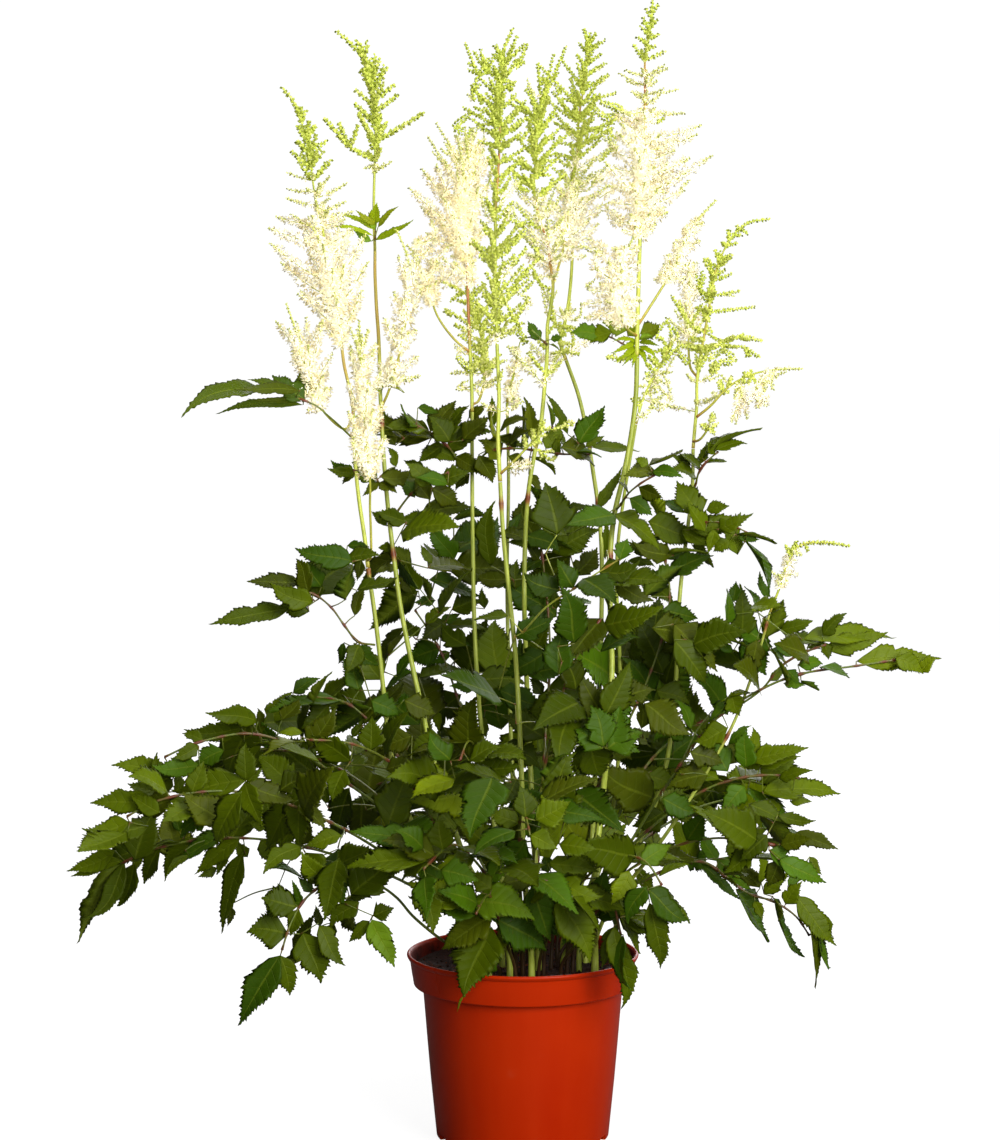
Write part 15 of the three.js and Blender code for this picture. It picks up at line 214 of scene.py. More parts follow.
  ((-1,((35,-95.9,413.2),(34.5,-92.2,412.9),)),(-1,((67.2,-102.3,434.7),(66.5,-105.2,433.6),)),(-1,((44.7,-97.9,420),(45.3,-94.1,421.7),)),(-1,((27.6,-94.1,408.2),(25.4,-88.8,410.9),)),(-1,((57.1,-100.2,428.4),(61.1,-99.7,421.2),)),(-1,((1.5,-76.3,381.6),(-2.2,-74.6,379.4),(-6,-72.9,377.1),)),(4,((61.1,-99.7,421.2),(62.9,-96.7,418.6),)),(-1,((42.3,-97.5,418.3),(40.8,-102.4,420.8),)),(3,((25.4,-88.8,410.9),(22,-85.9,419.4),(18.7,-83.1,427.8),(15.3,-80.3,436.3),)),(5,((-1,-75.2,380.1),(-5.9,-76.2,386),(-10.8,-77.2,391.9),)),(-1,((59,-100.6,429.7),(59.6,-67.6,431.9),(60.2,-34.6,434.1),(60.8,-1.8,432.2),(61.4,30.7,426.6),(62,63.3,420.9),)),(5,((-6,-72.9,377.1),(-7,-39.7,376.8),(-8.1,-6.5,376.6),(-9.1,26.2,372.1),(-10.1,58.4,364.1),(-11.1,90.6,356),)),(5,((-6,-72.9,377.1),(-1.4,-66,375.1),(3.3,-59.2,373.1),(7.7,-52.6,370),(12,-46.3,366.2),(16.3,-40,362.5),)),(5,((-6,-72.9,377.1),(-8.5,-64.8,369.3),(-11,-56.7,361.5),(-13.2,-49.6,352.7),(-15.3,-42.8,343.6),(-17.4,-36,334.5),)),(8,((15.3,-80.3,436.3),(18.9,-82.8,443.3),(23.1,-85.7,449.9),)),),
  ((34.5,-92.2,412.9,23.3,-93.3,433.8,-61,12,17.1,0.03),(52.1,-99.2,425.1,80.1,-111.3,434.6,-131,38,21,-0.046),(66.5,-105.2,433.6,71.9,-97.6,448.3,-91,28,12.5,0.065),(45.3,-94.1,421.7,60.2,-86.3,397.2,10,33,21.4,0.051),(25.4,-88.8,410.9,-0.1,-88.3,423.8,-81,18,18.9,0.024),(23.1,-85.7,449.9,14.8,-81.7,486.7,-84,15,30,0.023),(61.1,-99.7,421.2,98.4,-129.7,422.3,-131,56,21.1,0.024),(-6,-72.9,377.1,21,-68.6,390.1,-94,25,17,0.056),(62.9,-96.7,418.6,90.6,-101.7,405.4,-91,18,14.3,0.074),(40.8,-102.4,420.8,62.8,-135.4,405.6,-101,62,25.1,0.046),(-10.8,-77.2,391.9,-35.5,-71.7,388.7,-119,66,13.5,0.041),(62,63.3,420.9,62.3,57.9,451.7,-89,23,6.5,0.062),(-11.1,90.6,356,-20.2,89.7,370.2,-87,26,6.8,0.034),(16.3,-40,362.5,-14.5,-37,344.8,-77,25,19,0.04),(-17.4,-36,334.5,17.9,-33,325.5,-103,18,18,0.04),)),
 "stem_g_mid": (False, ((67.1,-31.2,464.5),(69.3,-41.6,468.2),(71.7,-51.5,473.2),(75.4,-60.5,478.8),(82.9,-65.7,485.2),(92.4,-68,490.9),),
  ((-1,((81.5,-65.2,484.2),(80.9,-67.9,482.6),)),(-1,((91.8,-67.8,490.6),(90.4,-67.9,493.4),)),(1,((90.4,-67.9,493.4),(88,-65.4,497.8),)),(-1,((69.5,-42.6,468.6),(63.8,-46.4,465),(58.2,-50.3,461.5),)),(3,((60.5,-48.7,462.9),(65.5,-51.8,461.4),)),(2,((88,-65.4,497.8),(90.6,-59.7,495.5),(93.1,-54,493.1),)),(3,((65,-45.7,465.8),(63.8,-42.2,461.2),)),(3,((58.2,-50.3,461.5),(49.3,-44.9,456.2),(40.5,-39.5,450.9),(31.6,-34,445.7),)),(3,((58.2,-50.3,461.5),(56.5,-39.6,463.5),(54.9,-28.8,464.2),(53.2,-18,463.5),)),(-1,((87.2,-66.7,488.1),(88.2,-48.4,489.7),(89.1,-30.2,491.3),(90,-11.9,490.6),(90.9,6.2,487.8),(91.8,24.3,485),)),(-1,((72.4,-54,474.7),(75.2,-49.2,473.5),)),),
  ((80.9,-67.9,482.6,97.7,-71.3,474.6,-116,-29,13.6,0.041),(74.2,-58.4,477.3,65.7,-62.1,486.8,-12,40,10.8,0.08),(90.4,-67.9,493.4,112,-77.3,489.1,-108,29,9.1,0.09),(88,-65.4,497.8,112.9,-55.4,508.4,-173,68,20.8,-0.039),(88,-65.4,497.8,78.4,-64.4,502.5,-87,17,7.7,0.087),(65.5,-51.8,461.4,26.3,-75.3,457,-67,56,23.8,0.045),(93.1,-54,493.1,69.7,-67.4,490.4,-67,49,13.8,0.076),(63.8,-42.2,461.2,98.1,-39.1,435.1,-44,41,22.9,0.064),(31.6,-34,445.7,3.8,-35.5,456.1,-61,49,15.5,0.038),(53.2,-18,463.5,71.7,-15.1,494.6,-70,32,7.6,0.036),(91.8,24.3,485,76.2,29.9,488.1,-106,21,6.5,0.024),(75.2,-49.2,473.5,91.9,-48.8,461.2,-82,32,13.1,0.037),)),
 "stem_i_top": (False, ((126.5,38.8,475),(127.8,32.7,479.5),(128.8,28.1,485.9),(132.1,24.8,492.3),(137.3,23.3,498.1),(143.3,21.9,503.1),),
  ((-1,((142.9,22,502.8),(140.5,19.7,504.5),)),(-1,((134.1,24,494.8),(132,25.7,498.2),)),(-1,((127.6,33.9,478),(124.7,34.7,471.1),(121.8,35.5,464.2),(118.8,36.2,457.3),)),(-1,((131.7,25,491.8),(131.4,33.9,493.1),(131.1,42.9,493.3),(130.8,51.9,492.4),)),(-1,((130.1,26.1,489.3),(127.2,30,491.5),(124.1,34.2,492.6),)),),
  ((140.6,22.6,501,134.6,19,510.8,-61,11,8.6,0.025),(130.6,25.7,490.2,114.9,30.8,502.2,-42,55,14.5,0.056),(128.2,30.2,482.8,107.9,17.3,490.3,-38,45,17.2,0.089),(134.1,24,494.8,149.9,23.8,496.3,-97,75,11.8,0.069),(140.5,19.7,504.5,165.4,27.7,508.7,-83,49,9.3,0.077),(132,25.7,498.2,176.8,30.7,520.6,177,63,35.6,0.079),(118.8,36.2,457.3,98.8,52.1,463.3,-101,63,11.6,0.071),(130.8,51.9,492.4,136.7,49.2,509.3,-79,28,6.5,0.054),(124.1,34.2,492.6,109.4,30.4,500.3,-80,32,9.2,0.04),)),
 "stem_i_mid": (False, ((122.7,36.7,441),(126.3,24.4,445.7),(130.9,12.8,451.4),(141.6,5,452.5),(154.3,0.9,449.5),(166.4,-2,443.7),),
  ((-1,((126.8,22.8,446.6),(122.4,21.5,445.9),)),(-1,((131.2,12.3,451.6),(129.7,13.9,455.3),)),(-1,((143.9,4.2,452.2),(142.3,-1.8,447.9),)),(-1,((163.7,-1.3,445),(162.1,3.7,439.5),)),(-1,((133.1,10,452.4),(133.6,8.7,444.8),)),(-1,((155.4,0.6,449),(154.8,2.7,444.1),)),(-1,((124.5,31,442.5),(125.1,36.9,437.7),(125.7,42.8,432.9),)),(5,((154.8,2.7,444.1),(150.8,4,439.5),)),(6,((124.8,33.3,440.6),(116,33.6,439.4),(107.1,33.8,438.2),)),(8,((107.1,33.8,438.2),(104.7,32.7,444.9),(102.3,31.6,451.6),)),(9,((102.3,31.6,451.6),(97.4,30.1,451.6),(92.4,28.6,451.5),)),(0,((122.4,21.5,445.9),(116.5,23.6,445.8),)),(3,((162.1,3.7,439.5),(159.4,6.1,434),(156.7,8.5,428.6),)),(1,((129.7,13.9,455.3),(132,17.2,458.3),(134.6,20.9,460.4),)),(2,((142.3,-1.8,447.9),(139.6,0.8,447.5),)),(5,((154.8,2.7,444.1),(156.7,4.3,441.8),)),),
  ((122.4,21.5,445.9,169.7,23.1,458.3,-95,26,15.8,-0.055),(129.7,13.9,455.3,113.2,23.9,482.3,-84,23,20,0.042),(142.3,-1.8,447.9,157.7,-8.6,461.2,-122,10,12.6,0.054),(162.1,3.7,439.5,180.5,-2.2,398,-11,25,32.9,0.052),(133.6,8.7,444.8,120.1,9.6,466.8,-47,24,18.6,0.062),(154.8,2.7,444.1,185.5,2.4,437,26,75,22.7,0.049),(125.7,42.8,432.9,141.1,28.5,417.2,23,28,18.9,0.047),(150.8,4,439.5,138.9,6,430.9,-106,9,10.7,0.084),(107.1,33.8,438.2,77.7,27.3,429.2,153,69,22.6,0.077),(102.3,31.6,451.6,93.8,32.5,474.5,32,16,17.6,0.049),(92.4,28.6,451.5,133.4,30.3,444.7,-85,13,20.9,0.044),(116.5,23.6,445.8,137.9,22.5,432.9,-68,35,14.9,0.039),(156.7,8.5,428.6,144.9,21.7,454.4,-70,32,14.1,0.041),(134.6,20.9,460.4,151.3,14.9,463.9,-111,13,9.7,0.031),(139.6,0.8,447.5,134.1,-4.5,430.3,-112,16,9.5,0.063),(156.7,4.3,441.8,173,8,439.7,-102,12,6.5,0.03),)),
}
SOIL_TOP = 123.0
RISE = 4.2
RED, GREEN = 1.0, 0.0


# ------------------------------------------------------------------ shape helpers
def unit(v):
    v = np.asarray(v, float)
    n = np.linalg.norm(v, axis=-1, keepdims=True)
    return v / np.maximum(n, 1e-9)


def length_of(points):
    return float(np.linalg.norm(np.diff(points, axis=0), axis=1).sum())


def spread(points, count):
    """count points at equal steps along a line of points."""
    points = np.asarray(points, float)
    s = np.concatenate([[0], np.cumsum(np.linalg.norm(np.diff(points, axis=0), axis=1))])
    u = np.linspace(0, s[-1], count)
    return np.stack([np.interp(u, s, points[:, k]) for k in range(3)], 1)


def smooth_line(points, step):
    """The points joined by one smooth curve, in equal steps."""
    p = np.asarray(points, float)
    if len(p) > 2:
        q = np.vstack([2 * p[0] - p[1], p, 2 * p[-1] - p[-2]])
        t = np.linspace(0, 1, 9)[:-1, None]
        out = []
        for i in range(len(p) - 1):
            a, b, c, d = q[i : i + 4]
            out.append(
                0.5
                * (
                    2 * b
                    + (c - a) * t
                    + (2 * a - 5 * b + 4 * c - d) * t**2
                    + (3 * b - a - 3 * c + d) * t**3
                )
            )
        p = np.vstack([*out, p[-1:]])
    return spread(p, max(2, int(round(length_of(p) / step)) + 1))


def rings_along(points):
    """Unit tangent and two unit normals at each point, without twist."""
    t = unit(np.gradient(points, axis=0) if len(points) > 2 else np.repeat(points[1:] - points[:1], 2, 0))
    ref = np.array([1.0, 0, 0]) if abs(t[0][0]) < 0.8 else np.array([0, 1.0, 0])
    a = [unit(np.cross(t[0], ref))]
    for i in range(1, len(points)):
        v = a[-1] - t[i] * np.dot(a[-1], t[i])
        a.append(unit(v))
    a = np.array(a)
    return t, a, np.cross(t, a)


class Shape:
    """Gathers vertices, faces and what the materials read, then makes one mesh.

    Materials read two attributes: shade (three numbers per vertex) and tone (one).
    The map named OFBake gives each leaf blade and stalk its own place; buds and florets of one kind and tone level
    share one.
    """

    def __init__(self):
        self.co, self.shade, self.tone, self.normal = [], [], [], []
        self.faces, self.uv, self.mat = [], [], []
        self.count = 0

    def add(self, co, faces, uv, shade, tone, mat, normal=(0, 0, 0)):
        """co (n,3) mm; faces: list of (m,3) or (m,4); uv: the same with a last axis of 2.

        normal, where given, is the direction each vertex is shaded by; zeros keep the mesh's own.
        """
        co = np.asarray(co, np.float32)
        self.co.append(co)
        self.shade.append(np.broadcast_to(np.asarray(shade, np.float32), co.shape))
        self.tone.append(np.broadcast_to(np.asarray(tone, np.float32), (len(co),)))
        self.normal.append(np.broadcast_to(np.asarray(normal, np.float32), co.shape))
        for f, c in zip(faces, uv):
            self.faces.append(np.asarray(f, np.int32) + self.count)
            self.uv.append(np.asarray(c, np.float32))
            self.mat.append(np.full(len(f), mat, np.int32))
        self.count += len(co)

    def tube(self, points, radius, sides, cell, shade, tone, mat):
        """A closed round tube. shade is a function of (share of the way, points) -> (n,3)."""
        n = len(points)
        radius = np.broadcast_to(np.asarray(radius, float), (n,))
        _, a, b = rings_along(points)
        ang = 2 * np.pi * np.arange(sides) / sides
        ring = (
            points[:, None]
            + radius[:, None, None]
            * (np.cos(ang)[None, :, None] * a[:, None] + np.sin(ang)[None, :, None] * b[:, None])
        ).reshape(-1, 3)
        co = np.vstack([ring, points[:1], points[-1:]])
        i, j = np.meshgrid(np.arange(n - 1), np.arange(sides), indexing="ij")
        i, j = i.ravel(), j.ravel()
        k = (j + 1) % sides
        quad = np.stack([i * sides + j, i * sides + k, (i + 1) * sides + k, (i + 1) * sides + j], 1)
        x0, y0, x1, y1 = cell
        U = lambda v: x0 + (x1 - x0) * (0.04 + 0.92 * v)
        V = lambda v: y0 + (y1 - y0) * (0.06 + 0.88 * v)
        quv = np.stack(
            [
                np.stack([U(i / (n - 1)), V(j / sides)], 1),
                np.stack([U(i / (n - 1)), V((j + 1) / sides)], 1),
                np.stack([U((i + 1) / (n - 1)), V((j + 1) / sides)], 1),
                np.stack([U((i + 1) / (n - 1)), V(j / sides)], 1),
            ],
            1,
        )
        s = np.arange(sides)
        e = (s + 1) % sides
        foot, tip = n * sides, n * sides + 1
        tri = np.vstack(
            [
                np.stack([np.full(sides, foot), e, s], 1),
                np.stack([np.full(sides, tip), (n - 1) * sides + s, (n - 1) * sides + e], 1),
            ]
        )
        tuv = np.zeros((2 * sides, 3, 2))
        tuv[:sides] = [[U(0.0), V(0.4)], [U(0.01), V(0.6)], [U(0.01), V(0.2)]]
        tuv[sides:] = [[U(1.0), V(0.4)], [U(0.99), V(0.2)], [U(0.99), V(0.6)]]
        share = np.linspace(0, 1, n)
        sh = shade(share, points) if callable(shade) else np.broadcast_to(shade, (n, 3))
        sh = np.vstack([np.repeat(sh, sides, 0), sh[:1], sh[-1:]])
        self.add(co, [quad, tri], [quv, tuv], sh, tone, mat)

    def make(self, name, materials, sharp=None):
        co = np.concatenate(self.co) * MM
        mesh = bpy.data.meshes.new(name)
        mesh.vertices.add(len(co))
        mesh.vertices.foreach_set("co", co.astype(np.float32).ravel())
        loops = np.concatenate([f.ravel() for f in self.faces])
        sizes = np.concatenate([np.full(len(f), f.shape[1]) for f in self.faces])
        mesh.loops.add(len(loops))
        mesh.loops.foreach_set("vertex_index", loops)
        mesh.polygons.add(len(sizes))
        mesh.polygons.foreach_set(
            "loop_start", np.concatenate([[0], np.cumsum(sizes)[:-1]]).astype(np.int32)
        )
        mesh.polygons.foreach_set("loop_total", sizes.astype(np.int32))
        for m in materials:
            mesh.materials.append(m)
        mesh.polygons.foreach_set("material_index", np.concatenate(self.mat))
        uv = mesh.uv_layers.new(name="OFBake")
        uv.data.foreach_set("uv", np.concatenate([u.reshape(-1, 2) for u in self.uv]).ravel())
        shade = mesh.attributes.new("shade", "FLOAT_VECTOR", "POINT")
        shade.data.foreach_set("vector", np.concatenate(self.shade).ravel())
        tone = mesh.attributes.new("tone", "FLOAT", "POINT")
        tone.data.foreach_set("value", np.concatenate(self.tone).ravel())
        mesh.update(calc_edges=True)
        mesh.validate()
        mesh.shade_smooth()
        if sharp is not None:
            mesh.set_sharp_from_angle(angle=math.radians(sharp))
        normal = np.concatenate(self.normal)
        if np.abs(normal).max() > 0:
            mesh.normals_split_custom_set_from_vertices(normal.tolist())
        ob = bpy.data.objects.new(name, mesh)
        bpy.context.scene.collection.objects.link(ob)
        return ob


def cells(count, x0=0.0, y0=0.0, x1=1.0, y1=1.0):
    """count equal places inside a part of the map, as a list of boxes."""
    cols = max(1, int(math.ceil(math.sqrt(count * (x1 - x0) / (y1 - y0)))))
    rows = max(1, int(math.ceil(count / cols)))
    w, h = (x1 - x0) / cols, (y1 - y0) / rows
    return [
        (x0 + c * w, y0 + r * h, x0 + (c + 1) * w, y0 + (r + 1) * h)
        for r in range(rows)
        for c in range(cols)
    ][:count]


# ------------------------------------------------------------------ leaf blades
HALF_WIDTH = np.array(
    [[0, .03], [.04, .16], [.09, .46], [.16, .76], [.25, .95], [.34, 1.0], [.45, .96],
     [.58, .80], [.71, .56], [.82, .32], [.91, .14], [1, 0]]
)
FOLD = 0.2
BROADER = 1.13
ACROSS = np.array([-1, -0.72, -0.36, 0, 0.36, 0.72, 1])


def direction(azimuth, height):
    a, h = math.radians(azimuth), math.radians(height)
    return np.array([math.cos(h) * math.cos(a), math.cos(h) * math.sin(a), math.sin(h)])


def blade(shape, row, cell, rng, mat):
    """One toothed, veined, folded leaflet: a closed blade with an upper and an under side.

    row: base, tip, the upper side's azimuth and height, width, arch, tone.
    shade: (vein coordinate, share across, side)
    """
    b, t = np.array(row[0:3], float), np.array(row[3:6], float)
    L = np.linalg.norm(t - b)
    d = (t - b) / L
    n = direction(row[6], row[7])
    n = unit(n - d * np.dot(n, d))
    s = np.cross(d, n)
    w, arch, tone = row[8] * BROADER, row[9], row[10]
    veins = 7 if L > 40 else 5 if L > 24 else 4
    R = 4 * veins + 1
    j = np.arange(R)
    u0 = 0.04 + 0.905 * (j / (R - 1)) ** 0.94
    u0[1:-1] += rng.uniform(-0.28, 0.28, R - 2) * 0.905 / (R - 1)
    half = w / 2
    lobe = rng.uniform(0, 6.28, 2)
    V = ACROSS[None, :]
    side = (V > 0).astype(int)
    hw = lambda u: half * np.interp(u, HALF_WIDTH[:, 0], HALF_WIDTH[:, 1])
    u = np.repeat(u0[:, None], len(ACROSS), 1)
    for _ in range(4):
        u = np.minimum(u0[:, None] + 0.66 * np.abs(V) * hw(u) / L, 0.985)
    cut = rng.uniform(0.26, 0.42, 2)
    deep = np.where(rng.uniform(size=2) < 0.6, rng.uniform(0.12, 0.32), 0.03)
    width = hw(u) * (
        1
        + 0.10 * np.sin(lobe[side] + 9.5 * u)
        + 0.07 * np.sin(2.3 * lobe[side] + 17 * u)
        - deep[side] * np.exp(-((u - cut[side] - 0.1) / 0.045) ** 2)
    )
    # teeth: a large one where each side vein ends, a small one between
    depth = np.clip(0.046 * w, 0.4, 1.25) * np.array([1.0, -0.7, 0.35, -0.5])[j % 4]
    depth = depth[:, None] * rng.uniform(0.35, 1.45, (R, 2))
    depth *= np.clip((u[:, [0, -1]] - 0.1) / 0.08, 0, 1) * np.clip((0.99 - u[:, [0, -1]]) / 0.14, 0.25, 1)
    lat = V * width
    along = u * L
    for c, k in ((0, 0), (-1, 1)):
        lat[:, c] = np.sign(ACROSS[c]) * np.maximum(np.abs(lat[:, c]) + depth[:, k], 0.12)
        along[:, c] += np.maximum(depth[:, k], -0.3) * 1.2
    along = np.minimum(along, L * 0.992)
    u = along / L
    wave = rng.uniform(0, 6.28, 2)
    relief = 0.007 * w
    pleat = -relief * np.cos(2 * np.pi * (j / 4))[:, None] * np.sin(np.pi * np.abs(V)) ** 0.8
    lift = (
        arch * L * 4 * u * (1 - u)
        + FOLD * np.abs(lat)
        + 0.035 * w * np.sin(wave[side] + 7.5 * u) * V**2
        - 0.05 * L * np.clip(u - 0.72, 0, 1) ** 2 * 6 * (1 - (u > 0.99))
    )
    # the blade curves a little to one side, more near its tip
    bend = L * (rng.normal(0, 0.035) * 4 * u * (1 - u) + rng.normal(0, 0.10) * u**2 * (1 - u) * 4)
    place = lambda a, l, h, c=bend: b + d * a[..., None] + s * (l + c)[..., None] + n * h[..., None]
    thick = 0.22
    top = place(along, lat, lift + pleat + thick * (1 - V**2))
    mid = place(along[:, 3], lat[:, 3], lift[:, 3] - relief * 2 - 0.34, bend[:, 3])
    C = len(ACROSS)
    co = np.vstack([top.reshape(-1, 3), mid, b[None], t[None]])
    o_mid, o_b, o_t = R * C, R * C + R, R * C + R + 1
    i, c = np.meshgrid(np.arange(R - 1), np.arange(C - 1), indexing="ij")
    i, c = i.ravel(), c.ravel()
    upper = np.stack([i * C + c, i * C + c + 1, (i + 1) * C + c + 1, (i + 1) * C + c], 1)
    k = np.arange(R - 1)
    under = np.vstack(
        [
            np.stack([k * C, (k + 1) * C, o_mid + k + 1, o_mid + k], 1),
            np.stack([o_mid + k, o_mid + k + 1, (k + 1) * C + C - 1, k * C + C - 1], 1),
        ]
    )
    e = np.arange(C - 1)
    caps = np.vstack(
        [
            np.stack([np.full(C - 1, o_b), e + 1, e], 1),
            np.stack([(R - 1) * C + e, (R - 1) * C + e + 1, np.full(C - 1, o_t)], 1),
            [[o_b, 0, o_mid], [o_b, o_mid, C - 1]],
            [[o_t, o_mid + R - 1, (R - 1) * C], [o_t, (R - 1) * C + C - 1, o_mid + R - 1]],
        ]
    )
    # the map: upper side in the left half of the cell, under side in the right half
    x0, y0, x1, y1 = cell
    W, H = x1 - x0, y1 - y0
    su = np.concatenate([u.ravel(), u[:, 3], [0.0], [1.0]])
    sv = np.concatenate([(0.5 + 0.46 * lat / (half * 1.25)).ravel(), np.full(R, 0.5), [0.5], [0.5]])
    def mapped(f, under_side):
        x = x0 + W * (0.5 * under_side + 0.02 + 0.46 * np.clip(sv[f], 0.02, 0.98))
        y = y0 + H * (0.04 + 0.92 * su[f])
        return np.stack([x, y], -1)
    n_up = 2 * (C - 1)
    caps_up, caps_un = caps[:n_up], caps[n_up:]
    vein = np.concatenate([np.repeat(j / 4, C), j / 4, [-0.3], [veins + 0.3]])
    across = np.concatenate([np.tile(ACROSS, R), np.zeros(R + 2)])
    under_flag = np.concatenate([np.tile(1 - 2 * 0.0 * ACROSS, R) * 0, np.ones(R), [0.0], [0.0]])
    shape.add(
        co,
        [upper, under, caps_up, caps_un],
        [mapped(upper, 0), mapped(under, 1), mapped(caps_up, 0), mapped(caps_un, 1)],
        np.stack([vein, across, under_flag], 1),
        tone,
        mat,
    )


def leaf_parts(shape, path, twigs, leaflets, radii, crown, rng, mats, area):
    """A compound leaf: its rachis, side stalks, swollen nodes and leaflets."""
    blade_mat, stalk_mat = mats
    x0, y0, x1, y1 = area
    split = y0 + (y1 - y0) * 0.86
    stalk_cells = cells(len(twigs) + 1, x0, split, x1, y1)
    main = smooth_line(path, 4.0)
    n = len(main)
    share = np.linspace(0, 1, n)
    r = radii[0] + (radii[1] - radii[0]) * share
    if crown:
        r = r * (1 + 0.35 * np.exp(-((share * length_of(main)) / 16) ** 2))
    # each side stalk leaves from a small swollen node
    red = np.zeros(n)
    for parent, t in twigs:
        if parent == -1:
            g = np.linalg.norm(main - np.array(t[0]), axis=1)
            r = r + 0.4 * np.exp(-(g / 2.2) ** 2)
            red = np.maximum(red, np.exp(-(g / 3.5) ** 2))
    hue = rng.uniform(0.03, 0.22)
    # the third shade number darkens a crown stalk towards the soil: partly its own red-brown foot, partly painted shade
    # under the leaves
    shape.tube(
        main,
        r,
        7,
        stalk_cells[0],
        lambda s, p: np.stack(
            [s, np.maximum(red * 0.8, hue), np.clip(1 - (p[:, 2] - SOIL_TOP) / 75, 0, 1) * crown], 1
        ),
        rng.uniform(),
        stalk_mat,
    )
    lines = {-1: main}
    for k, (parent, t) in enumerate(twigs):
        t = np.array(t, float)
        host = lines[parent]
        t[0] = host[np.argmin(np.linalg.norm(host - t[0], axis=1))]
        line = smooth_line(t, 3.2)
        lines[k] = line
        if len(line) < 3:
            line = spread(line, 3)
        m = len(line)
        q = np.linspace(0, 1, m)
        long = length_of(line) > 26
        ra = (0.7 if long else 0.48) + ((0.45 if long else 0.38) - (0.7 if long else 0.48)) * q
        ra = ra * (1 + 0.3 * np.exp(-(q * length_of(line) / 1.6) ** 2))
        rr = hue + 0.5 * np.exp(-(q * length_of(line) / 2.5) ** 2)
        shape.tube(
            line, ra, 5, stalk_cells[k + 1], np.stack([q, rr, 0 * q], 1), rng.uniform(), stalk_mat
        )
    for row, cell in zip(leaflets, cells(len(leaflets), x0, y0, x1, split)):
        blade(shape, row, cell, rng, blade_mat)


# ------------------------------------------------------------------ plumes
def around(d):
    """Two unit vectors square to each of the unit vectors d."""
    ref = np.where(np.abs(d[:, 2:3]) < 0.9, [[0.0, 0, 1]], [[1.0, 0, 0]])
    a = unit(np.cross(d, ref))
    return a, np.cross(d, a)


def map_cell(kind, level, levels=12):
    """Florets of one kind and tone level share one place on the map: they look the same there."""
    w = 0.5 / levels
    x0 = 0.5 * (kind % 2) + level * w
    y0 = 0.0 if kind < 2 else 0.3
    return x0, y0, w, 0.28


def buds(shape, at, out, size, level, open_, soft, mat):
    """Closed buds: small pointed beads that sit on their stalk and lean along out.

    soft is the way out of the string of buds; it evens out the shading from bead to bead.
    """
    n = len(at)
    if not n:
        return
    a, b = around(out)
    ang = 2 * np.pi * np.arange(4) / 4
    radial = np.cos(ang)[None, :, None] * a[:, None] + np.sin(ang)[None, :, None] * b[:, None]
    ring = at[:, None] + out[:, None] * (size * 0.45)[:, None, None] + (size * 0.54)[:, None, None] * radial
    foot = at - out * (size * 0.15)[:, None]
    tip = at + out * (size * 1.15)[:, None]
    co = np.concatenate([foot[:, None], ring, tip[:, None]], 1)
    own = np.concatenate([0 * out[:, None], radial, out[:, None]], 1)
    normal = unit(own * 0.6 + soft[:, None])
    k = np.arange(4)
    e = (k + 1) % 4
    f = np.vstack([np.stack([0 * k, 1 + e, 1 + k], 1), np.stack([1 + k, 1 + e, 0 * k + 5], 1)])
    faces = (f[None] + 6 * np.arange(n)[:, None, None]).reshape(-1, 3)
    x0 = np.array([map_cell(0, l)[0] for l in level])
    _, y0, w, h = map_cell(0, 0)
    local = np.zeros((8, 3, 2))
    local[:4] = [[0.5, 0.05], [0.9, 0.45], [0.1, 0.45]]
    local[4:] = [[0.1, 0.55], [0.9, 0.55], [0.5, 0.95]]
    uv = np.empty((n, 8, 3, 2))
    uv[..., 0] = x0[:, None, None] + w * local[None, ..., 0]
    uv[..., 1] = y0 + h * local[None, ..., 1]
    along = np.tile(np.array([0, .5, .5, .5, .5, 1.0]), n)
    shade = np.stack([along, np.repeat(open_, 6), np.zeros(6 * n)], 1)
    shape.add(
        co.reshape(-1, 3), [faces], [uv.reshape(-1, 3, 2)], shade, np.repeat(level / 11.0, 6), mat,
        normal.reshape(-1, 3),
    )


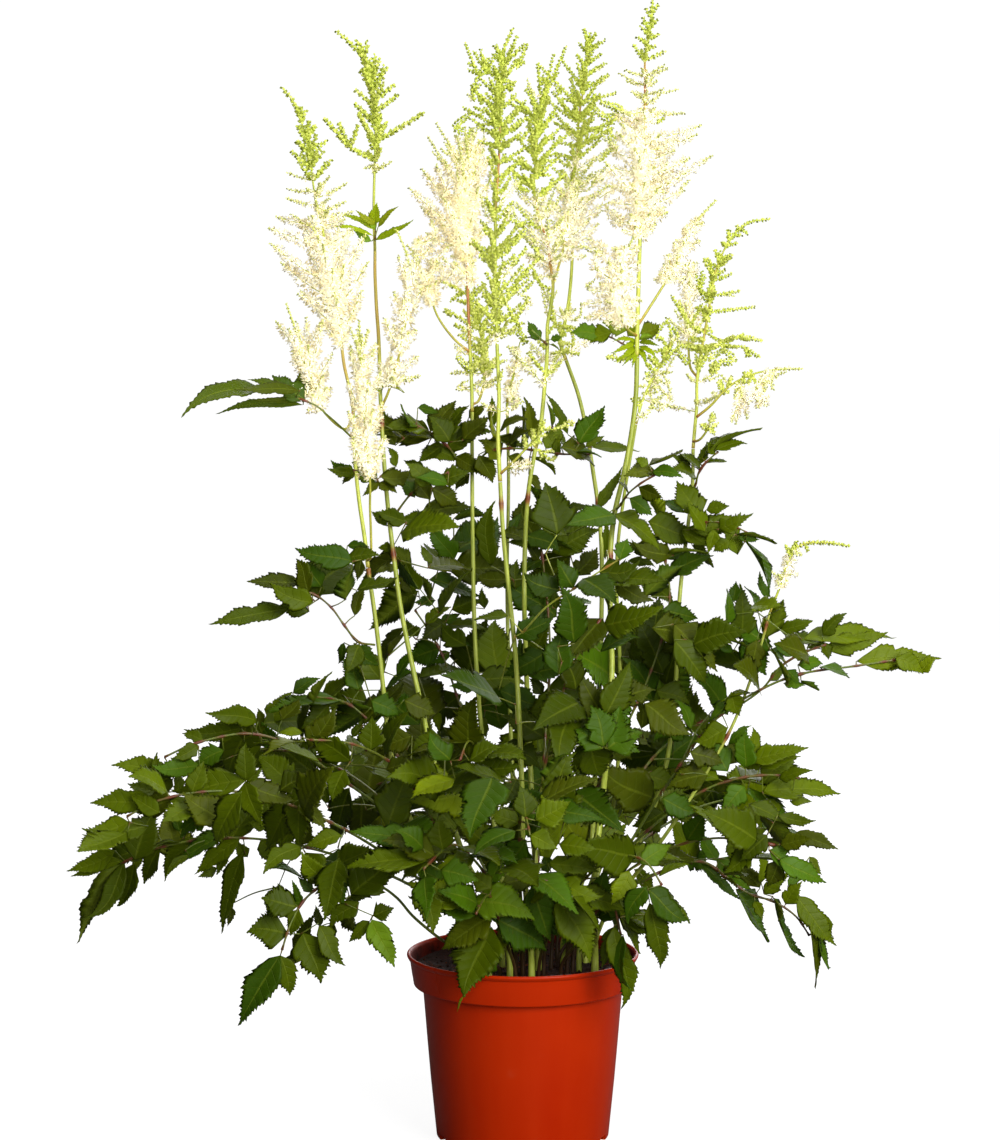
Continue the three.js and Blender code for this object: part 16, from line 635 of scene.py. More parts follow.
def florets(shape, at, out, size, level, soft, rng, mat, petals=5):
    """Open florets: narrow petals that spread from one point, each a thin closed sliver.

    soft is the way each floret faces out of the plume; it evens out the shading of the petals.
    """
    n = len(at)
    if not n:
        return
    a, b = around(out)
    turn = rng.uniform(0, 6.28, n)
    tilt = rng.uniform(0.4, 1.3, (n, petals))
    ang = turn[:, None] + 2 * np.pi * np.arange(petals)[None] / petals + rng.normal(0, 0.2, (n, petals))
    radial = np.cos(ang)[..., None] * a[:, None] + np.sin(ang)[..., None] * b[:, None]
    d = unit(out[:, None] * np.cos(tilt)[..., None] + radial * np.sin(tilt)[..., None])
    side = unit(np.cross(d, radial))
    up = np.cross(side, d)
    ln = size[:, None, None] * rng.uniform(0.75, 1.15, (n, petals))[..., None]
    base = at[:, None] + 0.0 * d
    wide = ln * PETAL_WIDTH
    mid = base + d * ln * 0.6 + up * ln * 0.08
    tip = base + d * ln - up * ln * 0.08
    co = np.stack([base, mid - side * wide, mid + side * wide, tip], 2).reshape(-1, 3)
    f = np.array([[0, 2, 1], [1, 2, 3], [0, 1, 3], [0, 3, 2]])
    m = n * petals
    faces = (f[None] + 4 * np.arange(m)[:, None, None]).reshape(-1, 3)
    x0 = np.repeat(np.array([map_cell(1, l)[0] for l in level]), petals)
    _, y0, w, h = map_cell(1, 0)
    local = np.array(
        [
            [[0.5, 0.04], [0.95, 0.6], [0.05, 0.6]],
            [[0.05, 0.6], [0.95, 0.6], [0.5, 0.97]],
            [[0.5, 0.04], [0.05, 0.6], [0.5, 0.97]],
            [[0.5, 0.04], [0.5, 0.97], [0.95, 0.6]],
        ]
    )
    uv = np.empty((m, 4, 3, 2))
    uv[..., 0] = x0[:, None, None] + w * local[None, ..., 0]
    uv[..., 1] = y0 + h * local[None, ..., 1]
    along = np.tile(np.array([0, 0.6, 0.6, 1.0]), m)
    shade = np.stack([along, np.ones(4 * m), np.zeros(4 * m)], 1)
    face_out = unit(soft[:, None] + 0.45 * d + 0.25 * up)
    normal = np.repeat(face_out.reshape(-1, 3), 4, 0)
    shape.add(
        co, [faces], [uv.reshape(-1, 3, 2)], shade, np.repeat(level / 11.0, 4 * petals), mat, normal
    )


def along_branch(line, s, rng, spin):
    """Points and outward directions round a branch at shares s of its length."""
    n = len(line)
    x = np.clip(s, 0, 1) * (n - 1)
    i = np.minimum(x.astype(int), n - 2)
    f = (x - i)[:, None]
    at = line[i] * (1 - f) + line[i + 1] * f
    t = unit(line[i + 1] - line[i])
    a, b = around(t)
    ang = spin + 2.399963 * np.arange(len(s)) + rng.normal(0, 0.25, len(s))
    out = np.cos(ang)[:, None] * a + np.sin(ang)[:, None] * b
    return at, t, out


# ------------------------------------------------------------------ materials
def material(name):
    m = bpy.data.materials.new(name)
    m.use_nodes = True
    m.node_tree.nodes.clear()
    return m


class Nodes:
    """Short names for the nodes of one material."""

    def __init__(self, m):
        self.t = m.node_tree

    def new(self, kind, **inputs):
        n = self.t.nodes.new(kind)
        for k, v in inputs.items():
            self.set(n, k, v)
        return n

    def set(self, n, key, v):
        sock = n.inputs[int(key[1:])] if key[0] == "i" and key[1:].isdigit() else n.inputs[key.replace("_", " ")]
        if isinstance(v, bpy.types.NodeSocket):
            self.t.links.new(v, sock)
        else:
            sock.default_value = v

    def math(self, op, a, b=None, clamp=False):
        n = self.t.nodes.new("ShaderNodeMath")
        n.operation = op
        n.use_clamp = clamp
        self.set(n, "i0", a)
        if b is not None:
            self.set(n, "i1", b)
        return n.outputs[0]

    def noise(self, scale, detail=3.0, rough=0.55, vector=None, out="Fac"):
        n = self.t.nodes.new("ShaderNodeTexNoise")
        n.inputs["Scale"].default_value = scale
        n.inputs["Detail"].default_value = detail
        n.inputs["Roughness"].default_value = rough
        if vector is None:
            vector = self.coords()
        self.t.links.new(vector, n.inputs["Vector"])
        return n.outputs[out]

    def coords(self):
        if not hasattr(self, "_c"):
            self._c = self.t.nodes.new("ShaderNodeTexCoord")
        return self._c.outputs["Object"]

    def attribute(self, name):
        n = self.t.nodes.new("ShaderNodeAttribute")
        n.attribute_name = name
        return n

    def split(self, vector):
        n = self.t.nodes.new("ShaderNodeSeparateXYZ")
        self.t.links.new(vector, n.inputs[0])
        return n.outputs

    def mix(self, fac, a, b, blend="MIX"):
        n = self.t.nodes.new("ShaderNodeMix")
        n.data_type = "RGBA"
        n.blend_type = blend
        n.clamp_factor = True
        for i, v in ((0, fac), (6, a), (7, b)):
            if isinstance(v, bpy.types.NodeSocket):
                self.t.links.new(v, n.inputs[i])
            elif i == 0:
                n.inputs[0].default_value = v
            else:
                n.inputs[i].default_value = (*v, 1) if len(v) == 3 else v
        return n.outputs[2]

    def ramp(self, fac, stops, interpolation="LINEAR"):
        n = self.t.nodes.new("ShaderNodeValToRGB")
        n.color_ramp.interpolation = interpolation
        el = n.color_ramp.elements
        while len(el) < len(stops):
            el.new(0.5)
        for e, (p, c) in zip(el, stops):
            e.position = p
            e.color = (*c, 1) if hasattr(c, "__len__") else (c, c, c, 1)
        self.t.links.new(fac, n.inputs[0])
        return n.outputs[0]

    def range(self, v, a, b, c, d):
        n = self.t.nodes.new("ShaderNodeMapRange")
        n.clamp = True
        self.set(n, "i0", v)
        for i, x in enumerate((a, b, c, d)):
            n.inputs[i + 1].default_value = x
        return n.outputs[0]

    def bump(self, height, distance, strength=1.0):
        n = self.t.nodes.new("ShaderNodeBump")
        n.inputs["Distance"].default_value = distance
        n.inputs["Strength"].default_value = strength
        self.t.links.new(height, n.inputs["Height"])
        return n.outputs[0]

    def end(self, shader):
        o = self.t.nodes.new("ShaderNodeOutputMaterial")
        self.t.links.new(shader, o.inputs["Surface"])

    def principled(self, **kw):
        n = self.t.nodes.new("ShaderNodeBsdfPrincipled")
        for k, v in kw.items():
            self.set(n, k, v)
        return n


def srgb(r, g, b):
    f = lambda c: c / 12.92 if c <= 0.04045 else ((c + 0.055) / 1.055) ** 2.4
    return tuple(f(x / 255) for x in (r, g, b))


def pot_material():
    m = material("pot_plastic")
    k = Nodes(m)
    cloud = k.noise(9.0, 3.0)
    fine = k.noise(420.0, 2.0)
    stretch = k.new("ShaderNodeMapping", Vector=k.coords())
    stretch.inputs["Scale"].default_value = (60, 60, 4)
    drag = k.noise(1.0, 2.0, 0.5, stretch.outputs[0])
    base = k.mix(k.range(cloud, 0.3, 0.7, 0, 1), srgb(*POT_A), srgb(*POT_B))
    base = k.mix(k.range(drag, 0.35, 0.75, 0, 0.25), base, srgb(*POT_C))
    dust = k.range(k.noise(60.0, 4.0, 0.7), 0.62, 0.9, 0, 0.12)
    base = k.mix(dust, base, srgb(150, 100, 70))
    rough = k.range(drag, 0.2, 0.8, 0.26, 0.36)
    # painted shade on the wall inside, above the soil, where the leaves shade it; noise breaks it into a grainy smear
    x, y, z = k.split(k.coords())
    r = k.math("SQRT", k.math("ADD", k.math("MULTIPLY", x, x), k.math("MULTIPLY", y, y)))
    inner = k.math("ADD", k.math("MULTIPLY", k.math("SUBTRACT", z, 0.117), 0.147), 0.0797)
    inside = k.range(k.math("SUBTRACT", inner, r), -0.0004, 0.0004, 0, 1)
    high = k.range(z, 0.127, 0.137, 1.0, 0.8)
    grit = k.range(k.noise(170.0, 5.0, 0.7), 0.3, 0.62, 0.7, 1.0)
    above = k.range(z, 0.1155, 0.1165, 0.0, 1.0)
    inner_wall_shade = k.math("MULTIPLY", k.math("MULTIPLY", inside, k.math("MULTIPLY", above, high)), grit)
    # the inside wall above the soil is darkened here: painted shade
    base = k.mix(inner_wall_shade, base, srgb(40, 14, 8))
    rough = k.math("ADD", rough, k.math("MULTIPLY", inner_wall_shade, 0.45))
    h = k.math("ADD", k.math("MULTIPLY", fine, 0.4), k.math("MULTIPLY", drag, 0.6))
    p = k.principled(Base_Color=base, Roughness=rough, Normal=k.bump(h, 0.00012, 0.6))
    p.inputs["Specular IOR Level"].default_value = 0.12
    k.end(p.outputs[0])
    return m


def soil_material():
    m = material("potting_soil")
    k = Nodes(m)
    tone = k.attribute("tone").outputs["Fac"]
    grain = k.noise(520.0, 5.0, 0.7)
    patch = k.noise(90.0, 4.0, 0.6)
    a = k.ramp(grain, [(0.25, srgb(16, 6, 3)), (0.5, srgb(42, 19, 10)), (0.72, srgb(74, 34, 19)), (0.9, srgb(104, 56, 32))])
    b = k.mix(k.range(patch, 0.35, 0.7, 0, 0.75), a, srgb(22, 12, 8))
    c = k.mix(k.range(tone, 0.55, 1.0, 0, 0.75), b, srgb(120, 62, 34))
    p = k.principled(Base_Color=c, Roughness=k.range(grain, 0, 1, 0.8, 1.0), Normal=k.bump(grain, 0.0012, 0.9))
    p.inputs["Specular IOR Level"].default_value = 0.2
    k.end(p.outputs[0])
    return m


def stalk_material(name, light, dark, red, node, gloss=0.42):
    """Stems and stalks. shade: (share of the way, redness, darkening near the soil: partly a red-brown foot, partly
    painted shade), tone: each its own.
    """
    m = material(name)
    k = Nodes(m)
    s = k.split(k.attribute("shade").outputs["Vector"])
    tone = k.attribute("tone").outputs["Fac"]
    stretch = k.new("ShaderNodeMapping", Vector=k.coords())
    stretch.inputs["Scale"].default_value = (900, 900, 30)
    fibre = k.noise(1.0, 2.0, 0.5, stretch.outputs[0])
    blotch = k.noise(70.0, 3.0, 0.6)
    base = k.mix(k.range(fibre, 0.3, 0.7, 0, 1), dark, light)
    base = k.mix(k.range(blotch, 0.45, 0.75, 0, 0.35), base, dark)
    base = k.mix(k.range(tone, 0, 1, 0, 0.3), base, dark)
    speck = k.math("MULTIPLY", s[1], k.range(blotch, 0.25, 0.6, 0.75, 1.15))
    base = k.mix(k.range(speck, 0.12, 0.75, 0, 1), base, red)
    base = k.mix(k.range(speck, 0.8, 1.0, 0, 0.8), base, node)
    # crown stalks turn dark red-brown near the soil: partly their own colour, partly painted shade
    base = k.mix(k.range(s[2], 0.25, 0.8, 0, 0.92), base, srgb(58, 26, 16))
    p = k.principled(Base_Color=base, Roughness=k.range(fibre, 0, 1, gloss - 0.06, gloss + 0.1), Normal=k.bump(fibre, 0.0002, 0.5))
    k.end(p.outputs[0])
    return m


def blade_material():
    """Leaf blades. shade: (vein coordinate, share across, under side), tone: dark to bright."""
    m = material("leaf_blade")
    k = Nodes(m)
    s = k.split(k.attribute("shade").outputs["Vector"])
    coded = k.attribute("tone").outputs["Fac"]
    kind = k.math("FLOOR", k.math("ADD", coded, 0.005))
    tone = k.math("SUBTRACT", coded, kind)
    absv = k.math("ABSOLUTE", s[1])
    # side veins run at whole numbers of the vein coordinate, finer ones between
    near = lambda v: k.math("ABSOLUTE", k.math("SUBTRACT", k.math("FRACT", k.math("ADD", v, 0.5)), 0.5))
    d1 = near(s[0])
    w1 = k.range(absv, 0.0, 1.0, 0.075, 0.025)
    vein = k.range(k.math("DIVIDE", d1, w1), 0.35, 1.1, 1, 0)
    third = near(k.math("MULTIPLY", k.math("ADD", s[0], k.math("MULTIPLY", absv, 2.1)), 2.0))
    net = k.range(third, 0.02, 0.09, 1, 0)
    midrib = k.range(absv, 0.035, 0.085, 1, 0)
    mottle = k.noise(110.0, 4.0, 0.6)
    broad = k.noise(22.0, 2.0, 0.5)
    fine = k.noise(900.0, 2.0, 0.5)
    olive = k.ramp(tone, [(0.0, LEAF[0]), (0.35, LEAF[1]), (0.65, LEAF[2]), (1.0, LEAF[3])])
    emerald = k.ramp(tone, [(0.0, EMERALD[0]), (0.35, EMERALD[1]), (0.65, EMERALD[2]), (1.0, EMERALD[3])])
    brown = k.ramp(tone, [(0.0, BROWNISH[0]), (0.35, BROWNISH[1]), (0.65, BROWNISH[2]), (1.0, BROWNISH[3])])
    green = k.mix(k.math("GREATER_THAN", kind, 0.5), olive, emerald)
    green = k.mix(k.math("GREATER_THAN", kind, 1.5), green, brown)
    green = k.mix(k.range(mottle, 0.3, 0.75, 0, 0.3), green, LEAF[4])
    green = k.mix(k.range(broad, 0.35, 0.7, 0, 0.4), green, LEAF[0])
    edge = k.range(absv, 0.86, 1.0, 0, 0.35)
    green = k.mix(edge, green, srgb(74, 70, 22))
    lines = k.math("MAXIMUM", k.math("MULTIPLY", vein, 0.09), k.math("MULTIPLY", net, 0.04))
    lines = k.math("MAXIMUM", lines, k.math("MULTIPLY", midrib, 0.28))
    upper = k.mix(lines, green, LEAF[5])
    pale = k.mix(k.math("MULTIPLY", lines, 0.8), k.mix(0.55, green, LEAF[6]), LEAF[5])
    color = k.mix(s[2], upper, pale)
    rough = k.range(mottle, 0.2, 0.8, LEAF_ROUGH[0], LEAF_ROUGH[1])
    rough = k.math("ADD", rough, k.math("MULTIPLY", s[2], 0.18))
    h = k.math("ADD", k.math("MULTIPLY", fine, 0.25), k.math("MULTIPLY", mottle, 0.5))
    h = k.math("SUBTRACT", h, k.math("MULTIPLY", vein, 0.55))
    h = k.math("SUBTRACT", h, k.math("MULTIPLY", midrib, 0.5))
    nrm = k.bump(h, 0.00045, 0.8)
    p = k.principled(Base_Color=color, Roughness=rough, Normal=nrm)
    p.inputs["Specular IOR Level"].default_value = 0.13
    through = k.new("ShaderNodeBsdfTranslucent", Color=k.mix(0.6, color, LEAF[7]), Normal=nrm)
    mixed = k.new("ShaderNodeMixShader", Fac=THROUGH)
    k.t.links.new(p.outputs[0], mixed.inputs[1])
    k.t.links.new(through.outputs[0], mixed.inputs[2])
    k.end(mixed.outputs[0])
    return m


def bloom_material():
    """Buds and florets. shade: (foot to tip, open, 0), tone: their own level."""
    m = material("bloom")
    k = Nodes(m)
    s = k.split(k.attribute("shade").outputs["Vector"])
    tone = k.attribute("tone").outputs["Fac"]
    cream = k.ramp(tone, [(0.0, BLOOM[0]), (0.5, BLOOM[1]), (1.0, BLOOM[2])])
    cream = k.mix(k.range(s[0], 0.0, 0.5, 0.55, 0), cream, BLOOM[3])
    bud = k.ramp(tone, [(0.0, BLOOM[4]), (0.45, BLOOM[5]), (1.0, BLOOM[6])])
    bud = k.mix(k.range(s[0], 0.55, 1.0, 0, 0.45), bud, BLOOM[7])
    bud = k.mix(k.range(s[0], 0.0, 0.45, 0.5, 0), bud, BLOOM[8])
    color = k.mix(s[1], bud, cream)
    p = k.principled(Base_Color=color, Roughness=0.62)
    p.inputs["Specular IOR Level"].default_value = 0.3
    through = k.new("ShaderNodeBsdfTranslucent", Color=color)
    mixed = k.new("ShaderNodeMixShader", Fac=0.42)
    k.t.links.new(p.outputs[0], mixed.inputs[1])
    k.t.links.new(through.outputs[0], mixed.inputs[2])
    k.end(mixed.outputs[0])
    return m


POT_A, POT_B, POT_C = (177, 40, 0), (166, 32, 0), (187, 50, 4)
LEAF = [
    srgb(54, 67, 0), srgb(82, 97, 0), srgb(108, 126, 2), srgb(158, 176, 8),
    srgb(66, 92, 0), srgb(136, 150, 36), srgb(118, 130, 34), srgb(140, 168, 0),
]
EMERALD = [srgb(40, 64, 0), srgb(60, 94, 4), srgb(84, 122, 10), srgb(140, 174, 24)]
BROWNISH = [srgb(48, 54, 0), srgb(74, 80, 2), srgb(98, 106, 6), srgb(144, 150, 16)]
LEAF_ROUGH = (0.4, 0.58)
THROUGH = 0.25
BLOOM = [
    srgb(255, 240, 190), srgb(255, 247, 212), srgb(255, 252, 232), srgb(246, 226, 150),
    srgb(176, 190, 56), srgb(212, 222, 94), srgb(240, 240, 154), srgb(238, 242, 140), srgb(142, 156, 36),
]
M_POT = pot_material()
M_SOIL = soil_material()
M_STEM = stalk_material("stem_green", srgb(196, 204, 90), srgb(140, 156, 42), srgb(150, 104, 44), srgb(112, 42, 20))
M_STALK = stalk_material("leaf_stalk", srgb(118, 132, 34), srgb(72, 88, 14), srgb(104, 52, 26), srgb(96, 38, 22))
M_AXIS = stalk_material("plume_axis", srgb(190, 194, 78), srgb(142, 154, 40), srgb(156, 104, 48), srgb(120, 52, 26), 0.5)
M_BLADE = blade_material()
M_BLOOM = bloom_material()


# ------------------------------------------------------------------ pieces
def stand_in(ob, node):
    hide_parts(node)
    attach(ob, "root")


def build_pot():
    """The moulded pot: tapered wall, collar with a rolled rim, foot ring with notches and holes."""
    def arc(cx, cz, r, a0, a1, n):
        return [
            (cx + r * math.cos(math.radians(a0 + (a1 - a0) * i / n)), cz + r * math.sin(math.radians(a0 + (a1 - a0) * i / n)))
            for i in range(n + 1)
        ]
    outer = [(0, 0), (30, 0), (42.4, 0)] + [(43, 0.1), (46, 4.9), (47, 5), (56, 5), (57, 4.8), (59, 0.3), (59.6, 0)]
    outer += [(62.4, 0)] + arc(62.6, 1.0, 1.0, -90, 5, 5)
    outer += [(64.9, 14), (66.3, 28), (67.7, 42), (69.1, 58), (70.3, 72), (71.6, 88), (72.6, 100), (73.2, 107)]
    outer += [(73.35, 110.2)] + arc(75.0, 111.0, 1.6, 180, 100, 4) + [(77.8, 112.75)] + arc(78.9, 114.2, 1.5, -75, -6, 5)
    outer += [(80.9, 117.5), (81.7, 122), (82.4, 127), (82.9, 130.4)]
    outer += [(83.2, 131.8), (84.2, 132.4)] + arc(83.9, 134.7, 1.35, -40, 165, 9)
    outer += [(82.3, 134.8), (81.6, 133.2), (81.0, 130), (80.0, 123), (79.1, 117.4), (78.4, 115.6), (77.0, 114.9), (73.9, 114)]
    outer += [(72.4, 113), (71.9, 111.4), (71.6, 108.6), (70.2, 94), (68.2, 72), (65.2, 40), (62.4, 11), (61.4, 8.2), (59.6, 7.1)]
    outer += [(52, 7), (44.6, 7), (43.4, 6.2), (41.8, 2.4), (41, 2), (20, 2), (0, 2)]
    prof = np.array(outer)
    seg = 112
    ang = 2 * np.pi * (np.arange(seg) + 0.5) / seg
    inner = prof[1:-1]
    co = np.stack(
        [
            (inner[:, 0][:, None] * np.cos(ang)[None]),
            (inner[:, 0][:, None] * np.sin(ang)[None]),
            np.repeat(inner[:, 1][:, None], seg, 1),
        ],
        -1,
    ).reshape(-1, 3)
    n = len(inner)
    co = np.vstack([co, [[0, 0, prof[0, 1]], [0, 0, prof[-1, 1]]]])
    i, j = np.meshgrid(np.arange(n - 1), np.arange(seg), indexing="ij")
    i, j = i.ravel(), j.ravel()
    k = (j + 1) % seg
    quads = np.stack([i * seg + j, i * seg + k, (i + 1) * seg + k, (i + 1) * seg + j], 1)
    s = np.arange(seg)
    e = (s + 1) % seg
    tris = np.vstack(
        [
            np.stack([np.full(seg, n * seg), e, s], 1),
            np.stack([np.full(seg, n * seg + 1), (n - 1) * seg + s, (n - 1) * seg + e], 1),
        ]
    )
    mesh = bpy.data.meshes.new("pot_look")
    mesh.from_pydata((co * MM).tolist(), [], quads.tolist() + tris.tolist())
    mesh.update()
    ob = bpy.data.objects.new("pot_look", mesh)
    bpy.context.scene.collection.objects.link(ob)
    # notches through the foot ring and round holes in the drain channel
    import bmesh
    bm = bmesh.new()
    for q in range(8):
        a = 2 * math.pi * (q + 0.5) / 8
        made = bmesh.ops.create_cube(bm, size=1.0)
        for v in made["verts"]:
            x, y, z = v.co.x * 12 + 62, v.co.y * (13 if v.co.z < 0 else 10.5), v.co.z * 8 + 0.4
            v.co = Vector((x * math.cos(a) - y * math.sin(a), x * math.sin(a) + y * math.cos(a), z)) * MM
        made = bmesh.ops.create_cone(bm, cap_ends=True, segments=28, radius1=4.4, radius2=4.4, depth=12)
        for v in made["verts"]:
            x, y, z = v.co.x + 51.6, v.co.y, v.co.z + 5
            v.co = Vector((x * math.cos(a) - y * math.sin(a), x * math.sin(a) + y * math.cos(a), z)) * MM
    bmesh.ops.recalc_face_normals(bm, faces=bm.faces)
    cut_mesh = bpy.data.meshes.new("cutters")
    bm.to_mesh(cut_mesh)
    bm.free()
    cut = bpy.data.objects.new("cutters", cut_mesh)
    bpy.context.scene.collection.objects.link(cut)
    mod = ob.modifiers.new("cut", "BOOLEAN")
    mod.operation, mod.solver, mod.object = "DIFFERENCE", "EXACT", cut
    mod.use_self = False
    bpy.context.view_layer.update()
    done = bpy.data.meshes.new_from_object(ob.evaluated_get(bpy.context.evaluated_depsgraph_get()))
    ob.modifiers.clear()
    ob.data = done
    done.name = "pot_look"
    bpy.data.objects.remove(cut)
    done.materials.clear()
    done.materials.append(M_POT)
    done.shade_smooth()
    done.set_sharp_from_angle(angle=math.radians(38))
    stand_in(ob, "pot")
    lower.objects.link(ob)


def build_soil():
    """Potting mix: an uneven crumbly top, loose crumbs and fibres, and the body below."""
    rng = np.random.default_rng(11)
    sh = Shape()
    seg, rad = 110, np.concatenate([np.linspace(0, 76, 44)[1:], [77.6, 78.2]])
    ang = 2 * np.pi * np.arange(seg) / seg
    waves = [(rng.uniform(0.03, 0.09), rng.uniform(0, 6.28), rng.uniform(0, 6.28), rng.uniform(0.5, 1)) for _ in range(8)]
    def height(x, y):
        h = 0 * x
        for f, a, p, w in waves:
            h += 0.30 * w * np.sin(f * (x * math.cos(a) + y * math.sin(a)) * 2 + p)
        for f, a, p, w in waves:
            h += 0.16 * w * np.sin(f * 7 * (x * math.cos(a * 3) + y * math.sin(a * 3)) + p * 2)
        return h
    X = rad[:, None] * np.cos(ang)[None]
    Y = rad[:, None] * np.sin(ang)[None]
    Z = SOIL_TOP - 0.6 + height(X, Y) + rng.normal(0, 0.36, X.shape) * (rad[:, None] < 77)
    Z += RISE * np.clip((rad[:, None] - 52) / 26, 0, 1) ** 2
    side = np.array([(78.3, 121), (77.2, 116.2), (73.0, 113.2), (70.6, 108.8), (67.2, 70), (61.4, 10), (59.4, 7.6), (44.0, 7.6), (41.0, 2.8), (20, 2.8)])
    co = np.stack([X, Y, Z], -1).reshape(-1, 3)
    low = np.stack(
        [side[:, 0][:, None] * np.cos(ang)[None], side[:, 0][:, None] * np.sin(ang)[None], np.repeat(side[:, 1][:, None], seg, 1)], -1
    ).reshape(-1, 3)
    co = np.vstack([co, low, [[0, 0, SOIL_TOP - 0.6]], [[0, 0, 2.8]]])
    n = len(rad) + len(side)
    i, j = np.meshgrid(np.arange(n - 1), np.arange(seg), indexing="ij")
    i, j = i.ravel(), j.ravel()
    k = (j + 1) % seg
    quads = np.stack([i * seg + j, (i + 1) * seg + j, (i + 1) * seg + k, i * seg + k], 1)
    s = np.arange(seg)
    e = (s + 1) % seg
    top, bottom = n * seg, n * seg + 1
    tris = np.vstack([np.stack([np.full(seg, top), s, e], 1), np.stack([np.full(seg, bottom), (n - 1) * seg + e, (n - 1) * seg + s], 1)])
    def flat(f):
        p = co[f]
        low_side = (f[:, :1] >= len(rad) * seg)
        uv = 0.24 + p[..., :2] / 170 * 0.46
        r = np.hypot(p[..., 0], p[..., 1])
        around_ = (np.arctan2(p[..., 1], p[..., 0]) / (2 * np.pi)) % 1
        lo = np.stack([0.5 + 0.48 * around_, 0.02 + 0.4 * p[..., 2] / 125 + 0.0 * r], -1)
        return np.where(low_side[..., None], lo, uv)
    sh.add(co, [quads, tris], [flat(quads), flat(tris)], (0, 0, 0), 0.2, 0)
    # loose crumbs
    m = 420
    r = 77 * np.sqrt(rng.uniform(0, 1, m))
    a = rng.uniform(0, 6.28, m)
    r = np.minimum(r, 76.0)
    base = np.array([[0, 0, -1], [1, 0, 0], [0, 1, 0], [-1, 0, 0], [0, -1, 0], [.7, .7, .5], [-.7, .7, .5], [-.7, -.7, .5], [.7, -.7, .5], [0, 0, 1]], float)
    f = np.array([[0, 2, 1], [0, 3, 2], [0, 4, 3], [0, 1, 4], [1, 2, 5], [2, 3, 6], [3, 4, 7], [4, 1, 8], [1, 5, 8], [2, 6, 5], [3, 7, 6], [4, 8, 7], [5, 6, 9], [6, 7, 9], [7, 8, 9], [8, 5, 9]])
    crumb_cells = cells(16, 0.5, 0.5, 1.0, 1.0)
    for q in range(m):
        size = rng.uniform(0.6, 1.9) * (1.5 if rng.uniform() < 0.12 else 1)
        p = base * rng.uniform(0.6, 1.2, (10, 1)) * size * np.array([1, 1, 0.75]) * rng.uniform(0.7, 1.3, (1, 3))
        t = rng.uniform(0, 6.28)
        rot = np.array([[math.cos(t), -math.sin(t), 0], [math.sin(t), math.cos(t), 0], [0, 0, 1]])
        x, y = r[q] * math.cos(a[q]), r[q] * math.sin(a[q])
        z = SOIL_TOP - 0.5 + float(height(np.array(x), np.array(y))) + RISE * min(1, max(0, (r[q] - 52) / 26)) ** 2
        x0, y0, x1, y1 = crumb_cells[q % 16]
        c = p @ rot.T
        uv = np.stack([x0 + (x1 - x0) * (0.5 + 0.4 * c[f][..., 0] / 3.2), y0 + (y1 - y0) * (0.5 + 0.4 * c[f][..., 1] / 3.2)], -1)
        sh.add(c + [x, y, z + 0.15 * size], [f], [uv], (0, 0, 0), rng.uniform(0, 1) ** 2, 0)
    # fibres
    fib_cells = cells(64, 0.52, 0.42, 0.98, 0.5)
    for q in range(90):
        rr, aa = 70 * math.sqrt(rng.uniform()), rng.uniform(0, 6.28)
        x, y = rr * math.cos(aa), rr * math.sin(aa)
        h = rng.uniform(0, 6.28)
        ln = rng.uniform(4, 13)
        pts = [np.array([x, y, 0])]
        for _ in range(5):
            h += rng.normal(0, 0.35)
            pts.append(pts[-1] + np.array([math.cos(h), math.sin(h), 0]) * ln / 5)
        pts = np.array(pts)
        if np.hypot(pts[:, 0], pts[:, 1]).max() > 75:
            continue
        edge = np.clip((np.hypot(pts[:, 0], pts[:, 1]) - 52) / 26, 0, 1) ** 2
        pts[:, 2] = SOIL_TOP + height(pts[:, 0], pts[:, 1]) + RISE * edge + rng.uniform(-0.3, 0.7)
        sh.tube(smooth_line(pts, 1.6), rng.uniform(0.16, 0.36), 4, fib_cells[q % 64], (0, 0, 0), rng.uniform(0.6, 1), 0)
    ob = sh.make("soil_look", [M_SOIL], 70)
    stand_in(ob, "soil")


# where each flowering stem carries a red-brown node, as heights in millimetres
STEM_NODES = {"a": (421,), "b": (525, 430), "c": (493,), "d": (470,), "e": (470,), "f": (462,), "g": (430,), "i": (380, 300)}


def build_stem(key, seed):
    rng = np.random.default_rng(seed)
    r0, r1, path = STEMS[key]
    line = smooth_line(path, 3.0)
    n = len(line)
    s = np.linspace(0, 1, n)
    r = r0 + (r1 - r0) * s
    r = r * (1 + 0.28 * np.exp(-(s * length_of(line) / 18) ** 2))
    red = 0.06 + 0.08 * s
    for z in STEM_NODES.get(key, ()):
        g = np.abs(line[:, 2] - z)
        r = r + 0.45 * np.exp(-(g / 2.4) ** 2)
        red = np.maximum(red, np.exp(-(g / 4.5) ** 2))
    sh = Shape()
    sh.tube(line, r, 10, (0, 0, 1, 1), np.stack([s, red, 0 * s], 1), rng.uniform(), 0)
    ob = sh.make("flower_stem_%s_look" % key, [M_STEM])
    stand_in(ob, "flower_stem_" + key)


def turned(points, centre, axis, angle):
    """The points turned about a line through centre along axis."""
    v = points - centre
    c, q = math.cos(angle), math.sin(angle)
    return centre + v * c + np.cross(axis, v) * q + axis * (v @ axis)[:, None] * (1 - c)


def nearest(lines, point):
    """Which line passes nearest to the point, at which of its points, and how far off."""
    best = (1e9, 0, 0)
    for k, line in enumerate(lines):
        d = np.linalg.norm(line - point, axis=1)
        i = int(np.argmin(d))
        best = min(best, (float(d[i]), k, i))
    return best[1], best[2], best[0]


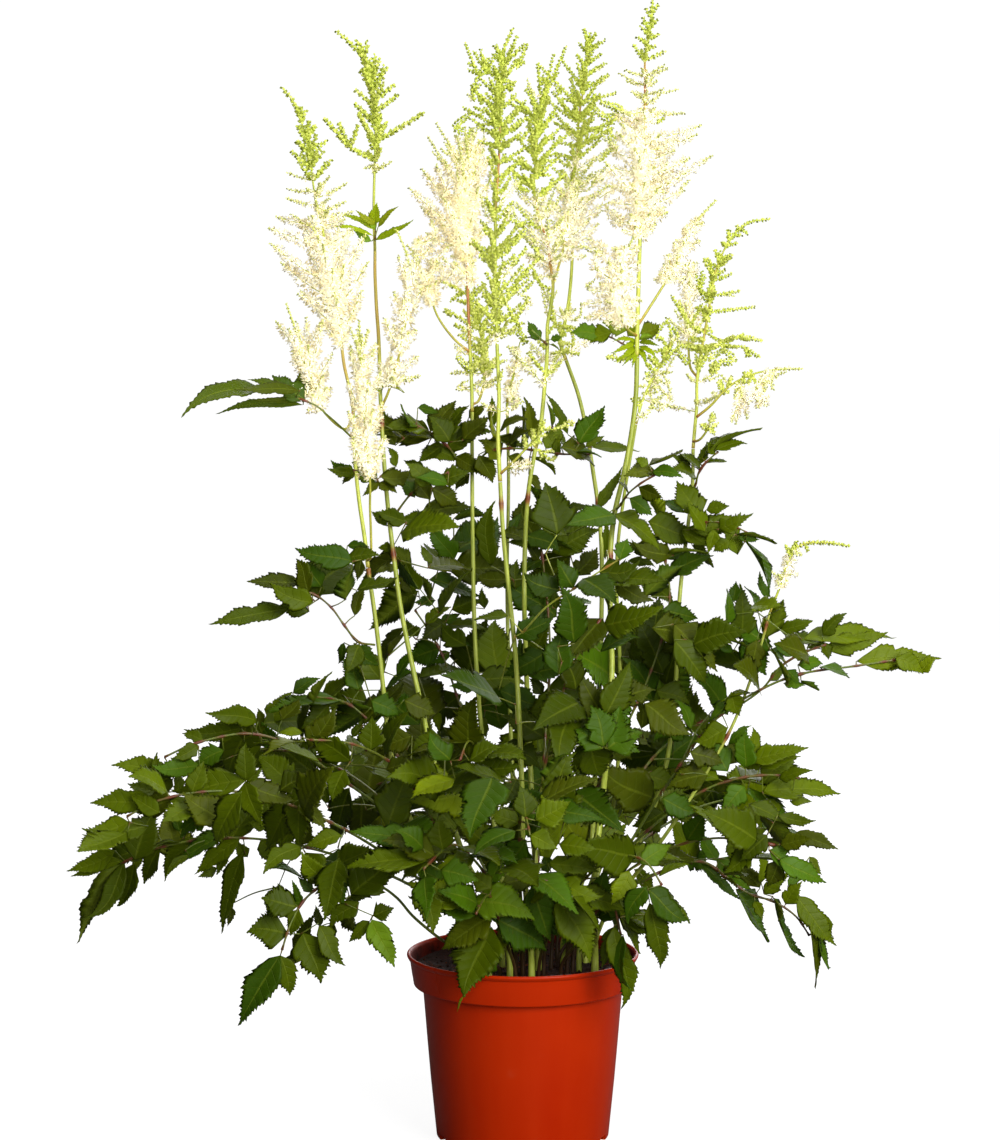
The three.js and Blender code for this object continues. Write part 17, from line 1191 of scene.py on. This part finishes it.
def with_tone(rows, level, rng, hues=(0.6, 0.2, 0.2)):
    """Gives each leaflet its own green: its kind (olive, emerald, brownish) plus a tone below 1.

    Young leaflets are brighter by their own colour; outer leaflets are brighter as painted light, for the light they
    catch.
    """
    out = []
    for row in rows:
        # outer leaflets are made brighter: painted light
        outer_light = min(1.0, max(0.0, (math.hypot(row[3], row[4]) - 150) / 150))
        young = 0.35 if rng.uniform() < 0.04 else 0.0
        kind = int(rng.choice(3, p=hues))
        tone = level + 0.2 * outer_light + rng.normal(0, 0.12) + young
        x, y, z = 0.45 * np.array(row[0:3]) + 0.55 * np.array(row[3:6])
        # leaflets in a spot take a set green and brightness: partly their own colour, partly painted light, sheen and
        # shade
        for sx, sz, reach, front, green, bright in LEAF_SPOTS_AND_LIGHT:
            if math.hypot(x - sx, z - sz) < reach and y < front:
                kind, tone = green, bright + rng.normal(0, 0.04)
        out.append((*row, kind + 0.98 * float(np.clip(tone, 0, 1))))
    return out


def build_plume(key, seed):
    rng = np.random.default_rng(seed)
    foot_r, axis, stalks, branches, bracts = PLUMES[key]
    sh = Shape()
    hosts = [smooth_line(axis, 2.5)] + [smooth_line(t, 2.8) for t in stalks]
    twigs = []
    for kind, width, p in branches:
        p = np.array(p, float)
        p = p[0] + (p - p[0]) * WIDEN.get(key, 1.0)
        p[:, 2] += LIFT.get(key, 0.0) * np.hypot(*(p - p[0])[:, :2].T)
        twigs.append((kind, width, p))
    feet = [nearest(hosts, p[0]) for _, _, p in twigs]
    # the same branches again on the far side of the axis
    for q in range(len(branches)):
        kind, width, p = twigs[q]
        h, i, off = feet[q]
        host = hosts[h]
        if h or off > 6 or not 1 < i < len(host) - 2 or (i / len(host)) > MIRROR.get(key, 0.0) or q % 2:
            continue
        t = unit(host[i + 1] - host[i - 1])
        twigs.append((kind, width, host[i] + (turned(p, host[i], t, math.pi + rng.normal(0, 0.3)) - host[i]) * rng.uniform(0.7, 0.95)))
    # fuller plumes: more branches like the measured ones, turned to the front and back
    for _ in range(int(len(branches) * FULLER.get(key, 0.2))):
        q = int(rng.integers(len(branches)))
        kind, width, p = twigs[q]
        h, i, off = feet[q]
        host = hosts[h]
        high = (p[0][2] - hosts[0][0][2]) / max(hosts[0][-1][2] - hosts[0][0][2], 1)
        if rng.uniform() < high - 0.15 or (kind == "g" and high > 0.5):
            continue
        if off > 6 or not 1 < i < len(host) - 2:
            continue
        k = int(np.clip(i + rng.integers(-3, 4), 1, len(host) - 2))
        t = unit(host[k + 1] - host[k - 1])
        angle = rng.choice([-1, 1]) * rng.uniform(0.7, 2.4)
        new = turned(p, host[i], t, angle)
        new = host[k] + (new - host[i]) * rng.uniform(0.6, 0.95)
        twigs.append((kind, width * rng.uniform(0.85, 1), new))
    # in the crowded green plumes the strings are thin, uneven, and carry short strings of their own
    if key in SPRAYS:
        for q in range(len(twigs)):
            kind, width, p = twigs[q]
            if kind == "c":
                continue
            t = unit(p[-1] - p[0])
            p = turned(p, p[0], np.array([0, 0, 1.0]), rng.normal(0, 0.3))
            p = p[0] + (p - p[0]) * rng.uniform(0.8, 1.2)
            width = min(width, 3.7) if kind == "g" else width
            twigs[q] = (kind, width, p)
            line = smooth_line(p, 3.0)
            ln = length_of(line)
            if kind != "g" or ln < 9:
                continue
            for _ in range(int(ln / 6.5 * SPRAYS[key] + rng.uniform())):
                s = rng.uniform(0.12, 0.7)
                i = int(s * (len(line) - 2))
                t = unit(line[i + 1] - line[i])[None]
                a, b = around(t)
                turn = rng.uniform(0, 6.28)
                d = unit(t[0] * 0.8 + (a * math.cos(turn) + b * math.sin(turn))[0] * 0.8 + np.array([0, 0, 0.15]))
                side = ln * rng.uniform(0.22, 0.42) * (1.1 - s)
                foot = line[i]
                twigs.append(("g", 3.2, np.array([foot, foot + d * side * 0.5 + [0, 0, 0.04 * side], foot + d * side])))
    tube_cells = cells(len(twigs) + len(stalks) + 1, 0.0, 0.62, 1.0, 0.86)
    lo_z, hi_z = hosts[0][0][2], hosts[0][-1][2]
    runs = []
    for h, line in enumerate(hosts):
        n = len(line)
        s = np.linspace(0, 1, n)
        ln = length_of(line)
        if h == 0:
            r = np.minimum((foot_r - 0.35) * (1 - s) ** 0.8 + 0.4, foot_r)
            amount, start, stop = AXIS_RED.get(key, (0.25, 0.5, 0.9))
            red = 0.08 + amount * np.clip((s - start) / 0.12, 0, 1) * np.clip((stop - s) / 0.12, 0, 1)
            red = red + 0.35 * np.exp(-(s * ln / 4) ** 2)
        else:
            r = 0.7 * (1 - s) ** 0.7 + 0.36
            red = 0.35 * (1 - s) + 0.4 * np.exp(-(s * ln / 6) ** 2)
        sh.tube(line, r, 7 if h == 0 else 6, tube_cells[h], np.stack([s, red, 0 * s], 1), rng.uniform(), 1)
        # the bare end of an axis carries buds of its own
        mine = [f[1] for f in feet if f[0] == h and f[2] < 8]
        last = max(mine) / (n - 1) if mine else 0.4
        start = max(0.0, last - 0.1)
        cut = line[int(start * (n - 1)) :]
        if len(cut) > 3:
            runs.append(("g" if h == 0 else "m", 3.6 if h == 0 else 4.2, cut, False))
    for q, (kind, width, p) in enumerate(twigs):
        twig = smooth_line(p, 3.0)
        if len(twig) < 3:
            twig = spread(p, 3)
        u = np.linspace(0, 1, len(twig))
        core = kind == "g"
        short = length_of(twig) < 8
        if short:
            twig = spread(twig, 3)
            u = np.linspace(0, 1, 3)
        sh.tube(
            twig,
            np.where(u < 0.06, 0.42, min(width * 0.13, 0.55) * (1 - 0.5 * u)) if core else 0.42 - 0.2 * u,
            4,
            tube_cells[len(hosts) + q],
            np.stack([0.5 + 0 * u, 0 * u, 0 * u] if core else [u, 0.15 + 0 * u, 0 * u], 1),
            0.3 if core else rng.uniform(),
            0 if core else 1,
        )
        runs.append((kind, width, twig, True))
    B, F = [], []
    for kind, width, twig, branch in runs:
        ln = length_of(twig)
        spin = rng.uniform(0, 6.28)
        height = float(np.clip((twig[0][2] - lo_z) / max(hi_z - lo_z, 1), 0, 1))
        if kind == "g":
            bud_part, open_part = (0.05 if branch else 0.0, 1.0), None
        elif kind == "m":
            bud_part, open_part = (0.3, 1.0), (0.05, 0.66)
        else:
            bud_part, open_part = (0.78, 1.0), (0.0, 0.9)
        lo, hi = bud_part
        span = (hi - lo) * ln
        thick = width * (1.0 if kind == "g" else 0.8) if kind != "c" else max(3.2, width * 0.45)
        big = BUD_SIZE.get(key, 1.0) if kind == "g" else 1.0
        count = int(span * (thick / 4.4) * BUDS_PER_MM / big) + 3
        x = lo + (hi - lo) * (np.arange(count) + rng.uniform(0, 0.7, count)) / count
        x = np.clip(x * 0.6 + np.round(x * ln / 2.3) * 2.3 / max(ln, 1) * 0.4, 0, 1)
        at, t, out = along_branch(twig, x, rng, spin)
        taper = 1 - 0.45 * np.clip((x - 0.4) / 0.6, 0, 1) ** 1.3
        size = rng.uniform(1.75, 2.25, count) * (0.65 + 0.35 * taper) * (0.8 if kind != "g" else big)
        loose = rng.uniform(0.7, 1.0, count) if kind == "g" else rng.uniform(0.2, 1.5, count)
        reach = np.maximum(thick / 2 * taper - size * 0.8, 0.12) * loose
        d = unit(out + t * rng.uniform(0.3, 0.9, count)[:, None])
        mean = (3.4 + 4.2 * (1 - height)) if kind == "g" else 8.0
        level = np.clip(np.round(rng.normal(mean, 2.0, count)), 0, 11).astype(int)
        B.append((at + out * reach[:, None], d, size, level, np.full(count, 0.0 if kind == "g" else 0.2), out))
        if open_part:
            lo, hi = open_part
            full = width * (1.8 if kind == "c" else 1.35)
            span = (hi - lo) * ln
            count = int(span * (full / 10) * FLORETS_PER_MM * (1.0 if kind == "c" else 0.6)) + 2
            x = lo + (hi - lo) * (np.arange(count) + rng.uniform(0, 1, count)) / count
            at, t, out = along_branch(twig, x, rng, spin + 1)
            taper = 1 - 0.6 * np.clip((x - 0.2) / 0.8, 0, 1) ** 1.1
            size = np.minimum(rng.uniform(3.3, 4.6, count) * (0.6 + 0.4 * taper), full * 0.48)
            reach = np.maximum(full / 2 * taper - size * 0.6, 0.1) * rng.uniform(0.1, 1.1, count)
            d = unit(out + t * rng.uniform(-0.1, 0.9, count)[:, None])
            level = np.clip(np.round(rng.normal(FLORET_LEVEL.get(key, 7.0), 3.0, count)), 0, 11).astype(int)
            place = at + out * reach[:, None]
            k, i, _ = nearest(hosts, twig[len(twig) // 2])
            away = unit(place - hosts[k][i] + np.array([0, 0, 6.0]))
            F.append((place, d, size, level, unit(out + 0.9 * away + np.array([0, 0, 0.25]))))
    if B:
        buds(sh, *[np.concatenate(v) for v in zip(*B)], 0)
    if F:
        bloom = Shape()
        florets(bloom, *[np.concatenate(v) for v in zip(*F)], rng, 0)
        ob = bloom.make("flower_plume_%s_florets" % key, [M_BLOOM])
        stand_in(ob, "flower_plume_" + key)
        pale.objects.link(ob)
        upper.objects.link(ob)
    areas = cells(max(1, len(bracts)), 0.0, 0.86, 1.0, 1.0)
    for q, (path, side, leaflets) in enumerate(bracts):
        leaf_parts(sh, path, side, with_tone(leaflets, BRACT_TONE.get(key, 0.3), rng), (0.3, 0.3) if key == "b" else (0.8, 0.5), False, rng, (2, 3), areas[q])
    ob = sh.make("flower_plume_%s_look" % key, [M_BLOOM, M_AXIS, M_BLADE, M_STALK])
    stand_in(ob, "flower_plume_" + key)
    upper.objects.link(ob)


def build_leaf(key, seed):
    rng = np.random.default_rng(seed)
    crown, path, twigs, leaflets = LEAVES[key]
    sh = Shape()
    radii = (1.35, 0.7) if crown else (0.85, 0.5)
    hues = next((h for start, h in LEAF_HUES if key.startswith(start)), (0.6, 0.2, 0.2))
    # each leaf's brightness, partly painted light
    rows = with_tone(leaflets, LEAF_TONE_AND_LIGHT.get(key, 0.2), rng, hues)
    leaf_parts(sh, path, twigs, rows, radii, crown, rng, (0, 1), (0, 0, 1, 1))
    ob = sh.make("leaf_%s_look" % key, [M_BLADE, M_STEM if key == "stem_d_low" else M_STALK])
    stand_in(ob, "leaf_" + key)


pale = bpy.data.collections.new("pale_florets")
upper = bpy.data.collections.new("whole_plumes")
lower = bpy.data.collections.new("pot_and_leaves")
BUDS_PER_MM = 1.45
# plumes whose strings are chains of larger beads
BUD_SIZE = {"a": 1.2, "b": 1.3}
FLORETS_PER_MM = 0.86
PETAL_WIDTH = 0.18
# how white the florets of a plume are, of 11
FLORET_LEVEL = {"c": 4.4, "a": 6.0, "g": 6.2}
# how many branches more a plume gets, as a share of the measured ones
FULLER = {"a": 0.25, "b": 0.0, "c": 0.85, "d": 0.3, "e": 0.3, "f": 0.15, "g": 0.35, "h": 0.1, "k": 0.3}
# how many short strings the green strings of a plume carry
SPRAYS = {"d": 0.35, "e": 0.4, "f": 0.2}
# how much longer than measured the branches of a plume are
WIDEN = {"e": 1.3, "f": 1.1, "c": 1.06}
# up to which share of its height a plume has its branches again on the far side
MIRROR = {"d": 0.3, "e": 0.3, "f": 0.2}
# how much steeper than measured the branches of a plume rise
LIFT = {"d": 0.35, "e": 0.3, "f": 0.25, "c": 0.1}
# how red-brown the axis of a plume is, from which share of its length and to which
AXIS_RED = {
    "a": (0.5, 0.3, 0.52), "b": (0.4, 0.1, 0.5), "c": (0.75, 0.2, 0.6), "d": (0.65, 0.55, 0.85),
    "e": (0.6, 0.4, 0.8), "f": (0.8, 0.3, 0.85), "g": (0.7, 0.35, 0.9), "h": (0.3, 0.3, 0.8),
}
# how bright a leaf is, from 0, dark, to 1, yellow-green: partly its age, with dark old ones and yellow-green young
# ones, partly painted light, as the front leaves that hang in shade are made lighter
LEAF_TONE_AND_LIGHT = {
    "left_low_a": 0.3, "left_low_b": 0.3, "left_low_c": 0.26, "left_front_hang": 0.24,
    "front_left_rim": 0.57, "front_mid": 0.55, "front_left": 0.5, "front_right_rim": 0.57,
    "right_low_a": 0.48, "right_low_b": 0.43, "right_up_a": 0.38, "right_up_b": 0.36,
    "stem_b_mid": 0.5, "stem_g_mid": 0.5, "stem_c_right": 0.45, "stem_i_top": 0.4,
    "back_left": 0.1, "back_mid": 0.05, "back_right": 0.1, "centre_tall": 0.18,
    "left_slope": 0.4, "left_slope_front": 0.4, "front_high": 0.38, "front_right": 0.4, "front_right_drop": 0.4,
    "right_low_c": 0.5, "right_low_d": 0.5, "stem_b_right": 0.36, "stem_c_left": 0.34, "stem_i_mid": 0.4,
}

# shares of olive, emerald and brownish leaflets
LEAF_HUES = [
    ("left_slope", (0.45, 0.3, 0.25)), ("left_front", (0.6, 0.3, 0.1)), ("left", (0.75, 0.07, 0.18)),
    ("centre", (0.4, 0.35, 0.25)), ("front", (0.55, 0.35, 0.1)), ("right_up", (0.35, 0.5, 0.15)),
    ("right_low", (0.65, 0.25, 0.1)), ("stem_i", (0.4, 0.45, 0.15)), ("stem_c", (0.4, 0.15, 0.45)),
    ("stem_b", (0.4, 0.2, 0.4)), ("back", (0.4, 0.1, 0.5)),
]
# spots with a green and brightness of their own, partly the leaflets' own colour and partly painted light, sheen and
# shade: x, z, reach (mm), only nearer than this y, kind, tone
LEAF_SPOTS_AND_LIGHT = [
    (-275, 279, 16, 900, 0, 0.60),
    (-293, 254, 15, 900, 0, 0.60),
    (-311, 228, 12, 900, 0, 0.66),
    (-240, 292, 10, 900, 0, 0.55),
    (-62, 274, 12, 60, 0, 0.85),
    (267, 359, 30, 900, 0, 0.76),
    (218, 365, 12, 900, 0, 0.70),
    (189, 388, 16, 900, 0, 0.62),
    (149, 335, 13, 900, 0, 0.72),
    (223, 379, 25, 900, 0, 0.34),
    (59, 311, 19, 40, 1, 0.50),
    (103, 300, 16, 40, 1, 0.50),
    (197, 287, 32, 900, 0, 0.55),
    (77, 469, 15, 60, 1, 0.40),
    (105, 480, 13, 60, 1, 0.40),
    (38, 462, 19, 60, 1, 0.30),
    (54, 452, 19, 60, 1, 0.42),
    (142, 459, 25, 900, 0, 0.50),
    (78, 576, 13, 900, 0, 0.95),
    (26, 480, 10, 20, 1, 0.12),
    (149, 501, 15, 900, 0, 0.50),
    (12, 175, 17, 0, 1, 0.28),
    (-42, 146, 17, 0, 0, 0.36),
    (-38, 186, 19, 0, 1, 0.30),
    (55, 186, 17, 0, 0, 0.42),
    (105, 168, 19, 0, 0, 0.40),
    (73, 128, 19, 0, 0, 0.55),
    (-30, 274, 3, -196, 1, 0.20),
    (-2, 279, 3, -182, 0, 0.22),
    (33, 266, 3, -172, 1, 0.30),
    (-22, 254, 3, -207, 1, 0.30),
    (140, 253, 3, -124, 0, 0.42),
    (102, 197, 3, -129, 1, 0.26),
    (37, 246, 3, -175, 0, 0.34),
    (-39, 355, 3, -161, 1, 0.08),
]
BRACT_TONE = {"a": 0.05, "b": 0.9, "e": 0.25, "g": 0.75}

build_pot()
build_soil()
for number, name in enumerate(STEMS):
    build_stem(name, 100 + number)
for number, name in enumerate(PLUMES):
    build_plume(name, 200 + number)
for number, name in enumerate(LEAVES):
    build_leaf(name, 300 + number)


# ------------------------------------------------------------------ floor, light, camera
def build_floor():
    """A plain pale floor. It looks brighter to the camera than it lights the plant from below."""
    mesh = bpy.data.meshes.new("floor")
    r = 14.0
    mesh.from_pydata([(-r, -r, 0), (r, -r, 0), (r, r, 0), (-r, r, 0)], [], [(0, 1, 2, 3)])
    ob = bpy.data.objects.new("floor", mesh)
    bpy.context.scene.collection.objects.link(ob)
    m = material("floor_pale")
    k = Nodes(m)
    tint = k.ramp(k.noise(0.6, 2.0), [(0.3, (0.12, 0.12, 0.12)), (0.7, (0.14, 0.14, 0.14))])
    p = k.principled(Base_Color=tint, Roughness=0.9)
    p.inputs["Specular IOR Level"].default_value = 0.0
    p.inputs["Emission Color"].default_value = (1, 1, 1, 1)
    seen = k.t.nodes.new("ShaderNodeLightPath").outputs["Is Camera Ray"]
    x, y, _ = k.split(k.coords())
    r2 = k.math("SQRT", k.math("ADD", k.math("MULTIPLY", x, x), k.math("MULTIPLY", y, y)))
    glow = k.range(r2, 0.1, 0.5, FLOOR_GLOW, 1.0)
    k.t.links.new(k.math("MULTIPLY", seen, glow), p.inputs["Emission Strength"])
    k.end(p.outputs[0])
    mesh.materials.append(m)


def softbox(name, at, target, size, power, only=None, stopped_by=None):
    data = bpy.data.lights.new(name, "AREA")
    data.shape = "RECTANGLE"
    data.size, data.size_y = size
    data.energy = power
    ob = bpy.data.objects.new(name, data)
    ob.location = at
    ob.rotation_mode = "QUATERNION"
    ob.rotation_quaternion = (Vector(target) - Vector(at)).to_track_quat("-Z", "Y")
    if only is not None:
        ob.light_linking.receiver_collection = only
    if stopped_by is not None:
        ob.light_linking.blocker_collection = stopped_by
    bpy.context.scene.collection.objects.link(ob)


def build_world():
    """White studio: the backdrop is plain white, and its light is softer and dimmer to the left."""
    world = bpy.data.worlds.new("studio")
    world.use_nodes = True
    t = world.node_tree
    t.nodes.clear()
    out = t.nodes.new("ShaderNodeOutputWorld")
    seen = t.nodes.new("ShaderNodeBackground")
    seen.inputs[0].default_value = (1, 1, 1, 1)
    seen.inputs[1].default_value = 1.05
    lit = t.nodes.new("ShaderNodeBackground")
    coord = t.nodes.new("ShaderNodeTexCoord")
    sep = t.nodes.new("ShaderNodeSeparateXYZ")
    t.links.new(coord.outputs["Generated"], sep.inputs[0])
    ramp = t.nodes.new("ShaderNodeMapRange")
    ramp.inputs[1].default_value, ramp.inputs[2].default_value = -0.9, 0.9
    ramp.inputs[3].default_value, ramp.inputs[4].default_value = WORLD_LEFT, WORLD_RIGHT
    t.links.new(sep.outputs[0], ramp.inputs[0])
    high = t.nodes.new("ShaderNodeMapRange")
    high.inputs[1].default_value, high.inputs[2].default_value = 0.0, 1.0
    high.inputs[3].default_value, high.inputs[4].default_value = 1.0, WORLD_UP
    t.links.new(sep.outputs[2], high.inputs[0])
    mul = t.nodes.new("ShaderNodeMath")
    mul.operation = "MULTIPLY"
    t.links.new(ramp.outputs[0], mul.inputs[0])
    t.links.new(high.outputs[0], mul.inputs[1])
    t.links.new(mul.outputs[0], lit.inputs[1])
    path = t.nodes.new("ShaderNodeLightPath")
    mix = t.nodes.new("ShaderNodeMixShader")
    t.links.new(path.outputs["Is Camera Ray"], mix.inputs[0])
    t.links.new(lit.outputs[0], mix.inputs[1])
    t.links.new(seen.outputs[0], mix.inputs[2])
    t.links.new(mix.outputs[0], out.inputs[0])
    bpy.context.scene.world = world


FLOOR_GLOW = 0.92
WORLD_LEFT, WORLD_RIGHT, WORLD_UP = 0.055, 0.12, 1.6
build_floor()
build_world()
softbox("key", (1.35, -2.3, 1.3), (0, 0, 0.36), (1.3, 1.7), 96)
softbox("over", (0.35, 0.1, 2.4), (0, 0, 0.4), (1.6, 1.6), 32)
softbox("front", (-0.2, -2.8, 0.9), (0, 0, 0.3), (1.2, 1.2), 15)
softbox("back", (0.7, 2.3, 1.3), (0, 0, 0.5), (1.8, 1.8), 38)
# the plumes are exposed more than the leaves, and the pale florets most
softbox("plumes_right", (1.2, -2.0, 1.2), (0, 0, 0.65), (1.2, 1.2), 27, upper, lower)
softbox("plumes_left", (-1.4, -2.0, 1.1), (0, 0, 0.65), (1.2, 1.2), 23, upper, lower)
softbox("plumes_back", (0.0, 2.4, 1.5), (0, 0, 0.65), (1.2, 1.2), 24, upper, lower)
softbox("florets_front", (-0.2, -2.4, 0.7), (0, 0, 0.65), (1.0, 1.0), 33, pale, lower)
softbox("florets_back", (0.0, 2.4, 0.9), (0, 0, 0.65), (1.0, 1.0), 30, pale, lower)

camera_data = bpy.data.cameras.new("camera")
camera_data.sensor_width = 36.0
camera_data.lens = 95.76
camera_data.clip_start, camera_data.clip_end = 0.05, 60.0
camera = bpy.data.objects.new("camera", camera_data)
camera.location = (-0.0167, -2.2, 0.605)
camera.rotation_euler = (math.radians(85.142), 0, 0)
bpy.context.scene.collection.objects.link(camera)
bpy.context.scene.camera = camera
bpy.context.scene.view_settings.view_transform = "Standard"
bpy.context.scene.view_settings.look = "None"

bpy.context.view_layer.update()
